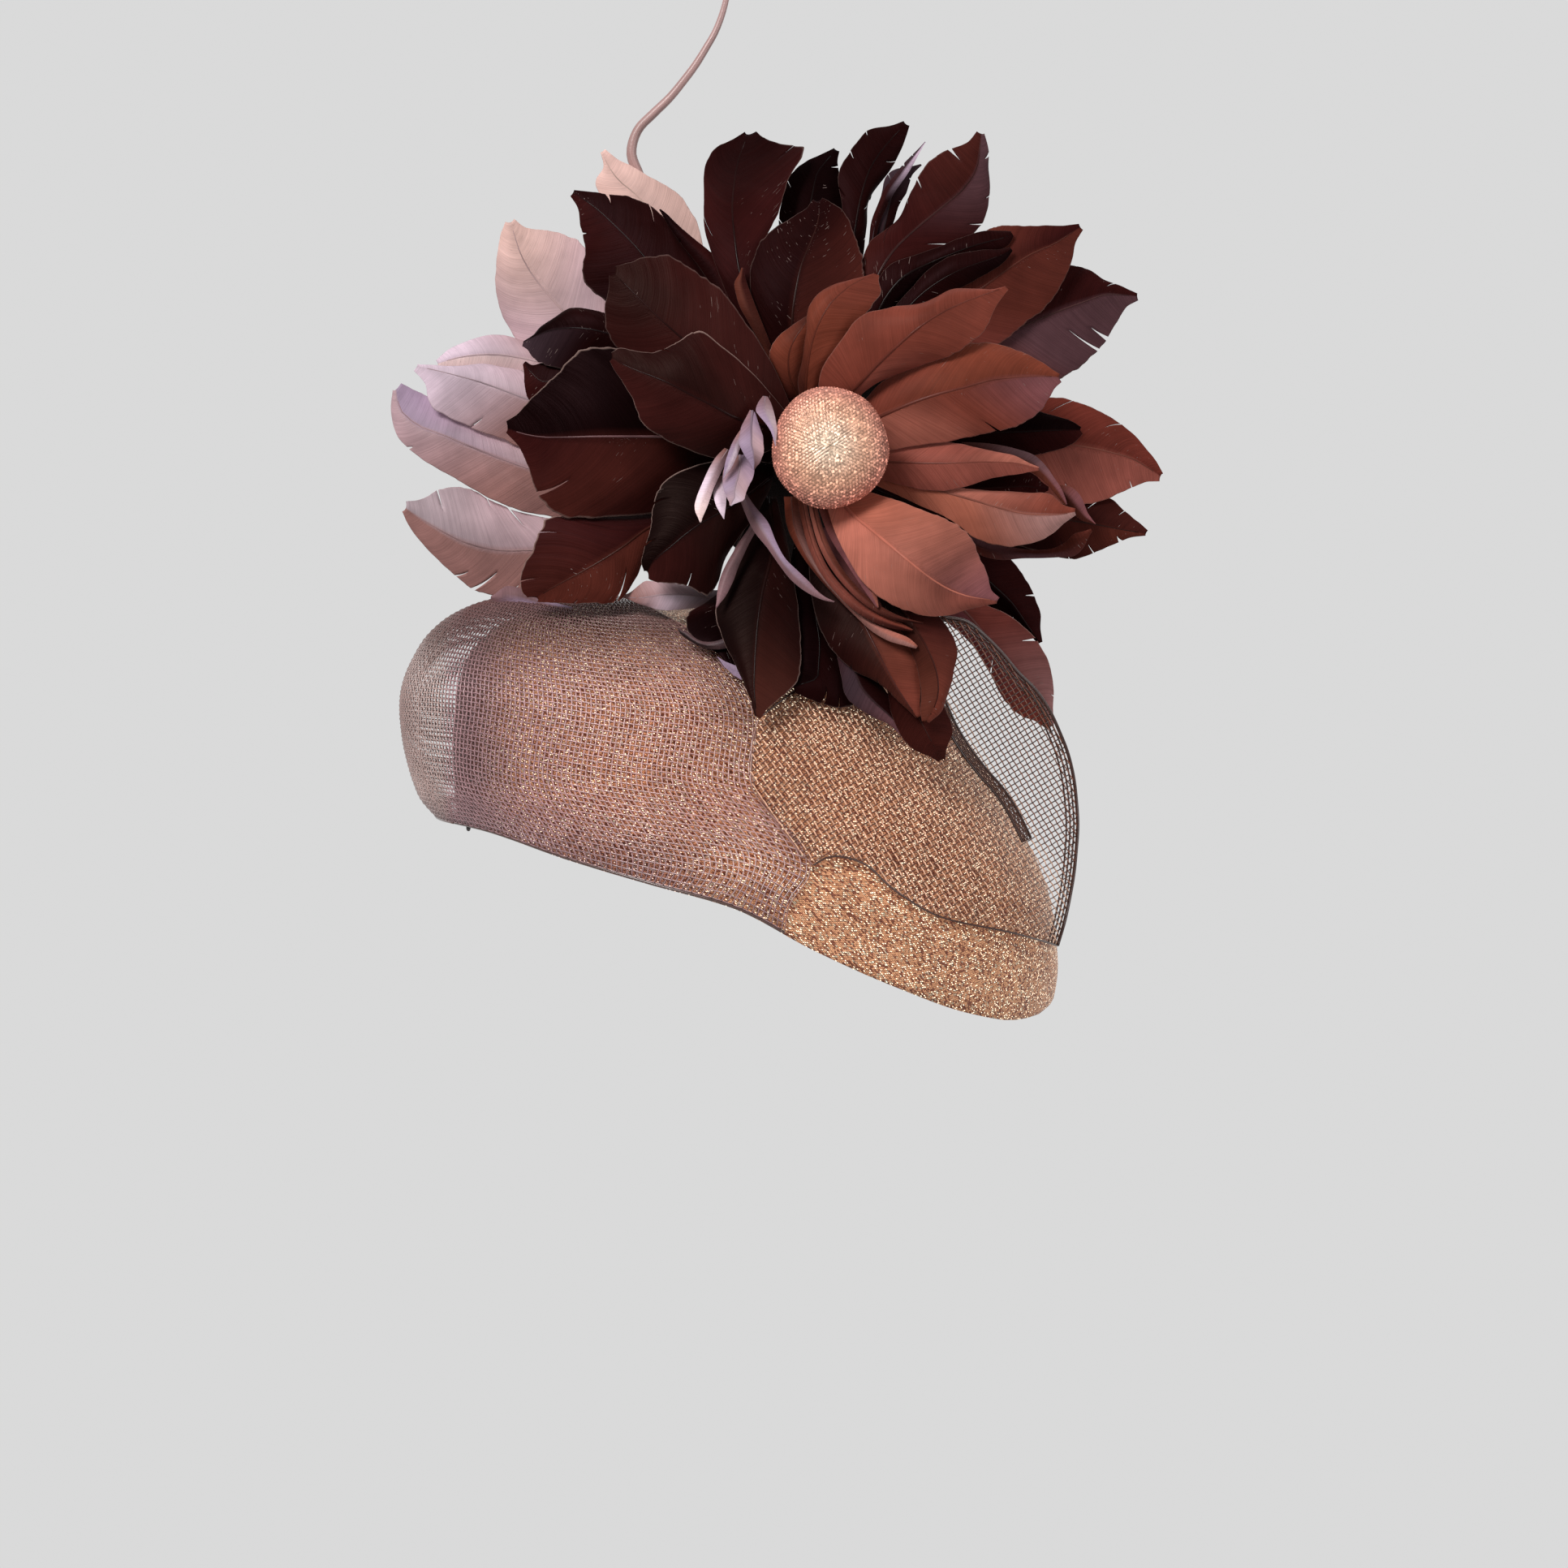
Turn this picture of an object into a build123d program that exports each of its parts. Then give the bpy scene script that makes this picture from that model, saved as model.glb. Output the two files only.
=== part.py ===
# Feathered fascinator headpiece: a wired cap base covered in metallic knit, a layer of
# woven crin net, a rosette of goose vanes round a beaded button, one tall stripped
# quill and a hair comb.  Millimetres, +Z up, -Y towards the wearer's front.
import math
import os
from build123d import *

os.makedirs("parts", exist_ok=True)

# ---- driving dimensions ----
VANE_T = 0.5            # thickness of a feather vane
NET_T = 0.45            # thickness of the crin net
DEPTH_RATIO = 0.93      # front-to-back over side-to-side size of the cap
COVER_IN = 0.6          # metallic knit: from the outer surface to this depth
SHELL_OUT, SHELL_IN = 0.9, 2.4      # stiffened cap shell
LINE_OUT, LINE_IN = 2.7, 3.2        # lining and head ribbon
WIRE_LOW, WIRE_HIGH = 0.2, 1.8      # rim wire casing above the rim line
RIBBON_LOW, RIBBON_HIGH = 0.3, 12.0
CORE_X, CORE_Z, CORE_R = 26.5, 84.0, 10.3     # felt core of the rosette
CORE_BACK, CORE_FRONT = -10.9, -63.2
DISC_R, DISC_T = 38.0, 1.3
FRONT_DISC_R, FRONT_DISC_T = 13.5, 1.2
BUTTON_X, BUTTON_Z, BUTTON_R = 29.6, 84.0, 18.1
BUTTON_BACK, BUTTON_EQUATOR, BUTTON_FRONT = -70.6, -77.6, -86.8
BUTTON_SKIN = 0.8
BUTTON_TUCK_R = 6.0       # opening left where the cover is gathered behind
SHANK_R = 4.0
STEM_R = 3.5
QUILL_Y = 10.25
QUILL_PIVOT = (4.9, 46.0)
QUILL_BOSS_R, QUILL_PIN_R, QUILL_PIN_GAP = 2.6, 0.5, 0.1
QUILL_BOSS_T = 3.2
CHEEK_GAP, CHEEK_T = 0.6, 1.0
COMB_X, COMB_Y, COMB_Z = -1.0, -76.3, -30.0
COMB_W, COMB_BAR_R = 40.0, 1.0
TOOTH_L, TOOTH_R, TOOTH_N = 25.0, 0.6, 14
TOOTH_TILT = 30.0       # degrees from straight up, leaning away from the front wall
LOOP_R, LOOP_WIRE = 3.0, 0.6

# ---- cap sections: (height, centre x, half width, slope of the half width) ----
CAP = [
    (-98, 15.9, 82.8, 0.58),
    (-90, 14.45, 86.65, 0.43),
    (-80, 12.83, 90.25, 0.27),
    (-68, 10.65, 92.03, 0.09),
    (-55, 7.91, 92.79, 0.01),
    (-42, 4.28, 91.73, -0.17),
    (-28, -0.28, 88.85, -0.21),
    (-14, -4.66, 85.37, -0.3),
    (0, -9.62, 80.35, -0.43),
    (12, -15.02, 73.88, -0.67),
    (22, -20.26, 65.46, -1.12),
    (29.5, -24.78, 54.38, -1.89),
    (34.5, -28.7, 42.27, -3.26),
    (37.4, -31.59, 30.11, -5.73),
    (39, -32.8, 17, -6),
    (39.6, -33.13, 6, -6),
]

# ---- lower rim, seen from the front: (x, z) ----
RIM = [(-130, -22), (-112, -23), (-93.86, -29.9), (-77.14, -33.41), (-50.61, -41.86), (-25.38, -49.07), (0.59, -56.35), (23.97, -68.69), (48.76, -80.09), (74.22, -89.6), (87.49, -92.12), (97.34, -90.47), (104, -84), (116, -74)]

# ---- crin net sheets: rows run from the top edge down to the rim ----
NET_LEFT = [
    [(-30.65, -11.82, 40.89), (-33.18, -12.02, 40.89), (-35.71, -11.75, 40.91), (-38.13, -11.03, 41), (-40.36, -9.88, 41.13), (-42.31, -8.35, 41.28), (-43.9, -6.49, 41.42), (-45.06, -4.37, 41.53), (-45.74, -2.07, 41.57), (-45.93, 0.3, 41.57), (-45.62, 2.67, 41.57), (-44.81, 4.93, 41.51), (-43.53, 6.99, 41.39), (-41.84, 8.77, 41.24), (-39.82, 10.21, 41.08)],
    [(-26.61, -37.2, 36.8), (-34.41, -35.92, 37.13), (-41.6, -33.94, 37.61), (-48.21, -30.95, 38.37), (-53.97, -26.85, 39.27), (-58.6, -21.8, 40.14), (-62.11, -16.21, 40.83), (-64.61, -10.31, 41.26), (-65.87, -4.14, 41.37), (-66, 2.1, 41.37), (-65.09, 8.3, 41.35), (-62.95, 14.28, 41.05), (-59.64, 19.84, 40.43), (-55.34, 24.97, 39.58), (-50.01, 29.39, 38.63)],
    [(-14.98, -51.43, 30.42), (-26.68, -50.73, 31.23), (-37.57, -48.78, 31.92), (-47.86, -45.44, 33.26), (-57.31, -40.39, 35.06), (-65.46, -33.46, 37.02), (-71.79, -25.31, 38.66), (-76.3, -16.53, 39.67), (-78.61, -7.15, 40.01), (-79, 2.34, 40.03), (-77.75, 11.72, 39.98), (-74.44, 20.7, 39.38), (-69.16, 28.85, 38.11), (-62.35, 36.1, 36.31), (-54, 42.11, 34.32)],
    [(-5.56, -60.97, 22.72), (-20.15, -60.92, 24.14), (-33.8, -59.05, 25.08), (-46.79, -55.65, 26.79), (-59.01, -50.24, 29.15), (-69.74, -42.57, 31.78), (-78.42, -33.17, 34), (-84.95, -22.47, 35.39), (-88.53, -10.58, 35.98), (-89.35, 1.69, 36.04), (-87.94, 13.92, 35.92), (-83.57, 25.55, 35.17), (-76.38, 35.79, 33.54), (-67.17, 44.51, 31.13), (-56.29, 51.39, 28.46)],
    [(1.42, -67.46, 14.06), (-14.63, -67.86, 16.12), (-29.72, -66.22, 17.32), (-44.38, -63.16, 19.08), (-58.66, -58.13, 21.42), (-71.94, -50.47, 24.17), (-83.19, -40.22, 26.77), (-91.86, -27.92, 28.3), (-96.78, -13.8, 29.11), (-98.04, 0.98, 29.23), (-96.52, 15.71, 28.94), (-91.22, 29.66, 28.09), (-82.2, 41.66, 26.36), (-70.63, 51.39, 23.67), (-57.22, 58.51, 20.95)],
    [(6.83, -72.55, 4.65), (-10.02, -73.09, 7.44), (-26.23, -71.47, 9.02), (-42.17, -68.43, 10.97), (-57.98, -63.37, 13.46), (-72.95, -55.49, 16.25), (-85.97, -44.76, 18.49), (-96.1, -31.44, 19.58), (-102.01, -15.83, 20.17), (-103.58, 0.7, 20.27), (-101.81, 17.23, 19.98), (-95.65, 32.78, 19.37), (-85.16, 45.89, 18.1), (-71.84, 56.18, 15.78), (-56.79, 63.56, 12.99)],
    [(6.66, -77.33, -5.43), (-9.34, -77.15, -1.85), (-25.36, -75.24, 0.18), (-41.3, -72.03, 2.32), (-57.24, -66.88, 4.91), (-72.95, -58.93, 7.85), (-87.03, -47.94, 10.16), (-98.16, -33.89, 11.16), (-104.77, -17.23, 11.75), (-106.56, 0.53, 11.89), (-104.59, 18.3, 11.51), (-97.82, 34.96, 10.87), (-86.32, 48.87, 9.69), (-71.75, 59.58, 7.33), (-55.59, 67.19, 4.43)],
    [(5.72, -81.11, -16.05), (-10.66, -80.22, -11.62), (-26.88, -77.8, -9.09), (-42.98, -73.96, -6.66), (-58.77, -68.14, -3.86), (-73.85, -59.86, -0.74), (-87.53, -48.74, 1.67), (-98.56, -34.4, 2.68), (-105.2, -17.39, 3.32), (-107.01, 0.9, 3.5), (-104.77, 19.31, 3.05), (-97.53, 36.5, 2.35), (-85.52, 50.82, 1.16), (-70.47, 61.83, -1.29), (-54.02, 69.73, -4.39)],
    [(12.38, -83.24, -27.15), (-9.36, -82.73, -21.88), (-27.61, -79.71, -18.88), (-44.31, -75.03, -16.15), (-60.08, -68.38, -12.98), (-74.9, -59.46, -9.34), (-88.16, -47.8, -6.55), (-98.59, -33.02, -5.38), (-104.63, -15.81, -4.6), (-106.09, 2.5, -4.34), (-103.48, 20.91, -4.86), (-95.92, 38, -5.69), (-83.83, 52.29, -7.09), (-68.77, 63.4, -9.96), (-52.32, 71.57, -13.54)],
    [(22.72, -84.45, -38.66), (-1, -85.13, -32.48), (-21.33, -82.24, -29.1), (-40.21, -76.67, -26.1), (-58.51, -68.82, -22.53), (-74.8, -58.54, -18.38), (-87.79, -46.3, -15.11), (-97.61, -31.27, -13.66), (-103.15, -14.1, -12.63), (-104.31, 4.04, -12.27), (-101.31, 22.19, -12.93), (-93.52, 38.96, -14.01), (-81.55, 53.1, -15.72), (-66.7, 64.26, -19.03), (-50.26, 72.66, -23.09)],
    [(19.14, -87.11, -50.89), (5.18, -87.16, -43.58), (-13.65, -85.07, -39.62), (-33.44, -79.54, -36.17), (-52.43, -70.33, -32.17), (-69.36, -58.93, -27.6), (-84.53, -45.9, -23.95), (-94.92, -30.38, -22.27), (-100.5, -13.01, -21.04), (-101.54, 4.93, -20.61), (-98.28, 22.59, -21.4), (-90.47, 38.8, -22.69), (-78.46, 52.37, -24.65), (-63.64, 63.31, -28.35), (-47.54, 73.01, -32.81)],
    [(15.62, -87.37, -63.5), (-0.74, -87.51, -55.27), (-16.86, -85.12, -50.7), (-31.63, -80.68, -46.71), (-47.83, -73.01, -42.08), (-64.29, -61.37, -36.72), (-78.38, -46.64, -32.51), (-88.21, -31, -30.58), (-94.05, -14.09, -29.25), (-95.46, 3.38, -28.8), (-92.43, 20.45, -29.67), (-85.37, 36.46, -31.12), (-74.92, 50.82, -33.39), (-61.55, 63.62, -37.65), (-45.26, 74.38, -42.84)],
]
NET_RIGHT = [
    [(7.92, -74.92, 1.61), (12.96, -71.96, 5.65), (18.15, -68.6, 9.5), (23.51, -65.26, 13.11), (29.05, -61.91, 16.48), (34.77, -58.51, 19.66), (40.61, -55.09, 22.7), (46.51, -51.65, 25.63), (52.49, -48.19, 28.45), (58.57, -44.72, 31.15), (64.73, -41.63, 33.71)],
    [(6.18, -77.56, -4.66), (12.79, -74.43, -0.05), (19.57, -70.51, 3.78), (26.3, -66.57, 7.01), (33.25, -62.57, 10.08), (40.44, -58.47, 13.09), (47.81, -54.26, 16.17), (55.31, -49.99, 19.29), (62.92, -45.67, 22.33), (70.61, -41.35, 25.22), (78.36, -37.49, 27.96)],
    [(5.6, -80.1, -11.05), (13.34, -77.25, -6.4), (21.27, -73.39, -3.1), (28.93, -69.01, -0.78), (36.86, -64.16, 1.48), (45.09, -59.1, 3.78), (53.55, -53.85, 6.37), (62.22, -48.45, 9.15), (71.03, -42.98, 11.89), (79.91, -37.51, 14.43), (88.85, -32.63, 16.81)],
    [(5.5, -82.1, -17.41), (14.28, -79.51, -12.73), (23.25, -76.01, -10.01), (31.75, -71.95, -8.64), (40.55, -66.66, -7.25), (49.71, -60.51, -5.71), (59.18, -54.05, -3.65), (68.94, -47.34, -1.27), (78.88, -40.52, 1.11), (88.87, -33.7, 3.25), (98.91, -27.61, 5.21)],
    [(7.82, -83.44, -23.15), (17.04, -80.99, -18.75), (26.45, -77.77, -16.88), (35.17, -74.21, -16.74), (44.22, -69.34, -16.51), (53.7, -62.69, -16.03), (63.56, -54.86, -14.83), (73.8, -46.6, -13.16), (84.26, -38.19, -11.46), (94.75, -29.75, -10.04), (105.29, -22.22, -8.83)],
    [(11.96, -84.29, -28.53), (21.12, -81.87, -24.53), (30.46, -78.89, -23.64), (38.9, -75.82, -24.87), (47.68, -71.66, -25.92), (56.93, -65.76, -26.63), (66.63, -57.51, -26.43), (76.81, -47.87, -25.63), (87.23, -37.92, -24.78), (97.68, -27.94, -24.26), (108.17, -19.02, -23.97)],
    [(15.76, -85.02, -33.63), (24.61, -82.66, -30.07), (33.66, -80.06, -30.22), (41.57, -77.56, -32.84), (49.85, -74.29, -35.22), (58.61, -69.6, -37.16), (67.84, -62.64, -37.99), (77.66, -52.83, -38.12), (87.79, -41.17, -38.2), (97.96, -29.05, -38.67), (108.16, -18.15, -39.38)],
    [(19.91, -85.6, -38.49), (28.23, -83.59, -35.38), (36.75, -81.42, -36.56), (43.91, -79.33, -40.6), (51.44, -76.75, -44.3), (59.49, -72.98, -47.46), (68.02, -67.39, -49.31), (77.15, -59.41, -50.34), (86.64, -48.37, -51.34), (96.27, -33.72, -52.84), (106.07, -18, -54.67)],
    [(24.46, -85.86, -43.06), (32.05, -84.17, -40.41), (39.83, -82.3, -42.61), (46.03, -80.41, -48.05), (52.64, -78.08, -53.07), (59.79, -74.62, -57.45), (67.44, -69.73, -60.31), (75.72, -63.01, -62.21), (84.29, -54.04, -64.06), (92.93, -41.61, -66.5), (101.92, -23.76, -69.43)],
]
HEAD_RIBBON = [
    [(9.61, 83.16, -60.37), (18.43, 82.48, -65.41), (26.94, 81.13, -69.84), (35.14, 79.15, -73.75), (42.95, 76.44, -77.3), (50.21, 73.01, -80.39), (56.94, 68.99, -83.22), (63.14, 64.52, -85.71), (68.81, 59.72, -87.73), (74.02, 54.67, -89.24), (78.72, 49.35, -90.44), (82.94, 43.79, -91.34), (86.7, 38.05, -91.73), (90.02, 32.14, -91.62), (92.84, 26.02, -91.25), (95.1, 19.68, -90.75), (96.81, 13.18, -90.07), (97.9, 6.54, -89.43), (98.25, -0.2, -89.22), (97.86, -6.94, -89.45), (96.72, -13.58, -90.12), (94.98, -20.07, -90.77), (92.68, -26.39, -91.28), (89.84, -32.5, -91.64), (86.49, -38.4, -91.71), (82.7, -44.13, -91.3), (78.45, -49.68, -90.38), (73.72, -54.98, -89.16), (68.49, -60.02, -87.63), (62.78, -64.8, -85.57), (56.55, -69.25, -83.06), (49.79, -73.23, -80.22), (42.5, -76.62, -77.1), (34.65, -79.29, -73.53), (26.44, -81.23, -69.6), (17.91, -82.54, -65.11), (9.08, -83.17, -60.07), (0.33, -83.01, -55.97), (-8.09, -82.08, -53.29), (-16.29, -80.46, -51.15), (-24.3, -78.17, -49.07), (-32.04, -75.22, -46.9), (-39.46, -71.66, -44.8), (-46.47, -67.55, -42.78), (-53.01, -62.95, -40.8), (-59.08, -57.86, -38.79), (-64.59, -52.39, -36.92), (-69.5, -46.59, -35.31), (-73.78, -40.51, -34.03), (-77.41, -34.19, -33.07), (-80.39, -27.66, -32.38), (-82.73, -20.96, -31.92), (-84.41, -14.12, -31.59), (-85.43, -7.19, -31.4), (-85.78, -0.21, -31.34), (-85.47, 6.77, -31.39), (-84.49, 13.71, -31.58), (-82.85, 20.55, -31.9), (-80.55, 27.26, -32.35), (-77.6, 33.8, -33.02), (-74.01, 40.13, -33.96), (-69.77, 46.23, -35.23), (-64.91, 52.05, -36.82), (-59.43, 57.54, -38.67), (-53.39, 62.66, -40.68), (-46.88, 67.29, -42.66), (-39.89, 71.43, -44.68), (-32.5, 75.03, -46.77), (-24.77, 78.01, -48.93), (-16.78, 80.34, -51.02), (-8.58, 82.01, -53.15), (-0.18, 82.97, -55.77), (8.54, 83.19, -59.77)],
    [(8.87, 83.29, -57.06), (17.79, 82.71, -62.14), (26.37, 81.41, -66.67), (34.63, 79.47, -70.62), (42.54, 76.9, -74.22), (50.01, 73.66, -77.41), (56.92, 69.74, -80.31), (63.27, 65.31, -82.86), (69.07, 60.52, -84.91), (74.37, 55.43, -86.43), (79.16, 50.06, -87.66), (83.46, 44.43, -88.54), (87.29, 38.63, -88.86), (90.68, 32.64, -88.66), (93.56, 26.43, -88.19), (95.84, 19.99, -87.68), (97.63, 13.41, -86.69), (98.72, 6.65, -86.04), (99.07, -0.21, -85.84), (98.68, -7.06, -86.07), (97.55, -13.81, -86.74), (95.72, -20.39, -87.71), (93.4, -26.81, -88.22), (90.49, -33.01, -88.67), (87.08, -38.98, -88.85), (83.21, -44.77, -88.5), (78.89, -50.39, -87.59), (74.06, -55.74, -86.35), (68.73, -60.81, -84.81), (62.9, -65.59, -82.72), (56.52, -70, -80.15), (49.59, -73.88, -77.23), (42.08, -77.07, -74.02), (34.14, -79.6, -70.39), (25.87, -81.5, -66.42), (17.26, -82.77, -61.84), (8.33, -83.3, -56.76), (-0.45, -83.04, -52.78), (-8.91, -81.99, -50.16), (-17.12, -80.26, -48.04), (-25.12, -77.88, -45.94), (-32.83, -74.87, -43.78), (-40.2, -71.26, -41.69), (-47.15, -67.13, -39.68), (-53.64, -62.51, -37.7), (-59.65, -57.44, -35.7), (-65.11, -51.99, -33.85), (-69.96, -46.23, -32.27), (-74.2, -40.2, -31.01), (-77.8, -33.93, -30.08), (-80.76, -27.45, -29.41), (-83.07, -20.8, -28.95), (-84.74, -14.02, -28.63), (-85.75, -7.14, -28.44), (-86.11, -0.21, -28.38), (-85.79, 6.72, -28.43), (-84.82, 13.6, -28.62), (-83.19, 20.4, -28.93), (-80.91, 27.06, -29.38), (-77.99, 33.55, -30.03), (-74.43, 39.83, -30.94), (-70.23, 45.88, -32.18), (-65.42, 51.65, -33.74), (-60, 57.12, -35.58), (-54.02, 62.22, -37.58), (-47.56, 66.87, -39.56), (-40.63, 71.03, -41.57), (-33.28, 74.67, -43.65), (-25.59, 77.71, -45.8), (-17.61, 80.14, -47.91), (-9.41, 81.91, -50.03), (-0.96, 83, -52.61), (7.8, 83.31, -56.47)],
    [(8.05, 83.35, -53.65), (17.09, 82.88, -58.79), (25.77, 81.64, -63.42), (34.09, 79.75, -67.41), (42.07, 77.23, -71.07), (49.66, 74.12, -74.31), (56.78, 70.37, -77.3), (63.3, 66.02, -79.93), (69.24, 61.25, -82.02), (74.66, 56.14, -83.55), (79.55, 50.73, -84.81), (83.93, 45.04, -85.69), (87.84, 39.17, -85.95), (91.29, 33.11, -85.65), (94.2, 26.82, -85.1), (96.54, 20.3, -84.38), (98.33, 13.61, -83.33), (99.4, 6.74, -82.69), (99.75, -0.21, -82.49), (99.36, -7.16, -82.72), (98.24, -14.02, -83.38), (96.41, -20.7, -84.46), (94.05, -27.21, -85.13), (91.09, -33.49, -85.67), (87.62, -39.53, -85.94), (83.68, -45.39, -85.64), (79.27, -51.06, -84.73), (74.35, -56.46, -83.47), (68.9, -61.55, -81.91), (62.93, -66.29, -79.78), (56.37, -70.61, -77.13), (49.21, -74.32, -74.13), (41.6, -77.39, -70.86), (33.59, -79.88, -67.18), (25.26, -81.73, -63.17), (16.55, -82.93, -58.48), (7.52, -83.35, -53.38), (-1.36, -82.9, -49.53), (-9.79, -81.74, -46.98), (-17.98, -79.92, -44.87), (-25.95, -77.47, -42.75), (-33.62, -74.41, -40.6), (-40.93, -70.78, -38.53), (-47.83, -66.65, -36.53), (-54.26, -62.04, -34.55), (-60.21, -56.99, -32.56), (-65.61, -51.59, -30.73), (-70.42, -45.87, -29.17), (-74.62, -39.89, -27.94), (-78.19, -33.68, -27.04), (-81.13, -27.25, -26.39), (-83.42, -20.65, -25.93), (-85.08, -13.91, -25.62), (-86.09, -7.08, -25.43), (-86.43, -0.21, -25.36), (-86.12, 6.67, -25.42), (-85.16, 13.5, -25.6), (-83.54, 20.25, -25.91), (-81.28, 26.86, -26.36), (-78.38, 33.29, -26.99), (-74.85, 39.53, -27.87), (-70.69, 45.52, -29.09), (-65.92, 51.25, -30.63), (-60.55, 56.67, -32.44), (-54.64, 61.75, -34.43), (-48.23, 66.38, -36.41), (-41.36, 70.55, -38.41), (-34.08, 74.21, -40.47), (-26.42, 77.3, -42.62), (-18.47, 79.79, -44.75), (-10.29, 81.65, -46.84), (-1.88, 82.85, -49.35), (6.98, 83.35, -53.11)],
    [(7.14, 83.26, -50.24), (16.29, 82.98, -55.39), (25.11, 81.83, -60.15), (33.51, 79.99, -64.19), (41.57, 77.51, -67.89), (49.22, 74.43, -71.18), (56.46, 70.79, -74.22), (63.2, 66.58, -76.94), (69.3, 61.87, -79.08), (74.84, 56.77, -80.65), (79.85, 51.33, -81.93), (84.32, 45.61, -82.77), (88.3, 39.68, -82.98), (91.78, 33.54, -82.65), (94.71, 27.17, -82.03), (97.06, 20.57, -81.12), (98.81, 13.77, -80.09), (99.85, 6.82, -79.48), (100.18, -0.21, -79.19), (99.81, -7.24, -79.5), (98.72, -14.19, -80.15), (96.94, -20.97, -81.2), (94.55, -27.56, -82.07), (91.59, -33.92, -82.67), (88.07, -40.04, -83), (84.07, -45.96, -82.75), (79.56, -51.67, -81.86), (74.53, -57.08, -80.57), (68.95, -62.16, -78.97), (62.82, -66.85, -76.79), (56.04, -71.03, -74.05), (48.77, -74.63, -70.99), (41.1, -77.67, -67.69), (33.02, -80.12, -63.96), (24.6, -81.92, -59.9), (15.75, -83.02, -55.07), (6.6, -83.25, -49.97), (-2.31, -82.6, -46.26), (-10.72, -81.34, -43.78), (-18.86, -79.47, -41.7), (-26.79, -76.97, -39.57), (-34.41, -73.88, -37.43), (-41.65, -70.25, -35.37), (-48.48, -66.13, -33.39), (-54.86, -61.55, -31.41), (-60.75, -56.54, -29.42), (-66.11, -51.19, -27.61), (-70.88, -45.52, -26.08), (-75.04, -39.58, -24.87), (-78.55, -33.41, -24), (-81.45, -27.03, -23.37), (-83.72, -20.48, -22.93), (-85.35, -13.8, -22.62), (-86.34, -7.02, -22.43), (-86.69, -0.21, -22.37), (-86.38, 6.61, -22.42), (-85.43, 13.39, -22.6), (-83.84, 20.08, -22.9), (-81.6, 26.64, -23.34), (-78.75, 33.03, -23.95), (-75.27, 39.21, -24.81), (-71.14, 45.17, -26), (-66.41, 50.85, -27.51), (-61.09, 56.23, -29.31), (-55.23, 61.26, -31.29), (-48.88, 65.87, -33.27), (-42.08, 70.02, -35.25), (-34.86, 73.67, -37.3), (-27.25, 76.8, -39.44), (-19.34, 79.34, -41.58), (-11.22, 81.24, -43.64), (-2.82, 82.54, -46.08), (6.04, 83.23, -49.69)],
    [(6.14, 82.98, -46.84), (15.42, 82.97, -51.98), (24.41, 81.95, -56.91), (32.9, 80.19, -61), (41.04, 77.74, -64.76), (48.76, 74.7, -68.09), (56.06, 71.09, -71.15), (62.9, 66.96, -73.92), (69.19, 62.34, -76.15), (74.88, 57.27, -77.76), (80, 51.84, -79.07), (84.57, 46.09, -79.89), (88.61, 40.11, -80.05), (92.11, 33.9, -79.71), (95.03, 27.45, -79.06), (97.34, 20.77, -78.06), (99.02, 13.9, -77.07), (100, 6.88, -76.49), (100.3, -0.21, -76.15), (99.96, -7.3, -76.51), (98.94, -14.31, -77.11), (97.22, -21.17, -78.13), (94.87, -27.84, -79.1), (91.92, -34.28, -79.74), (88.38, -40.48, -80.07), (84.31, -46.44, -79.87), (79.71, -52.18, -79), (74.56, -57.59, -77.68), (68.82, -62.63, -76.03), (62.51, -67.22, -73.76), (55.63, -71.32, -70.97), (48.31, -74.9, -67.9), (40.56, -77.9, -64.55), (32.4, -80.31, -60.77), (23.89, -82.04, -56.65), (14.86, -83, -51.66), (5.55, -82.95, -46.55), (-3.27, -82.16, -43.03), (-11.65, -80.84, -40.62), (-19.73, -78.94, -38.58), (-27.6, -76.41, -36.44), (-35.17, -73.32, -34.32), (-42.34, -69.71, -32.28), (-49.1, -65.62, -30.3), (-55.43, -61.07, -28.32), (-61.28, -56.11, -26.34), (-66.58, -50.78, -24.55), (-71.28, -45.15, -23.06), (-75.37, -39.25, -21.88), (-78.85, -33.12, -21.03), (-81.7, -26.8, -20.42), (-83.95, -20.3, -19.98), (-85.56, -13.68, -19.68), (-86.54, -6.96, -19.49), (-86.88, -0.2, -19.43), (-86.58, 6.56, -19.49), (-85.64, 13.27, -19.66), (-84.06, 19.91, -19.96), (-81.86, 26.41, -20.39), (-79.03, 32.75, -20.99), (-75.6, 38.89, -21.81), (-71.54, 44.8, -22.97), (-66.88, 50.45, -24.45), (-61.62, 55.8, -26.23), (-55.8, 60.79, -28.21), (-49.5, 65.36, -30.18), (-42.76, 69.48, -32.16), (-35.61, 73.12, -34.19), (-28.07, 76.24, -36.31), (-20.21, 78.8, -38.45), (-12.15, 80.75, -40.49), (-3.79, 82.1, -42.86), (5, 82.91, -46.27)],
]
NET_FOLD = [
    [(62.57, -50.28, 7.12), (64, -48.88, 7.75), (65.4, -48.18, 8.37)],
    [(66.06, -50.41, -0.84), (67.44, -49.59, -0.14), (68.84, -47.94, 0.57)],
    [(70.55, -49.01, -8.33), (71.83, -48.15, -7.49), (73.13, -47.21, -6.64)],
    [(75.88, -46.68, -15.32), (77.1, -45.6, -14.37), (78.32, -44.52, -13.41)],
    [(81.62, -43.59, -21.8), (82.89, -42.27, -20.89), (84.16, -41.09, -19.98)],
    [(86.22, -40.74, -28.86), (87.61, -39.45, -28.13), (89, -38.16, -27.39)],
    [(90.09, -38.66, -36.63), (91.53, -37.21, -35.98), (92.99, -35.36, -35.34)],
]

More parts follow.
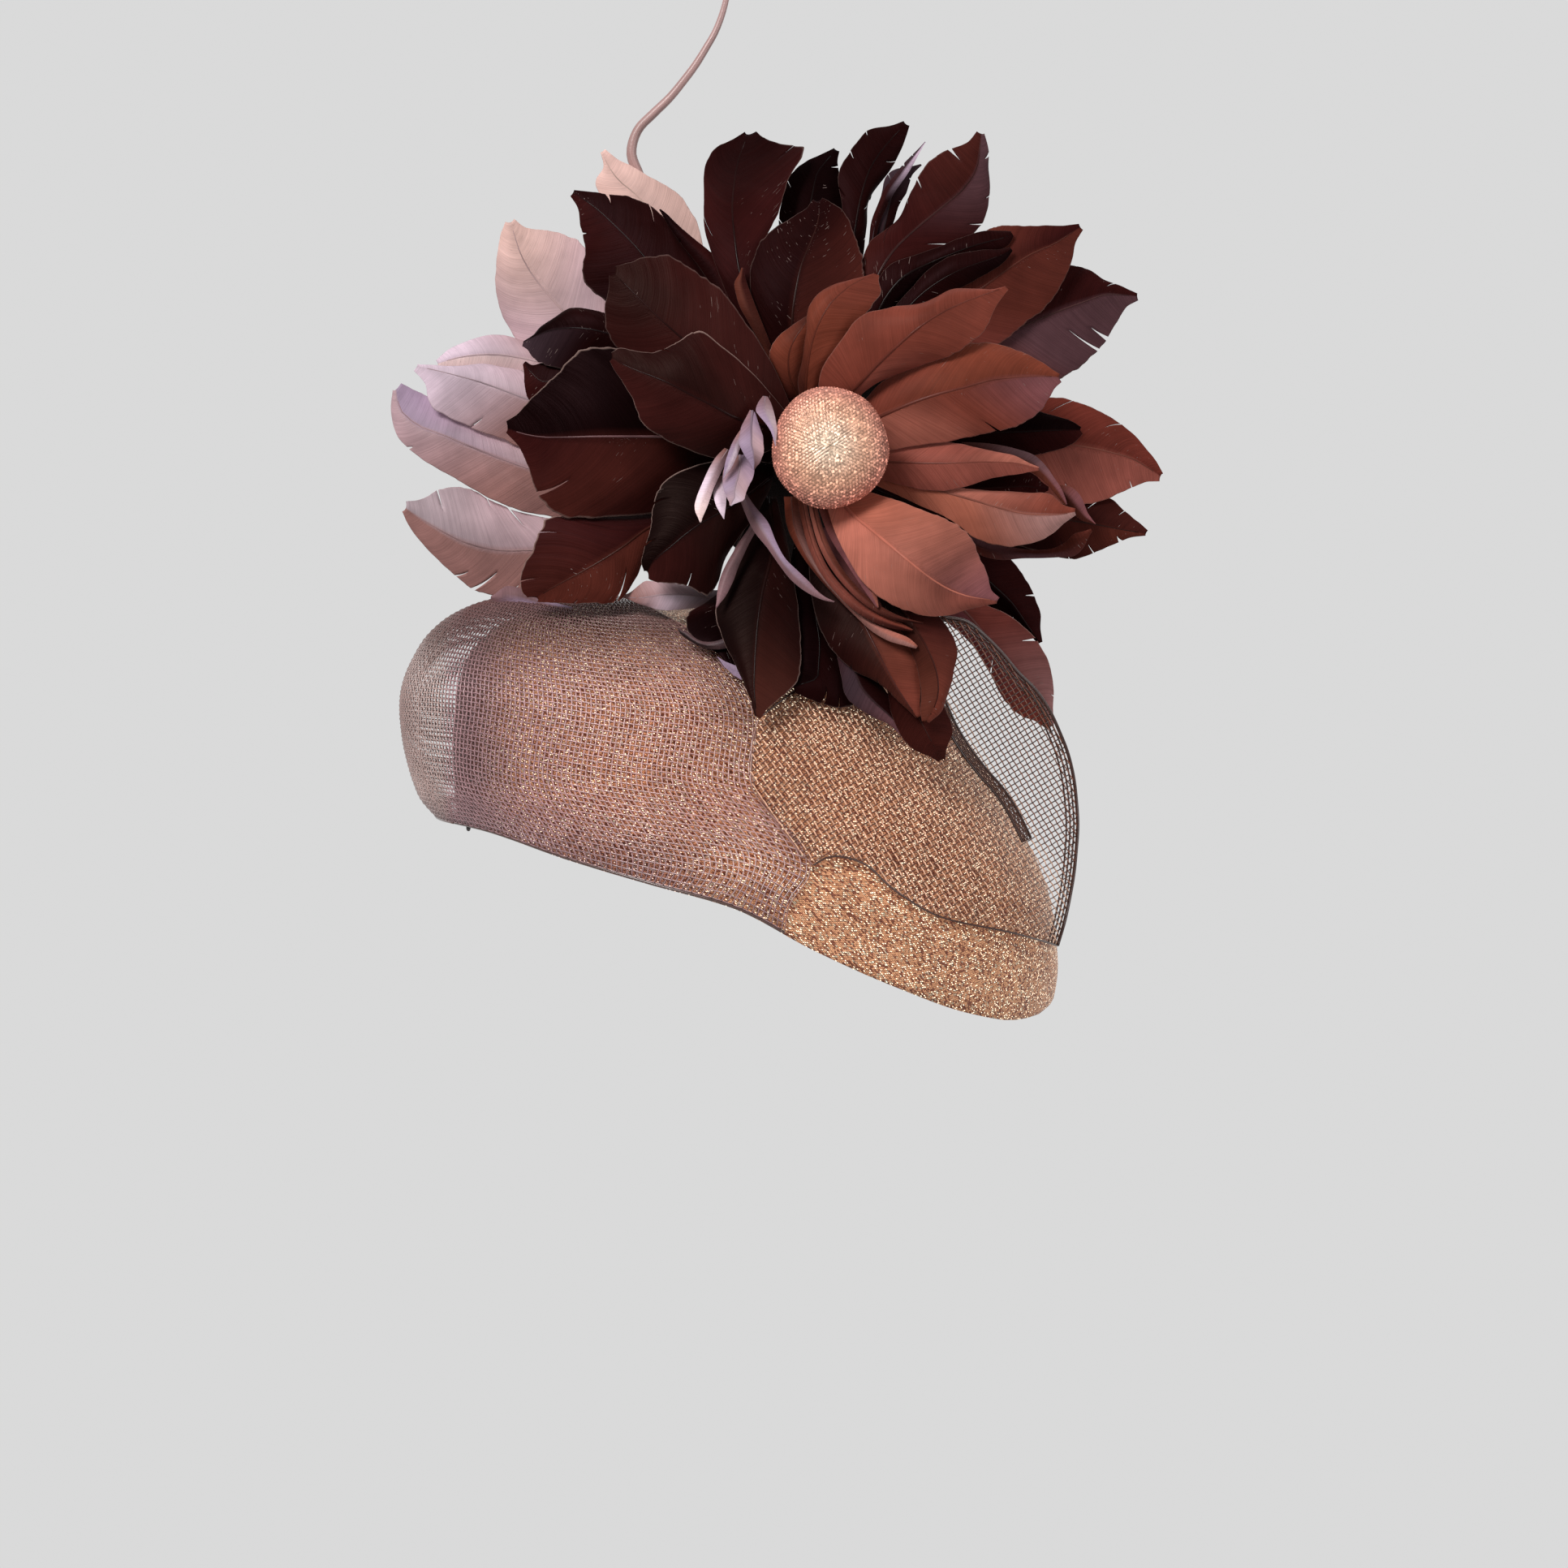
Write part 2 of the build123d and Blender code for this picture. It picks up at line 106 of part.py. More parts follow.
# ---- quill spine: (x, z, radius) ----
QUILL = [(4.87, 45.12, 1.8), (2.52, 56.38, 1.8), (-0.36, 66.84, 1.8), (-6.9, 98.24, 1.77), (-14.75, 129.64, 1.75), (-22.08, 155.81, 1.73), (-29.14, 171.51, 1.7), (-31.24, 178.05, 1.68), (-33.59, 184.59, 1.65), (-31.5, 192.44, 1.55), (-26.53, 197.68, 1.48), (-21.16, 202.91, 1.4), (-16.85, 208.14, 1.32), (-12.92, 213.38, 1.25), (-9.65, 218.61, 1.18), (-6.64, 223.84, 1.1), (-4.55, 229.08, 1.02), (-3.11, 234.31, 0.97), (-2.19, 244.78, 0.88), (-2.45, 257.86, 0.75), (-4.81, 273.56, 0.62), (-9.52, 289.26, 0.5), (-16.06, 302.34, 0.4), (-23.91, 312.81, 0.3)]

# ---- feather vanes: ten stations from root to tip, each (edge, rib, edge) ----
VANES = {
    "mauve_vane_top_narrow": [
        [(-5.31, -11.64, 114.21), (-6.59, -12, 113.4), (-7.89, -11.64, 113.43)],
        [(-6.07, -6.79, 126.67), (-9.04, -7.83, 124.68), (-13.5, -6.79, 123.99)],
        [(-7.96, -2.68, 139), (-12.06, -4.29, 135.8), (-19.37, -2.68, 134.39)],
        [(-9.89, 0.81, 151.32), (-15.8, -1.38, 146.65), (-25.28, 0.81, 144.76)],
        [(-12.65, 3.26, 162.47), (-20.58, 0.76, 156.18), (-30.09, 3.26, 154.71)],
        [(-18.39, 4.74, 171.22), (-26.02, 2.26, 164.3), (-35.57, 4.74, 163.23)],
        [(-26.66, 5.48, 176.11), (-32.04, 3.23, 170.9), (-42.46, 5.48, 169.19)],
        [(-33.16, 5.37, 179.94), (-37.62, 3.73, 175.58), (-44.82, 5.37, 175.32)],
        [(-38.24, 4.58, 182.58), (-40.86, 3.94, 180.15), (-42.31, 4.58, 179.89)],
        [(-41.87, 4.22, 185.44), (-42.79, 4, 184.59), (-43.29, 4.22, 184.49)],
    ],
    "mauve_vane_top": [
        [(-18.21, -11.68, 101.82), (-16.91, -12, 103.08), (-15.63, -11.68, 104.4)],
        [(-30.56, -6.73, 108.07), (-25.88, -7.55, 110.52), (-23.09, -6.73, 113.99)],
        [(-43.67, -2.22, 112.6), (-35.26, -3.73, 117.4), (-30.12, -2.22, 123.94)],
        [(-56.76, 1.71, 117.31), (-44.93, -0.54, 123.88), (-36.62, 1.71, 134.25)],
        [(-68.53, 4.86, 122.4), (-53.07, 1.86, 131.01), (-41.33, 4.86, 144.57)],
        [(-74.87, 6.59, 132.12), (-59.83, 3.6, 138.3), (-46.94, 6.59, 153.27)],
        [(-77.23, 7.14, 142.66), (-65.48, 4.79, 145.44), (-54.37, 7.14, 158.18)],
        [(-76.74, 6.92, 151.41), (-69.06, 5.47, 151.97), (-61.86, 6.92, 159.66)],
        [(-75.55, 6.53, 158.12), (-70.9, 5.82, 157.42), (-67.68, 6.53, 160.72)],
        [(-73.98, 6.25, 162.38), (-72.35, 6, 162.13), (-71.22, 6.25, 163.29)],
    ],
    "mauve_vane_left_low": [
        [(-14.3, -13.68, 72.79), (-14.3, -14, 71.23), (-14.3, -13.68, 69.7)],
        [(-27.18, -9.88, 69.35), (-26.58, -10.95, 65.46), (-25.97, -9.88, 59.08)],
        [(-40.29, -6.82, 66.72), (-39.09, -8.53, 60.11), (-39.01, -6.82, 50.16)],
        [(-53.61, -4.48, 66.04), (-52.06, -6.74, 56.22), (-53.62, -4.48, 44.11)],
        [(-65.98, -2.97, 67.67), (-64.71, -5.64, 56.26), (-68.24, -2.97, 41.83)],
        [(-76.79, -2.1, 71.69), (-76.38, -5.1, 56.32), (-81.76, -2.1, 42.99)],
        [(-86.21, -2.27, 76.18), (-86.73, -5.01, 58.85), (-91.64, -2.27, 50.05)],
        [(-94.37, -3.28, 75.62), (-94.55, -5.23, 62.76), (-98.76, -3.28, 57.25)],
        [(-100.23, -4.55, 72.5), (-100.35, -5.58, 66.28), (-103.78, -4.55, 63.24)],
        [(-105.06, -5.64, 71.79), (-105.11, -6, 69.61), (-106.31, -5.64, 68.54)],
    ],
    "mauve_vane_left_mid": [
        [(-14.25, -16.37, 77.27), (-14.24, -16.94, 75.69), (-14.25, -16.37, 74.18)],
        [(-27.83, -11.52, 81.03), (-28.85, -13.66, 75.26), (-30.01, -11.52, 69.54)],
        [(-41.43, -7.73, 84.82), (-43.43, -11.22, 76.54), (-46.2, -7.73, 66.26)],
        [(-55.15, -4.84, 88.18), (-57.79, -8.84, 79.66), (-62.69, -4.84, 67.54)],
        [(-67.87, -3.87, 91.05), (-70.75, -7.68, 83.92), (-77.27, -3.87, 72.3)],
        [(-79.48, -3.01, 94.27), (-82.56, -6.31, 88.41), (-89.66, -3.01, 79.23)],
        [(-89.32, -0.73, 99.62), (-93.28, -3.97, 93.06), (-100.92, -0.73, 86.08)],
        [(-96.91, 1.71, 104.88), (-102.18, -1.23, 96.81), (-108.62, 1.71, 93.69)],
        [(-103.01, 2.14, 107.88), (-107.52, 0.37, 101.83), (-110.51, 2.14, 101.64)],
        [(-107.19, 1.73, 110.11), (-108.77, 1.11, 107.99), (-109.82, 1.73, 107.92)],
    ],
    "mauve_vane_left_b": [
        [(-14.28, -14.8, 92.31), (-14.27, -15.36, 90.98), (-14.28, -14.8, 89.73)],
        [(-23.76, -10.96, 101.61), (-24.38, -12.36, 98.06), (-24.97, -10.96, 95.3)],
        [(-34.22, -6.64, 109.86), (-34.87, -8.81, 104.68), (-36.08, -6.64, 100.09)],
        [(-45.53, -2.78, 116.88), (-45.79, -5.58, 110.64), (-47.53, -2.78, 104.13)],
        [(-57.16, 0.16, 121.13), (-56.6, -2.75, 114.74), (-58.22, 0.16, 107.73)],
        [(-68.28, 2.87, 123.82), (-66.87, -0.01, 117.73), (-68.29, 2.87, 110.48)],
        [(-78.35, 5, 126.01), (-76.52, 2, 119.2), (-77.7, 5, 112.14)],
        [(-86.54, 6.17, 124.02), (-84.49, 3.8, 119.13), (-85.43, 6.17, 113.11)],
        [(-92.45, 6.39, 121.11), (-90.6, 4.87, 118.19), (-91.34, 6.39, 114.16)],
        [(-96.32, 6.11, 117.66), (-95.68, 5.57, 116.64), (-95.94, 6.11, 115.23)],
    ],
    "mauve_vane_left_a": [
        [(-14.21, -18.45, 85.37), (-14.2, -18.93, 84.05), (-14.21, -18.45, 82.54)],
        [(-24.33, -14.4, 94.34), (-26.21, -16.58, 88.82), (-28.23, -14.4, 82.1)],
        [(-35.31, -11.36, 102), (-38.21, -14.7, 93.64), (-42.24, -11.36, 83.46)],
        [(-47.45, -9.24, 107.74), (-50.22, -13.18, 98.41), (-56.09, -9.24, 86.04)],
        [(-59.46, -7.52, 111.15), (-61.58, -11.52, 102.43), (-68.79, -7.52, 89.33)],
        [(-70.61, -6.29, 113.98), (-72.04, -10.07, 106.26), (-80.07, -6.29, 93.64)],
        [(-80.96, -4.7, 115.81), (-81.69, -8.07, 109.77), (-90.31, -4.7, 98.11)],
        [(-89.53, -3.95, 114.84), (-89.8, -6.34, 112.09), (-97.59, -3.95, 103.14)],
        [(-96.09, -3.26, 115.46), (-96.19, -4.35, 113.83), (-99.25, -3.26, 109.79)],
        [(-101.65, -2.77, 115.67), (-101.69, -3.16, 115.1), (-102.76, -2.77, 113.68)],
    ],
    "mauve_slips_a": [
        [(-50.66, -37.7, 36.88), (-50.65, -38, 35.86), (-50.66, -37.7, 34.85)],
        [(-54.56, -35.11, 37.94), (-54.52, -35.48, 36.65), (-54.52, -35.11, 35.39)],
        [(-58.43, -32.48, 39.16), (-58.39, -32.96, 37.48), (-58.39, -32.48, 35.84)],
        [(-62.24, -29.78, 40.63), (-62.23, -30.44, 38.33), (-62.3, -29.78, 36.09)],
        [(-65.56, -27.22, 42.49), (-65.7, -28.1, 39.41), (-65.94, -27.22, 36.4)],
        [(-68.82, -24.94, 43.63), (-69, -25.94, 40.15), (-69.3, -24.94, 36.74)],
        [(-72, -22.99, 44.01), (-72.12, -23.96, 40.62), (-72.34, -22.99, 37.3)],
        [(-74.16, -21.61, 42.86), (-74.44, -22.34, 40.34), (-74.8, -21.61, 37.88)],
        [(-75.74, -20.73, 41.64), (-75.9, -21.08, 40.42), (-76.11, -20.73, 39.23)],
        [(-77.03, -19.88, 41.02), (-77.09, -20, 40.59), (-77.16, -19.88, 40.17)],
    ],
    "dark_vane_side_upper": [
        [(47.93, -21.13, 73.39), (46.63, -22, 71.8), (45.36, -21.13, 70.31)],
        [(57.42, -14.37, 69.27), (54.31, -16.23, 66.27), (51.41, -14.37, 63.12)],
        [(67.01, -8.41, 65.17), (62.05, -11.25, 60.69), (57.59, -8.41, 55.93)],
        [(76.71, -3.41, 61.14), (69.87, -7.05, 55.12), (64.57, -3.41, 49.32)],
        [(85.01, 0.15, 56.09), (77.09, -3.85, 49.82), (71.29, 0.15, 43.43)],
        [(91.3, 2.03, 49.83), (83.38, -1.5, 44.42), (78.57, 2.03, 39.36)],
        [(95.65, 2.87, 42.83), (88.89, 0.15, 39.23), (85.23, 2.87, 35.59)],
        [(97.8, 2.93, 36.52), (92.46, 1.14, 34.14), (90.55, 2.93, 32.35)],
        [(97.88, 2.55, 31.26), (95.23, 1.69, 30.17), (94.35, 2.55, 29.34)],
        [(98.53, 2.3, 27.14), (97.6, 2, 26.76), (97.29, 2.3, 26.47)],
    ],
    "dark_vane_side_lower": [
        [(49.43, -23.04, 60.98), (47.87, -24, 59.39), (46.35, -23.04, 57.9)],
        [(58.27, -20.22, 52.67), (55.45, -21.73, 51.18), (52.76, -20.22, 48.59)],
        [(67.8, -16.74, 45.13), (63.57, -18.83, 43.5), (59.89, -16.74, 39.81)],
        [(78.33, -12.65, 39.13), (72.57, -15.3, 36.71), (68.36, -12.65, 32.2)],
        [(88.55, -8.11, 34.51), (79.67, -11.46, 28.99), (76.31, -8.11, 25.19)],
        [(96.38, -3.44, 27.41), (86.57, -7.44, 22.13), (81.35, -3.44, 16.75)],
        [(100.69, 0.57, 19.2), (92.52, -3.35, 15.41), (85.84, 0.57, 8.88)],
        [(102.11, 3.15, 11.43), (97.33, 0.29, 9.86), (91.3, 3.15, 3.82)],
        [(102.1, 4.74, 5.31), (99.56, 3.3, 4.6), (96.64, 4.74, 1.48)],
        [(102.35, 6.5, 0.32), (101.46, 6, 0.07), (100.44, 6.5, -1.02)],
    ],
    "dark_backing_vanes_d": [
        [(40.13, -27.77, 77.6), (39.61, -28, 76.06), (39.1, -27.77, 74.54)],
        [(49.67, -27.78, 75.61), (48.42, -28.28, 72.35), (47.2, -27.78, 69.14)],
        [(59.31, -27.84, 74.25), (57.57, -28.56, 69.48), (55.87, -27.84, 64.79)],
        [(68.99, -27.91, 73.14), (66.87, -28.84, 67), (64.81, -27.91, 60.96)],
        [(77.8, -28.11, 71.15), (75.55, -29.1, 64.62), (73.38, -28.11, 58.19)],
        [(85.91, -28.34, 69.17), (83.63, -29.34, 62.55), (81.43, -28.34, 56.03)],
        [(92.91, -28.71, 66.21), (90.91, -29.56, 60.64), (88.98, -28.71, 55.15)],
        [(98.5, -29.07, 63.39), (96.81, -29.74, 59), (95.2, -29.07, 54.68)],
        [(101.9, -29.5, 60.23), (100.88, -29.88, 57.79), (99.91, -29.5, 55.39)],
        [(104.23, -29.87, 57.4), (103.87, -30, 56.55), (103.53, -29.87, 55.71)],
    ],
    "dark_backing_vanes_b": [
        [(41.15, -27.79, 92.93), (41.15, -28, 91), (41.15, -27.79, 89.1)],
        [(49.63, -27.39, 96.68), (49.54, -28, 91.03), (49.47, -27.39, 85.47)],
        [(58.67, -27.21, 98.7), (58.53, -28, 91.33), (58.43, -27.21, 84.08)],
        [(67.73, -27.03, 100.63), (67.55, -28, 91.65), (67.43, -27.03, 82.81)],
        [(76.3, -27.01, 101.37), (76.04, -28, 92.13), (75.86, -27.01, 83.03)],
        [(84.2, -27, 101.79), (83.88, -28, 92.51), (83.64, -27, 83.36)],
        [(91.42, -27.11, 100.88), (91.01, -28, 92.62), (90.68, -27.11, 84.48)],
        [(96.15, -27.35, 97.76), (96.18, -28, 91.7), (96.27, -27.35, 85.73)],
        [(99.41, -27.7, 94.47), (99.42, -28, 91.67), (99.46, -27.7, 88.91)],
        [(102.19, -27.89, 92.62), (102.2, -28, 91.64), (102.21, -27.89, 90.67)],
    ],
    "dark_backing_vanes_a": [
        [(20.45, -27.78, 100.6), (22.37, -28, 99.94), (24.29, -27.78, 99.32)],
        [(23.88, -26.96, 107.5), (27.93, -27.44, 106.1), (32, -26.96, 104.78)],
        [(27.37, -26.18, 114.37), (33.36, -26.88, 112.46), (39.36, -26.18, 110.67)],
        [(31.31, -25.48, 120.99), (38.66, -26.32, 119.11), (46.03, -25.48, 117.38)],
        [(34.92, -24.84, 127.17), (43.36, -25.8, 125.49), (51.84, -24.84, 123.99)],
        [(37.86, -24.32, 133.1), (46.77, -25.32, 131.88), (55.72, -24.32, 130.86)],
        [(40.56, -23.95, 138.52), (48.93, -24.88, 138.23), (57.34, -23.95, 138.13)],
        [(42.76, -23.9, 142.93), (48.34, -24.52, 142.65), (53.95, -23.9, 142.51)],
        [(45.04, -23.94, 145.95), (47.71, -24.24, 145.74), (50.4, -23.94, 145.61)],
        [(46.42, -23.9, 148.33), (47.36, -24, 148.26), (48.3, -23.9, 148.21)],
    ],
    "dark_backing_vanes_c": [
        [(6.4, -27.75, 82.71), (6.4, -28, 81.17), (6.4, -27.75, 79.65)],
        [(-2.41, -27.2, 79.81), (-1.77, -27.72, 76.7), (-1.14, -27.2, 73.65)],
        [(-11.24, -26.7, 76.9), (-10.13, -27.44, 72.53), (-9.05, -26.7, 68.24)],
        [(-20.06, -26.33, 73.99), (-18.92, -27.16, 69.04), (-17.81, -26.33, 64.18)],
        [(-28.42, -25.99, 71.91), (-27.28, -26.9, 66.42), (-26.19, -25.99, 61.03)],
        [(-36.29, -25.66, 70.62), (-35.18, -26.66, 64.59), (-34.13, -25.66, 58.67)],
        [(-43.5, -25.47, 69.39), (-42.51, -26.44, 63.54), (-41.6, -25.47, 57.79)],
        [(-49.39, -25.38, 68.35), (-48.57, -26.26, 63.02), (-47.81, -25.38, 57.79)],
        [(-52.77, -25.62, 65.68), (-52.33, -26.12, 62.62), (-51.93, -25.62, 59.61)],
        [(-55.15, -25.82, 63.44), (-54.99, -26, 62.36), (-54.86, -25.82, 61.31)],
    ],
    "dark_vane_right_wide": [
        [(55.47, -27.37, 113.92), (56.22, -28, 111.82), (57.51, -27.37, 109.32)],
        [(65.27, -27.79, 120.31), (66.03, -29.29, 115.39), (68.89, -27.79, 108.96)],
        [(75.01, -27.38, 126.93), (75.84, -29.79, 119.06), (80.28, -27.38, 108.41)],
        [(84.68, -26.16, 133.78), (85.39, -29.51, 123.47), (91.71, -26.16, 107.98)],
        [(93.78, -24.55, 140.09), (94.5, -28.55, 127.17), (102.27, -24.55, 109.31)],
        [(102.63, -23.12, 145.09), (102.89, -27.06, 130.79), (110.61, -23.12, 114.61)],
        [(111.11, -22.19, 144.4), (110.77, -25.19, 133.8), (116.81, -22.19, 121.08)],
        [(117.49, -21.62, 140.4), (117.32, -23.3, 136.11), (120.76, -21.62, 127.35)],
        [(123.08, -20.82, 138.55), (122.66, -21.61, 136.07), (123.8, -20.82, 132.29)],
        [(127.43, -19.72, 136.72), (127.29, -20, 135.85), (127.68, -19.72, 134.53)],
    ],
    "dark_vane_right_split_a": [
        [(62.56, -29.28, 77), (62.55, -29.89, 74.92), (62.56, -29.28, 72.92)],
        [(72.6, -30.12, 76.09), (71.73, -31.49, 72.29), (71.06, -30.12, 67.13)],
        [(82.65, -30.3, 75.15), (80.92, -32.39, 69.7), (79.76, -30.3, 61.69)],
        [(92.68, -30.33, 74), (90.2, -33, 67.45), (88.8, -30.33, 56.82)],
        [(101.99, -30.35, 72.9), (98.84, -33.27, 65.46), (97.91, -30.35, 54.07)],
        [(110.61, -29.9, 71.89), (106.93, -32.9, 64.06), (106.48, -29.9, 52.47)],
        [(118.5, -29.68, 71.28), (114.38, -32.27, 62.87), (114.26, -29.68, 54.68)],
        [(123.14, -29.96, 66.82), (120.47, -31.47, 61.7), (120.31, -29.96, 57.23)],
        [(127.14, -29.98, 63.77), (125.23, -30.75, 60.9), (125.09, -29.98, 59.1)],
        [(129.99, -29.83, 61.27), (129.33, -30.1, 60.27), (129.28, -29.83, 59.64)],
    ],
    "dark_vane_right_tip": [
        [(57.45, -29.49, 94.85), (57.44, -30.12, 92.26), (57.45, -29.49, 89.75)],
        [(69.17, -31.33, 98.42), (68.33, -33.02, 91.11), (67.91, -31.33, 84.82)],
        [(81.02, -33.19, 101.35), (79.18, -35.88, 90.03), (78.27, -33.19, 79.74)],
        [(93.17, -33.79, 102.82), (90.07, -37.34, 89.15), (88.5, -33.79, 74.43)],
        [(104.51, -34.01, 102.11), (100.18, -38.01, 88.19), (98.37, -34.01, 70.32)],
        [(114.46, -33.18, 98.55), (109.57, -36.89, 87.1), (108.2, -33.18, 69.19)],
        [(122.64, -32.14, 93.45), (118.13, -35, 85.45), (117.11, -32.14, 70.97)],
        [(128.42, -30.86, 88.01), (125.06, -32.65, 83.56), (123.86, -30.86, 74.26)],
        [(132.47, -29.08, 83.4), (129.96, -30.02, 80.96), (129.37, -29.08, 76.45)],
        [(134.94, -27.23, 79.31), (134.06, -27.55, 78.46), (133.85, -27.23, 76.88)],
    ],
    "dark_vane_right_split_c": [
        [(59.94, -31.85, 76.33), (59.93, -32.17, 74.79), (59.94, -31.85, 73.28)],
        [(65.7, -32.37, 76.58), (65.58, -32.82, 74.48), (65.49, -32.37, 72.43)],
        [(71.42, -33.67, 76.89), (71.19, -34.25, 74.18), (71.01, -33.67, 71.55)],
        [(77.09, -34.89, 77.61), (76.78, -35.63, 74.12), (76.53, -34.89, 70.71)],
        [(82.34, -36.12, 78.33), (81.97, -36.98, 74.26), (81.68, -36.12, 70.28)],
        [(87.2, -37.05, 78.96), (86.77, -38.02, 74.42), (86.44, -37.05, 69.99)],
        [(91.68, -37.54, 79.4), (91.19, -38.54, 74.71), (90.81, -37.54, 70.15)],
        [(94.63, -37.83, 77.83), (94.43, -38.6, 74.18), (94.31, -37.83, 70.62)],
        [(96.6, -37.94, 75.73), (96.51, -38.3, 74.04), (96.45, -37.94, 72.4)],
        [(98.34, -37.6, 74.54), (98.31, -37.73, 73.95), (98.29, -37.6, 73.37)],
    ],
    "dark_vane_right_inner": [
        [(54.83, -32.5, 93.11), (54.81, -33.06, 91.54), (54.83, -32.5, 89.8)],
        [(62.55, -34.28, 94.53), (62.27, -35.36, 91.38), (62.71, -34.28, 88.24)],
        [(70.28, -35.94, 95.88), (69.71, -37.51, 91.23), (70.6, -35.94, 86.78)],
        [(78.03, -37.25, 97.08), (77.14, -39.26, 91.18), (78.51, -37.25, 85.47)],
        [(85.25, -38.12, 98.11), (84.05, -40.43, 91.33), (85.9, -38.12, 84.72)],
        [(91.96, -38.63, 98.79), (90.43, -41.13, 91.5), (92.76, -38.63, 84.32)],
        [(97.69, -39, 97.39), (96.3, -41.08, 91.79), (98.95, -39, 85.43)],
        [(102.47, -39.01, 95.89), (101.14, -40.58, 92.02), (103.86, -39.01, 86.87)],
        [(105.94, -39.09, 94.66), (104.91, -40.08, 92.06), (107.23, -39.09, 89.03)],
        [(108.52, -39, 93.02), (108.17, -39.35, 92.11), (108.98, -39, 91.05)],
    ],
    "dark_vane_right_upper": [
        [(45.93, -31.5, 113.57), (47.2, -32, 112.25), (48.48, -31.5, 110.76)],
        [(53.41, -32.66, 122.48), (55.2, -34.13, 119), (59.68, -32.66, 113.36)],
        [(60.41, -32.94, 131.84), (63.31, -35.47, 125.67), (70.93, -32.94, 115.87)],
        [(67.15, -32.49, 141.49), (71.57, -36.03, 132.24), (81.92, -32.49, 119.15)],
        [(73.43, -31.85, 150.48), (79.43, -35.85, 138.2), (90.56, -31.85, 125.54)],
        [(81.07, -31.13, 156.25), (86.8, -35.08, 143.64), (98.14, -31.13, 131.72)],
        [(90.26, -30.99, 156.79), (93.9, -33.87, 148.16), (103.2, -30.99, 139.27)],
        [(97.82, -30.7, 157.12), (100.24, -32.52, 151), (106.07, -30.7, 146.08)],
        [(103.7, -30.4, 157.07), (104.82, -31.25, 153.95), (107.34, -30.4, 151.75)],
        [(108.33, -29.7, 157.65), (108.72, -30, 156.56), (109.6, -29.7, 155.79)],
    ],
    "dark_vane_crown_split_a": [
        [(20.45, -29.49, 114.5), (22.23, -30, 114.46), (23.77, -29.49, 114.5)],
        [(18.82, -27.44, 125.27), (21.94, -28.36, 124.24), (24.8, -27.44, 124.16)],
        [(17.37, -24.89, 136.15), (21.81, -26.26, 134.09), (26.08, -24.89, 133.85)],
        [(16.1, -21.78, 147.14), (22.1, -23.68, 144.02), (28.13, -21.78, 143.51)],
        [(14.16, -18.26, 157.25), (22.61, -20.87, 153.29), (30.7, -18.26, 152.39)],
        [(14.71, -14.91, 166.87), (23.46, -17.91, 161.9), (33.51, -14.91, 160.5)],
        [(17.63, -12.11, 174.97), (24.79, -14.9, 169.75), (34.85, -12.11, 168.23)],
        [(22.84, -10.4, 179.65), (26.34, -12.22, 176.15), (33.73, -10.4, 174.51)],
        [(27.69, -9.15, 182.17), (29.37, -10, 180.19), (32.56, -9.15, 179.32)],
        [(31.57, -7.7, 184.28), (32.16, -8, 183.58), (33.27, -7.7, 183.28)],
    ],
    "dark_vane_crown_split_b": [
        [(26.83, -29.44, 114.51), (28.36, -30.12, 114.45), (29.89, -29.44, 114.51)],
        [(29.1, -27.51, 126.92), (31.98, -28.9, 125.23), (35, -27.51, 124.67)],
        [(31.4, -25.26, 139.39), (34.85, -26.99, 136.29), (38.24, -25.26, 135.51)],
        [(33.43, -22.28, 152.02), (36.8, -24.15, 147.71), (40.23, -22.28, 146.88)],
        [(33.96, -18.71, 164.01), (38.3, -20.9, 158.47), (41.64, -18.71, 157.64)],
        [(32.98, -14.77, 175.15), (40.16, -17.51, 168.37), (43.04, -14.77, 167.67)],
        [(37.63, -11.04, 184.15), (43.05, -14.04, 177.26), (48.16, -11.04, 175.31)],
        [(42.97, -8.23, 190.39), (47.15, -10.93, 183.74), (52, -8.23, 181.86)],
        [(49.13, -6.89, 191.42), (50.94, -8.34, 188.36), (54.32, -6.89, 187.22)],
        [(53.82, -5.49, 193.2), (54.45, -6, 192.13), (55.64, -5.49, 191.73)],
    ],
    "dark_vane_crown_split_d": [
        [(43.41, -29.77, 146.37), (44.3, -30, 146.1), (45.2, -29.77, 145.86)],
        [(44.13, -27.34, 152.03), (45.62, -27.76, 151.19), (47.12, -27.34, 150.45)],
        [(44.86, -24.91, 157.69), (46.94, -25.52, 156.3), (49.04, -24.91, 155.04)],
        [(45.72, -22.54, 163.35), (48.12, -23.28, 161.49), (50.56, -22.54, 159.8)],
        [(46.57, -20.36, 168.61), (49.21, -21.2, 166.33), (51.88, -20.36, 164.26)],
        [(47.71, -18.28, 173.41), (50.76, -19.28, 170.61), (53.86, -18.28, 168.06)],
        [(50.67, -16.72, 176.39), (52.91, -17.52, 173.95), (55.2, -16.72, 171.7)],
        [(54.07, -15.66, 177.31), (55.13, -16.08, 175.92), (56.22, -15.66, 174.64)],
        [(56.81, -14.77, 177.78), (57.3, -14.96, 177.14), (57.8, -14.77, 176.55)],
        [(58.98, -13.93, 178.41), (59.16, -14, 178.18), (59.33, -13.93, 177.98)],
    ],
    "dark_vane_crown_split_c": [
        [(41.6, -31.53, 146.19), (42.36, -31.83, 145.9), (43.13, -31.53, 145.68)],
        [(42.35, -29, 152.4), (43.33, -29.39, 151.99), (44.32, -29, 151.67)],
        [(43.11, -26.5, 158.63), (44.3, -26.98, 158.1), (45.51, -26.5, 157.67)],
        [(45.25, -24.06, 164.51), (46.53, -24.58, 163.84), (47.83, -24.06, 163.29)],
        [(47.5, -21.69, 169.91), (48.95, -22.29, 169.07), (50.42, -21.69, 168.37)],
        [(50.66, -19.33, 174.31), (52.02, -19.9, 173.46), (53.39, -19.33, 172.74)],
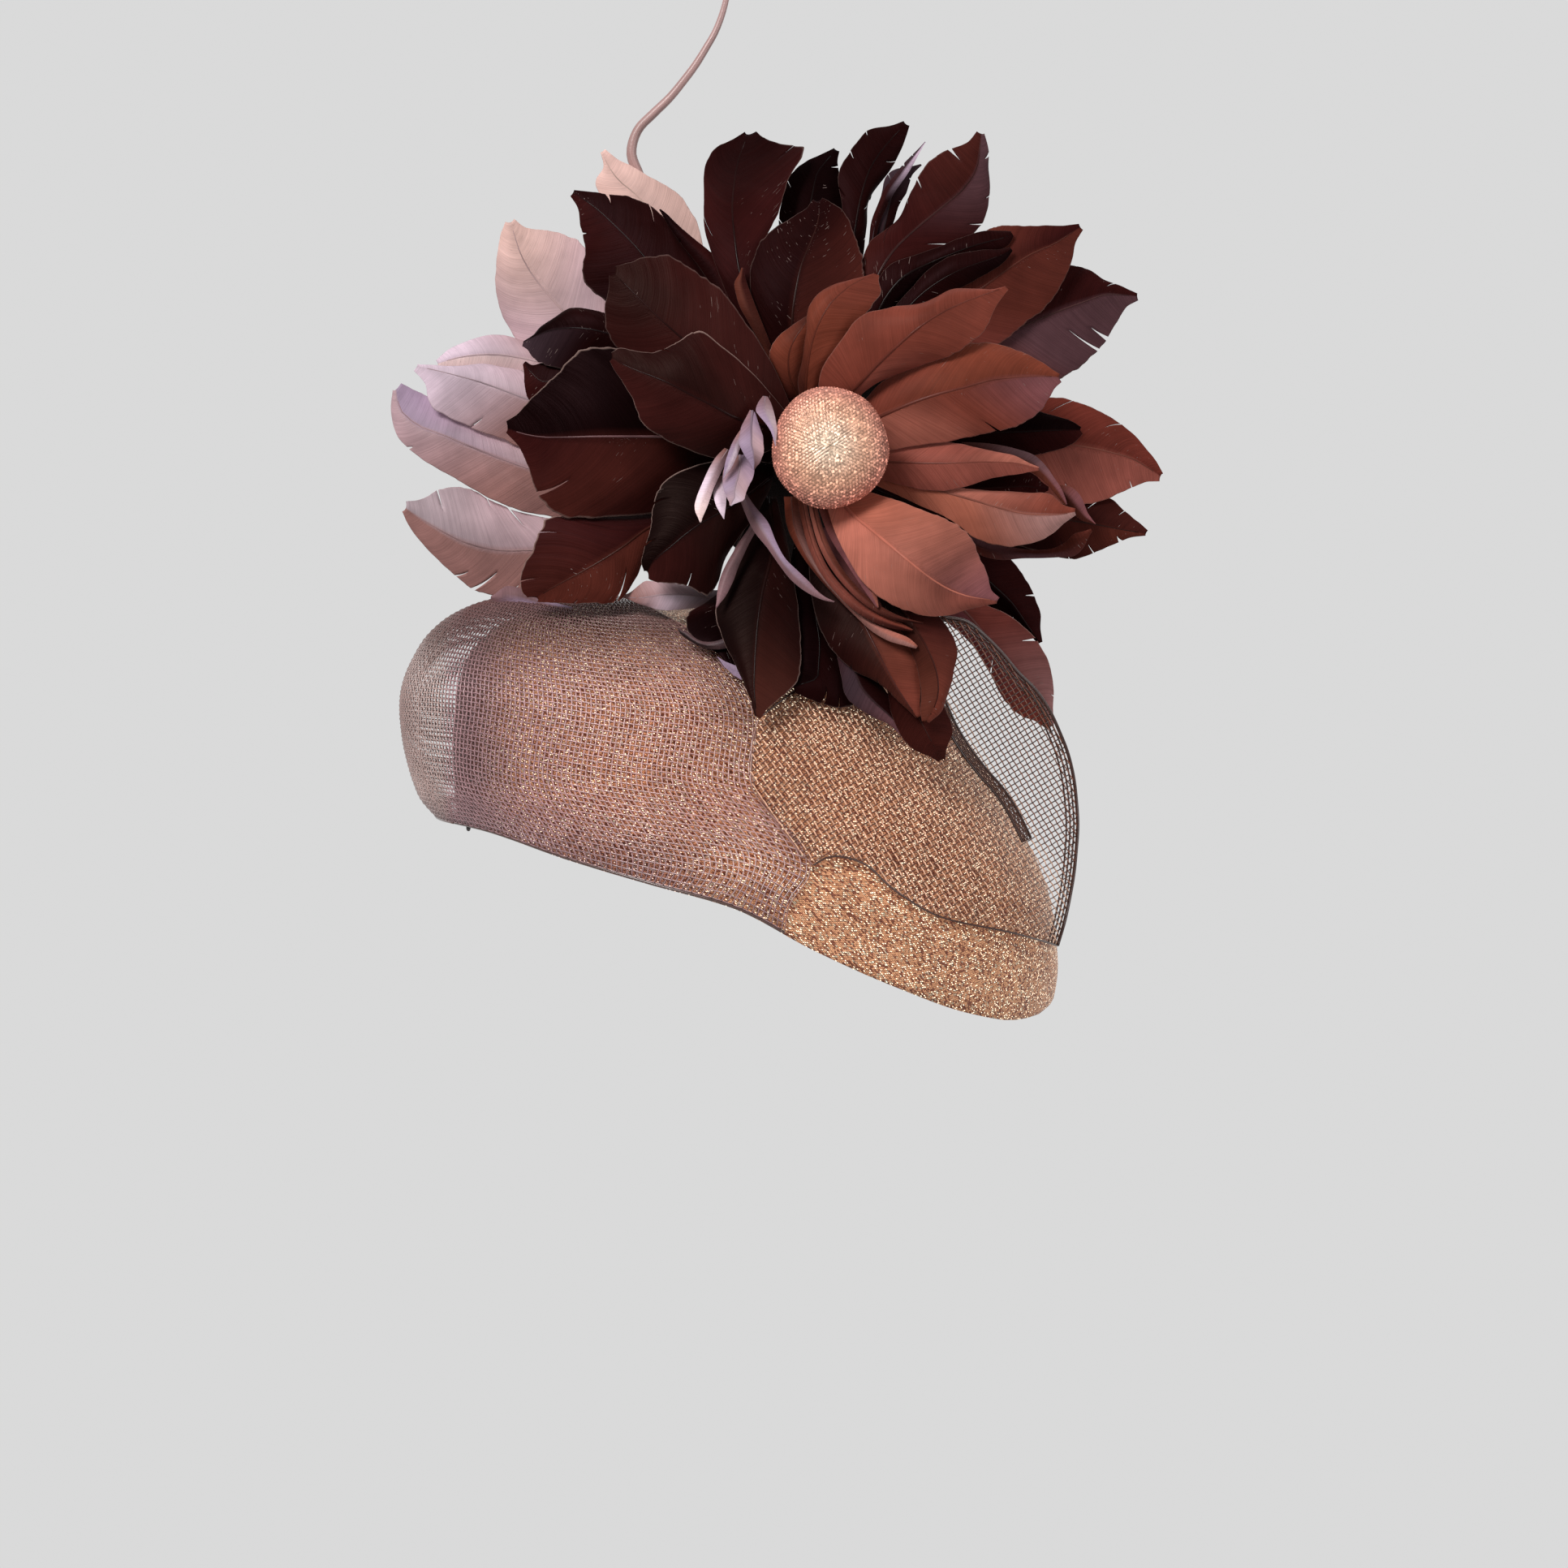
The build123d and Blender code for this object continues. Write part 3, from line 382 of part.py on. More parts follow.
        [(53.65, -17.2, 178.28), (54.79, -17.69, 177.51), (55.96, -17.2, 176.86)],
        [(56.43, -15.53, 181.24), (57.11, -15.82, 180.78), (57.8, -15.53, 180.4)],
        [(58.61, -14, 183.57), (58.92, -14.13, 183.36), (59.24, -14, 183.18)],
        [(60.37, -12.64, 185.64), (60.48, -12.69, 185.57), (60.59, -12.64, 185.51)],
    ],
    "dark_vane_top_left_a": [
        [(5.15, -31.58, 115.6), (3.88, -32, 114.8), (2.35, -31.58, 113.82)],
        [(0.83, -31.24, 126.43), (-3.34, -32.73, 122.5), (-8.41, -31.24, 119.22)],
        [(-5.6, -30.29, 136.16), (-10.84, -32.67, 130), (-19.64, -30.29, 123.66)],
        [(-12.1, -28.59, 146), (-18.54, -31.83, 137.39), (-30.77, -28.59, 128.5)],
        [(-18.57, -26.48, 154.92), (-25.71, -30.35, 144.35), (-40.75, -26.48, 133.86)],
        [(-24.96, -24.38, 162.9), (-31.74, -28.38, 151.41), (-47.76, -24.38, 140.9)],
        [(-33, -23.33, 166.83), (-37.72, -26.07, 157.58), (-47.27, -23.33, 150.42)],
        [(-40.49, -22.17, 167.76), (-42.81, -23.82, 162.51), (-48.58, -22.17, 157.43)],
        [(-46.13, -21.05, 168.84), (-47.12, -21.85, 165.93), (-49.47, -21.05, 163.46)],
        [(-50.81, -19.72, 169.47), (-51.16, -20, 168.45), (-51.98, -19.72, 167.59)],
    ],
    "dark_vane_top_left_b": [
        [(1.85, -33.43, 126.9), (0.33, -33.93, 126.22), (-1.2, -33.43, 125.63)],
        [(0.23, -33.15, 133), (-1.77, -33.83, 131.95), (-3.78, -33.15, 131.03)],
        [(-1.48, -32.39, 139.13), (-3.92, -33.23, 137.72), (-6.37, -32.39, 136.48)],
        [(-3.83, -31.34, 145.08), (-6.65, -32.34, 143.26), (-9.5, -31.34, 141.65)],
        [(-7.96, -30.46, 149.13), (-10.32, -31.3, 147.61), (-12.7, -30.46, 146.28)],
        [(-12.2, -29.58, 152.59), (-14.07, -30.24, 151.38), (-15.97, -29.58, 150.32)],
        [(-16.01, -28.6, 155.88), (-17.38, -29.08, 154.99), (-18.77, -28.6, 154.21)],
        [(-19.02, -27.65, 158.73), (-19.93, -27.98, 158.1), (-20.87, -27.65, 157.55)],
        [(-21.27, -26.82, 161.06), (-21.81, -27.02, 160.62), (-22.37, -26.82, 160.24)],
        [(-23.34, -26.05, 162.77), (-23.53, -26.12, 162.61), (-23.72, -26.05, 162.48)],
    ],
    "dark_vane_top_right": [
        [(33.95, -31.82, 115.58), (35.22, -32.24, 115.54), (36.5, -31.82, 115.58)],
        [(36.82, -33.58, 127.5), (38.99, -34.67, 126.58), (43.24, -33.58, 126)],
        [(38.84, -33.51, 139.76), (43.46, -35.47, 137.47), (50.16, -33.51, 136.48)],
        [(42.55, -30.96, 151.63), (49.16, -33.87, 147.95), (59.07, -30.96, 145.51)],
        [(51.43, -26.52, 159.58), (57.1, -29.8, 156.16), (69.57, -26.52, 151.35)],
        [(56.28, -21.88, 169.37), (65.07, -25.88, 163.06), (77.94, -21.88, 158.24)],
        [(61.12, -17.51, 178.51), (72.35, -21.11, 169.66), (80.65, -17.51, 168.34)],
        [(67.78, -14.97, 182.81), (76.65, -17.3, 176.57), (80.68, -14.97, 176.71)],
        [(73.74, -13.32, 185.19), (77.7, -14.48, 182.79), (80.57, -13.32, 183.26)],
        [(76.92, -11.68, 189.07), (78.3, -12.08, 188.23), (79.31, -11.68, 188.39)],
    ],
    "dark_vane_crown": [
        [(8.48, -34.92, 115.32), (10.01, -35.31, 115.28), (11.53, -34.92, 115.32)],
        [(2.24, -35.61, 124.87), (6.73, -36.67, 124.67), (10.07, -35.61, 127.64)],
        [(-2.51, -35.18, 135.33), (3.84, -36.62, 134.3), (7.71, -35.18, 139.91)],
        [(-6.51, -32.87, 146.32), (1.28, -35.05, 144.19), (9.61, -32.87, 152.01)],
        [(-9.42, -28.61, 157.05), (0.06, -31.73, 153.8), (14.41, -28.61, 162.66)],
        [(-9.69, -23.47, 167.52), (-0.68, -27.01, 162.95), (17.57, -23.47, 173.37)],
        [(-9.34, -17.05, 177.37), (-0.11, -21.05, 171.59), (21.8, -17.05, 183.02)],
        [(-5.7, -13.71, 183.81), (0.95, -16.37, 178.57), (15.44, -13.71, 184.49)],
        [(-0.57, -11.7, 186.71), (2.56, -12.98, 183.82), (9.55, -11.7, 186.88)],
        [(3.14, -9.67, 189.23), (4.23, -10.11, 188.23), (6.68, -9.67, 189.3)],
    ],
    "dark_vane_right_slips_a": [
        [(39.5, -35.44, 117.81), (40.26, -35.77, 117.28), (41.02, -35.44, 116.8)],
        [(41.38, -36.48, 127.22), (43.57, -37.49, 125.45), (45.79, -36.48, 123.88)],
        [(43.74, -36.51, 136.59), (47.37, -38.23, 133.46), (51.07, -36.51, 130.67)],
        [(49.03, -36.14, 144.02), (53.08, -38.14, 140.16), (57.23, -36.14, 136.71)],
        [(57.35, -35.7, 147.45), (60.53, -37.33, 144.18), (63.81, -35.7, 141.25)],
        [(65.1, -36.17, 150.29), (67.73, -37.62, 147.17), (70.46, -36.17, 144.37)],
        [(72.22, -36.16, 152.95), (74.45, -37.56, 149.71), (76.79, -36.16, 146.76)],
        [(78.21, -35.76, 154.55), (80.09, -37.06, 151.41), (82.07, -35.76, 148.55)],
        [(83.07, -35.17, 154.91), (84.42, -36.13, 152.58), (85.86, -35.17, 150.46)],
        [(86.59, -34.52, 154.8), (87.07, -34.86, 153.98), (87.57, -34.52, 153.24)],
    ],
    "dark_vane_right_slips_b": [
        [(41.51, -36.96, 116.16), (42.52, -37.42, 115.48), (43.54, -36.96, 114.89)],
        [(45.52, -38.23, 123.45), (47.27, -39.14, 121.8), (49.05, -38.23, 120.31)],
        [(50.24, -38.54, 130.34), (52.39, -39.76, 127.95), (54.6, -38.54, 125.78)],
        [(55.6, -38.86, 136.81), (57.88, -40.27, 133.85), (60.23, -38.86, 131.16)],
        [(60.9, -38.9, 142.47), (63.74, -40.82, 138.26), (66.7, -38.9, 134.44)],
        [(67.03, -38.98, 146.18), (69.77, -40.98, 141.64), (72.65, -38.98, 137.51)],
        [(73.45, -38.66, 147.84), (75.67, -40.33, 144.01), (78.02, -38.66, 140.53)],
        [(78.85, -38.14, 148.51), (80.53, -39.36, 145.74), (82.31, -38.14, 143.23)],
        [(83.07, -37.62, 148.85), (84.14, -38.35, 147.26), (85.27, -37.62, 145.82)],
        [(86.34, -36.86, 149.46), (86.71, -37.12, 148.91), (87.11, -36.86, 148.4)],
    ],
    "dark_vane_top": [
        [(18.65, -37.49, 102.4), (20.42, -38.01, 102.36), (22.46, -37.49, 102.4)],
        [(13.06, -38.54, 111.12), (18.85, -40.82, 110.81), (29.47, -38.54, 110)],
        [(9.16, -38.83, 120.78), (18.13, -42.49, 119.41), (35.48, -38.83, 118.45)],
        [(5.88, -38.14, 130.75), (18.26, -42.85, 128.17), (39.68, -38.14, 127.95)],
        [(4.73, -36.98, 140.4), (19.44, -41.98, 136.34), (40.7, -36.98, 137.6)],
        [(7.17, -35.5, 149.16), (21.12, -40.06, 143.85), (40.04, -35.5, 146.65)],
        [(12.38, -34.06, 155.58), (23.72, -37.49, 150.55), (37.16, -34.06, 154.44)],
        [(17.98, -32.49, 159.46), (25.77, -34.8, 156.15), (34.65, -32.49, 160.78)],
        [(22.42, -31.19, 162.34), (26.68, -32.36, 160.67), (30.69, -31.19, 164.07)],
        [(24.83, -29.63, 165.3), (26.31, -30.04, 164.72), (27.72, -29.63, 165.91)],
    ],
    "front_slender_a": [
        [(14.59, -40.81, 106.7), (15.22, -41.09, 106.93), (15.85, -40.81, 107.21)],
        [(12.13, -41.89, 111.68), (13.06, -42.28, 111.85), (13.99, -41.89, 112.08)],
        [(9.59, -42.29, 116.66), (10.86, -42.83, 116.79), (12.13, -42.29, 117.01)],
        [(6.8, -42.23, 121.54), (8.49, -42.94, 121.67), (10.17, -42.23, 121.93)],
        [(4.23, -41.79, 126.13), (6.29, -42.65, 126.25), (8.34, -41.79, 126.54)],
        [(1.88, -41.01, 130.42), (4.28, -42.01, 130.53), (6.65, -41.01, 130.83)],
        [(0.6, -40.11, 134.71), (2.89, -41.06, 134.67), (5.17, -40.11, 134.81)],
        [(0.15, -39.33, 138.25), (2.08, -40.14, 138.09), (4, -39.33, 138.09)],
        [(1.5, -38.89, 140.76), (2.39, -39.26, 140.69), (3.27, -38.89, 140.69)],
        [(2.35, -38.31, 142.95), (2.66, -38.44, 142.93), (2.97, -38.31, 142.93)],
    ],
    "dark_vane_left_upper_b": [
        [(-22.83, -33.74, 112.36), (-22.83, -34, 111.07), (-22.83, -33.74, 109.82)],
        [(-28.82, -33.64, 113.68), (-29.68, -34.12, 111.43), (-30.57, -33.64, 109.26)],
        [(-34.82, -33.18, 115.02), (-36.52, -33.93, 111.71), (-38.28, -33.18, 108.53)],
        [(-40.92, -32.41, 115.53), (-43.36, -33.43, 111.13), (-45.88, -32.41, 106.91)],
        [(-46.65, -31.39, 115.62), (-49.62, -32.68, 110.01), (-52.7, -31.39, 104.61)],
        [(-51.89, -30.25, 115.02), (-55.34, -31.75, 108.49), (-58.92, -30.25, 102.21)],
        [(-56.67, -29.22, 114.22), (-60.52, -30.69, 108.09), (-64.51, -29.22, 102.2)],
        [(-60.63, -28.79, 113.88), (-63.2, -29.68, 110.29), (-65.86, -28.79, 106.85)],
        [(-63.68, -28.44, 113.47), (-64.88, -28.81, 112.08), (-66.12, -28.44, 110.75)],
        [(-65.72, -27.87, 114.61), (-66.14, -28, 114.12), (-66.58, -27.87, 113.65)],
    ],
    "dark_vane_left_upper_a": [
        [(-18.98, -35.15, 117.33), (-20.24, -35.81, 115.75), (-21.53, -35.15, 114.02)],
        [(-25.05, -35.58, 121.85), (-26.46, -36.94, 118.15), (-28.27, -35.58, 113.85)],
        [(-31.47, -35.44, 125.77), (-32.68, -37.43, 120.6), (-35.03, -35.44, 113.65)],
        [(-38.62, -35.13, 128.38), (-39.14, -37.63, 122.37), (-41.75, -35.13, 112.87)],
        [(-45.38, -34.41, 130.52), (-45.22, -37.33, 123.86), (-48.01, -34.41, 112.2)],
        [(-51.94, -32.72, 130.75), (-51, -35.72, 124.4), (-53.85, -32.72, 111.77)],
        [(-56.85, -31.13, 127.5), (-56.31, -33.43, 124.08), (-59.08, -31.13, 112.99)],
        [(-61.09, -29.57, 125.09), (-60.55, -31.14, 122.97), (-62.87, -29.57, 115.29)],
        [(-63.66, -28.41, 122.37), (-63.73, -29.1, 121.78), (-64.9, -28.41, 118.09)],
        [(-66.44, -26.56, 120.95), (-66.46, -26.8, 120.74), (-66.87, -26.56, 119.45)],
    ],
    "mauve_vane_bottom": [
        [(0.14, -40.33, 43.38), (0.15, -41.48, 40.8), (0.9, -40.33, 38.31)],
        [(-4.93, -44.71, 41.98), (-4.66, -45.63, 40.09), (-4.15, -44.71, 37.93)],
        [(-10.03, -47.6, 42.37), (-9.47, -48.86, 39.63), (-9.11, -47.6, 36.87)],
        [(-15.13, -50.02, 43.28), (-14.25, -51.7, 40.15), (-14.08, -50.02, 35.92)],
        [(-19.88, -51.6, 44.04), (-18.71, -53.57, 40.25), (-18.73, -51.6, 35.39)],
        [(-24.23, -51.77, 44.22), (-22.87, -53.77, 40.09), (-23.06, -51.77, 35.43)],
        [(-27.62, -50.5, 44.36), (-26.67, -52.24, 39.5), (-26.9, -50.5, 36.69)],
        [(-30.33, -49.85, 42.37), (-29.81, -50.87, 39.27), (-29.98, -49.85, 37.86)],
        [(-32.53, -48.25, 40.92), (-32.3, -48.72, 39.52), (-32.39, -48.25, 38.85)],
        [(-34.52, -46.94, 40.22), (-34.44, -47.1, 39.73), (-34.47, -46.94, 39.5)],
    ],
    "dark_backing_vanes_e": [
        [(7.74, -39.8, 54.05), (9.52, -40, 52.77), (11.54, -39.8, 51.51)],
        [(2.77, -45.76, 47.94), (7.13, -46.13, 47.53), (10.98, -45.76, 46.03)],
        [(-2.69, -51.04, 42.45), (4.62, -51.63, 42.43), (10.42, -51.04, 40.61)],
        [(-8.7, -55.7, 37.62), (1.64, -56.5, 37.65), (9.29, -55.7, 35.34)],
        [(-14.33, -59.46, 33.43), (-0.88, -60.46, 33.15), (8.13, -59.46, 30.52)],
        [(-13.56, -62.73, 28.19), (-2.59, -63.64, 28.7), (6.83, -62.73, 26.17)],
        [(-8.93, -65.5, 24.33), (-2.69, -66.15, 24.6), (5.55, -65.5, 22.22)],
        [(-4.85, -67.53, 21.56), (-1.61, -67.91, 21.21), (3.39, -67.53, 19.72)],
        [(-2.24, -68.93, 18.78), (-0.78, -69.1, 18.59), (1.53, -68.93, 17.9)],
        [(-0.58, -69.94, 16.42), (-0.06, -70, 16.35), (0.74, -69.94, 16.11)],
    ],
    "mauve_slips_b": [
        [(-0.83, -67.92, 27.1), (-0.57, -68.72, 25.46), (-0.33, -67.92, 23.86)],
        [(-3.03, -68.59, 26.08), (-2.92, -69.34, 24.52), (-2.82, -68.59, 23.01)],
        [(-5.34, -68.77, 25.32), (-5.37, -69.37, 24.07), (-5.43, -68.77, 22.84)],
        [(-7.74, -68.18, 25.1), (-7.88, -68.67, 24.11), (-8.04, -68.18, 23.15)],
        [(-9.94, -66.92, 25.45), (-10.15, -67.31, 24.67), (-10.37, -66.92, 23.92)],
        [(-11.81, -66.09, 26.42), (-12.1, -66.47, 25.67), (-12.4, -66.09, 24.95)],
        [(-13.28, -65.16, 27.68), (-13.72, -65.61, 26.86), (-14.17, -65.16, 26.07)],
        [(-14.53, -64.51, 28.64), (-15.02, -64.96, 27.86), (-15.54, -64.51, 27.1)],
        [(-15.72, -64.13, 28.9), (-16.07, -64.4, 28.45), (-16.43, -64.13, 28.02)],
        [(-16.63, -63.9, 29.27), (-16.75, -63.99, 29.11), (-16.87, -63.9, 28.96)],
    ],
    "mauve_slips_c": [
        [(3.18, -71.4, 17.81), (2.94, -72, 15.56), (2.68, -71.4, 13.33)],
        [(1.96, -71.36, 17.81), (1.69, -71.86, 15.94), (1.41, -71.36, 14.1)],
        [(0.74, -71.32, 17.81), (0.45, -71.72, 16.33), (0.15, -71.32, 14.87)],
        [(-0.4, -71.26, 18.23), (-0.67, -71.58, 17.04), (-0.94, -71.26, 15.87)],
        [(-1.46, -71.2, 18.64), (-1.71, -71.45, 17.72), (-1.96, -71.2, 16.8)],
        [(-2.44, -71.14, 19.02), (-2.65, -71.33, 18.35), (-2.87, -71.14, 17.68)],
        [(-3.26, -71.1, 19.51), (-3.39, -71.22, 19.07), (-3.54, -71.1, 18.64)],
        [(-3.92, -71.06, 19.94), (-4, -71.13, 19.68), (-4.08, -71.06, 19.42)],
        [(-4.43, -71.03, 20.27), (-4.47, -71.06, 20.15), (-4.51, -71.03, 20.03)],
        [(-4.86, -70.99, 20.59), (-4.87, -71, 20.55), (-4.89, -70.99, 20.51)],
    ],
    "dark_vane_bottom": [
        [(20.41, -43.62, 63.99), (22.17, -44, 63.97), (24.2, -43.62, 63.99)],
        [(18.82, -48.06, 56.5), (22.95, -49.16, 55.67), (29.38, -48.06, 53.35)],
        [(17.24, -52.25, 49.06), (23.73, -54.01, 47.45), (33.6, -52.25, 42.4)],
        [(16.53, -56.25, 41.55), (24.67, -58.55, 39.3), (37.02, -56.25, 31.2)],
        [(15.94, -59.76, 34.59), (25.69, -62.48, 31.81), (39.13, -59.76, 20.59)],
        [(15.7, -62.87, 28.2), (26.54, -65.87, 24.93), (39.81, -62.87, 10.74)],
        [(15.96, -66.18, 22.34), (26.25, -68.77, 18.6), (34.96, -66.18, 5.05)],
        [(16.56, -69.38, 17.63), (25.43, -71, 13.85), (27.62, -69.38, 6)],
        [(17.65, -71.87, 14.08), (21.74, -72.65, 12.34), (22.39, -71.87, 8.01)],
        [(17.14, -73.73, 11.66), (18.58, -74, 11.05), (18.8, -73.73, 9.53)],
    ],
    "dark_vane_bottom_pair_a": [
        [(29.11, -60.31, 36.83), (30.36, -60.92, 37.19), (31.61, -60.31, 37.58)],
        [(29.5, -64.03, 29.28), (32.12, -65.37, 30.3), (34.76, -64.03, 31.39)],
        [(31.53, -66.92, 22.11), (34.69, -68.59, 23.63), (37.88, -66.92, 25.24)],
        [(33.15, -68.57, 14.87), (37.04, -70.67, 16.95), (40.98, -68.57, 19.13)],
        [(34.96, -69.13, 8.24), (39.48, -71.63, 10.88), (44.09, -69.13, 13.61)],
        [(39.3, -69.56, 4.05), (43.36, -71.81, 6.44), (47.51, -69.56, 8.9)],
        [(44.4, -69.19, 1.26), (47.46, -70.84, 2.87), (50.59, -69.19, 4.52)],
        [(48.64, -69.7, -0.9), (50.42, -70.61, -0.23), (52.24, -69.7, 0.46)],
        [(51.17, -70, -3.39), (52.03, -70.43, -3.13), (52.91, -70, -2.85)],
        [(52.93, -70.26, -5.85), (53.23, -70.41, -5.76), (53.54, -70.26, -5.66)],
    ],
    "dark_vane_bottom_pair_b": [
        [(36.76, -49.51, 48.56), (38.52, -50.19, 48.53), (40.29, -49.51, 48.56)],
        [(39.29, -53.17, 39.05), (41.91, -54.3, 39.97), (45.1, -53.17, 40.29)],
        [(41.78, -57.8, 29.55), (45.27, -59.42, 31.42), (49.92, -57.8, 32.06)],
        [(44.36, -66.61, 20.06), (48.28, -68.77, 22.72), (54.92, -66.61, 23.97)],
        [(46.72, -71.74, 11.38), (50.95, -74.38, 14.74), (59.4, -71.74, 16.49)],
        [(48.53, -72.01, 3.36), (53.84, -74.96, 7.65), (62.71, -72.01, 9.19)],
        [(51.42, -71.62, -3.46), (57, -74.62, 1.37), (65.78, -71.62, 2.52)],
        [(55.41, -71.62, -8.09), (59.66, -74.09, -3.73), (67.11, -71.62, -2.98)],
        [(59.84, -71.16, -9.89), (61.89, -72.34, -7.63), (65.41, -71.16, -7.32)],
        [(63.15, -68.6, -11.76), (63.86, -69.01, -10.97), (65.1, -68.6, -10.86)],
    ],
    "dark_vane_left_low": [
        [(-1.16, -37.55, 74.97), (-0.39, -38.01, 73.17), (0.37, -37.55, 71.42)],
        [(-13.04, -41.76, 70.91), (-9.33, -42.68, 69), (-8.39, -41.76, 64.74)],
        [(-24.86, -45.72, 66.87), (-18.2, -46.89, 64.82), (-18.05, -45.72, 59.71)],
        [(-37.02, -49.2, 64.49), (-27, -50.96, 60.61), (-26.23, -49.2, 54.31)],
        [(-48.51, -50.31, 64.43), (-34.13, -53.43, 55.1), (-30.64, -50.31, 45.34)],
        [(-58.1, -50.04, 63.52), (-41.11, -54.04, 50.56), (-36.15, -50.04, 38.09)],
        [(-62.1, -50.69, 54.58), (-47.78, -53.6, 46.81), (-44.47, -50.69, 37.66)],
        [(-65.85, -50.3, 47.52), (-53.33, -52.39, 43.89), (-51.45, -50.3, 37.58)],
        [(-65.91, -50.11, 41.76), (-57.63, -51.28, 41.56), (-56.87, -50.11, 37.89)],
        [(-64.1, -49.91, 39.43), (-61.21, -50.32, 39.36), (-60.94, -49.91, 38.07)],
    ],
    "dark_vane_left": [
        [(14.08, -39.51, 94.64), (13.57, -40.62, 88.98), (12.81, -39.51, 82.97)],
        [(2.13, -44.12, 101.91), (1.78, -46.65, 88.97), (0.21, -44.12, 75.33)],
        [(-10.16, -47.77, 108.52), (-9.94, -51.53, 88.93), (-13.01, -47.77, 69.11)],
        [(-23.13, -50.67, 113.62), (-21.62, -55.3, 88.93), (-26.98, -50.67, 65.23)],
        [(-35.8, -52.15, 116.48), (-32.47, -57.15, 88.9), (-40.38, -52.15, 64.27)],
        [(-47.64, -52.14, 115.66), (-42.52, -57.03, 88.9), (-52.81, -52.14, 64.7)],
        [(-55.41, -51.31, 107.93), (-51.83, -54.86, 88.85), (-60.8, -51.31, 71.14)],
        [(-62.01, -49.46, 101.99), (-59.54, -51.56, 89.13), (-63.85, -49.46, 80.11)],
        [(-66.81, -48.12, 96.96), (-65.4, -49.1, 90.3), (-67.09, -48.12, 86.72)],
        [(-70.79, -46.72, 94.4), (-70.3, -47.06, 92.07), (-70.89, -46.72, 90.82)],
    ],
    "front_vane_low_pair_a": [
        [(24.17, -49.53, 61.16), (26.68, -50.29, 61.12), (29.21, -49.53, 61.16)],
        [(23.31, -55.58, 50.62), (30.19, -57.44, 52.21), (35.32, -55.58, 53.14)],
        [(23.86, -60.62, 40.2), (33.81, -63.45, 43.49), (41.71, -60.62, 45.49)],
        [(26.11, -65.42, 30.13), (37.85, -69.06, 35.06), (48.56, -65.42, 38.35)],
        [(31.08, -69.43, 22.04), (41.59, -73.43, 27.3), (55.23, -69.43, 32.12)],
        [(37.34, -72.44, 15.97), (45.07, -75.92, 20.23), (58.3, -72.44, 24.73)],
        [(44.3, -74.76, 12.3), (48.32, -76.92, 13.81), (57.52, -74.76, 17.04)],
        [(49.34, -75.83, 8.19), (51.36, -77.12, 8.8), (57.35, -75.83, 10.76)],
        [(52.92, -76.75, 4.66), (53.95, -77.42, 5.05), (57.12, -76.75, 5.91)],
        [(55.82, -77.05, 1.69), (56.18, -77.29, 1.83), (57.29, -77.05, 2.13)],
    ],
    "front_vane_low_pair_b": [
        [(31.18, -53.41, 62.21), (32.68, -54.33, 62.92), (34.2, -53.41, 63.47)],
        [(35.38, -59.72, 53.22), (38.36, -61.47, 54.3), (41.39, -59.72, 54.7)],
        [(39.75, -65.73, 44.44), (44.02, -68.32, 45.79), (48.73, -65.73, 46.19)],
        [(45.55, -71.24, 36.65), (49.91, -74.39, 37.58), (56.51, -71.24, 38.24)],
        [(50.58, -74.48, 29.27), (55.04, -78.37, 29.82), (64.04, -74.48, 31.33)],
        [(54.48, -75.77, 22.09), (59.32, -79.77, 22.45), (68.45, -75.77, 22.99)],
        [(56.8, -76.96, 14.98), (62.07, -79.91, 15.18), (67.13, -76.96, 14.54)],
        [(57.36, -77.92, 8.86), (62.47, -80.15, 8.9), (65.07, -77.92, 7.85)],
        [(57.19, -78.23, 4.1), (61.04, -79.91, 4.27), (62.96, -78.23, 3.06)],
        [(57.64, -78.01, 0.52), (58.99, -78.6, 0.58), (59.66, -78.01, 0.15)],
    ],
    "front_vane_low": [
        [(8.54, -49.13, 70.75), (10.81, -50, 70.7), (13.08, -49.13, 70.75)],
        [(3.71, -54.57, 61.35), (12.06, -56.89, 60.79), (15.74, -54.57, 60.19)],
        [(-0.43, -59.47, 51.72), (11.5, -62.99, 50.94), (17.79, -59.47, 49.59)],
        [(-3.88, -63.77, 41.89), (9.22, -68.31, 41.46), (19.49, -63.77, 39.01)],
        [(-5.29, -67.55, 32.54), (7.79, -72.55, 32.59), (20.36, -67.55, 29.16)],
        [(-2.29, -71.35, 24.22), (7.06, -75.86, 24.4), (20.65, -71.35, 20.07)],
        [(1.41, -74.77, 17.03), (6.63, -78.39, 16.9), (19.54, -74.77, 12.68)],
        [(3.78, -77.89, 10.87), (6.51, -80.1, 10.8), (14.76, -77.89, 7.94)],
        [(5.75, -80.19, 6.15), (6.86, -81.21, 6.06), (10.74, -80.19, 4.61)],
        [(6.77, -81.64, 2.04), (7.16, -82, 2.01), (8.52, -81.64, 1.51)],
    ],
    "front_slender_c": [
        [(100.07, -43.65, 74.61), (99.8, -44, 73.58), (99.57, -43.65, 72.59)],
        [(102.78, -43.58, 74.61), (101.91, -44.28, 72.65), (101.13, -43.58, 70.77)],
        [(105.26, -43.62, 73.88), (103.92, -44.56, 71.36), (102.69, -43.62, 68.94)],
        [(107.29, -43.84, 72.18), (105.69, -44.84, 69.58), (104.21, -43.84, 67.09)],
        [(108.58, -44.21, 70.02), (107.11, -45.1, 67.72), (105.76, -44.21, 65.51)],
        [(109.41, -44.65, 67.85), (108.37, -45.34, 66.03), (107.4, -44.65, 64.29)],
        [(110.19, -45.08, 65.86), (109.55, -45.56, 64.56), (108.97, -45.08, 63.31)],
        [(111.16, -45.46, 64.43), (110.79, -45.74, 63.66), (110.44, -45.46, 62.92)],
        [(111.92, -45.75, 63.31), (111.75, -45.88, 62.95), (111.59, -45.75, 62.61)],
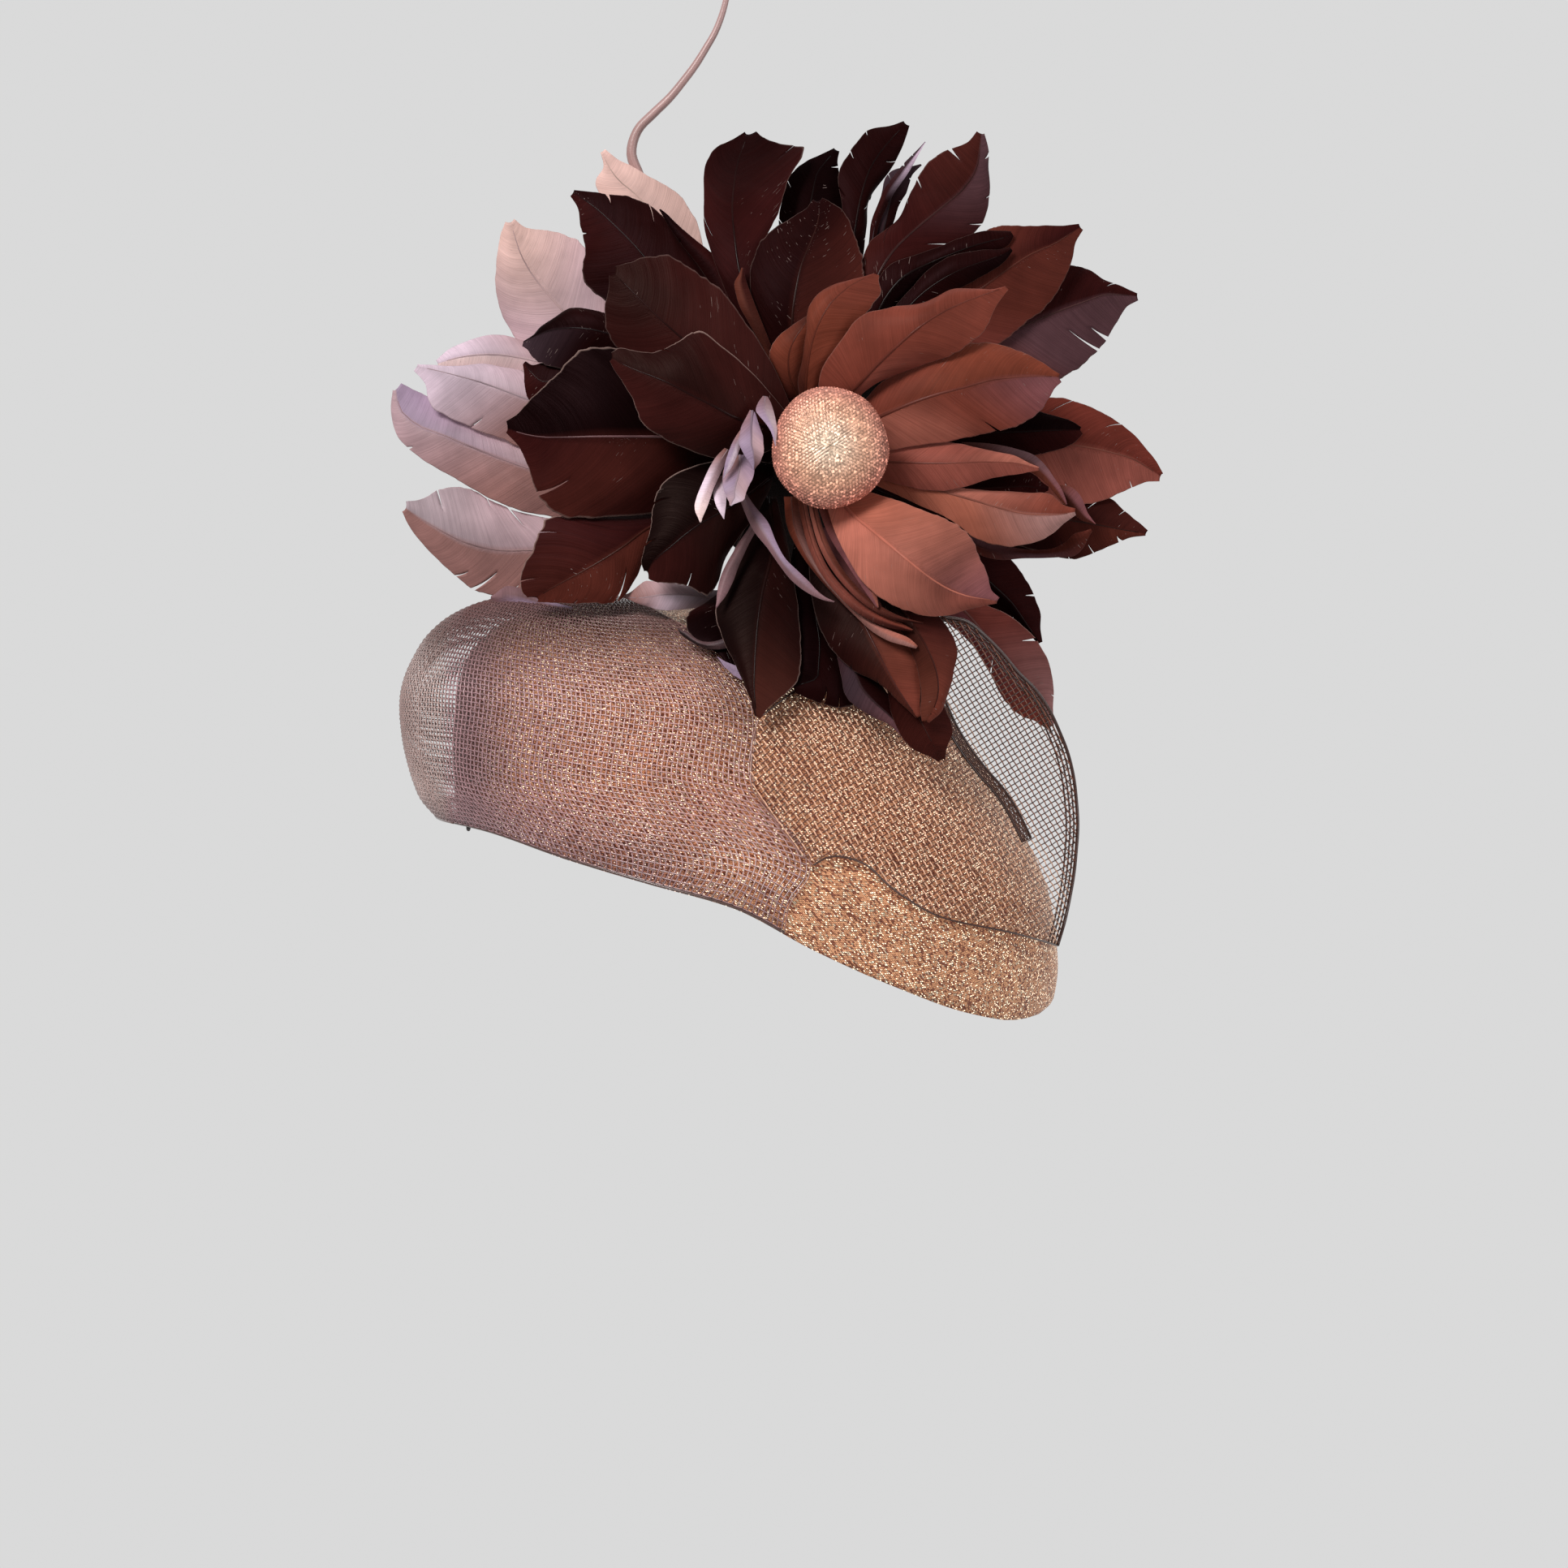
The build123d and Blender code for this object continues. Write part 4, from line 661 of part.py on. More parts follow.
        [(112.63, -45.95, 62.47), (112.57, -46, 62.35), (112.51, -45.95, 62.23)],
    ],
    "front_slender_b": [
        [(70.93, -45.18, 87.91), (70.9, -46, 86.46), (70.93, -45.18, 85.13)],
        [(76.8, -45.41, 87.71), (76.39, -46.56, 85.71), (76.06, -45.41, 83.87)],
        [(82.61, -45.75, 87), (81.83, -47.12, 84.7), (81.18, -45.75, 82.57)],
        [(88.3, -46.23, 85.65), (87.21, -47.68, 83.31), (86.26, -46.23, 81.17)],
        [(93.39, -46.7, 83.77), (92.03, -48.2, 81.48), (90.81, -46.7, 79.38)],
        [(97.01, -47.49, 80.35), (95.78, -48.68, 78.63), (94.67, -47.49, 77.06)],
        [(99.62, -48.23, 76.53), (98.59, -49.12, 75.33), (97.66, -48.23, 74.24)],
        [(101.69, -48.73, 73.36), (100.72, -49.48, 72.45), (99.83, -48.73, 71.63)],
        [(102.8, -49.25, 70.69), (102.11, -49.76, 70.1), (101.48, -49.25, 69.57)],
        [(103.49, -49.82, 68.39), (103.25, -50, 68.19), (103.03, -49.82, 68)],
    ],
    "dark_vane_right_split_b": [
        [(72.42, -39.11, 59.66), (72.38, -40, 58.1), (72.42, -39.11, 56.62)],
        [(77.97, -40.6, 57.84), (77.69, -42.08, 55.24), (77.53, -40.6, 52.79)],
        [(83.53, -42.48, 56.14), (83.52, -43.85, 53.74), (83.64, -42.48, 51.46)],
        [(89.16, -44.41, 54.82), (89.49, -45.31, 53.29), (89.9, -44.41, 51.84)],
        [(94.51, -45.56, 54.38), (95.09, -46.38, 53.09), (95.76, -45.56, 51.87)],
        [(99.45, -46.17, 54.88), (100.25, -47.13, 53.45), (101.16, -46.17, 52.11)],
        [(103.28, -46.11, 56.93), (104.51, -47.61, 54.67), (105.91, -46.11, 52.55)],
        [(106.02, -46.38, 59.4), (107.32, -47.86, 57.22), (108.81, -46.38, 55.19)],
        [(108.76, -47.26, 60.07), (109.38, -47.97, 59.02), (110.09, -47.26, 58.04)],
        [(110.97, -47.75, 60.85), (111.18, -48, 60.48), (111.43, -47.75, 60.14)],
    ],
    "front_vane_right_low": [
        [(38, -51.06, 80.71), (37.99, -52, 79.14), (38, -51.06, 77.19)],
        [(47.44, -54.88, 77.51), (47.44, -56.29, 76.77), (47.62, -54.88, 72.27)],
        [(56.92, -57.77, 74.61), (56.72, -59.64, 73.94), (57.32, -57.77, 67.65)],
        [(66.6, -59.42, 72.84), (66.02, -62.05, 71.23), (67.01, -59.42, 63.09)],
        [(75.78, -59.39, 72.17), (74.63, -63.44, 68.66), (74.94, -59.39, 57.13)],
        [(84.25, -59.51, 71.61), (82.57, -64.01, 66.24), (83.78, -59.51, 54.87)],
        [(92.02, -59.77, 71.4), (89.97, -63.92, 64.62), (91.91, -59.77, 55.96)],
        [(98.11, -60.08, 71.01), (96.2, -63.41, 64.32), (98.23, -60.08, 58.62)],
        [(101.63, -61.27, 67.53), (101.08, -62.75, 64.56), (102.1, -61.27, 62.04)],
        [(105.41, -61.48, 66.35), (105.22, -62, 65.31), (105.58, -61.48, 64.43)],
    ],
    "front_vane_right_mid": [
        [(39.22, -53.96, 84.54), (39.19, -55.4, 81.44), (39.22, -53.96, 77.51)],
        [(47.07, -57.37, 85.07), (46.87, -59.38, 80.87), (46.83, -57.37, 75.25)],
        [(54.89, -60.24, 85.63), (54.52, -62.83, 80.4), (54.43, -60.24, 73.07)],
        [(62.7, -62.34, 86.37), (62.16, -65.34, 80.08), (62.19, -62.34, 71.8)],
        [(69.95, -64.07, 86.21), (69.26, -66.9, 80.12), (69.42, -64.07, 72.49)],
        [(76.49, -65.36, 84.59), (75.84, -67.48, 80.31), (75.85, -65.36, 74.37)],
        [(82.51, -65.75, 83.19), (81.89, -67.27, 80.25), (81.85, -65.75, 75.85)],
        [(87.35, -65.78, 81.84), (86.85, -66.88, 79.99), (86.87, -65.78, 76.51)],
        [(90.89, -65.91, 80.1), (90.64, -66.48, 79.25), (90.71, -65.91, 77.34)],
        [(93.96, -65.83, 78.81), (93.87, -66.03, 78.51), (93.9, -65.83, 77.84)],
    ],
    "front_vane_right": [
        [(39.18, -56.45, 98.43), (37.14, -58.94, 91.22), (39.18, -56.45, 84.38)],
        [(45.29, -60.76, 105.06), (45.47, -64.46, 94.64), (48.84, -60.76, 84.57)],
        [(53.94, -63.78, 109.52), (53.83, -68.08, 98.05), (58.39, -63.78, 85.81)],
        [(62.92, -65.43, 113.44), (62.46, -70.21, 100.89), (67.95, -65.43, 87.13)],
        [(71.52, -65.45, 116.63), (70.72, -70.45, 103.01), (76.73, -65.45, 89.14)],
        [(79.9, -64.23, 117.23), (78.37, -69.02, 105.24), (84.93, -64.23, 90.9)],
        [(87.25, -63.98, 114.84), (85.57, -67.79, 106.31), (91.94, -63.98, 93.97)],
        [(93.05, -64.01, 112.21), (91.54, -66.51, 106.74), (96.13, -64.01, 98.54)],
        [(97.24, -64.05, 109.6), (96.21, -65.28, 106.83), (98.43, -64.05, 102.82)],
        [(100.57, -63.6, 107.56), (100.21, -64.03, 106.59), (100.99, -63.6, 105.18)],
    ],
    "front_strips_c": [
        [(15.6, -50.92, 70.65), (17.86, -52.42, 70.56), (20.13, -50.92, 70.65)],
        [(16.55, -55.85, 61.21), (18.8, -57.35, 61.31), (21.04, -55.85, 61.56)],
        [(20.66, -60.3, 52.7), (22.22, -61.34, 52.78), (23.78, -60.3, 52.96)],
        [(26.13, -65.22, 45.06), (27.06, -65.84, 45.04), (27.99, -65.22, 45.07)],
        [(31.89, -69.88, 38.57), (32.5, -70.29, 38.57), (33.12, -69.88, 38.6)],
        [(37.43, -72.92, 32.88), (38.06, -73.41, 33.21), (38.7, -72.92, 33.57)],
        [(42.72, -76.37, 27.92), (43.59, -77.27, 28.9), (44.48, -76.37, 29.93)],
        [(47.83, -78.23, 25), (48.7, -79.32, 26.31), (49.61, -78.23, 27.68)],
        [(52.17, -79.59, 23.74), (52.86, -80.48, 24.83), (53.59, -79.59, 25.97)],
        [(55.78, -80.23, 22.76), (56.02, -80.55, 23.14), (56.28, -80.23, 23.54)],
    ],
    "front_strips_b": [
        [(19.62, -53.38, 71.01), (20.87, -54.63, 70.94), (22.13, -53.38, 71.01)],
        [(21.06, -57.99, 62.42), (22.36, -59.33, 62.61), (23.68, -57.99, 62.94)],
        [(23.27, -62.99, 54.06), (24.58, -64.4, 54.51), (25.9, -62.99, 55.1)],
        [(26.82, -67.52, 46.33), (28, -68.93, 46.99), (29.21, -67.52, 47.77)],
        [(31.54, -71.42, 40.04), (32.58, -72.81, 40.88), (33.65, -71.42, 41.83)],
        [(36.6, -74.68, 34.9), (37.56, -76.18, 35.96), (38.57, -74.68, 37.12)],
        [(42.09, -77.63, 31.29), (42.89, -79.12, 32.46), (43.75, -77.63, 33.74)],
        [(47.05, -78.8, 29.37), (47.65, -80.12, 30.47), (48.3, -78.8, 31.65)],
        [(51.08, -79.41, 28.43), (51.47, -80.39, 29.28), (51.9, -79.41, 30.2)],
        [(54.48, -79.82, 27.92), (54.62, -80.17, 28.22), (54.77, -79.82, 28.54)],
    ],
    "front_strips_a": [
        [(22.63, -55.44, 70.89), (23.75, -56.58, 70.83), (24.89, -55.44, 70.89)],
        [(24.14, -61.15, 62.49), (25.43, -62.5, 62.69), (26.73, -61.15, 63.04)],
        [(26.48, -66.17, 54.4), (27.83, -67.67, 54.87), (29.21, -66.17, 55.49)],
        [(30.33, -70.51, 47.08), (31.52, -71.93, 47.72), (32.73, -70.51, 48.49)],
        [(35.09, -74.79, 41.07), (36.07, -76.11, 41.85), (37.08, -74.79, 42.72)],
        [(40.15, -78.59, 36.22), (40.93, -79.83, 37.08), (41.76, -78.59, 38.03)],
        [(45.53, -80.49, 32.9), (46.09, -81.57, 33.73), (46.69, -80.49, 34.64)],
        [(50.39, -81.51, 31.1), (50.73, -82.31, 31.76), (51.1, -81.51, 32.48)],
        [(54.43, -81.6, 30.71), (54.58, -81.97, 31.02), (54.76, -81.6, 31.35)],
        [(57.84, -81.24, 30.29), (57.9, -81.37, 30.4), (57.96, -81.24, 30.52)],
    ],
    "front_strips_d": [
        [(25.12, -58.11, 70.74), (26.62, -59.03, 70.69), (28.13, -58.11, 70.74)],
        [(26.71, -62.13, 65.13), (28.65, -63.34, 65.35), (30.62, -62.13, 65.71)],
        [(28.6, -65.54, 59.69), (30.84, -66.96, 60.14), (33.11, -65.54, 60.74)],
        [(31.13, -68.07, 54.62), (33.47, -69.57, 55.22), (35.84, -68.07, 55.96)],
        [(34.02, -69.11, 50.27), (36.08, -70.44, 50.82), (38.18, -69.11, 51.49)],
        [(36.53, -75.27, 45.98), (38.3, -76.42, 46.47), (40.1, -75.27, 47.06)],
        [(38.89, -78.56, 42.2), (40.42, -79.56, 42.65), (41.98, -78.56, 43.17)],
        [(40.9, -80.64, 39.2), (42.23, -81.51, 39.6), (43.59, -80.64, 40.06)],
        [(42.49, -81.68, 36.9), (43.25, -82.18, 37.16), (44.03, -81.68, 37.45)],
        [(43.82, -82.04, 35.05), (44.09, -82.21, 35.13), (44.36, -82.04, 35.24)],
    ],
    "front_vane_lower_right": [
        [(27.61, -59.99, 73.13), (29.86, -60.91, 73.08), (32.37, -59.99, 73.63)],
        [(30.13, -68.12, 62.21), (35.19, -70.86, 65.44), (41.26, -68.12, 71.19)],
        [(34.38, -75.9, 52.04), (41.8, -80.26, 59.18), (49.96, -75.9, 68.37)],
        [(40, -81.6, 42.77), (48.43, -87.1, 53.18), (58.23, -81.6, 64.55)],
        [(47.52, -84.29, 36.41), (54.62, -90.29, 47.79), (65.97, -84.29, 61.23)],
        [(56.05, -82.93, 33.23), (60.68, -88.47, 43.31), (72.1, -82.93, 56.86)],
        [(64.43, -79.92, 32.73), (66.83, -83.93, 40.08), (75.11, -79.92, 50.46)],
        [(71.1, -79.99, 34.3), (72.27, -82.41, 38.39), (77.47, -79.99, 45.09)],
        [(76.21, -80.17, 35.74), (76.69, -81.24, 37.77), (78.69, -80.17, 40.7)],
        [(80.32, -79.61, 36.53), (80.49, -79.99, 37.24), (81.19, -79.61, 38.27)],
    ],
    "front_vane_top_short_a": [
        [(19.88, -51.35, 98.81), (21.13, -52, 98.76), (22.39, -51.35, 98.81)],
        [(14.28, -53.42, 99.97), (19.2, -55.53, 102.6), (21.98, -53.42, 102.79)],
        [(11.42, -55.44, 104.5), (17.5, -58.27, 106.55), (22.16, -55.44, 106.76)],
        [(11.07, -57.26, 110.14), (16.91, -60.23, 110.87), (22.59, -57.26, 110.73)],
        [(11.45, -58.35, 115.38), (17.3, -61.35, 114.81), (23.04, -58.35, 114.45)],
        [(13.86, -59.09, 119.5), (18.74, -61.78, 118.37), (24.14, -59.09, 117.74)],
        [(17.39, -59.63, 122.3), (20.69, -61.67, 121.31), (25.15, -59.63, 120.78)],
        [(20.42, -59.8, 124.45), (22.47, -61.22, 123.64), (25.82, -59.8, 123.32)],
        [(22.77, -59.93, 126.12), (23.86, -60.65, 125.47), (25.42, -59.93, 125.33)],
        [(24.68, -59.75, 127.29), (25.06, -60, 127.06), (25.6, -59.75, 127.01)],
    ],
    "front_vane_top_short_b": [
        [(21.12, -54.66, 98.56), (22.38, -55.22, 98.52), (23.64, -54.66, 98.56)],
        [(19.9, -59.01, 105.85), (22.35, -60.41, 105.07), (26.01, -59.01, 104.51)],
        [(21.47, -61.63, 113.14), (23.09, -63.39, 111.72), (28.83, -61.63, 110.34)],
        [(22.62, -62.57, 120.34), (24.5, -65.02, 118.36), (32.56, -62.57, 115.82)],
        [(23.01, -62.52, 127.39), (26.89, -65.81, 124.24), (36.17, -62.52, 120.88)],
        [(26.39, -62.28, 132.92), (30.03, -65.78, 129.28), (39.99, -62.28, 125.19)],
        [(31.74, -61.94, 135.59), (33.93, -64.82, 133.13), (43.08, -61.94, 129.49)],
        [(36.57, -61.63, 136.72), (37.57, -63.8, 135.76), (45.57, -61.63, 133.03)],
        [(40.3, -61.84, 137.65), (40.73, -62.91, 137.3), (44.86, -61.84, 136.16)],
        [(43.29, -61.66, 138.76), (43.44, -62.04, 138.64), (44.89, -61.66, 138.24)],
    ],
    "front_vane_top_right": [
        [(26.13, -57.55, 98.34), (31.62, -59.63, 98.18), (36.15, -57.55, 97.84)],
        [(26.89, -63.14, 108.51), (38.17, -66.45, 103.86), (42.09, -63.14, 103.79)],
        [(32.65, -65.85, 117.61), (44.29, -70.08, 110.17), (50.08, -65.85, 107.22)],
        [(40.05, -68, 125.43), (50.86, -73, 116.04), (58.38, -68, 110.02)],
        [(49.67, -69.75, 127.63), (57.23, -74.43, 121.29), (66.12, -69.75, 112.46)],
        [(58.82, -69.7, 129.24), (63.69, -73.58, 125.58), (72.41, -69.7, 116.63)],
        [(66.62, -68.39, 133.09), (70.16, -71.72, 128.8), (77.54, -68.39, 121.44)],
        [(73.61, -67.76, 133.41), (75.68, -69.72, 131.02), (80.11, -67.76, 126.6)],
        [(79.11, -67.09, 133.21), (80.02, -67.96, 132.68), (82.3, -67.09, 130.52)],
        [(83.44, -66.13, 134.29), (83.76, -66.43, 134.1), (84.56, -66.13, 133.35)],
    ],
    "front_vane_top_left": [
        [(18.61, -54.77, 95.54), (17.61, -55.44, 93.73), (16.1, -54.77, 91.77)],
        [(14.42, -59.43, 106.04), (9.48, -61.41, 99.02), (5.57, -59.43, 96.1)],
        [(9.01, -61.46, 116.14), (1.52, -64.51, 104.68), (-4.76, -61.46, 100.99)],
        [(2.37, -61.94, 125.49), (-6.33, -65.85, 110.59), (-15.12, -61.94, 105.94)],
        [(-4.02, -60.8, 134.1), (-13.4, -65.52, 116.51), (-24.91, -60.8, 110.36)],
        [(-12.29, -59.92, 139.74), (-19.84, -64.92, 122.12), (-34.06, -59.92, 114.18)],
        [(-20.11, -59.57, 144.2), (-25.55, -63.97, 127.52), (-38.99, -59.57, 121.43)],
        [(-27.46, -59.8, 144.02), (-30.09, -62.71, 132.15), (-39.64, -59.8, 128.74)],
        [(-32.86, -59.96, 142.11), (-33.64, -61.39, 135.8), (-38.41, -59.96, 134.32)],
        [(-36.43, -59.5, 141.16), (-36.7, -60, 138.95), (-38.37, -59.5, 138.43)],
    ],
    "front_vane_lower_left": [
        [(12.83, -52.99, 80.59), (12.08, -54, 77.01), (11.58, -52.99, 73.55)],
        [(3.71, -55.94, 81.88), (6.65, -58.29, 72.51), (7.39, -55.94, 65.66)],
        [(-5.5, -58.23, 81.27), (1.06, -61.64, 68.32), (2.24, -58.23, 58.46)],
        [(-14.38, -59.76, 78.76), (-4.84, -64.05, 64.71), (-2.35, -59.76, 50.99)],
        [(-21.55, -60.44, 74.43), (-10.3, -65.44, 61.37), (-4.93, -60.44, 43.26)],
        [(-24.66, -61.48, 67.23), (-15.04, -66.01, 57.9), (-8.29, -61.48, 39.81)],
        [(-25.7, -62.99, 59.99), (-19.17, -65.92, 54.43), (-14.46, -62.99, 42.69)],
        [(-27.16, -63.57, 54.24), (-22.63, -65.41, 51.7), (-20, -63.57, 43.42)],
        [(-28.25, -63.69, 50.12), (-24.93, -64.75, 49.25), (-24.26, -63.69, 43.74)],
        [(-27.5, -63.63, 46.99), (-26.33, -64, 46.69), (-26.1, -63.63, 44.76)],
    ],
    "front_vane_upper_left": [
        [(17.1, -58.58, 95.26), (16.6, -60.16, 90.64), (15.35, -58.58, 86.24)],
        [(10.8, -62.9, 102.43), (8.58, -66.47, 91.89), (6.27, -62.9, 82.31)],
        [(4.25, -65.68, 109.43), (0.76, -70.74, 93.73), (-3.31, -65.68, 81.27)],
        [(-3.21, -67.17, 115.59), (-6.41, -72.93, 97.42), (-12.6, -67.17, 83.85)],
        [(-10.83, -67.43, 120.47), (-13.2, -73.43, 100.73), (-20.89, -67.43, 87.45)],
        [(-17.21, -68.42, 117.05), (-19.41, -73.13, 103.97), (-27.73, -68.42, 92.1)],
        [(-24.08, -68.87, 113.81), (-25.36, -71.73, 106.56), (-30.48, -68.87, 98.65)],
        [(-30.21, -68.7, 114.32), (-30.31, -70.56, 108.51), (-33.34, -68.7, 104.09)],
        [(-34.54, -68.08, 115.27), (-34.04, -69.36, 110.34), (-36.1, -68.08, 108.11)],
        [(-37.35, -67.72, 113.83), (-37.17, -68.17, 112.1), (-37.89, -67.72, 111.32)],
    ],
    "mauve_curls_h": [
        [(6.6, -61.55, 64.04), (7.48, -62, 63.77), (8.35, -61.55, 63.54)],
        [(4.66, -63.78, 60.03), (5.79, -64.36, 59.65), (6.91, -63.78, 59.33)],
        [(2.18, -65.71, 56.38), (3.53, -66.41, 55.87), (4.86, -65.71, 55.43)],
        [(-0.05, -67.33, 52.59), (1.5, -68.15, 51.97), (3.04, -67.33, 51.43)],
        [(-2.03, -68.56, 49.04), (-0.29, -69.48, 48.33), (1.42, -68.56, 47.7)],
        [(-3.58, -69.47, 45.62), (-1.68, -70.47, 44.86), (0.2, -69.47, 44.17)],
        [(-4.48, -70.31, 42.32), (-2.84, -71.17, 41.66), (-1.22, -70.31, 41.07)],
        [(-4.91, -70.98, 39.55), (-3.73, -71.6, 39.07), (-2.58, -70.98, 38.63)],
        [(-5.02, -71.56, 37.36), (-4.47, -71.85, 37.14), (-3.93, -71.56, 36.94)],
        [(-5.3, -71.9, 35.57), (-5.11, -72, 35.5), (-4.92, -71.9, 35.42)],
    ],
    "mauve_curls_g": [
        [(1.39, -65.55, 71.31), (2.26, -66, 71.65), (3.13, -65.55, 72.05)],
        [(3.57, -68.56, 64.9), (5.13, -69.4, 65.73), (6.68, -68.56, 66.64)],
        [(6.48, -71.14, 58.85), (8.59, -72.34, 60.17), (10.69, -71.14, 61.62)],
        [(10.6, -74.02, 53.58), (11.86, -74.8, 54.58), (13.12, -74.02, 55.65)],
        [(14.08, -76.03, 48.5), (15, -76.67, 49.44), (15.92, -76.03, 50.43)],
        [(17.54, -77.23, 44.02), (18.63, -78.03, 45.26), (19.72, -77.23, 46.57)],
        [(21.45, -78.25, 40.65), (22.36, -78.98, 41.84), (23.27, -78.25, 43.09)],
        [(25.11, -79.11, 38.55), (25.55, -79.54, 39.3), (25.99, -79.11, 40.09)],
        [(28.13, -79.61, 37.37), (28.32, -79.84, 37.79), (28.52, -79.61, 38.23)],
        [(30.85, -79.92, 36.84), (30.91, -80, 36.99), (30.98, -79.92, 37.14)],
    ],
    "mauve_curls_f": [
        [(-3.8, -69.74, 76.03), (-3.17, -70, 75.89), (-2.55, -69.74, 75.78)],
        [(-4.72, -71.58, 74.12), (-3.48, -72.08, 73.96), (-2.26, -71.58, 73.86)],
        [(-5.48, -73.16, 72.16), (-3.77, -73.85, 72.01), (-2.08, -73.16, 71.93)],
        [(-5.93, -74.51, 70.13), (-3.96, -75.31, 70.03), (-2.02, -74.51, 70.02)],
        [(-5.61, -75.65, 68.2), (-3.83, -76.38, 68.19), (-2.06, -75.65, 68.26)],
        [(-5.1, -76.52, 66.5), (-3.6, -77.13, 66.54), (-2.11, -76.52, 66.64)],
        [(-4.39, -77.18, 65.04), (-3.34, -77.61, 65.09), (-2.31, -77.18, 65.18)],
        [(-3.72, -77.61, 63.9), (-3.09, -77.86, 63.93), (-2.47, -77.61, 63.99)],
        [(-3.17, -77.85, 63.03), (-2.88, -77.97, 63.05), (-2.59, -77.85, 63.08)],
        [(-2.8, -77.96, 62.29), (-2.7, -78, 62.29), (-2.6, -77.96, 62.3)],
    ],
    "mauve_curls_e": [
        [(-2.55, -69.6, 84.5), (-1.68, -70, 83.97), (-0.81, -69.6, 83.5)],
        [(-5.04, -71.55, 81.79), (-3.52, -72.22, 81), (-2.01, -71.55, 80.29)],
        [(-6.95, -73.38, 78.63), (-5.19, -74.13, 77.88), (-3.45, -73.38, 77.21)],
        [(-8.5, -74.96, 75.3), (-6.65, -75.73, 74.66), (-4.81, -74.96, 74.12)],
        [(-9.81, -76.16, 72.16), (-7.91, -76.93, 71.65), (-6.03, -76.16, 71.24)],
        [(-10.92, -77, 69.24), (-8.93, -77.8, 68.83), (-6.96, -77, 68.52)],
        [(-11.62, -77.63, 66.47), (-9.71, -78.39, 66.22), (-7.82, -77.63, 66.05)],
        [(-11.32, -78.2, 64.27), (-9.98, -78.73, 64.15), (-8.65, -78.2, 64.07)],
        [(-10.53, -78.67, 62.63), (-9.91, -78.91, 62.57), (-9.3, -78.67, 62.54)],
        [(-10.07, -78.91, 61.25), (-9.86, -79, 61.23), (-9.64, -78.91, 61.21)],
    ],
    "mauve_curls_c": [
        [(-0.05, -71.54, 81.88), (2.07, -72, 82.1), (4.17, -71.54, 82.38)],
        [(-1.36, -73.79, 79.86), (2.18, -74.56, 79.85), (5.72, -73.79, 79.94)],
        [(-2.56, -75.67, 77.81), (2, -76.66, 77.53), (6.54, -75.67, 77.37)],
        [(-3.06, -77.28, 75.47), (1.51, -78.28, 74.96), (6.07, -77.28, 74.58)],
        [(-3.07, -78.5, 73.28), (0.91, -79.37, 72.72), (4.87, -78.5, 72.26)],
        [(-2.77, -79.27, 71.3), (0.58, -80.01, 70.64), (3.92, -79.27, 70.07)],
        [(-2.15, -79.69, 69.58), (0.54, -80.3, 68.77), (3.22, -79.69, 68.03)],
        [(-1.58, -79.95, 68.2), (0.03, -80.32, 67.72), (1.63, -79.95, 67.28)],
        [(-1.11, -80.03, 67.15), (-0.37, -80.2, 66.93), (0.37, -80.03, 66.73)],
        [(-0.96, -79.94, 66.34), (-0.7, -80, 66.26), (-0.44, -79.94, 66.19)],
    ],
    "mauve_curls_d": [
        [(2.2, -72.45, 89.77), (2.94, -73, 89.48), (3.69, -72.45, 89.27)],
        [(0.97, -74.65, 87.75), (2.02, -75.42, 87.31), (3.04, -74.65, 86.97)],
        [(-0.11, -76.44, 85.68), (1.14, -77.38, 85.14), (2.38, -76.44, 84.72)],
        [(-0.97, -77.86, 83.53), (0.36, -78.86, 82.95), (1.68, -77.86, 82.5)],
        [(-1.64, -78.87, 81.51), (-0.37, -79.82, 80.96), (0.87, -78.87, 80.53)],
        [(-2.2, -79.49, 79.64), (-1.06, -80.34, 79.14), (0.07, -79.49, 78.76)],
        [(-2.54, -79.88, 77.9), (-1.69, -80.52, 77.54), (-0.85, -79.88, 77.25)],
        [(-2.7, -80.07, 76.47), (-2.19, -80.45, 76.25), (-1.7, -80.07, 76.08)],
        [(-2.82, -80.08, 75.36), (-2.59, -80.26, 75.26), (-2.36, -80.08, 75.18)],
        [(-3.01, -79.94, 74.45), (-2.92, -80, 74.41), (-2.85, -79.94, 74.38)],
    ],
    "mauve_curls_b": [
        [(5.18, -72.79, 95.95), (5.92, -73.01, 95.56), (6.67, -72.79, 95.2)],
        [(3.93, -74.84, 93.28), (5.75, -75.33, 92.9), (7.56, -74.84, 92.59)],
        [(2.75, -76.49, 90.61), (5.59, -77.25, 90.25), (8.41, -76.49, 89.99)],
        [(2.04, -77.93, 87.83), (5.65, -78.89, 87.56), (9.25, -77.93, 87.42)],
        [(1.94, -78.89, 85.22), (5.69, -79.89, 85.02), (9.42, -78.89, 84.95)],
        [(2.96, -79.38, 83.01), (6.19, -80.25, 82.79), (9.42, -79.38, 82.68)],
        [(4.01, -79.56, 81.07), (6.37, -80.19, 80.87), (8.72, -79.56, 80.75)],
        [(5.01, -79.43, 79.58), (6.54, -79.84, 79.38), (8.05, -79.43, 79.23)],
        [(5.79, -79.27, 78.42), (6.49, -79.45, 78.33), (7.19, -79.27, 78.26)],
        [(6.21, -79, 77.47), (6.46, -79.07, 77.43), (6.7, -79, 77.41)],
    ],
    "mauve_curls_a": [
        [(9.14, -71.71, 100.25), (9.89, -72, 100.1), (10.63, -71.71, 100)],
        [(7.72, -73.76, 98.04), (9.67, -74.5, 97.9), (11.62, -73.76, 97.88)],
        [(7.04, -75.69, 95.52), (9.68, -76.69, 95.52), (12.31, -75.69, 95.67)],
        [(8.32, -77.71, 93.46), (10.59, -78.57, 93.37), (12.86, -77.71, 93.41)],
        [(9.83, -79.38, 91.57), (11.53, -80.03, 91.39), (13.23, -79.38, 91.29)],
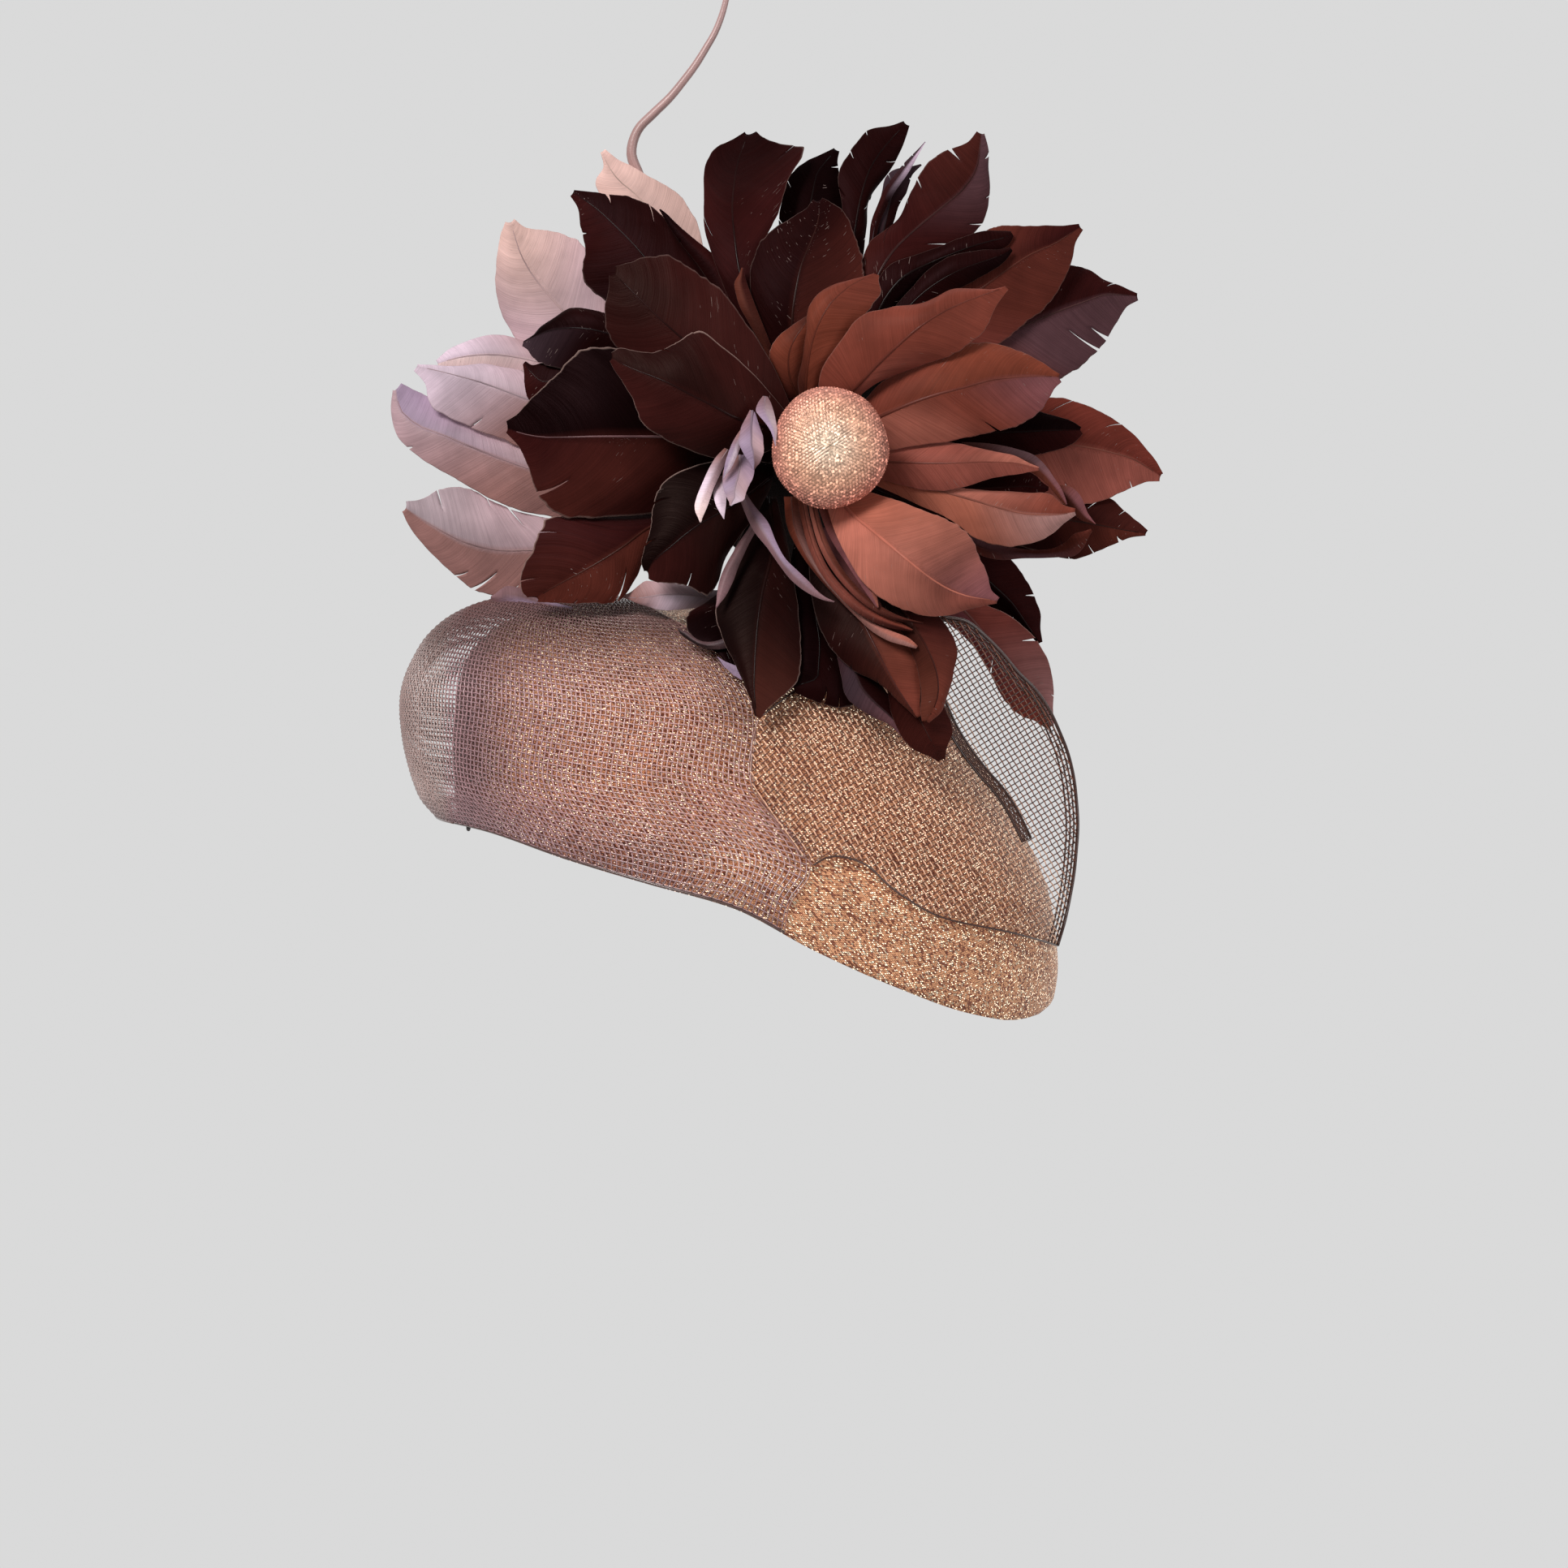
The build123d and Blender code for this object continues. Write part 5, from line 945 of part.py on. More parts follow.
        [(11.08, -80.66, 89.74), (12.31, -81.14, 89.52), (13.54, -80.66, 89.36)],
        [(11.93, -81.67, 87.94), (12.65, -81.95, 87.74), (13.37, -81.67, 87.58)],
        [(12.38, -82.31, 86.35), (12.81, -82.47, 86.24), (13.24, -82.31, 86.15)],
        [(12.73, -82.71, 85.13), (12.93, -82.79, 85.08), (13.13, -82.71, 85.04)],
        [(12.97, -82.97, 84.11), (13.04, -83, 84.09), (13.11, -82.97, 84.07)],
    ],
}


def ring(z, cx, half, slope, depth):
    """One cap section moved inwards along the surface normal by depth."""
    k = math.sqrt(1.0 + slope * slope)
    return z + depth * slope / k, half - depth / k


def cap_centre(z):
    pts = [(c[0], c[1]) for c in CAP]
    if z <= pts[0][0]:
        return pts[0][1]
    for (z0, x0), (z1, x1) in zip(pts, pts[1:]):
        if z <= z1:
            return x0 + (x1 - x0) * (z - z0) / (z1 - z0)
    return pts[-1][1]


def cap_rings(depth):
    out = []
    for z, cx, half, slope in CAP:
        zz, rr = ring(z, cx, half, slope, depth)
        if out and zz - out[-1][0] < 0.35:
            continue
        if rr < 1.5:
            continue
        out.append((zz, cap_centre(zz), rr))
    return out


def cap_solid(depth):
    """Closed dome at the given depth below the outer surface."""
    with BuildPart() as dome:
        for zz, cx, rr in cap_rings(depth):
            with BuildSketch(Plane.XY.offset(zz)):
                with Locations((cx, 0)):
                    Ellipse(rr, rr * DEPTH_RATIO)
        loft()
    return dome.part


def below_rim(rise):
    """Everything under the rim line raised by rise."""
    with BuildPart() as low:
        with BuildSketch(Plane.XZ.offset(-130)):
            with BuildLine():
                s = Spline(*[(x, z + rise) for x, z in RIM])
                Polyline(s @ 1, (RIM[-1][0], -140), (RIM[0][0], -140), s @ 0)
            make_face()
        extrude(amount=260)
    return low.part


def vane_grid(rows):
    """Points of a vane's middle surface, crowned across its width."""
    grid = []
    for a, c, b in rows:
        line = []
        for u in (-1.0, -0.5, 0.0, 0.5, 1.0):
            line.append([c[k] + (b[k] - a[k]) / 2 * u + ((a[k] + b[k]) / 2 - c[k]) * u * u for k in range(3)])
        grid.append(line)
    return grid


def sheet_solid(grid, thickness):
    """Closed thin solid whose middle surface runs through a grid of points."""
    ni, nj = len(grid), len(grid[0])
    mid = [[Vector(*p) for p in row] for row in grid]
    faces = []
    for side in (0.5, -0.5):
        rows = []
        for i in range(ni):
            row = []
            for j in range(nj):
                along = mid[min(i + 1, ni - 1)][j] - mid[max(i - 1, 0)][j]
                across = mid[i][min(j + 1, nj - 1)] - mid[i][max(j - 1, 0)]
                row.append(mid[i][j] + along.cross(across).normalized() * (thickness * side))
            rows.append(row)
        faces.append(Face.make_surface_from_array_of_points(rows, tol=0.02))
    top, bottom = faces
    walls = []
    for edge in top.edges():
        other = min(bottom.edges(), key=lambda e: (e.position_at(0.5) - edge.position_at(0.5)).length)
        walls.append(Face.make_surface_from_curves(edge, other))
    return Solid(Shell([top, bottom] + walls))


def finish(builder, label):
    builder.part.label = label
    export_step(builder.part, "parts/" + label + ".step")


# ---- cap base ----
outer = cap_solid(0.0)

with BuildPart() as lurex_cover:
    add(outer)
    add(cap_solid(COVER_IN), mode=Mode.SUBTRACT)
    add(below_rim(0.0), mode=Mode.SUBTRACT)
finish(lurex_cover, "lurex_cover")

shell_out = cap_solid(SHELL_OUT)
shell_in = cap_solid(SHELL_IN)
with BuildPart() as buckram_shell:
    add(shell_out)
    add(shell_in, mode=Mode.SUBTRACT)
    add(below_rim(WIRE_HIGH + 0.15), mode=Mode.SUBTRACT)
finish(buckram_shell, "buckram_shell")

with BuildPart() as rim_wire:
    add(shell_out)
    add(shell_in, mode=Mode.SUBTRACT)
    add(below_rim(WIRE_LOW), mode=Mode.SUBTRACT)
    add(below_rim(WIRE_HIGH), mode=Mode.INTERSECT)
finish(rim_wire, "rim_wire")

line_out = cap_solid(LINE_OUT)
line_in = cap_solid(LINE_IN)
with BuildPart() as head_ribbon:
    add(sheet_solid(HEAD_RIBBON, LINE_IN - LINE_OUT))
finish(head_ribbon, "head_ribbon")

with BuildPart() as lining:
    add(line_out)
    add(line_in, mode=Mode.SUBTRACT)
    add(below_rim(RIBBON_HIGH + 0.2), mode=Mode.SUBTRACT)
finish(lining, "lining")

# ---- crin net ----
with BuildPart() as crin_left_lobe:
    add(sheet_solid(NET_LEFT, NET_T))
finish(crin_left_lobe, "crin_left_lobe")

with BuildPart() as crin_right_sail:
    add(sheet_solid(NET_RIGHT, NET_T))
finish(crin_right_sail, "crin_right_sail")

with BuildPart() as crin_fold:
    add(sheet_solid(NET_FOLD, NET_T))
finish(crin_fold, "crin_fold")

# ---- feather vanes ----
with BuildPart() as front_vane_upper_left:
    add(sheet_solid(vane_grid(VANES["front_vane_upper_left"]), VANE_T))
finish(front_vane_upper_left, "front_vane_upper_left")

with BuildPart() as front_vane_top_left:
    add(sheet_solid(vane_grid(VANES["front_vane_top_left"]), VANE_T))
finish(front_vane_top_left, "front_vane_top_left")

with BuildPart() as front_vane_top_short:
    add(sheet_solid(vane_grid(VANES["front_vane_top_short_a"]), VANE_T))
    add(sheet_solid(vane_grid(VANES["front_vane_top_short_b"]), VANE_T))
finish(front_vane_top_short, "front_vane_top_short")

with BuildPart() as front_vane_top_right:
    add(sheet_solid(vane_grid(VANES["front_vane_top_right"]), VANE_T))
finish(front_vane_top_right, "front_vane_top_right")

with BuildPart() as front_vane_right:
    add(sheet_solid(vane_grid(VANES["front_vane_right"]), VANE_T))
finish(front_vane_right, "front_vane_right")

with BuildPart() as front_vane_right_mid:
    add(sheet_solid(vane_grid(VANES["front_vane_right_mid"]), VANE_T))
finish(front_vane_right_mid, "front_vane_right_mid")

with BuildPart() as front_vane_right_low:
    add(sheet_solid(vane_grid(VANES["front_vane_right_low"]), VANE_T))
finish(front_vane_right_low, "front_vane_right_low")

with BuildPart() as front_vane_lower_right:
    add(sheet_solid(vane_grid(VANES["front_vane_lower_right"]), VANE_T))
finish(front_vane_lower_right, "front_vane_lower_right")

with BuildPart() as front_vane_low_pair:
    add(sheet_solid(vane_grid(VANES["front_vane_low_pair_a"]), VANE_T))
    add(sheet_solid(vane_grid(VANES["front_vane_low_pair_b"]), VANE_T))
finish(front_vane_low_pair, "front_vane_low_pair")

with BuildPart() as front_vane_low:
    add(sheet_solid(vane_grid(VANES["front_vane_low"]), VANE_T))
finish(front_vane_low, "front_vane_low")

with BuildPart() as front_vane_lower_left:
    add(sheet_solid(vane_grid(VANES["front_vane_lower_left"]), VANE_T))
finish(front_vane_lower_left, "front_vane_lower_left")

with BuildPart() as front_strips:
    add(sheet_solid(vane_grid(VANES["front_strips_a"]), VANE_T))
    add(sheet_solid(vane_grid(VANES["front_strips_b"]), VANE_T))
    add(sheet_solid(vane_grid(VANES["front_strips_c"]), VANE_T))
    add(sheet_solid(vane_grid(VANES["front_strips_d"]), VANE_T))
    add(sheet_solid(vane_grid(VANES["front_slender_a"]), VANE_T))
    add(sheet_solid(vane_grid(VANES["front_slender_b"]), VANE_T))
    add(sheet_solid(vane_grid(VANES["front_slender_c"]), VANE_T))
finish(front_strips, "front_strips")


with BuildPart() as dark_vane_top:
    add(sheet_solid(vane_grid(VANES["dark_vane_top"]), VANE_T))
finish(dark_vane_top, "dark_vane_top")

with BuildPart() as dark_vane_left:
    add(sheet_solid(vane_grid(VANES["dark_vane_left"]), VANE_T))
finish(dark_vane_left, "dark_vane_left")

with BuildPart() as dark_vane_left_upper:
    add(sheet_solid(vane_grid(VANES["dark_vane_left_upper_a"]), VANE_T))
    add(sheet_solid(vane_grid(VANES["dark_vane_left_upper_b"]), VANE_T))
finish(dark_vane_left_upper, "dark_vane_left_upper")

with BuildPart() as dark_vane_top_left:
    add(sheet_solid(vane_grid(VANES["dark_vane_top_left_a"]), VANE_T))
    add(sheet_solid(vane_grid(VANES["dark_vane_top_left_b"]), VANE_T))
finish(dark_vane_top_left, "dark_vane_top_left")

with BuildPart() as dark_vane_crown:
    add(sheet_solid(vane_grid(VANES["dark_vane_crown"]), VANE_T))
finish(dark_vane_crown, "dark_vane_crown")

with BuildPart() as dark_vane_crown_split:
    add(sheet_solid(vane_grid(VANES["dark_vane_crown_split_a"]), VANE_T))
    add(sheet_solid(vane_grid(VANES["dark_vane_crown_split_b"]), VANE_T))
    add(sheet_solid(vane_grid(VANES["dark_vane_crown_split_c"]), VANE_T))
    add(sheet_solid(vane_grid(VANES["dark_vane_crown_split_d"]), VANE_T))
finish(dark_vane_crown_split, "dark_vane_crown_split")

with BuildPart() as dark_vane_top_right:
    add(sheet_solid(vane_grid(VANES["dark_vane_top_right"]), VANE_T))
finish(dark_vane_top_right, "dark_vane_top_right")

with BuildPart() as dark_vane_right_slips:
    add(sheet_solid(vane_grid(VANES["dark_vane_right_slips_a"]), VANE_T))
    add(sheet_solid(vane_grid(VANES["dark_vane_right_slips_b"]), VANE_T))
finish(dark_vane_right_slips, "dark_vane_right_slips")

with BuildPart() as dark_vane_right_upper:
    add(sheet_solid(vane_grid(VANES["dark_vane_right_upper"]), VANE_T))
finish(dark_vane_right_upper, "dark_vane_right_upper")

with BuildPart() as dark_vane_right_wide:
    add(sheet_solid(vane_grid(VANES["dark_vane_right_wide"]), VANE_T))
finish(dark_vane_right_wide, "dark_vane_right_wide")

with BuildPart() as dark_vane_right_tip:
    add(sheet_solid(vane_grid(VANES["dark_vane_right_tip"]), VANE_T))
finish(dark_vane_right_tip, "dark_vane_right_tip")

with BuildPart() as dark_vane_right_split:
    add(sheet_solid(vane_grid(VANES["dark_vane_right_split_a"]), VANE_T))
    add(sheet_solid(vane_grid(VANES["dark_vane_right_split_b"]), VANE_T))
    add(sheet_solid(vane_grid(VANES["dark_vane_right_split_c"]), VANE_T))
finish(dark_vane_right_split, "dark_vane_right_split")

with BuildPart() as dark_vane_right_inner:
    add(sheet_solid(vane_grid(VANES["dark_vane_right_inner"]), VANE_T))
finish(dark_vane_right_inner, "dark_vane_right_inner")

with BuildPart() as dark_vane_left_low:
    add(sheet_solid(vane_grid(VANES["dark_vane_left_low"]), VANE_T))
finish(dark_vane_left_low, "dark_vane_left_low")

with BuildPart() as dark_vane_bottom:
    add(sheet_solid(vane_grid(VANES["dark_vane_bottom"]), VANE_T))
finish(dark_vane_bottom, "dark_vane_bottom")

with BuildPart() as dark_vane_bottom_pair:
    add(sheet_solid(vane_grid(VANES["dark_vane_bottom_pair_a"]), VANE_T))
    add(sheet_solid(vane_grid(VANES["dark_vane_bottom_pair_b"]), VANE_T))
finish(dark_vane_bottom_pair, "dark_vane_bottom_pair")

with BuildPart() as dark_vane_side_upper:
    add(sheet_solid(vane_grid(VANES["dark_vane_side_upper"]), VANE_T))
finish(dark_vane_side_upper, "dark_vane_side_upper")

with BuildPart() as dark_vane_side_lower:
    add(sheet_solid(vane_grid(VANES["dark_vane_side_lower"]), VANE_T))
finish(dark_vane_side_lower, "dark_vane_side_lower")

with BuildPart() as dark_backing_vanes:
    add(sheet_solid(vane_grid(VANES["dark_backing_vanes_a"]), VANE_T))
    add(sheet_solid(vane_grid(VANES["dark_backing_vanes_b"]), VANE_T))
    add(sheet_solid(vane_grid(VANES["dark_backing_vanes_c"]), VANE_T))
    add(sheet_solid(vane_grid(VANES["dark_backing_vanes_d"]), VANE_T))
    add(sheet_solid(vane_grid(VANES["dark_backing_vanes_e"]), VANE_T))
finish(dark_backing_vanes, "dark_backing_vanes")

with BuildPart() as mauve_vane_top:
    add(sheet_solid(vane_grid(VANES["mauve_vane_top"]), VANE_T))
finish(mauve_vane_top, "mauve_vane_top")

with BuildPart() as mauve_vane_left:
    add(sheet_solid(vane_grid(VANES["mauve_vane_left_a"]), VANE_T))
    add(sheet_solid(vane_grid(VANES["mauve_vane_left_b"]), VANE_T))
finish(mauve_vane_left, "mauve_vane_left")

with BuildPart() as mauve_vane_left_mid:
    add(sheet_solid(vane_grid(VANES["mauve_vane_left_mid"]), VANE_T))
finish(mauve_vane_left_mid, "mauve_vane_left_mid")

with BuildPart() as mauve_vane_left_low:
    add(sheet_solid(vane_grid(VANES["mauve_vane_left_low"]), VANE_T))
finish(mauve_vane_left_low, "mauve_vane_left_low")

with BuildPart() as mauve_vane_top_narrow:
    add(sheet_solid(vane_grid(VANES["mauve_vane_top_narrow"]), VANE_T))
finish(mauve_vane_top_narrow, "mauve_vane_top_narrow")

with BuildPart() as mauve_vane_bottom:
    add(sheet_solid(vane_grid(VANES["mauve_vane_bottom"]), VANE_T))
finish(mauve_vane_bottom, "mauve_vane_bottom")

with BuildPart() as mauve_slips:
    add(sheet_solid(vane_grid(VANES["mauve_slips_a"]), VANE_T))
    add(sheet_solid(vane_grid(VANES["mauve_slips_b"]), VANE_T))
    add(sheet_solid(vane_grid(VANES["mauve_slips_c"]), VANE_T))
finish(mauve_slips, "mauve_slips")

with BuildPart() as mauve_curls:
    add(sheet_solid(vane_grid(VANES["mauve_curls_a"]), VANE_T))
    add(sheet_solid(vane_grid(VANES["mauve_curls_b"]), VANE_T))
    add(sheet_solid(vane_grid(VANES["mauve_curls_c"]), VANE_T))
    add(sheet_solid(vane_grid(VANES["mauve_curls_d"]), VANE_T))
    add(sheet_solid(vane_grid(VANES["mauve_curls_e"]), VANE_T))
    add(sheet_solid(vane_grid(VANES["mauve_curls_f"]), VANE_T))
    add(sheet_solid(vane_grid(VANES["mauve_curls_g"]), VANE_T))
    add(sheet_solid(vane_grid(VANES["mauve_curls_h"]), VANE_T))
finish(mauve_curls, "mauve_curls")

# ---- rosette core and discs ----
CORE_PLANE = Plane(origin=(CORE_X, 0, CORE_Z), x_dir=(1, 0, 0), z_dir=(0, -1, 0))

with BuildPart() as rosette_core:
    with BuildSketch(CORE_PLANE.offset(-CORE_BACK)):
        Circle(CORE_R)
    extrude(amount=CORE_BACK - CORE_FRONT)
finish(rosette_core, "rosette_core")

with BuildPart() as rosette_back_disc:
    with BuildSketch(CORE_PLANE.offset(-CORE_BACK - DISC_T)):
        Circle(DISC_R)
    extrude(amount=DISC_T)
finish(rosette_back_disc, "rosette_back_disc")

with BuildPart() as rosette_front_disc:
    with BuildSketch(CORE_PLANE.offset(-CORE_FRONT)):
        Circle(FRONT_DISC_R)
    extrude(amount=FRONT_DISC_T)
finish(rosette_front_disc, "rosette_front_disc")

# ---- beaded button: mould, stretched cover and shank ----
BUTTON_AXIS = Axis((BUTTON_X, 0, BUTTON_Z), (0, -1, 0))
BUTTON_SKETCH = Plane(origin=(BUTTON_X, 0, BUTTON_Z), x_dir=(1, 0, 0), z_dir=(0, 0, 1))


def button_profile(shrink):
    r = BUTTON_R - shrink
    return [
        (0.0, BUTTON_FRONT + shrink),
        (r * 0.42, BUTTON_FRONT + shrink + 1.0),
        (r * 0.76, BUTTON_FRONT + shrink + 3.6),
        (r, BUTTON_EQUATOR),
        (r * 0.93, BUTTON_EQUATOR + 3.6 - shrink * 0.4),
        (r * 0.72, BUTTON_BACK - shrink),
        (0.0, BUTTON_BACK - shrink),
    ]


with BuildPart() as button_cover:
    with BuildSketch(BUTTON_SKETCH):
        with BuildLine():
            p = button_profile(0.0)
            Spline(p[0], p[1], p[2], p[3], p[4], p[5], tangents=[(1, 0), (-1, 0.6)])
            Polyline(p[5], p[6], p[0])
        make_face()
        with BuildLine():
            p = button_profile(BUTTON_SKIN)
            Spline(p[0], p[1], p[2], p[3], p[4], p[5], tangents=[(1, 0), (-1, 0.6)])
            Polyline(p[5], p[6], p[0])
        make_face(mode=Mode.SUBTRACT)
    revolve(axis=BUTTON_AXIS, revolution_arc=360)
    with BuildSketch(Plane(origin=(BUTTON_X, 0, BUTTON_Z), x_dir=(1, 0, 0), z_dir=(0, -1, 0)).offset(-BUTTON_BACK - 1)):
        Circle(BUTTON_TUCK_R)
    extrude(amount=2.0, mode=Mode.SUBTRACT)
finish(button_cover, "button_cover")

with BuildPart() as button_mould:
    with BuildSketch(BUTTON_SKETCH):
        with BuildLine():
            p = button_profile(BUTTON_SKIN + 0.05)
            Spline(p[0], p[1], p[2], p[3], p[4], p[5], tangents=[(1, 0), (-1, 0.6)])
            Polyline(p[5], p[6], p[0])
        make_face()
    revolve(axis=BUTTON_AXIS, revolution_arc=360)
finish(button_mould, "button_mould")

with BuildPart() as button_shank:
    with BuildSketch(Plane(origin=(BUTTON_X, 0, BUTTON_Z), x_dir=(1, 0, 0), z_dir=(0, -1, 0)).offset(-CORE_FRONT + FRONT_DISC_T)):
        Circle(SHANK_R)
    extrude(amount=(CORE_FRONT - FRONT_DISC_T) - (BUTTON_BACK - BUTTON_SKIN - 0.05))
finish(button_shank, "button_shank")

# ---- stem from the cap to the back of the rosette ----
with BuildPart() as rosette_stem:
    with BuildSketch(CORE_PLANE.offset(-CORE_BACK - DISC_T - 2.0)):
        Circle(9.0)
    extrude(amount=2.0)
    with BuildLine():
        Spline((24.0, -5.0, 84.0), (20.0, -5.0, 62.0), (12.0, -5.0, 46.0), (10.0, -5.0, 30.0))
    with BuildSketch(Plane(origin=(24.0, -5.0, 84.0), x_dir=(0, 1, 0), z_dir=(-4.0, 0, -22.0))):
        Circle(STEM_R)
    sweep()
    with BuildSketch(Plane.XY.offset(28.0)):
        with Locations((10.0, -5.0)):
            Circle(8.0)
    extrude(amount=14.0)
    add(outer, mode=Mode.SUBTRACT)
finish(rosette_stem, "rosette_stem")

# ---- quill, its holder on the crown and the pin it sways on ----
px, pz = QUILL_PIVOT
with BuildPart() as quill:
    for k in range(len(QUILL)):
        x, z, r = QUILL[k]
        a = QUILL[max(k - 1, 0)]
        b = QUILL[min(k + 1, len(QUILL) - 1)]
        with BuildSketch(Plane(origin=(x, QUILL_Y, z), x_dir=(0, 1, 0), z_dir=(b[0] - a[0], 0, b[1] - a[1]))):
            Circle(r)
    loft()
    with BuildSketch(Plane(origin=(px, QUILL_Y - QUILL_BOSS_T / 2, pz), x_dir=(1, 0, 0), z_dir=(0, 1, 0))):
        Circle(QUILL_BOSS_R)
    extrude(amount=QUILL_BOSS_T)
    with BuildSketch(Plane(origin=(px, QUILL_Y - 4, pz), x_dir=(1, 0, 0), z_dir=(0, 1, 0))):
        Circle(QUILL_PIN_R + QUILL_PIN_GAP)
    extrude(amount=8, mode=Mode.SUBTRACT)
finish(quill, "quill")

cheek_in = QUILL_BOSS_T / 2 + CHEEK_GAP
with BuildPart() as quill_holder:
    with BuildSketch(Plane(origin=(px, QUILL_Y - cheek_in - CHEEK_T, pz), x_dir=(1, 0, 0), z_dir=(0, 1, 0))):
        Circle(3.0)
        with Locations((0, 8)):
            Rectangle(6.0, 16.0)
    extrude(amount=CHEEK_T)
    with BuildSketch(Plane(origin=(px, QUILL_Y + cheek_in, pz), x_dir=(1, 0, 0), z_dir=(0, 1, 0))):
        Circle(3.0)
        with Locations((0, 8)):
            Rectangle(6.0, 16.0)
    extrude(amount=CHEEK_T)
    with BuildSketch(Plane.XY.offset(pz - 16)):
        with Locations((px, QUILL_Y)):
            Rectangle(10.0, 2 * cheek_in + 2 * CHEEK_T + 1.0)
    extrude(amount=16 - QUILL_BOSS_R - 0.9)
    add(outer, mode=Mode.SUBTRACT)
    with BuildSketch(Plane(origin=(px, QUILL_Y - 8, pz), x_dir=(1, 0, 0), z_dir=(0, 1, 0))):
        Circle(QUILL_PIN_R)
    extrude(amount=16, mode=Mode.SUBTRACT)
finish(quill_holder, "quill_holder")

with BuildPart() as quill_pin:
    with BuildSketch(Plane(origin=(px, QUILL_Y - cheek_in - CHEEK_T - 0.4, pz), x_dir=(1, 0, 0), z_dir=(0, 1, 0))):
        Circle(QUILL_PIN_R)
    extrude(amount=2 * (cheek_in + CHEEK_T + 0.4))
finish(quill_pin, "quill_pin")

# ---- hair comb hung in thread loops inside the front ----
tooth_pitch = (COMB_W - 2.3) / (TOOTH_N - 1)
tilt = math.radians(TOOTH_TILT)
tooth_dir = (0, math.sin(tilt), math.cos(tilt))
with BuildPart() as comb:
    with BuildSketch(Plane.YZ.offset(COMB_X - COMB_W / 2)):
        with Locations((COMB_Y, COMB_Z)):
            Circle(COMB_BAR_R)
    extrude(amount=COMB_W)
    for k in range(TOOTH_N):
        x = COMB_X + (k - (TOOTH_N - 1) / 2) * tooth_pitch
        with BuildSketch(Plane(origin=(x, COMB_Y, COMB_Z), x_dir=(1, 0, 0), z_dir=tooth_dir)):
            Circle(TOOTH_R)
        extrude(amount=TOOTH_L, taper=0.6)
finish(comb, "comb")

with BuildPart() as thread_loops:
    for k in (-5, 0, 5):
        with Locations(Location((COMB_X + k * tooth_pitch, COMB_Y, COMB_Z), (0, 90, 0))):
            Torus(1.95, 0.45)
        with BuildSketch(Plane(origin=(COMB_X + k * tooth_pitch, COMB_Y - 1.95, COMB_Z), x_dir=(1, 0, 0), z_dir=(0, -1, 0))):
            Circle(0.4)
        extrude(amount=1.7 if k == 0 else 0.75)

    # loops for a hat elastic, one at each side of the head ribbon
    for x, z in ((-85.5, -30.0), (97.2, -86.5)):
        with Locations(Location((x, 0, z), (0, 90, 0))):
            Torus(LOOP_R, LOOP_WIRE)
finish(thread_loops, "thread_loops")
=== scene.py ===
import math
import bpy
import numpy as np
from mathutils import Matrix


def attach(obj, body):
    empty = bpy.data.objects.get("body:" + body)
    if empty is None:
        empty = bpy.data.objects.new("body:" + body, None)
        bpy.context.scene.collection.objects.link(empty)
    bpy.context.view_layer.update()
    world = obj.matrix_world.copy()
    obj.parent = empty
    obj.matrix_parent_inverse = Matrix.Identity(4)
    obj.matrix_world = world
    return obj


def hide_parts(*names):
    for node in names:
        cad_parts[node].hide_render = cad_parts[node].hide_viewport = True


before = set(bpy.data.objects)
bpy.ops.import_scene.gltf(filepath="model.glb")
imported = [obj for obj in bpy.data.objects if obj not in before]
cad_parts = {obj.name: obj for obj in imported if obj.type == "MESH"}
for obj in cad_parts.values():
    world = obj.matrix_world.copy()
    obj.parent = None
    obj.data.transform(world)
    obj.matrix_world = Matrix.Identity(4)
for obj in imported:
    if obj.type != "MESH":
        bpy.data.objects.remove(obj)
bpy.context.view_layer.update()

MM = 0.001
rng = np.random.default_rng(11)

# ------------------------------------------------------------------ camera, light, floor
cam = bpy.data.objects.new("camera", bpy.data.cameras.new("camera"))
bpy.context.scene.collection.objects.link(cam)
cam.location = (0.0156, -1.6, -0.01846)
cam.rotation_euler = (math.radians(90), 0, 0)
cam.data.sensor_width = 36.0
cam.data.lens = 36.0 * 1.6 / (1932 * 0.26 * MM)
cam.data.clip_start, cam.data.clip_end = 0.05, 50
bpy.context.scene.camera = cam
bpy.context.scene.view_settings.view_transform = "Standard"

PALETTE = {
    "rose_hi": (188, 110, 92),
    "rust_hi": (152, 86, 68),
    "rust": (148, 86, 72),
    "rust_mid": (122, 64, 54),
    "rust_deep": (106, 50, 39),
    "plum_rust": (112, 66, 68),
    "umber": (86, 42, 32),
    "orange_brown": (106, 50, 36),
    "brown": (62, 28, 22),
    "burgundy": (46, 16, 14),
    "near_black": (26, 7, 6),
    "black": (8, 2, 2),
    "mauve_pale": (218, 200, 214),
    "mauve": (186, 158, 164),
    "mauve_brown": (158, 116, 110),
    "mauve_rust": (146, 100, 92),
    "lilac": (160, 140, 164),
    "dusk": (104, 74, 76),
    "dusk_mid": (130, 98, 102),
    "grey_brown": (84, 60, 62),
    "slate": (60, 48, 52),
    "silver": (176, 160, 166),
    "white_rose": (238, 214, 210),
    "rose_pale": (216, 182, 172),
}
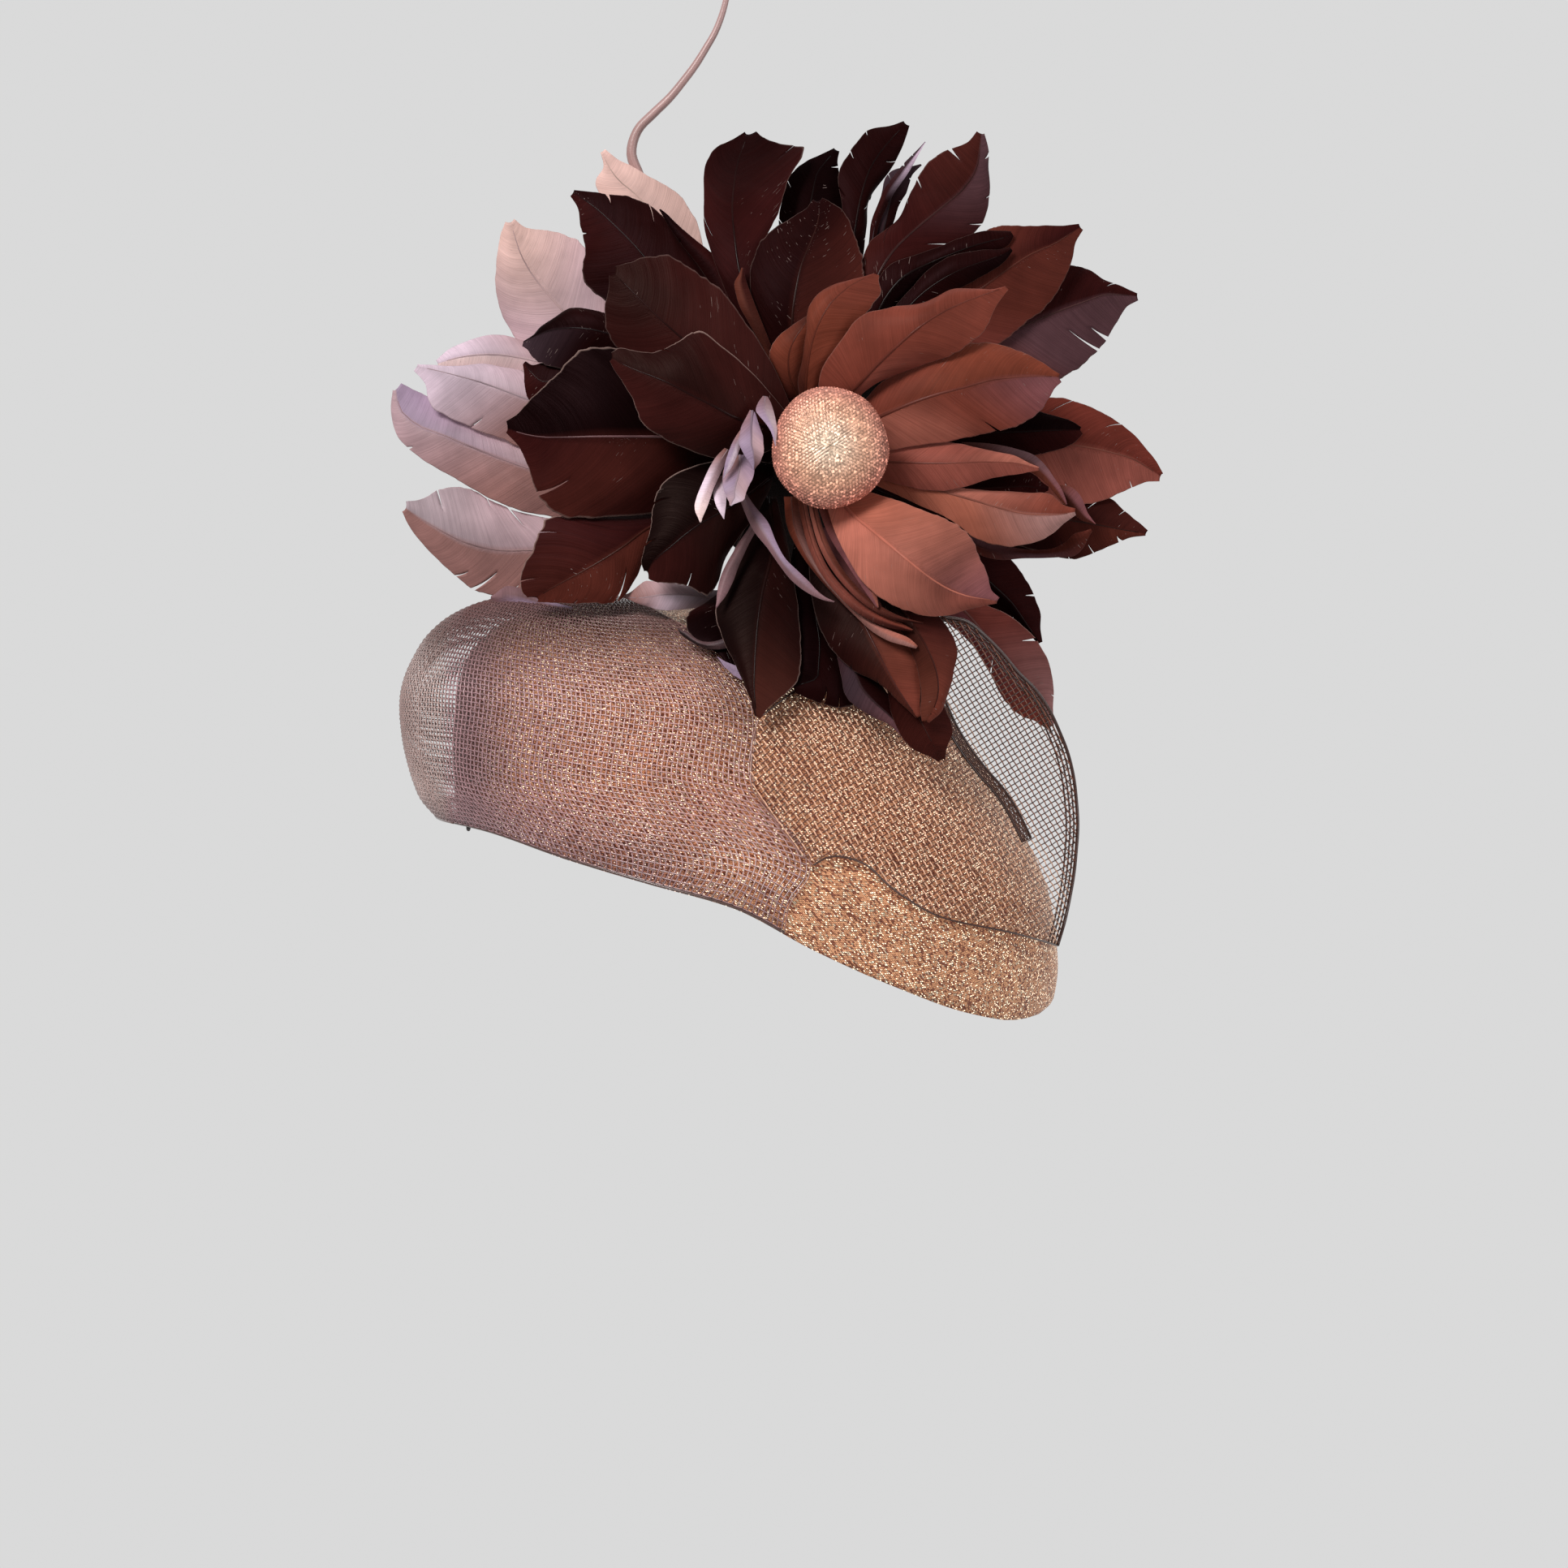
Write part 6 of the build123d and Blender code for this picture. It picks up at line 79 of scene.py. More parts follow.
# name: (node, palette names: first half root, middle, tip; second half root, middle, tip)
VANE_STYLE = {
    "M5": ("mauve_vane_top_narrow", "rose_pale rose_pale rose_pale rose_pale rose_pale rose_pale"),
    "M1": ("mauve_vane_top", "mauve mauve rose_pale mauve_brown mauve rose_pale"),
    "M4": ("mauve_vane_left_low", "dusk_mid mauve silver mauve_rust mauve_brown mauve_brown"),
    "M3": ("mauve_vane_left_mid", "mauve_brown mauve lilac mauve_brown mauve_brown mauve"),
    "M2u": ("mauve_vane_left", "mauve_brown mauve_brown mauve_pale mauve mauve white_rose"),
    "M2": ("mauve_vane_left", "black mauve mauve_pale brown mauve_brown mauve_pale"),
    "M7": ("mauve_slips", "lilac dusk dusk_mid dusk lilac dusk"),
    "P26": ("dark_vane_side_upper", "burgundy burgundy burgundy black black black"),
    "P27": ("dark_vane_side_lower", "rust_deep rust_mid mauve_brown grey_brown plum_rust rust_mid"),
    # F1 to F4 are near-black filler vanes behind the front ones so the gaps between vanes read as shade: painted shade
    "F4": ("dark_backing_vanes", "near_black near_black near_black near_black near_black near_black"),
    "F2": ("dark_backing_vanes", "near_black near_black near_black near_black near_black near_black"),
    "F1": ("dark_backing_vanes", "near_black near_black near_black near_black near_black near_black"),
    "F3": ("dark_backing_vanes", "near_black near_black near_black near_black near_black near_black"),
    "P20": ("dark_vane_right_wide", "burgundy burgundy burgundy rust_deep grey_brown grey_brown"),
    "P22a": ("dark_vane_right_split", "near_black near_black brown near_black near_black umber"),
    "P21": ("dark_vane_right_tip", "rust_deep rust_deep rust_deep rust rust rust"),
    "P22d": ("dark_vane_right_split", "black near_black burgundy burgundy burgundy burgundy"),
    "P23": ("dark_vane_right_inner", "black black black black near_black burgundy"),
    "P19b": ("dark_vane_right_upper", "umber umber burgundy rust_mid umber umber"),
    "P17a": ("dark_vane_crown_split", "near_black near_black black black black black"),
    "P17b": ("dark_vane_crown_split", "near_black near_black near_black near_black near_black near_black"),
    "P17d": ("dark_vane_crown_split", "near_black slate slate near_black near_black slate"),
    "P17c": ("dark_vane_crown_split", "near_black burgundy slate near_black near_black mauve_pale"),
    "P15": ("dark_vane_top_left", "near_black near_black near_black slate near_black burgundy"),
    "P15b": ("dark_vane_top_left", "burgundy burgundy black near_black near_black black"),
    "P18": ("dark_vane_top_right", "brown burgundy brown brown burgundy grey_brown"),
    "P16": ("dark_vane_crown", "near_black burgundy near_black near_black burgundy near_black"),
    "P19a": ("dark_vane_right_slips", "near_black near_black near_black black black near_black"),
    "P19c": ("dark_vane_right_slips", "black near_black near_black burgundy near_black black"),
    "P3": ("dark_vane_top", "near_black near_black near_black umber brown near_black"),
    "P3b": ("front_strips", "umber brown umber burgundy brown burgundy"),
    "P14b": ("dark_vane_left_upper", "near_black near_black near_black burgundy burgundy burgundy"),
    "P14": ("dark_vane_left_upper", "near_black near_black black black near_black slate"),
    "M6": ("mauve_vane_bottom", "silver mauve mauve_brown dusk mauve_pale mauve_brown"),
    # P29, with the backing vanes, is near black: painted shade in the gaps
    "P29": ("dark_backing_vanes", "burgundy black black black black black"),
    "L1": ("mauve_slips", "slate grey_brown grey_brown grey_brown near_black near_black"),
    "L2": ("mauve_slips", "lilac lilac lilac lilac lilac lilac"),
    # P25a is black for the shade it lies in: painted shade
    "P25a": ("dark_vane_bottom", "black black black black black near_black"),
    "P25b": ("dark_vane_bottom_pair", "burgundy slate dusk near_black near_black near_black"),
    "P25c": ("dark_vane_bottom_pair", "near_black near_black brown brown brown brown"),
    "P24": ("dark_vane_left_low", "black burgundy brown umber umber umber"),
    "P13": ("dark_vane_left", "black black black near_black brown burgundy"),
    "P10a": ("front_vane_low_pair", "black near_black brown plum_rust umber rust_deep"),
    "P10b": ("front_vane_low_pair", "black near_black umber burgundy burgundy rust_deep"),
    # P11 is black to near black: painted shade over the half that lies in shade
    "P11": ("front_vane_low", "black black near_black near_black near_black brown"),
    "P7u": ("front_strips", "umber plum_rust plum_rust near_black brown brown"),
    "P7t": ("front_strips", "brown dusk plum_rust umber umber umber"),
    "P22b": ("dark_vane_right_split", "dusk brown umber umber grey_brown umber"),
    "P7b": ("front_vane_right_low", "rust rust rust_deep rust_hi rust_hi mauve_brown"),
    "P7a": ("front_vane_right_mid", "rust_mid rust_mid rust rust_mid rust_mid rust_mid"),
    "P6": ("front_vane_right", "rust_deep orange_brown orange_brown rust rust_deep plum_rust"),
    "P9c": ("front_strips", "orange_brown brown mauve_rust umber mauve_brown rust"),
    "P9b": ("front_strips", "umber rust_mid burgundy rust rust_mid rust_deep"),
    "P9a": ("front_strips", "rust rust_mid near_black rust umber brown"),
    "P8b": ("front_strips", "rust_mid plum_rust plum_rust rust_mid rust_mid rust"),
    "P8": ("front_vane_lower_right", "rose_hi rust rust_mid rust_hi rust plum_rust"),
    "P4a": ("front_vane_top_short", "burgundy orange_brown brown brown orange_brown orange_brown"),
    "P4b": ("front_vane_top_short", "brown orange_brown rust_deep orange_brown orange_brown rust_deep"),
    "P5": ("front_vane_top_right", "rust_deep rust_deep rust_deep rust_mid rust_deep rust_deep"),
    "P1": ("front_vane_top_left", "burgundy burgundy near_black near_black burgundy near_black"),
    "P12": ("front_vane_lower_left", "black black black near_black near_black burgundy"),
    "P2": ("front_vane_upper_left", "burgundy near_black near_black near_black burgundy burgundy"),
    "G1": ("mauve_curls", "grey_brown dusk dusk_mid grey_brown grey_brown dusk_mid"),
    "S5": ("mauve_curls", "grey_brown dusk_mid dusk_mid grey_brown lilac dusk_mid"),
    "S4": ("mauve_curls", "mauve_rust mauve_pale mauve_pale mauve_pale mauve_pale mauve_pale"),
    "S3": ("mauve_curls", "mauve_rust mauve_pale white_rose dusk mauve white_rose"),
    "S2b": ("mauve_curls", "mauve_brown lilac mauve lilac mauve mauve_pale"),
    "S2c": ("mauve_curls", "mauve_brown lilac lilac mauve_pale mauve_pale mauve_pale"),
    "S2a": ("mauve_curls", "dusk_mid lilac lilac lilac mauve dusk"),
    "S1": ("mauve_curls", "dusk_mid lilac lilac dusk_mid silver silver"),
}
VANE_RAILS = {
    "M5": [-5.31, -11.64, 114.21, -6.59, -12, 113.4, -7.89, -11.64, 113.43, -6.07, -6.79, 126.67, -9.04, -7.83, 124.68, -13.5, -6.79, 123.99, -7.96, -2.68, 139, -12.06, -4.29, 135.8, -19.37, -2.68, 134.39, -9.89, 0.81, 151.32, -15.8, -1.38, 146.65, -25.28, 0.81, 144.76, -12.65, 3.26, 162.47, -20.58, 0.76, 156.18, -30.09, 3.26, 154.71, -18.39, 4.74, 171.22, -26.02, 2.26, 164.3, -35.57, 4.74, 163.23, -26.66, 5.48, 176.11, -32.04, 3.23, 170.9, -42.46, 5.48, 169.19, -33.16, 5.37, 179.94, -37.62, 3.73, 175.58, -44.82, 5.37, 175.32, -38.24, 4.58, 182.58, -40.86, 3.94, 180.15, -42.31, 4.58, 179.89, -41.87, 4.22, 185.44, -42.79, 4, 184.59, -43.29, 4.22, 184.49],
    "M1": [-18.21, -11.68, 101.82, -16.91, -12, 103.08, -15.63, -11.68, 104.4, -30.56, -6.73, 108.07, -25.88, -7.55, 110.52, -23.09, -6.73, 113.99, -43.67, -2.22, 112.6, -35.26, -3.73, 117.4, -30.12, -2.22, 123.94, -56.76, 1.71, 117.31, -44.93, -0.54, 123.88, -36.62, 1.71, 134.25, -68.53, 4.86, 122.4, -53.07, 1.86, 131.01, -41.33, 4.86, 144.57, -74.87, 6.59, 132.12, -59.83, 3.6, 138.3, -46.94, 6.59, 153.27, -77.23, 7.14, 142.66, -65.48, 4.79, 145.44, -54.37, 7.14, 158.18, -76.74, 6.92, 151.41, -69.06, 5.47, 151.97, -61.86, 6.92, 159.66, -75.55, 6.53, 158.12, -70.9, 5.82, 157.42, -67.68, 6.53, 160.72, -73.98, 6.25, 162.38, -72.35, 6, 162.13, -71.22, 6.25, 163.29],
    "M4": [-14.3, -13.68, 72.79, -14.3, -14, 71.23, -14.3, -13.68, 69.7, -27.18, -9.88, 69.35, -26.58, -10.95, 65.46, -25.97, -9.88, 59.08, -40.29, -6.82, 66.72, -39.09, -8.53, 60.11, -39.01, -6.82, 50.16, -53.61, -4.48, 66.04, -52.06, -6.74, 56.22, -53.62, -4.48, 44.11, -65.98, -2.97, 67.67, -64.71, -5.64, 56.26, -68.24, -2.97, 41.83, -76.79, -2.1, 71.69, -76.38, -5.1, 56.32, -81.76, -2.1, 42.99, -86.21, -2.27, 76.18, -86.73, -5.01, 58.85, -91.64, -2.27, 50.05, -94.37, -3.28, 75.62, -94.55, -5.23, 62.76, -98.76, -3.28, 57.25, -100.23, -4.55, 72.5, -100.35, -5.58, 66.28, -103.78, -4.55, 63.24, -105.06, -5.64, 71.79, -105.11, -6, 69.61, -106.31, -5.64, 68.54],
    "M3": [-14.25, -16.37, 77.27, -14.24, -16.94, 75.69, -14.25, -16.37, 74.18, -27.83, -11.52, 81.03, -28.85, -13.66, 75.26, -30.01, -11.52, 69.54, -41.43, -7.73, 84.82, -43.43, -11.22, 76.54, -46.2, -7.73, 66.26, -55.15, -4.84, 88.18, -57.79, -8.84, 79.66, -62.69, -4.84, 67.54, -67.87, -3.87, 91.05, -70.75, -7.68, 83.92, -77.27, -3.87, 72.3, -79.48, -3.01, 94.27, -82.56, -6.31, 88.41, -89.66, -3.01, 79.23, -89.32, -0.73, 99.62, -93.28, -3.97, 93.06, -100.92, -0.73, 86.08, -96.91, 1.71, 104.88, -102.18, -1.23, 96.81, -108.62, 1.71, 93.69, -103.01, 2.14, 107.88, -107.52, 0.37, 101.83, -110.51, 2.14, 101.64, -107.19, 1.73, 110.11, -108.77, 1.11, 107.99, -109.82, 1.73, 107.92],
    "M2u": [-14.28, -14.8, 92.31, -14.27, -15.36, 90.98, -14.28, -14.8, 89.73, -23.76, -10.96, 101.61, -24.38, -12.36, 98.06, -24.97, -10.96, 95.3, -34.22, -6.64, 109.86, -34.87, -8.81, 104.68, -36.08, -6.64, 100.09, -45.53, -2.78, 116.88, -45.79, -5.58, 110.64, -47.53, -2.78, 104.13, -57.16, 0.16, 121.13, -56.6, -2.75, 114.74, -58.22, 0.16, 107.73, -68.28, 2.87, 123.82, -66.87, -0.01, 117.73, -68.29, 2.87, 110.48, -78.35, 5, 126.01, -76.52, 2, 119.2, -77.7, 5, 112.14, -86.54, 6.17, 124.02, -84.49, 3.8, 119.13, -85.43, 6.17, 113.11, -92.45, 6.39, 121.11, -90.6, 4.87, 118.19, -91.34, 6.39, 114.16, -96.32, 6.11, 117.66, -95.68, 5.57, 116.64, -95.94, 6.11, 115.23],
    "M2": [-14.21, -18.45, 85.37, -14.2, -18.93, 84.05, -14.21, -18.45, 82.54, -24.33, -14.4, 94.34, -26.21, -16.58, 88.82, -28.23, -14.4, 82.1, -35.31, -11.36, 102, -38.21, -14.7, 93.64, -42.24, -11.36, 83.46, -47.45, -9.24, 107.74, -50.22, -13.18, 98.41, -56.09, -9.24, 86.04, -59.46, -7.52, 111.15, -61.58, -11.52, 102.43, -68.79, -7.52, 89.33, -70.61, -6.29, 113.98, -72.04, -10.07, 106.26, -80.07, -6.29, 93.64, -80.96, -4.7, 115.81, -81.69, -8.07, 109.77, -90.31, -4.7, 98.11, -89.53, -3.95, 114.84, -89.8, -6.34, 112.09, -97.59, -3.95, 103.14, -96.09, -3.26, 115.46, -96.19, -4.35, 113.83, -99.25, -3.26, 109.79, -101.65, -2.77, 115.67, -101.69, -3.16, 115.1, -102.76, -2.77, 113.68],
    "M7": [-50.66, -37.7, 36.88, -50.65, -38, 35.86, -50.66, -37.7, 34.85, -54.56, -35.11, 37.94, -54.52, -35.48, 36.65, -54.52, -35.11, 35.39, -58.43, -32.48, 39.16, -58.39, -32.96, 37.48, -58.39, -32.48, 35.84, -62.24, -29.78, 40.63, -62.23, -30.44, 38.33, -62.3, -29.78, 36.09, -65.56, -27.22, 42.49, -65.7, -28.1, 39.41, -65.94, -27.22, 36.4, -68.82, -24.94, 43.63, -69, -25.94, 40.15, -69.3, -24.94, 36.74, -72, -22.99, 44.01, -72.12, -23.96, 40.62, -72.34, -22.99, 37.3, -74.16, -21.61, 42.86, -74.44, -22.34, 40.34, -74.8, -21.61, 37.88, -75.74, -20.73, 41.64, -75.9, -21.08, 40.42, -76.11, -20.73, 39.23, -77.03, -19.88, 41.02, -77.09, -20, 40.59, -77.16, -19.88, 40.17],
    "P26": [47.93, -21.13, 73.39, 46.63, -22, 71.8, 45.36, -21.13, 70.31, 57.42, -14.37, 69.27, 54.31, -16.23, 66.27, 51.41, -14.37, 63.12, 67.01, -8.41, 65.17, 62.05, -11.25, 60.69, 57.59, -8.41, 55.93, 76.71, -3.41, 61.14, 69.87, -7.05, 55.12, 64.57, -3.41, 49.32, 85.01, 0.15, 56.09, 77.09, -3.85, 49.82, 71.29, 0.15, 43.43, 91.3, 2.03, 49.83, 83.38, -1.5, 44.42, 78.57, 2.03, 39.36, 95.65, 2.87, 42.83, 88.89, 0.15, 39.23, 85.23, 2.87, 35.59, 97.8, 2.93, 36.52, 92.46, 1.14, 34.14, 90.55, 2.93, 32.35, 97.88, 2.55, 31.26, 95.23, 1.69, 30.17, 94.35, 2.55, 29.34, 98.53, 2.3, 27.14, 97.6, 2, 26.76, 97.29, 2.3, 26.47],
    "P27": [49.43, -23.04, 60.98, 47.87, -24, 59.39, 46.35, -23.04, 57.9, 58.27, -20.22, 52.67, 55.45, -21.73, 51.18, 52.76, -20.22, 48.59, 67.8, -16.74, 45.13, 63.57, -18.83, 43.5, 59.89, -16.74, 39.81, 78.33, -12.65, 39.13, 72.57, -15.3, 36.71, 68.36, -12.65, 32.2, 88.55, -8.11, 34.51, 79.67, -11.46, 28.99, 76.31, -8.11, 25.19, 96.38, -3.44, 27.41, 86.57, -7.44, 22.13, 81.35, -3.44, 16.75, 100.69, 0.57, 19.2, 92.52, -3.35, 15.41, 85.84, 0.57, 8.88, 102.11, 3.15, 11.43, 97.33, 0.29, 9.86, 91.3, 3.15, 3.82, 102.1, 4.74, 5.31, 99.56, 3.3, 4.6, 96.64, 4.74, 1.48, 102.35, 6.5, 0.32, 101.46, 6, 0.07, 100.44, 6.5, -1.02],
    "F4": [40.13, -27.77, 77.6, 39.61, -28, 76.06, 39.1, -27.77, 74.54, 49.67, -27.78, 75.61, 48.42, -28.28, 72.35, 47.2, -27.78, 69.14, 59.31, -27.84, 74.25, 57.57, -28.56, 69.48, 55.87, -27.84, 64.79, 68.99, -27.91, 73.14, 66.87, -28.84, 67, 64.81, -27.91, 60.96, 77.8, -28.11, 71.15, 75.55, -29.1, 64.62, 73.38, -28.11, 58.19, 85.91, -28.34, 69.17, 83.63, -29.34, 62.55, 81.43, -28.34, 56.03, 92.91, -28.71, 66.21, 90.91, -29.56, 60.64, 88.98, -28.71, 55.15, 98.5, -29.07, 63.39, 96.81, -29.74, 59, 95.2, -29.07, 54.68, 101.9, -29.5, 60.23, 100.88, -29.88, 57.79, 99.91, -29.5, 55.39, 104.23, -29.87, 57.4, 103.87, -30, 56.55, 103.53, -29.87, 55.71],
    "F2": [41.15, -27.79, 92.93, 41.15, -28, 91, 41.15, -27.79, 89.1, 49.63, -27.39, 96.68, 49.54, -28, 91.03, 49.47, -27.39, 85.47, 58.67, -27.21, 98.7, 58.53, -28, 91.33, 58.43, -27.21, 84.08, 67.73, -27.03, 100.63, 67.55, -28, 91.65, 67.43, -27.03, 82.81, 76.3, -27.01, 101.37, 76.04, -28, 92.13, 75.86, -27.01, 83.03, 84.2, -27, 101.79, 83.88, -28, 92.51, 83.64, -27, 83.36, 91.42, -27.11, 100.88, 91.01, -28, 92.62, 90.68, -27.11, 84.48, 96.15, -27.35, 97.76, 96.18, -28, 91.7, 96.27, -27.35, 85.73, 99.41, -27.7, 94.47, 99.42, -28, 91.67, 99.46, -27.7, 88.91, 102.19, -27.89, 92.62, 102.2, -28, 91.64, 102.21, -27.89, 90.67],
    "F1": [20.45, -27.78, 100.6, 22.37, -28, 99.94, 24.29, -27.78, 99.32, 23.88, -26.96, 107.5, 27.93, -27.44, 106.1, 32, -26.96, 104.78, 27.37, -26.18, 114.37, 33.36, -26.88, 112.46, 39.36, -26.18, 110.67, 31.31, -25.48, 120.99, 38.66, -26.32, 119.11, 46.03, -25.48, 117.38, 34.92, -24.84, 127.17, 43.36, -25.8, 125.49, 51.84, -24.84, 123.99, 37.86, -24.32, 133.1, 46.77, -25.32, 131.88, 55.72, -24.32, 130.86, 40.56, -23.95, 138.52, 48.93, -24.88, 138.23, 57.34, -23.95, 138.13, 42.76, -23.9, 142.93, 48.34, -24.52, 142.65, 53.95, -23.9, 142.51, 45.04, -23.94, 145.95, 47.71, -24.24, 145.74, 50.4, -23.94, 145.61, 46.42, -23.9, 148.33, 47.36, -24, 148.26, 48.3, -23.9, 148.21],
    "F3": [6.4, -27.75, 82.71, 6.4, -28, 81.17, 6.4, -27.75, 79.65, -2.41, -27.2, 79.81, -1.77, -27.72, 76.7, -1.14, -27.2, 73.65, -11.24, -26.7, 76.9, -10.13, -27.44, 72.53, -9.05, -26.7, 68.24, -20.06, -26.33, 73.99, -18.92, -27.16, 69.04, -17.81, -26.33, 64.18, -28.42, -25.99, 71.91, -27.28, -26.9, 66.42, -26.19, -25.99, 61.03, -36.29, -25.66, 70.62, -35.18, -26.66, 64.59, -34.13, -25.66, 58.67, -43.5, -25.47, 69.39, -42.51, -26.44, 63.54, -41.6, -25.47, 57.79, -49.39, -25.38, 68.35, -48.57, -26.26, 63.02, -47.81, -25.38, 57.79, -52.77, -25.62, 65.68, -52.33, -26.12, 62.62, -51.93, -25.62, 59.61, -55.15, -25.82, 63.44, -54.99, -26, 62.36, -54.86, -25.82, 61.31],
    "P20": [55.47, -27.37, 113.92, 56.22, -28, 111.82, 57.51, -27.37, 109.32, 65.27, -27.79, 120.31, 66.03, -29.29, 115.39, 68.89, -27.79, 108.96, 75.01, -27.38, 126.93, 75.84, -29.79, 119.06, 80.28, -27.38, 108.41, 84.68, -26.16, 133.78, 85.39, -29.51, 123.47, 91.71, -26.16, 107.98, 93.78, -24.55, 140.09, 94.5, -28.55, 127.17, 102.27, -24.55, 109.31, 102.63, -23.12, 145.09, 102.89, -27.06, 130.79, 110.61, -23.12, 114.61, 111.11, -22.19, 144.4, 110.77, -25.19, 133.8, 116.81, -22.19, 121.08, 117.49, -21.62, 140.4, 117.32, -23.3, 136.11, 120.76, -21.62, 127.35, 123.08, -20.82, 138.55, 122.66, -21.61, 136.07, 123.8, -20.82, 132.29, 127.43, -19.72, 136.72, 127.29, -20, 135.85, 127.68, -19.72, 134.53],
    "P22a": [62.56, -29.28, 77, 62.55, -29.89, 74.92, 62.56, -29.28, 72.92, 72.6, -30.12, 76.09, 71.73, -31.49, 72.29, 71.06, -30.12, 67.13, 82.65, -30.3, 75.15, 80.92, -32.39, 69.7, 79.76, -30.3, 61.69, 92.68, -30.33, 74, 90.2, -33, 67.45, 88.8, -30.33, 56.82, 101.99, -30.35, 72.9, 98.84, -33.27, 65.46, 97.91, -30.35, 54.07, 110.61, -29.9, 71.89, 106.93, -32.9, 64.06, 106.48, -29.9, 52.47, 118.5, -29.68, 71.28, 114.38, -32.27, 62.87, 114.26, -29.68, 54.68, 123.14, -29.96, 66.82, 120.47, -31.47, 61.7, 120.31, -29.96, 57.23, 127.14, -29.98, 63.77, 125.23, -30.75, 60.9, 125.09, -29.98, 59.1, 129.99, -29.83, 61.27, 129.33, -30.1, 60.27, 129.28, -29.83, 59.64],
    "P21": [57.45, -29.49, 94.85, 57.44, -30.12, 92.26, 57.45, -29.49, 89.75, 69.17, -31.33, 98.42, 68.33, -33.02, 91.11, 67.91, -31.33, 84.82, 81.02, -33.19, 101.35, 79.18, -35.88, 90.03, 78.27, -33.19, 79.74, 93.17, -33.79, 102.82, 90.07, -37.34, 89.15, 88.5, -33.79, 74.43, 104.51, -34.01, 102.11, 100.18, -38.01, 88.19, 98.37, -34.01, 70.32, 114.46, -33.18, 98.55, 109.57, -36.89, 87.1, 108.2, -33.18, 69.19, 122.64, -32.14, 93.45, 118.13, -35, 85.45, 117.11, -32.14, 70.97, 128.42, -30.86, 88.01, 125.06, -32.65, 83.56, 123.86, -30.86, 74.26, 132.47, -29.08, 83.4, 129.96, -30.02, 80.96, 129.37, -29.08, 76.45, 134.94, -27.23, 79.31, 134.06, -27.55, 78.46, 133.85, -27.23, 76.88],
    "P22d": [59.94, -31.85, 76.33, 59.93, -32.17, 74.79, 59.94, -31.85, 73.28, 65.7, -32.37, 76.58, 65.58, -32.82, 74.48, 65.49, -32.37, 72.43, 71.42, -33.67, 76.89, 71.19, -34.25, 74.18, 71.01, -33.67, 71.55, 77.09, -34.89, 77.61, 76.78, -35.63, 74.12, 76.53, -34.89, 70.71, 82.34, -36.12, 78.33, 81.97, -36.98, 74.26, 81.68, -36.12, 70.28, 87.2, -37.05, 78.96, 86.77, -38.02, 74.42, 86.44, -37.05, 69.99, 91.68, -37.54, 79.4, 91.19, -38.54, 74.71, 90.81, -37.54, 70.15, 94.63, -37.83, 77.83, 94.43, -38.6, 74.18, 94.31, -37.83, 70.62, 96.6, -37.94, 75.73, 96.51, -38.3, 74.04, 96.45, -37.94, 72.4, 98.34, -37.6, 74.54, 98.31, -37.73, 73.95, 98.29, -37.6, 73.37],
    "P23": [54.83, -32.5, 93.11, 54.81, -33.06, 91.54, 54.83, -32.5, 89.8, 62.55, -34.28, 94.53, 62.27, -35.36, 91.38, 62.71, -34.28, 88.24, 70.28, -35.94, 95.88, 69.71, -37.51, 91.23, 70.6, -35.94, 86.78, 78.03, -37.25, 97.08, 77.14, -39.26, 91.18, 78.51, -37.25, 85.47, 85.25, -38.12, 98.11, 84.05, -40.43, 91.33, 85.9, -38.12, 84.72, 91.96, -38.63, 98.79, 90.43, -41.13, 91.5, 92.76, -38.63, 84.32, 97.69, -39, 97.39, 96.3, -41.08, 91.79, 98.95, -39, 85.43, 102.47, -39.01, 95.89, 101.14, -40.58, 92.02, 103.86, -39.01, 86.87, 105.94, -39.09, 94.66, 104.91, -40.08, 92.06, 107.23, -39.09, 89.03, 108.52, -39, 93.02, 108.17, -39.35, 92.11, 108.98, -39, 91.05],
    "P19b": [45.93, -31.5, 113.57, 47.2, -32, 112.25, 48.48, -31.5, 110.76, 53.41, -32.66, 122.48, 55.2, -34.13, 119, 59.68, -32.66, 113.36, 60.41, -32.94, 131.84, 63.31, -35.47, 125.67, 70.93, -32.94, 115.87, 67.15, -32.49, 141.49, 71.57, -36.03, 132.24, 81.92, -32.49, 119.15, 73.43, -31.85, 150.48, 79.43, -35.85, 138.2, 90.56, -31.85, 125.54, 81.07, -31.13, 156.25, 86.8, -35.08, 143.64, 98.14, -31.13, 131.72, 90.26, -30.99, 156.79, 93.9, -33.87, 148.16, 103.2, -30.99, 139.27, 97.82, -30.7, 157.12, 100.24, -32.52, 151, 106.07, -30.7, 146.08, 103.7, -30.4, 157.07, 104.82, -31.25, 153.95, 107.34, -30.4, 151.75, 108.33, -29.7, 157.65, 108.72, -30, 156.56, 109.6, -29.7, 155.79],
    "P17a": [20.45, -29.49, 114.5, 22.23, -30, 114.46, 23.77, -29.49, 114.5, 18.82, -27.44, 125.27, 21.94, -28.36, 124.24, 24.8, -27.44, 124.16, 17.37, -24.89, 136.15, 21.81, -26.26, 134.09, 26.08, -24.89, 133.85, 16.1, -21.78, 147.14, 22.1, -23.68, 144.02, 28.13, -21.78, 143.51, 14.16, -18.26, 157.25, 22.61, -20.87, 153.29, 30.7, -18.26, 152.39, 14.71, -14.91, 166.87, 23.46, -17.91, 161.9, 33.51, -14.91, 160.5, 17.63, -12.11, 174.97, 24.79, -14.9, 169.75, 34.85, -12.11, 168.23, 22.84, -10.4, 179.65, 26.34, -12.22, 176.15, 33.73, -10.4, 174.51, 27.69, -9.15, 182.17, 29.37, -10, 180.19, 32.56, -9.15, 179.32, 31.57, -7.7, 184.28, 32.16, -8, 183.58, 33.27, -7.7, 183.28],
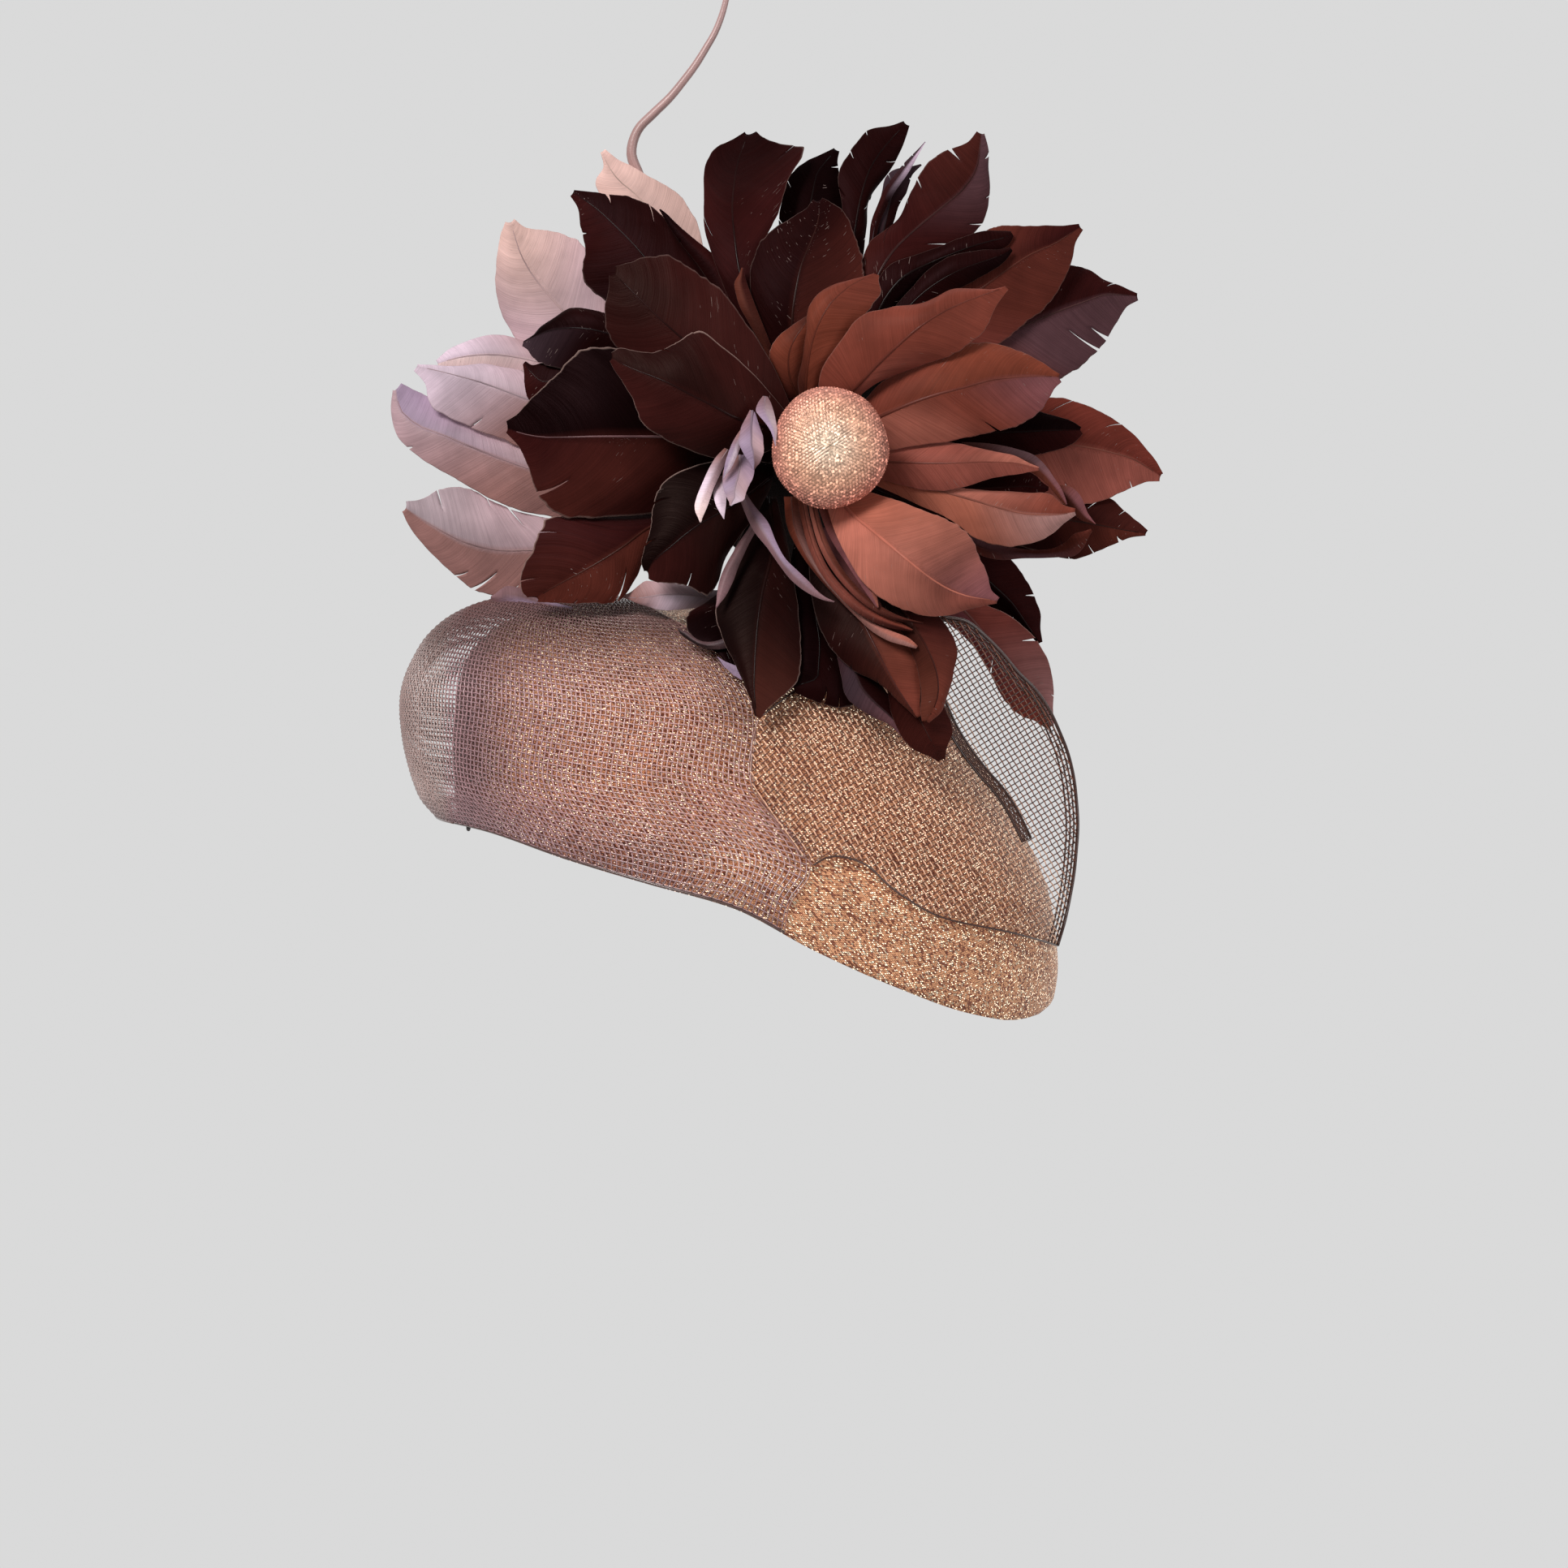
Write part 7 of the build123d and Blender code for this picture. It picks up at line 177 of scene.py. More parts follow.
    "P17b": [26.83, -29.44, 114.51, 28.36, -30.12, 114.45, 29.89, -29.44, 114.51, 29.1, -27.51, 126.92, 31.98, -28.9, 125.23, 35, -27.51, 124.67, 31.4, -25.26, 139.39, 34.85, -26.99, 136.29, 38.24, -25.26, 135.51, 33.43, -22.28, 152.02, 36.8, -24.15, 147.71, 40.23, -22.28, 146.88, 33.96, -18.71, 164.01, 38.3, -20.9, 158.47, 41.64, -18.71, 157.64, 32.98, -14.77, 175.15, 40.16, -17.51, 168.37, 43.04, -14.77, 167.67, 37.63, -11.04, 184.15, 43.05, -14.04, 177.26, 48.16, -11.04, 175.31, 42.97, -8.23, 190.39, 47.15, -10.93, 183.74, 52, -8.23, 181.86, 49.13, -6.89, 191.42, 50.94, -8.34, 188.36, 54.32, -6.89, 187.22, 53.82, -5.49, 193.2, 54.45, -6, 192.13, 55.64, -5.49, 191.73],
    "P17d": [43.41, -29.77, 146.37, 44.3, -30, 146.1, 45.2, -29.77, 145.86, 44.13, -27.34, 152.03, 45.62, -27.76, 151.19, 47.12, -27.34, 150.45, 44.86, -24.91, 157.69, 46.94, -25.52, 156.3, 49.04, -24.91, 155.04, 45.72, -22.54, 163.35, 48.12, -23.28, 161.49, 50.56, -22.54, 159.8, 46.57, -20.36, 168.61, 49.21, -21.2, 166.33, 51.88, -20.36, 164.26, 47.71, -18.28, 173.41, 50.76, -19.28, 170.61, 53.86, -18.28, 168.06, 50.67, -16.72, 176.39, 52.91, -17.52, 173.95, 55.2, -16.72, 171.7, 54.07, -15.66, 177.31, 55.13, -16.08, 175.92, 56.22, -15.66, 174.64, 56.81, -14.77, 177.78, 57.3, -14.96, 177.14, 57.8, -14.77, 176.55, 58.98, -13.93, 178.41, 59.16, -14, 178.18, 59.33, -13.93, 177.98],
    "P17c": [41.6, -31.53, 146.19, 42.36, -31.83, 145.9, 43.13, -31.53, 145.68, 42.35, -29, 152.4, 43.33, -29.39, 151.99, 44.32, -29, 151.67, 43.11, -26.5, 158.63, 44.3, -26.98, 158.1, 45.51, -26.5, 157.67, 45.25, -24.06, 164.51, 46.53, -24.58, 163.84, 47.83, -24.06, 163.29, 47.5, -21.69, 169.91, 48.95, -22.29, 169.07, 50.42, -21.69, 168.37, 50.66, -19.33, 174.31, 52.02, -19.9, 173.46, 53.39, -19.33, 172.74, 53.65, -17.2, 178.28, 54.79, -17.69, 177.51, 55.96, -17.2, 176.86, 56.43, -15.53, 181.24, 57.11, -15.82, 180.78, 57.8, -15.53, 180.4, 58.61, -14, 183.57, 58.92, -14.13, 183.36, 59.24, -14, 183.18, 60.37, -12.64, 185.64, 60.48, -12.69, 185.57, 60.59, -12.64, 185.51],
    "P15": [5.15, -31.58, 115.6, 3.88, -32, 114.8, 2.35, -31.58, 113.82, 0.83, -31.24, 126.43, -3.34, -32.73, 122.5, -8.41, -31.24, 119.22, -5.6, -30.29, 136.16, -10.84, -32.67, 130, -19.64, -30.29, 123.66, -12.1, -28.59, 146, -18.54, -31.83, 137.39, -30.77, -28.59, 128.5, -18.57, -26.48, 154.92, -25.71, -30.35, 144.35, -40.75, -26.48, 133.86, -24.96, -24.38, 162.9, -31.74, -28.38, 151.41, -47.76, -24.38, 140.9, -33, -23.33, 166.83, -37.72, -26.07, 157.58, -47.27, -23.33, 150.42, -40.49, -22.17, 167.76, -42.81, -23.82, 162.51, -48.58, -22.17, 157.43, -46.13, -21.05, 168.84, -47.12, -21.85, 165.93, -49.47, -21.05, 163.46, -50.81, -19.72, 169.47, -51.16, -20, 168.45, -51.98, -19.72, 167.59],
    "P15b": [1.85, -33.43, 126.9, 0.33, -33.93, 126.22, -1.2, -33.43, 125.63, 0.23, -33.15, 133, -1.77, -33.83, 131.95, -3.78, -33.15, 131.03, -1.48, -32.39, 139.13, -3.92, -33.23, 137.72, -6.37, -32.39, 136.48, -3.83, -31.34, 145.08, -6.65, -32.34, 143.26, -9.5, -31.34, 141.65, -7.96, -30.46, 149.13, -10.32, -31.3, 147.61, -12.7, -30.46, 146.28, -12.2, -29.58, 152.59, -14.07, -30.24, 151.38, -15.97, -29.58, 150.32, -16.01, -28.6, 155.88, -17.38, -29.08, 154.99, -18.77, -28.6, 154.21, -19.02, -27.65, 158.73, -19.93, -27.98, 158.1, -20.87, -27.65, 157.55, -21.27, -26.82, 161.06, -21.81, -27.02, 160.62, -22.37, -26.82, 160.24, -23.34, -26.05, 162.77, -23.53, -26.12, 162.61, -23.72, -26.05, 162.48],
    "P18": [33.95, -31.82, 115.58, 35.22, -32.24, 115.54, 36.5, -31.82, 115.58, 36.82, -33.58, 127.5, 38.99, -34.67, 126.58, 43.24, -33.58, 126, 38.84, -33.51, 139.76, 43.46, -35.47, 137.47, 50.16, -33.51, 136.48, 42.55, -30.96, 151.63, 49.16, -33.87, 147.95, 59.07, -30.96, 145.51, 51.43, -26.52, 159.58, 57.1, -29.8, 156.16, 69.57, -26.52, 151.35, 56.28, -21.88, 169.37, 65.07, -25.88, 163.06, 77.94, -21.88, 158.24, 61.12, -17.51, 178.51, 72.35, -21.11, 169.66, 80.65, -17.51, 168.34, 67.78, -14.97, 182.81, 76.65, -17.3, 176.57, 80.68, -14.97, 176.71, 73.74, -13.32, 185.19, 77.7, -14.48, 182.79, 80.57, -13.32, 183.26, 76.92, -11.68, 189.07, 78.3, -12.08, 188.23, 79.31, -11.68, 188.39],
    "P16": [8.48, -34.92, 115.32, 10.01, -35.31, 115.28, 11.53, -34.92, 115.32, 2.24, -35.61, 124.87, 6.73, -36.67, 124.67, 10.07, -35.61, 127.64, -2.51, -35.18, 135.33, 3.84, -36.62, 134.3, 7.71, -35.18, 139.91, -6.51, -32.87, 146.32, 1.28, -35.05, 144.19, 9.61, -32.87, 152.01, -9.42, -28.61, 157.05, 0.06, -31.73, 153.8, 14.41, -28.61, 162.66, -9.69, -23.47, 167.52, -0.68, -27.01, 162.95, 17.57, -23.47, 173.37, -9.34, -17.05, 177.37, -0.11, -21.05, 171.59, 21.8, -17.05, 183.02, -5.7, -13.71, 183.81, 0.95, -16.37, 178.57, 15.44, -13.71, 184.49, -0.57, -11.7, 186.71, 2.56, -12.98, 183.82, 9.55, -11.7, 186.88, 3.14, -9.67, 189.23, 4.23, -10.11, 188.23, 6.68, -9.67, 189.3],
    "P19a": [39.5, -35.44, 117.81, 40.26, -35.77, 117.28, 41.02, -35.44, 116.8, 41.38, -36.48, 127.22, 43.57, -37.49, 125.45, 45.79, -36.48, 123.88, 43.74, -36.51, 136.59, 47.37, -38.23, 133.46, 51.07, -36.51, 130.67, 49.03, -36.14, 144.02, 53.08, -38.14, 140.16, 57.23, -36.14, 136.71, 57.35, -35.7, 147.45, 60.53, -37.33, 144.18, 63.81, -35.7, 141.25, 65.1, -36.17, 150.29, 67.73, -37.62, 147.17, 70.46, -36.17, 144.37, 72.22, -36.16, 152.95, 74.45, -37.56, 149.71, 76.79, -36.16, 146.76, 78.21, -35.76, 154.55, 80.09, -37.06, 151.41, 82.07, -35.76, 148.55, 83.07, -35.17, 154.91, 84.42, -36.13, 152.58, 85.86, -35.17, 150.46, 86.59, -34.52, 154.8, 87.07, -34.86, 153.98, 87.57, -34.52, 153.24],
    "P19c": [41.51, -36.96, 116.16, 42.52, -37.42, 115.48, 43.54, -36.96, 114.89, 45.52, -38.23, 123.45, 47.27, -39.14, 121.8, 49.05, -38.23, 120.31, 50.24, -38.54, 130.34, 52.39, -39.76, 127.95, 54.6, -38.54, 125.78, 55.6, -38.86, 136.81, 57.88, -40.27, 133.85, 60.23, -38.86, 131.16, 60.9, -38.9, 142.47, 63.74, -40.82, 138.26, 66.7, -38.9, 134.44, 67.03, -38.98, 146.18, 69.77, -40.98, 141.64, 72.65, -38.98, 137.51, 73.45, -38.66, 147.84, 75.67, -40.33, 144.01, 78.02, -38.66, 140.53, 78.85, -38.14, 148.51, 80.53, -39.36, 145.74, 82.31, -38.14, 143.23, 83.07, -37.62, 148.85, 84.14, -38.35, 147.26, 85.27, -37.62, 145.82, 86.34, -36.86, 149.46, 86.71, -37.12, 148.91, 87.11, -36.86, 148.4],
    "P3": [18.65, -37.49, 102.4, 20.42, -38.01, 102.36, 22.46, -37.49, 102.4, 13.06, -38.54, 111.12, 18.85, -40.82, 110.81, 29.47, -38.54, 110, 9.16, -38.83, 120.78, 18.13, -42.49, 119.41, 35.48, -38.83, 118.45, 5.88, -38.14, 130.75, 18.26, -42.85, 128.17, 39.68, -38.14, 127.95, 4.73, -36.98, 140.4, 19.44, -41.98, 136.34, 40.7, -36.98, 137.6, 7.17, -35.5, 149.16, 21.12, -40.06, 143.85, 40.04, -35.5, 146.65, 12.38, -34.06, 155.58, 23.72, -37.49, 150.55, 37.16, -34.06, 154.44, 17.98, -32.49, 159.46, 25.77, -34.8, 156.15, 34.65, -32.49, 160.78, 22.42, -31.19, 162.34, 26.68, -32.36, 160.67, 30.69, -31.19, 164.07, 24.83, -29.63, 165.3, 26.31, -30.04, 164.72, 27.72, -29.63, 165.91],
    "P3b": [14.59, -40.81, 106.7, 15.22, -41.09, 106.93, 15.85, -40.81, 107.21, 12.13, -41.89, 111.68, 13.06, -42.28, 111.85, 13.99, -41.89, 112.08, 9.59, -42.29, 116.66, 10.86, -42.83, 116.79, 12.13, -42.29, 117.01, 6.8, -42.23, 121.54, 8.49, -42.94, 121.67, 10.17, -42.23, 121.93, 4.23, -41.79, 126.13, 6.29, -42.65, 126.25, 8.34, -41.79, 126.54, 1.88, -41.01, 130.42, 4.28, -42.01, 130.53, 6.65, -41.01, 130.83, 0.6, -40.11, 134.71, 2.89, -41.06, 134.67, 5.17, -40.11, 134.81, 0.15, -39.33, 138.25, 2.08, -40.14, 138.09, 4, -39.33, 138.09, 1.5, -38.89, 140.76, 2.39, -39.26, 140.69, 3.27, -38.89, 140.69, 2.35, -38.31, 142.95, 2.66, -38.44, 142.93, 2.97, -38.31, 142.93],
    "P14b": [-22.83, -33.74, 112.36, -22.83, -34, 111.07, -22.83, -33.74, 109.82, -28.82, -33.64, 113.68, -29.68, -34.12, 111.43, -30.57, -33.64, 109.26, -34.82, -33.18, 115.02, -36.52, -33.93, 111.71, -38.28, -33.18, 108.53, -40.92, -32.41, 115.53, -43.36, -33.43, 111.13, -45.88, -32.41, 106.91, -46.65, -31.39, 115.62, -49.62, -32.68, 110.01, -52.7, -31.39, 104.61, -51.89, -30.25, 115.02, -55.34, -31.75, 108.49, -58.92, -30.25, 102.21, -56.67, -29.22, 114.22, -60.52, -30.69, 108.09, -64.51, -29.22, 102.2, -60.63, -28.79, 113.88, -63.2, -29.68, 110.29, -65.86, -28.79, 106.85, -63.68, -28.44, 113.47, -64.88, -28.81, 112.08, -66.12, -28.44, 110.75, -65.72, -27.87, 114.61, -66.14, -28, 114.12, -66.58, -27.87, 113.65],
    "P14": [-18.98, -35.15, 117.33, -20.24, -35.81, 115.75, -21.53, -35.15, 114.02, -25.05, -35.58, 121.85, -26.46, -36.94, 118.15, -28.27, -35.58, 113.85, -31.47, -35.44, 125.77, -32.68, -37.43, 120.6, -35.03, -35.44, 113.65, -38.62, -35.13, 128.38, -39.14, -37.63, 122.37, -41.75, -35.13, 112.87, -45.38, -34.41, 130.52, -45.22, -37.33, 123.86, -48.01, -34.41, 112.2, -51.94, -32.72, 130.75, -51, -35.72, 124.4, -53.85, -32.72, 111.77, -56.85, -31.13, 127.5, -56.31, -33.43, 124.08, -59.08, -31.13, 112.99, -61.09, -29.57, 125.09, -60.55, -31.14, 122.97, -62.87, -29.57, 115.29, -63.66, -28.41, 122.37, -63.73, -29.1, 121.78, -64.9, -28.41, 118.09, -66.44, -26.56, 120.95, -66.46, -26.8, 120.74, -66.87, -26.56, 119.45],
    "M6": [0.14, -40.33, 43.38, 0.15, -41.48, 40.8, 0.9, -40.33, 38.31, -4.93, -44.71, 41.98, -4.66, -45.63, 40.09, -4.15, -44.71, 37.93, -10.03, -47.6, 42.37, -9.47, -48.86, 39.63, -9.11, -47.6, 36.87, -15.13, -50.02, 43.28, -14.25, -51.7, 40.15, -14.08, -50.02, 35.92, -19.88, -51.6, 44.04, -18.71, -53.57, 40.25, -18.73, -51.6, 35.39, -24.23, -51.77, 44.22, -22.87, -53.77, 40.09, -23.06, -51.77, 35.43, -27.62, -50.5, 44.36, -26.67, -52.24, 39.5, -26.9, -50.5, 36.69, -30.33, -49.85, 42.37, -29.81, -50.87, 39.27, -29.98, -49.85, 37.86, -32.53, -48.25, 40.92, -32.3, -48.72, 39.52, -32.39, -48.25, 38.85, -34.52, -46.94, 40.22, -34.44, -47.1, 39.73, -34.47, -46.94, 39.5],
    "P29": [7.74, -39.8, 54.05, 9.52, -40, 52.77, 11.54, -39.8, 51.51, 2.77, -45.76, 47.94, 7.13, -46.13, 47.53, 10.98, -45.76, 46.03, -2.69, -51.04, 42.45, 4.62, -51.63, 42.43, 10.42, -51.04, 40.61, -8.7, -55.7, 37.62, 1.64, -56.5, 37.65, 9.29, -55.7, 35.34, -14.33, -59.46, 33.43, -0.88, -60.46, 33.15, 8.13, -59.46, 30.52, -13.56, -62.73, 28.19, -2.59, -63.64, 28.7, 6.83, -62.73, 26.17, -8.93, -65.5, 24.33, -2.69, -66.15, 24.6, 5.55, -65.5, 22.22, -4.85, -67.53, 21.56, -1.61, -67.91, 21.21, 3.39, -67.53, 19.72, -2.24, -68.93, 18.78, -0.78, -69.1, 18.59, 1.53, -68.93, 17.9, -0.58, -69.94, 16.42, -0.06, -70, 16.35, 0.74, -69.94, 16.11],
    "L1": [-0.83, -67.92, 27.1, -0.57, -68.72, 25.46, -0.33, -67.92, 23.86, -3.03, -68.59, 26.08, -2.92, -69.34, 24.52, -2.82, -68.59, 23.01, -5.34, -68.77, 25.32, -5.37, -69.37, 24.07, -5.43, -68.77, 22.84, -7.74, -68.18, 25.1, -7.88, -68.67, 24.11, -8.04, -68.18, 23.15, -9.94, -66.92, 25.45, -10.15, -67.31, 24.67, -10.37, -66.92, 23.92, -11.81, -66.09, 26.42, -12.1, -66.47, 25.67, -12.4, -66.09, 24.95, -13.28, -65.16, 27.68, -13.72, -65.61, 26.86, -14.17, -65.16, 26.07, -14.53, -64.51, 28.64, -15.02, -64.96, 27.86, -15.54, -64.51, 27.1, -15.72, -64.13, 28.9, -16.07, -64.4, 28.45, -16.43, -64.13, 28.02, -16.63, -63.9, 29.27, -16.75, -63.99, 29.11, -16.87, -63.9, 28.96],
    "L2": [3.18, -71.4, 17.81, 2.94, -72, 15.56, 2.68, -71.4, 13.33, 1.96, -71.36, 17.81, 1.69, -71.86, 15.94, 1.41, -71.36, 14.1, 0.74, -71.32, 17.81, 0.45, -71.72, 16.33, 0.15, -71.32, 14.87, -0.4, -71.26, 18.23, -0.67, -71.58, 17.04, -0.94, -71.26, 15.87, -1.46, -71.2, 18.64, -1.71, -71.45, 17.72, -1.96, -71.2, 16.8, -2.44, -71.14, 19.02, -2.65, -71.33, 18.35, -2.87, -71.14, 17.68, -3.26, -71.1, 19.51, -3.39, -71.22, 19.07, -3.54, -71.1, 18.64, -3.92, -71.06, 19.94, -4, -71.13, 19.68, -4.08, -71.06, 19.42, -4.43, -71.03, 20.27, -4.47, -71.06, 20.15, -4.51, -71.03, 20.03, -4.86, -70.99, 20.59, -4.87, -71, 20.55, -4.89, -70.99, 20.51],
    "P25a": [20.41, -43.62, 63.99, 22.17, -44, 63.97, 24.2, -43.62, 63.99, 18.82, -48.06, 56.5, 22.95, -49.16, 55.67, 29.38, -48.06, 53.35, 17.24, -52.25, 49.06, 23.73, -54.01, 47.45, 33.6, -52.25, 42.4, 16.53, -56.25, 41.55, 24.67, -58.55, 39.3, 37.02, -56.25, 31.2, 15.94, -59.76, 34.59, 25.69, -62.48, 31.81, 39.13, -59.76, 20.59, 15.7, -62.87, 28.2, 26.54, -65.87, 24.93, 39.81, -62.87, 10.74, 15.96, -66.18, 22.34, 26.25, -68.77, 18.6, 34.96, -66.18, 5.05, 16.56, -69.38, 17.63, 25.43, -71, 13.85, 27.62, -69.38, 6, 17.65, -71.87, 14.08, 21.74, -72.65, 12.34, 22.39, -71.87, 8.01, 17.14, -73.73, 11.66, 18.58, -74, 11.05, 18.8, -73.73, 9.53],
    "P25b": [29.11, -60.31, 36.83, 30.36, -60.92, 37.19, 31.61, -60.31, 37.58, 29.5, -64.03, 29.28, 32.12, -65.37, 30.3, 34.76, -64.03, 31.39, 31.53, -66.92, 22.11, 34.69, -68.59, 23.63, 37.88, -66.92, 25.24, 33.15, -68.57, 14.87, 37.04, -70.67, 16.95, 40.98, -68.57, 19.13, 34.96, -69.13, 8.24, 39.48, -71.63, 10.88, 44.09, -69.13, 13.61, 39.3, -69.56, 4.05, 43.36, -71.81, 6.44, 47.51, -69.56, 8.9, 44.4, -69.19, 1.26, 47.46, -70.84, 2.87, 50.59, -69.19, 4.52, 48.64, -69.7, -0.9, 50.42, -70.61, -0.23, 52.24, -69.7, 0.46, 51.17, -70, -3.39, 52.03, -70.43, -3.13, 52.91, -70, -2.85, 52.93, -70.26, -5.85, 53.23, -70.41, -5.76, 53.54, -70.26, -5.66],
    "P25c": [36.76, -49.51, 48.56, 38.52, -50.19, 48.53, 40.29, -49.51, 48.56, 39.29, -53.17, 39.05, 41.91, -54.3, 39.97, 45.1, -53.17, 40.29, 41.78, -57.8, 29.55, 45.27, -59.42, 31.42, 49.92, -57.8, 32.06, 44.36, -66.61, 20.06, 48.28, -68.77, 22.72, 54.92, -66.61, 23.97, 46.72, -71.74, 11.38, 50.95, -74.38, 14.74, 59.4, -71.74, 16.49, 48.53, -72.01, 3.36, 53.84, -74.96, 7.65, 62.71, -72.01, 9.19, 51.42, -71.62, -3.46, 57, -74.62, 1.37, 65.78, -71.62, 2.52, 55.41, -71.62, -8.09, 59.66, -74.09, -3.73, 67.11, -71.62, -2.98, 59.84, -71.16, -9.89, 61.89, -72.34, -7.63, 65.41, -71.16, -7.32, 63.15, -68.6, -11.76, 63.86, -69.01, -10.97, 65.1, -68.6, -10.86],
    "P24": [-1.16, -37.55, 74.97, -0.39, -38.01, 73.17, 0.37, -37.55, 71.42, -13.04, -41.76, 70.91, -9.33, -42.68, 69, -8.39, -41.76, 64.74, -24.86, -45.72, 66.87, -18.2, -46.89, 64.82, -18.05, -45.72, 59.71, -37.02, -49.2, 64.49, -27, -50.96, 60.61, -26.23, -49.2, 54.31, -48.51, -50.31, 64.43, -34.13, -53.43, 55.1, -30.64, -50.31, 45.34, -58.1, -50.04, 63.52, -41.11, -54.04, 50.56, -36.15, -50.04, 38.09, -62.1, -50.69, 54.58, -47.78, -53.6, 46.81, -44.47, -50.69, 37.66, -65.85, -50.3, 47.52, -53.33, -52.39, 43.89, -51.45, -50.3, 37.58, -65.91, -50.11, 41.76, -57.63, -51.28, 41.56, -56.87, -50.11, 37.89, -64.1, -49.91, 39.43, -61.21, -50.32, 39.36, -60.94, -49.91, 38.07],
    "P13": [14.08, -39.51, 94.64, 13.57, -40.62, 88.98, 12.81, -39.51, 82.97, 2.13, -44.12, 101.91, 1.78, -46.65, 88.97, 0.21, -44.12, 75.33, -10.16, -47.77, 108.52, -9.94, -51.53, 88.93, -13.01, -47.77, 69.11, -23.13, -50.67, 113.62, -21.62, -55.3, 88.93, -26.98, -50.67, 65.23, -35.8, -52.15, 116.48, -32.47, -57.15, 88.9, -40.38, -52.15, 64.27, -47.64, -52.14, 115.66, -42.52, -57.03, 88.9, -52.81, -52.14, 64.7, -55.41, -51.31, 107.93, -51.83, -54.86, 88.85, -60.8, -51.31, 71.14, -62.01, -49.46, 101.99, -59.54, -51.56, 89.13, -63.85, -49.46, 80.11, -66.81, -48.12, 96.96, -65.4, -49.1, 90.3, -67.09, -48.12, 86.72, -70.79, -46.72, 94.4, -70.3, -47.06, 92.07, -70.89, -46.72, 90.82],
    "P10a": [24.17, -49.53, 61.16, 26.68, -50.29, 61.12, 29.21, -49.53, 61.16, 23.31, -55.58, 50.62, 30.19, -57.44, 52.21, 35.32, -55.58, 53.14, 23.86, -60.62, 40.2, 33.81, -63.45, 43.49, 41.71, -60.62, 45.49, 26.11, -65.42, 30.13, 37.85, -69.06, 35.06, 48.56, -65.42, 38.35, 31.08, -69.43, 22.04, 41.59, -73.43, 27.3, 55.23, -69.43, 32.12, 37.34, -72.44, 15.97, 45.07, -75.92, 20.23, 58.3, -72.44, 24.73, 44.3, -74.76, 12.3, 48.32, -76.92, 13.81, 57.52, -74.76, 17.04, 49.34, -75.83, 8.19, 51.36, -77.12, 8.8, 57.35, -75.83, 10.76, 52.92, -76.75, 4.66, 53.95, -77.42, 5.05, 57.12, -76.75, 5.91, 55.82, -77.05, 1.69, 56.18, -77.29, 1.83, 57.29, -77.05, 2.13],
    "P10b": [31.18, -53.41, 62.21, 32.68, -54.33, 62.92, 34.2, -53.41, 63.47, 35.38, -59.72, 53.22, 38.36, -61.47, 54.3, 41.39, -59.72, 54.7, 39.75, -65.73, 44.44, 44.02, -68.32, 45.79, 48.73, -65.73, 46.19, 45.55, -71.24, 36.65, 49.91, -74.39, 37.58, 56.51, -71.24, 38.24, 50.58, -74.48, 29.27, 55.04, -78.37, 29.82, 64.04, -74.48, 31.33, 54.48, -75.77, 22.09, 59.32, -79.77, 22.45, 68.45, -75.77, 22.99, 56.8, -76.96, 14.98, 62.07, -79.91, 15.18, 67.13, -76.96, 14.54, 57.36, -77.92, 8.86, 62.47, -80.15, 8.9, 65.07, -77.92, 7.85, 57.19, -78.23, 4.1, 61.04, -79.91, 4.27, 62.96, -78.23, 3.06, 57.64, -78.01, 0.52, 58.99, -78.6, 0.58, 59.66, -78.01, 0.15],
    "P11": [8.54, -49.13, 70.75, 10.81, -50, 70.7, 13.08, -49.13, 70.75, 3.71, -54.57, 61.35, 12.06, -56.89, 60.79, 15.74, -54.57, 60.19, -0.43, -59.47, 51.72, 11.5, -62.99, 50.94, 17.79, -59.47, 49.59, -3.88, -63.77, 41.89, 9.22, -68.31, 41.46, 19.49, -63.77, 39.01, -5.29, -67.55, 32.54, 7.79, -72.55, 32.59, 20.36, -67.55, 29.16, -2.29, -71.35, 24.22, 7.06, -75.86, 24.4, 20.65, -71.35, 20.07, 1.41, -74.77, 17.03, 6.63, -78.39, 16.9, 19.54, -74.77, 12.68, 3.78, -77.89, 10.87, 6.51, -80.1, 10.8, 14.76, -77.89, 7.94, 5.75, -80.19, 6.15, 6.86, -81.21, 6.06, 10.74, -80.19, 4.61, 6.77, -81.64, 2.04, 7.16, -82, 2.01, 8.52, -81.64, 1.51],
    "P7u": [100.07, -43.65, 74.61, 99.8, -44, 73.58, 99.57, -43.65, 72.59, 102.78, -43.58, 74.61, 101.91, -44.28, 72.65, 101.13, -43.58, 70.77, 105.26, -43.62, 73.88, 103.92, -44.56, 71.36, 102.69, -43.62, 68.94, 107.29, -43.84, 72.18, 105.69, -44.84, 69.58, 104.21, -43.84, 67.09, 108.58, -44.21, 70.02, 107.11, -45.1, 67.72, 105.76, -44.21, 65.51, 109.41, -44.65, 67.85, 108.37, -45.34, 66.03, 107.4, -44.65, 64.29, 110.19, -45.08, 65.86, 109.55, -45.56, 64.56, 108.97, -45.08, 63.31, 111.16, -45.46, 64.43, 110.79, -45.74, 63.66, 110.44, -45.46, 62.92, 111.92, -45.75, 63.31, 111.75, -45.88, 62.95, 111.59, -45.75, 62.61, 112.63, -45.95, 62.47, 112.57, -46, 62.35, 112.51, -45.95, 62.23],
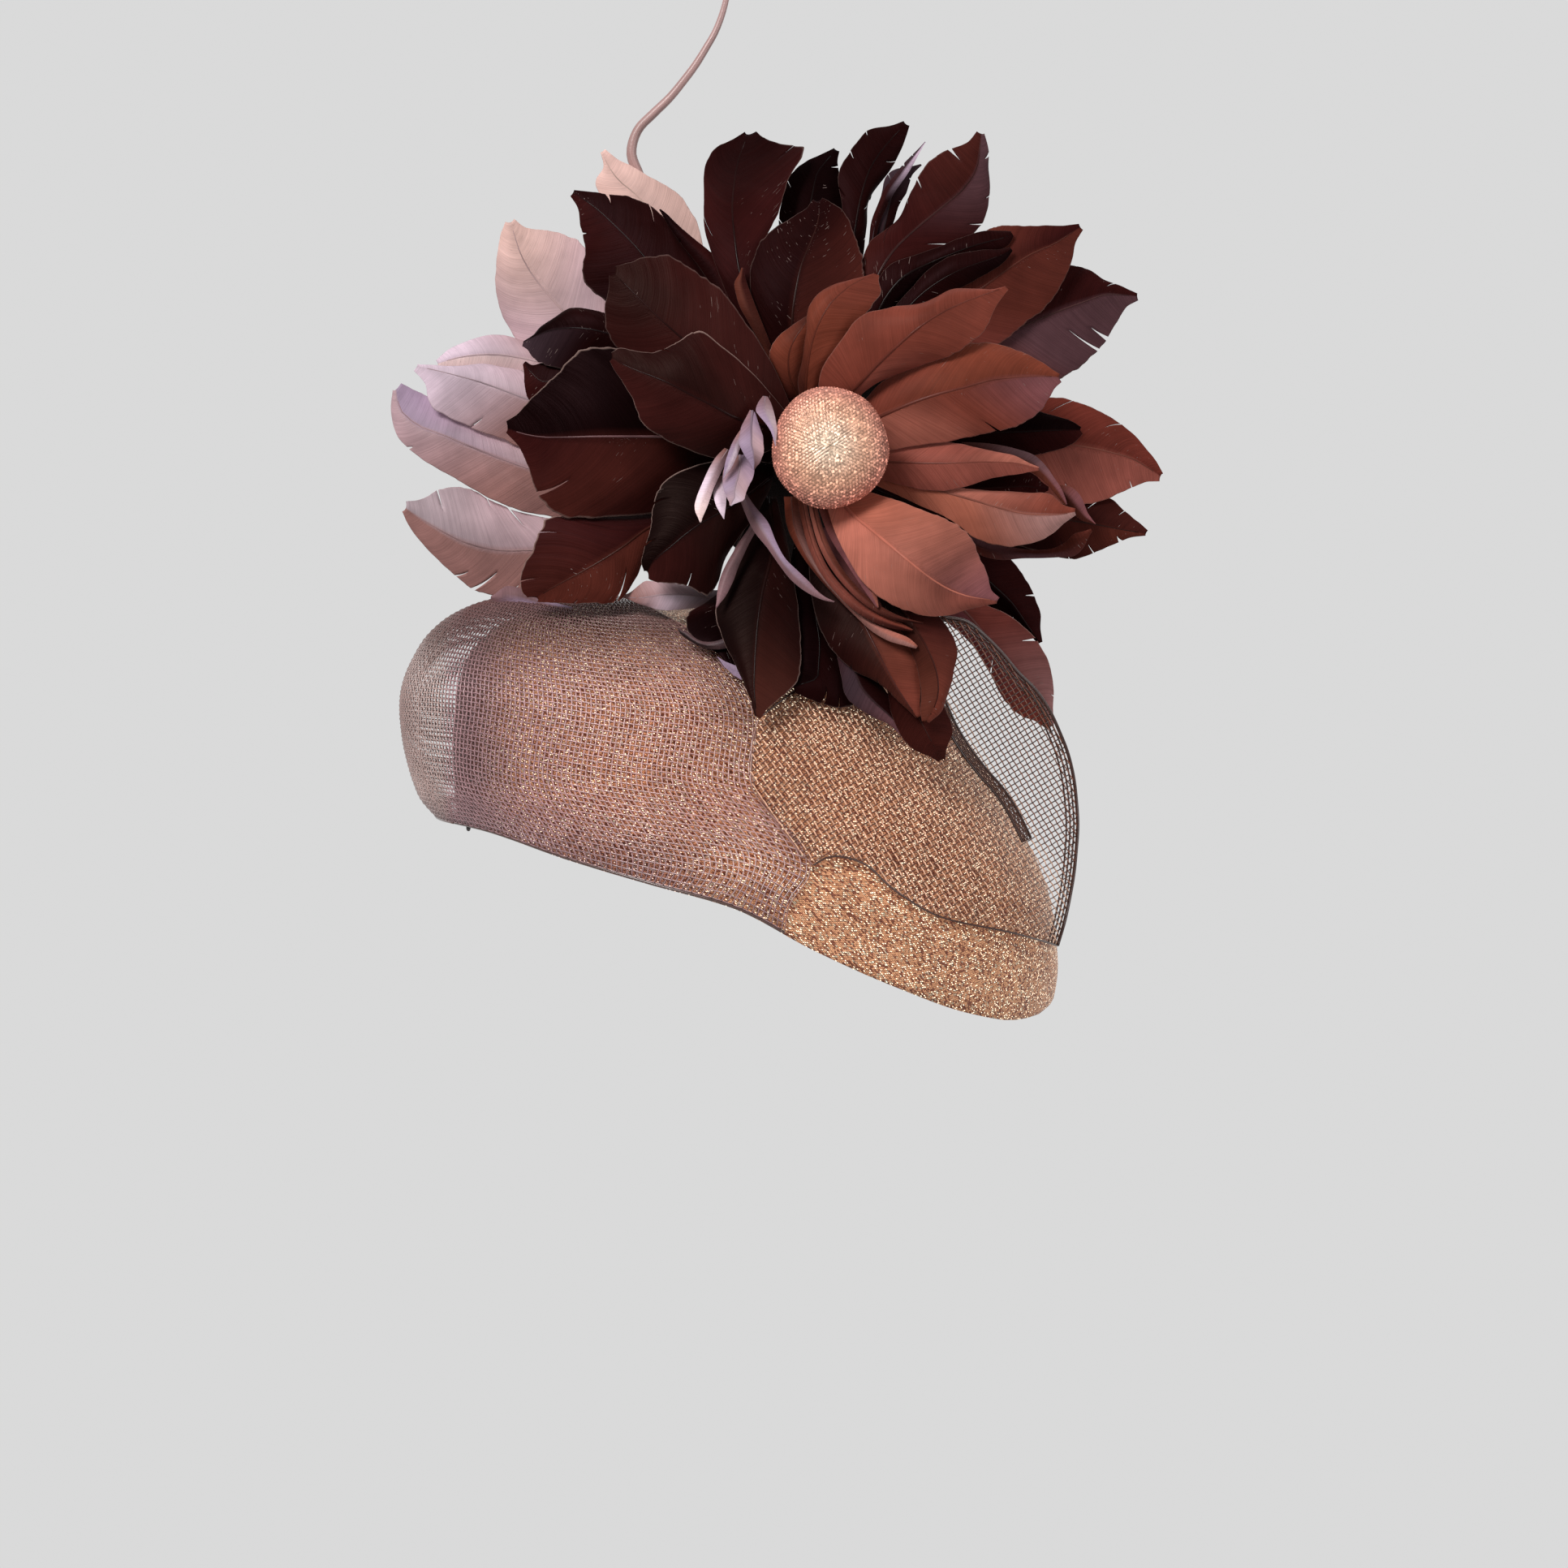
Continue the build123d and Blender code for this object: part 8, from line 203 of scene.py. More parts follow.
    "P7t": [70.93, -45.18, 87.91, 70.9, -46, 86.46, 70.93, -45.18, 85.13, 76.8, -45.41, 87.71, 76.39, -46.56, 85.71, 76.06, -45.41, 83.87, 82.61, -45.75, 87, 81.83, -47.12, 84.7, 81.18, -45.75, 82.57, 88.3, -46.23, 85.65, 87.21, -47.68, 83.31, 86.26, -46.23, 81.17, 93.39, -46.7, 83.77, 92.03, -48.2, 81.48, 90.81, -46.7, 79.38, 97.01, -47.49, 80.35, 95.78, -48.68, 78.63, 94.67, -47.49, 77.06, 99.62, -48.23, 76.53, 98.59, -49.12, 75.33, 97.66, -48.23, 74.24, 101.69, -48.73, 73.36, 100.72, -49.48, 72.45, 99.83, -48.73, 71.63, 102.8, -49.25, 70.69, 102.11, -49.76, 70.1, 101.48, -49.25, 69.57, 103.49, -49.82, 68.39, 103.25, -50, 68.19, 103.03, -49.82, 68],
    "P22b": [72.42, -39.11, 59.66, 72.38, -40, 58.1, 72.42, -39.11, 56.62, 77.97, -40.6, 57.84, 77.69, -42.08, 55.24, 77.53, -40.6, 52.79, 83.53, -42.48, 56.14, 83.52, -43.85, 53.74, 83.64, -42.48, 51.46, 89.16, -44.41, 54.82, 89.49, -45.31, 53.29, 89.9, -44.41, 51.84, 94.51, -45.56, 54.38, 95.09, -46.38, 53.09, 95.76, -45.56, 51.87, 99.45, -46.17, 54.88, 100.25, -47.13, 53.45, 101.16, -46.17, 52.11, 103.28, -46.11, 56.93, 104.51, -47.61, 54.67, 105.91, -46.11, 52.55, 106.02, -46.38, 59.4, 107.32, -47.86, 57.22, 108.81, -46.38, 55.19, 108.76, -47.26, 60.07, 109.38, -47.97, 59.02, 110.09, -47.26, 58.04, 110.97, -47.75, 60.85, 111.18, -48, 60.48, 111.43, -47.75, 60.14],
    "P7b": [38, -51.06, 80.71, 37.99, -52, 79.14, 38, -51.06, 77.19, 47.44, -54.88, 77.51, 47.44, -56.29, 76.77, 47.62, -54.88, 72.27, 56.92, -57.77, 74.61, 56.72, -59.64, 73.94, 57.32, -57.77, 67.65, 66.6, -59.42, 72.84, 66.02, -62.05, 71.23, 67.01, -59.42, 63.09, 75.78, -59.39, 72.17, 74.63, -63.44, 68.66, 74.94, -59.39, 57.13, 84.25, -59.51, 71.61, 82.57, -64.01, 66.24, 83.78, -59.51, 54.87, 92.02, -59.77, 71.4, 89.97, -63.92, 64.62, 91.91, -59.77, 55.96, 98.11, -60.08, 71.01, 96.2, -63.41, 64.32, 98.23, -60.08, 58.62, 101.63, -61.27, 67.53, 101.08, -62.75, 64.56, 102.1, -61.27, 62.04, 105.41, -61.48, 66.35, 105.22, -62, 65.31, 105.58, -61.48, 64.43],
    "P7a": [39.22, -53.96, 84.54, 39.19, -55.4, 81.44, 39.22, -53.96, 77.51, 47.07, -57.37, 85.07, 46.87, -59.38, 80.87, 46.83, -57.37, 75.25, 54.89, -60.24, 85.63, 54.52, -62.83, 80.4, 54.43, -60.24, 73.07, 62.7, -62.34, 86.37, 62.16, -65.34, 80.08, 62.19, -62.34, 71.8, 69.95, -64.07, 86.21, 69.26, -66.9, 80.12, 69.42, -64.07, 72.49, 76.49, -65.36, 84.59, 75.84, -67.48, 80.31, 75.85, -65.36, 74.37, 82.51, -65.75, 83.19, 81.89, -67.27, 80.25, 81.85, -65.75, 75.85, 87.35, -65.78, 81.84, 86.85, -66.88, 79.99, 86.87, -65.78, 76.51, 90.89, -65.91, 80.1, 90.64, -66.48, 79.25, 90.71, -65.91, 77.34, 93.96, -65.83, 78.81, 93.87, -66.03, 78.51, 93.9, -65.83, 77.84],
    "P6": [39.18, -56.45, 98.43, 37.14, -58.94, 91.22, 39.18, -56.45, 84.38, 45.29, -60.76, 105.06, 45.47, -64.46, 94.64, 48.84, -60.76, 84.57, 53.94, -63.78, 109.52, 53.83, -68.08, 98.05, 58.39, -63.78, 85.81, 62.92, -65.43, 113.44, 62.46, -70.21, 100.89, 67.95, -65.43, 87.13, 71.52, -65.45, 116.63, 70.72, -70.45, 103.01, 76.73, -65.45, 89.14, 79.9, -64.23, 117.23, 78.37, -69.02, 105.24, 84.93, -64.23, 90.9, 87.25, -63.98, 114.84, 85.57, -67.79, 106.31, 91.94, -63.98, 93.97, 93.05, -64.01, 112.21, 91.54, -66.51, 106.74, 96.13, -64.01, 98.54, 97.24, -64.05, 109.6, 96.21, -65.28, 106.83, 98.43, -64.05, 102.82, 100.57, -63.6, 107.56, 100.21, -64.03, 106.59, 100.99, -63.6, 105.18],
    "P9c": [15.6, -50.92, 70.65, 17.86, -52.42, 70.56, 20.13, -50.92, 70.65, 16.55, -55.85, 61.21, 18.8, -57.35, 61.31, 21.04, -55.85, 61.56, 20.66, -60.3, 52.7, 22.22, -61.34, 52.78, 23.78, -60.3, 52.96, 26.13, -65.22, 45.06, 27.06, -65.84, 45.04, 27.99, -65.22, 45.07, 31.89, -69.88, 38.57, 32.5, -70.29, 38.57, 33.12, -69.88, 38.6, 37.43, -72.92, 32.88, 38.06, -73.41, 33.21, 38.7, -72.92, 33.57, 42.72, -76.37, 27.92, 43.59, -77.27, 28.9, 44.48, -76.37, 29.93, 47.83, -78.23, 25, 48.7, -79.32, 26.31, 49.61, -78.23, 27.68, 52.17, -79.59, 23.74, 52.86, -80.48, 24.83, 53.59, -79.59, 25.97, 55.78, -80.23, 22.76, 56.02, -80.55, 23.14, 56.28, -80.23, 23.54],
    "P9b": [19.62, -53.38, 71.01, 20.87, -54.63, 70.94, 22.13, -53.38, 71.01, 21.06, -57.99, 62.42, 22.36, -59.33, 62.61, 23.68, -57.99, 62.94, 23.27, -62.99, 54.06, 24.58, -64.4, 54.51, 25.9, -62.99, 55.1, 26.82, -67.52, 46.33, 28, -68.93, 46.99, 29.21, -67.52, 47.77, 31.54, -71.42, 40.04, 32.58, -72.81, 40.88, 33.65, -71.42, 41.83, 36.6, -74.68, 34.9, 37.56, -76.18, 35.96, 38.57, -74.68, 37.12, 42.09, -77.63, 31.29, 42.89, -79.12, 32.46, 43.75, -77.63, 33.74, 47.05, -78.8, 29.37, 47.65, -80.12, 30.47, 48.3, -78.8, 31.65, 51.08, -79.41, 28.43, 51.47, -80.39, 29.28, 51.9, -79.41, 30.2, 54.48, -79.82, 27.92, 54.62, -80.17, 28.22, 54.77, -79.82, 28.54],
    "P9a": [22.63, -55.44, 70.89, 23.75, -56.58, 70.83, 24.89, -55.44, 70.89, 24.14, -61.15, 62.49, 25.43, -62.5, 62.69, 26.73, -61.15, 63.04, 26.48, -66.17, 54.4, 27.83, -67.67, 54.87, 29.21, -66.17, 55.49, 30.33, -70.51, 47.08, 31.52, -71.93, 47.72, 32.73, -70.51, 48.49, 35.09, -74.79, 41.07, 36.07, -76.11, 41.85, 37.08, -74.79, 42.72, 40.15, -78.59, 36.22, 40.93, -79.83, 37.08, 41.76, -78.59, 38.03, 45.53, -80.49, 32.9, 46.09, -81.57, 33.73, 46.69, -80.49, 34.64, 50.39, -81.51, 31.1, 50.73, -82.31, 31.76, 51.1, -81.51, 32.48, 54.43, -81.6, 30.71, 54.58, -81.97, 31.02, 54.76, -81.6, 31.35, 57.84, -81.24, 30.29, 57.9, -81.37, 30.4, 57.96, -81.24, 30.52],
    "P8b": [25.12, -58.11, 70.74, 26.62, -59.03, 70.69, 28.13, -58.11, 70.74, 26.71, -62.13, 65.13, 28.65, -63.34, 65.35, 30.62, -62.13, 65.71, 28.6, -65.54, 59.69, 30.84, -66.96, 60.14, 33.11, -65.54, 60.74, 31.13, -68.07, 54.62, 33.47, -69.57, 55.22, 35.84, -68.07, 55.96, 34.02, -69.11, 50.27, 36.08, -70.44, 50.82, 38.18, -69.11, 51.49, 36.53, -75.27, 45.98, 38.3, -76.42, 46.47, 40.1, -75.27, 47.06, 38.89, -78.56, 42.2, 40.42, -79.56, 42.65, 41.98, -78.56, 43.17, 40.9, -80.64, 39.2, 42.23, -81.51, 39.6, 43.59, -80.64, 40.06, 42.49, -81.68, 36.9, 43.25, -82.18, 37.16, 44.03, -81.68, 37.45, 43.82, -82.04, 35.05, 44.09, -82.21, 35.13, 44.36, -82.04, 35.24],
    "P8": [27.61, -59.99, 73.13, 29.86, -60.91, 73.08, 32.37, -59.99, 73.63, 30.13, -68.12, 62.21, 35.19, -70.86, 65.44, 41.26, -68.12, 71.19, 34.38, -75.9, 52.04, 41.8, -80.26, 59.18, 49.96, -75.9, 68.37, 40, -81.6, 42.77, 48.43, -87.1, 53.18, 58.23, -81.6, 64.55, 47.52, -84.29, 36.41, 54.62, -90.29, 47.79, 65.97, -84.29, 61.23, 56.05, -82.93, 33.23, 60.68, -88.47, 43.31, 72.1, -82.93, 56.86, 64.43, -79.92, 32.73, 66.83, -83.93, 40.08, 75.11, -79.92, 50.46, 71.1, -79.99, 34.3, 72.27, -82.41, 38.39, 77.47, -79.99, 45.09, 76.21, -80.17, 35.74, 76.69, -81.24, 37.77, 78.69, -80.17, 40.7, 80.32, -79.61, 36.53, 80.49, -79.99, 37.24, 81.19, -79.61, 38.27],
    "P4a": [19.88, -51.35, 98.81, 21.13, -52, 98.76, 22.39, -51.35, 98.81, 14.28, -53.42, 99.97, 19.2, -55.53, 102.6, 21.98, -53.42, 102.79, 11.42, -55.44, 104.5, 17.5, -58.27, 106.55, 22.16, -55.44, 106.76, 11.07, -57.26, 110.14, 16.91, -60.23, 110.87, 22.59, -57.26, 110.73, 11.45, -58.35, 115.38, 17.3, -61.35, 114.81, 23.04, -58.35, 114.45, 13.86, -59.09, 119.5, 18.74, -61.78, 118.37, 24.14, -59.09, 117.74, 17.39, -59.63, 122.3, 20.69, -61.67, 121.31, 25.15, -59.63, 120.78, 20.42, -59.8, 124.45, 22.47, -61.22, 123.64, 25.82, -59.8, 123.32, 22.77, -59.93, 126.12, 23.86, -60.65, 125.47, 25.42, -59.93, 125.33, 24.68, -59.75, 127.29, 25.06, -60, 127.06, 25.6, -59.75, 127.01],
    "P4b": [21.12, -54.66, 98.56, 22.38, -55.22, 98.52, 23.64, -54.66, 98.56, 19.9, -59.01, 105.85, 22.35, -60.41, 105.07, 26.01, -59.01, 104.51, 21.47, -61.63, 113.14, 23.09, -63.39, 111.72, 28.83, -61.63, 110.34, 22.62, -62.57, 120.34, 24.5, -65.02, 118.36, 32.56, -62.57, 115.82, 23.01, -62.52, 127.39, 26.89, -65.81, 124.24, 36.17, -62.52, 120.88, 26.39, -62.28, 132.92, 30.03, -65.78, 129.28, 39.99, -62.28, 125.19, 31.74, -61.94, 135.59, 33.93, -64.82, 133.13, 43.08, -61.94, 129.49, 36.57, -61.63, 136.72, 37.57, -63.8, 135.76, 45.57, -61.63, 133.03, 40.3, -61.84, 137.65, 40.73, -62.91, 137.3, 44.86, -61.84, 136.16, 43.29, -61.66, 138.76, 43.44, -62.04, 138.64, 44.89, -61.66, 138.24],
    "P5": [26.13, -57.55, 98.34, 31.62, -59.63, 98.18, 36.15, -57.55, 97.84, 26.89, -63.14, 108.51, 38.17, -66.45, 103.86, 42.09, -63.14, 103.79, 32.65, -65.85, 117.61, 44.29, -70.08, 110.17, 50.08, -65.85, 107.22, 40.05, -68, 125.43, 50.86, -73, 116.04, 58.38, -68, 110.02, 49.67, -69.75, 127.63, 57.23, -74.43, 121.29, 66.12, -69.75, 112.46, 58.82, -69.7, 129.24, 63.69, -73.58, 125.58, 72.41, -69.7, 116.63, 66.62, -68.39, 133.09, 70.16, -71.72, 128.8, 77.54, -68.39, 121.44, 73.61, -67.76, 133.41, 75.68, -69.72, 131.02, 80.11, -67.76, 126.6, 79.11, -67.09, 133.21, 80.02, -67.96, 132.68, 82.3, -67.09, 130.52, 83.44, -66.13, 134.29, 83.76, -66.43, 134.1, 84.56, -66.13, 133.35],
    "P1": [18.61, -54.77, 95.54, 17.61, -55.44, 93.73, 16.1, -54.77, 91.77, 14.42, -59.43, 106.04, 9.48, -61.41, 99.02, 5.57, -59.43, 96.1, 9.01, -61.46, 116.14, 1.52, -64.51, 104.68, -4.76, -61.46, 100.99, 2.37, -61.94, 125.49, -6.33, -65.85, 110.59, -15.12, -61.94, 105.94, -4.02, -60.8, 134.1, -13.4, -65.52, 116.51, -24.91, -60.8, 110.36, -12.29, -59.92, 139.74, -19.84, -64.92, 122.12, -34.06, -59.92, 114.18, -20.11, -59.57, 144.2, -25.55, -63.97, 127.52, -38.99, -59.57, 121.43, -27.46, -59.8, 144.02, -30.09, -62.71, 132.15, -39.64, -59.8, 128.74, -32.86, -59.96, 142.11, -33.64, -61.39, 135.8, -38.41, -59.96, 134.32, -36.43, -59.5, 141.16, -36.7, -60, 138.95, -38.37, -59.5, 138.43],
    "P12": [12.83, -52.99, 80.59, 12.08, -54, 77.01, 11.58, -52.99, 73.55, 3.71, -55.94, 81.88, 6.65, -58.29, 72.51, 7.39, -55.94, 65.66, -5.5, -58.23, 81.27, 1.06, -61.64, 68.32, 2.24, -58.23, 58.46, -14.38, -59.76, 78.76, -4.84, -64.05, 64.71, -2.35, -59.76, 50.99, -21.55, -60.44, 74.43, -10.3, -65.44, 61.37, -4.93, -60.44, 43.26, -24.66, -61.48, 67.23, -15.04, -66.01, 57.9, -8.29, -61.48, 39.81, -25.7, -62.99, 59.99, -19.17, -65.92, 54.43, -14.46, -62.99, 42.69, -27.16, -63.57, 54.24, -22.63, -65.41, 51.7, -20, -63.57, 43.42, -28.25, -63.69, 50.12, -24.93, -64.75, 49.25, -24.26, -63.69, 43.74, -27.5, -63.63, 46.99, -26.33, -64, 46.69, -26.1, -63.63, 44.76],
    "P2": [17.1, -58.58, 95.26, 16.6, -60.16, 90.64, 15.35, -58.58, 86.24, 10.8, -62.9, 102.43, 8.58, -66.47, 91.89, 6.27, -62.9, 82.31, 4.25, -65.68, 109.43, 0.76, -70.74, 93.73, -3.31, -65.68, 81.27, -3.21, -67.17, 115.59, -6.41, -72.93, 97.42, -12.6, -67.17, 83.85, -10.83, -67.43, 120.47, -13.2, -73.43, 100.73, -20.89, -67.43, 87.45, -17.21, -68.42, 117.05, -19.41, -73.13, 103.97, -27.73, -68.42, 92.1, -24.08, -68.87, 113.81, -25.36, -71.73, 106.56, -30.48, -68.87, 98.65, -30.21, -68.7, 114.32, -30.31, -70.56, 108.51, -33.34, -68.7, 104.09, -34.54, -68.08, 115.27, -34.04, -69.36, 110.34, -36.1, -68.08, 108.11, -37.35, -67.72, 113.83, -37.17, -68.17, 112.1, -37.89, -67.72, 111.32],
    "G1": [6.6, -61.55, 64.04, 7.48, -62, 63.77, 8.35, -61.55, 63.54, 4.66, -63.78, 60.03, 5.79, -64.36, 59.65, 6.91, -63.78, 59.33, 2.18, -65.71, 56.38, 3.53, -66.41, 55.87, 4.86, -65.71, 55.43, -0.05, -67.33, 52.59, 1.5, -68.15, 51.97, 3.04, -67.33, 51.43, -2.03, -68.56, 49.04, -0.29, -69.48, 48.33, 1.42, -68.56, 47.7, -3.58, -69.47, 45.62, -1.68, -70.47, 44.86, 0.2, -69.47, 44.17, -4.48, -70.31, 42.32, -2.84, -71.17, 41.66, -1.22, -70.31, 41.07, -4.91, -70.98, 39.55, -3.73, -71.6, 39.07, -2.58, -70.98, 38.63, -5.02, -71.56, 37.36, -4.47, -71.85, 37.14, -3.93, -71.56, 36.94, -5.3, -71.9, 35.57, -5.11, -72, 35.5, -4.92, -71.9, 35.42],
    "S5": [1.39, -65.55, 71.31, 2.26, -66, 71.65, 3.13, -65.55, 72.05, 3.57, -68.56, 64.9, 5.13, -69.4, 65.73, 6.68, -68.56, 66.64, 6.48, -71.14, 58.85, 8.59, -72.34, 60.17, 10.69, -71.14, 61.62, 10.6, -74.02, 53.58, 11.86, -74.8, 54.58, 13.12, -74.02, 55.65, 14.08, -76.03, 48.5, 15, -76.67, 49.44, 15.92, -76.03, 50.43, 17.54, -77.23, 44.02, 18.63, -78.03, 45.26, 19.72, -77.23, 46.57, 21.45, -78.25, 40.65, 22.36, -78.98, 41.84, 23.27, -78.25, 43.09, 25.11, -79.11, 38.55, 25.55, -79.54, 39.3, 25.99, -79.11, 40.09, 28.13, -79.61, 37.37, 28.32, -79.84, 37.79, 28.52, -79.61, 38.23, 30.85, -79.92, 36.84, 30.91, -80, 36.99, 30.98, -79.92, 37.14],
    "S4": [-3.8, -69.74, 76.03, -3.17, -70, 75.89, -2.55, -69.74, 75.78, -4.72, -71.58, 74.12, -3.48, -72.08, 73.96, -2.26, -71.58, 73.86, -5.48, -73.16, 72.16, -3.77, -73.85, 72.01, -2.08, -73.16, 71.93, -5.93, -74.51, 70.13, -3.96, -75.31, 70.03, -2.02, -74.51, 70.02, -5.61, -75.65, 68.2, -3.83, -76.38, 68.19, -2.06, -75.65, 68.26, -5.1, -76.52, 66.5, -3.6, -77.13, 66.54, -2.11, -76.52, 66.64, -4.39, -77.18, 65.04, -3.34, -77.61, 65.09, -2.31, -77.18, 65.18, -3.72, -77.61, 63.9, -3.09, -77.86, 63.93, -2.47, -77.61, 63.99, -3.17, -77.85, 63.03, -2.88, -77.97, 63.05, -2.59, -77.85, 63.08, -2.8, -77.96, 62.29, -2.7, -78, 62.29, -2.6, -77.96, 62.3],
    "S3": [-2.55, -69.6, 84.5, -1.68, -70, 83.97, -0.81, -69.6, 83.5, -5.04, -71.55, 81.79, -3.52, -72.22, 81, -2.01, -71.55, 80.29, -6.95, -73.38, 78.63, -5.19, -74.13, 77.88, -3.45, -73.38, 77.21, -8.5, -74.96, 75.3, -6.65, -75.73, 74.66, -4.81, -74.96, 74.12, -9.81, -76.16, 72.16, -7.91, -76.93, 71.65, -6.03, -76.16, 71.24, -10.92, -77, 69.24, -8.93, -77.8, 68.83, -6.96, -77, 68.52, -11.62, -77.63, 66.47, -9.71, -78.39, 66.22, -7.82, -77.63, 66.05, -11.32, -78.2, 64.27, -9.98, -78.73, 64.15, -8.65, -78.2, 64.07, -10.53, -78.67, 62.63, -9.91, -78.91, 62.57, -9.3, -78.67, 62.54, -10.07, -78.91, 61.25, -9.86, -79, 61.23, -9.64, -78.91, 61.21],
    "S2b": [-0.05, -71.54, 81.88, 2.07, -72, 82.1, 4.17, -71.54, 82.38, -1.36, -73.79, 79.86, 2.18, -74.56, 79.85, 5.72, -73.79, 79.94, -2.56, -75.67, 77.81, 2, -76.66, 77.53, 6.54, -75.67, 77.37, -3.06, -77.28, 75.47, 1.51, -78.28, 74.96, 6.07, -77.28, 74.58, -3.07, -78.5, 73.28, 0.91, -79.37, 72.72, 4.87, -78.5, 72.26, -2.77, -79.27, 71.3, 0.58, -80.01, 70.64, 3.92, -79.27, 70.07, -2.15, -79.69, 69.58, 0.54, -80.3, 68.77, 3.22, -79.69, 68.03, -1.58, -79.95, 68.2, 0.03, -80.32, 67.72, 1.63, -79.95, 67.28, -1.11, -80.03, 67.15, -0.37, -80.2, 66.93, 0.37, -80.03, 66.73, -0.96, -79.94, 66.34, -0.7, -80, 66.26, -0.44, -79.94, 66.19],
    "S2c": [2.2, -72.45, 89.77, 2.94, -73, 89.48, 3.69, -72.45, 89.27, 0.97, -74.65, 87.75, 2.02, -75.42, 87.31, 3.04, -74.65, 86.97, -0.11, -76.44, 85.68, 1.14, -77.38, 85.14, 2.38, -76.44, 84.72, -0.97, -77.86, 83.53, 0.36, -78.86, 82.95, 1.68, -77.86, 82.5, -1.64, -78.87, 81.51, -0.37, -79.82, 80.96, 0.87, -78.87, 80.53, -2.2, -79.49, 79.64, -1.06, -80.34, 79.14, 0.07, -79.49, 78.76, -2.54, -79.88, 77.9, -1.69, -80.52, 77.54, -0.85, -79.88, 77.25, -2.7, -80.07, 76.47, -2.19, -80.45, 76.25, -1.7, -80.07, 76.08, -2.82, -80.08, 75.36, -2.59, -80.26, 75.26, -2.36, -80.08, 75.18, -3.01, -79.94, 74.45, -2.92, -80, 74.41, -2.85, -79.94, 74.38],
    "S2a": [5.18, -72.79, 95.95, 5.92, -73.01, 95.56, 6.67, -72.79, 95.2, 3.93, -74.84, 93.28, 5.75, -75.33, 92.9, 7.56, -74.84, 92.59, 2.75, -76.49, 90.61, 5.59, -77.25, 90.25, 8.41, -76.49, 89.99, 2.04, -77.93, 87.83, 5.65, -78.89, 87.56, 9.25, -77.93, 87.42, 1.94, -78.89, 85.22, 5.69, -79.89, 85.02, 9.42, -78.89, 84.95, 2.96, -79.38, 83.01, 6.19, -80.25, 82.79, 9.42, -79.38, 82.68, 4.01, -79.56, 81.07, 6.37, -80.19, 80.87, 8.72, -79.56, 80.75, 5.01, -79.43, 79.58, 6.54, -79.84, 79.38, 8.05, -79.43, 79.23, 5.79, -79.27, 78.42, 6.49, -79.45, 78.33, 7.19, -79.27, 78.26, 6.21, -79, 77.47, 6.46, -79.07, 77.43, 6.7, -79, 77.41],
    "S1": [9.14, -71.71, 100.25, 9.89, -72, 100.1, 10.63, -71.71, 100, 7.72, -73.76, 98.04, 9.67, -74.5, 97.9, 11.62, -73.76, 97.88, 7.04, -75.69, 95.52, 9.68, -76.69, 95.52, 12.31, -75.69, 95.67, 8.32, -77.71, 93.46, 10.59, -78.57, 93.37, 12.86, -77.71, 93.41, 9.83, -79.38, 91.57, 11.53, -80.03, 91.39, 13.23, -79.38, 91.29, 11.08, -80.66, 89.74, 12.31, -81.14, 89.52, 13.54, -80.66, 89.36, 11.93, -81.67, 87.94, 12.65, -81.95, 87.74, 13.37, -81.67, 87.58, 12.38, -82.31, 86.35, 12.81, -82.47, 86.24, 13.24, -82.31, 86.15, 12.73, -82.71, 85.13, 12.93, -82.79, 85.08, 13.13, -82.71, 85.04, 12.97, -82.97, 84.11, 13.04, -83, 84.09, 13.11, -82.97, 84.07],
}
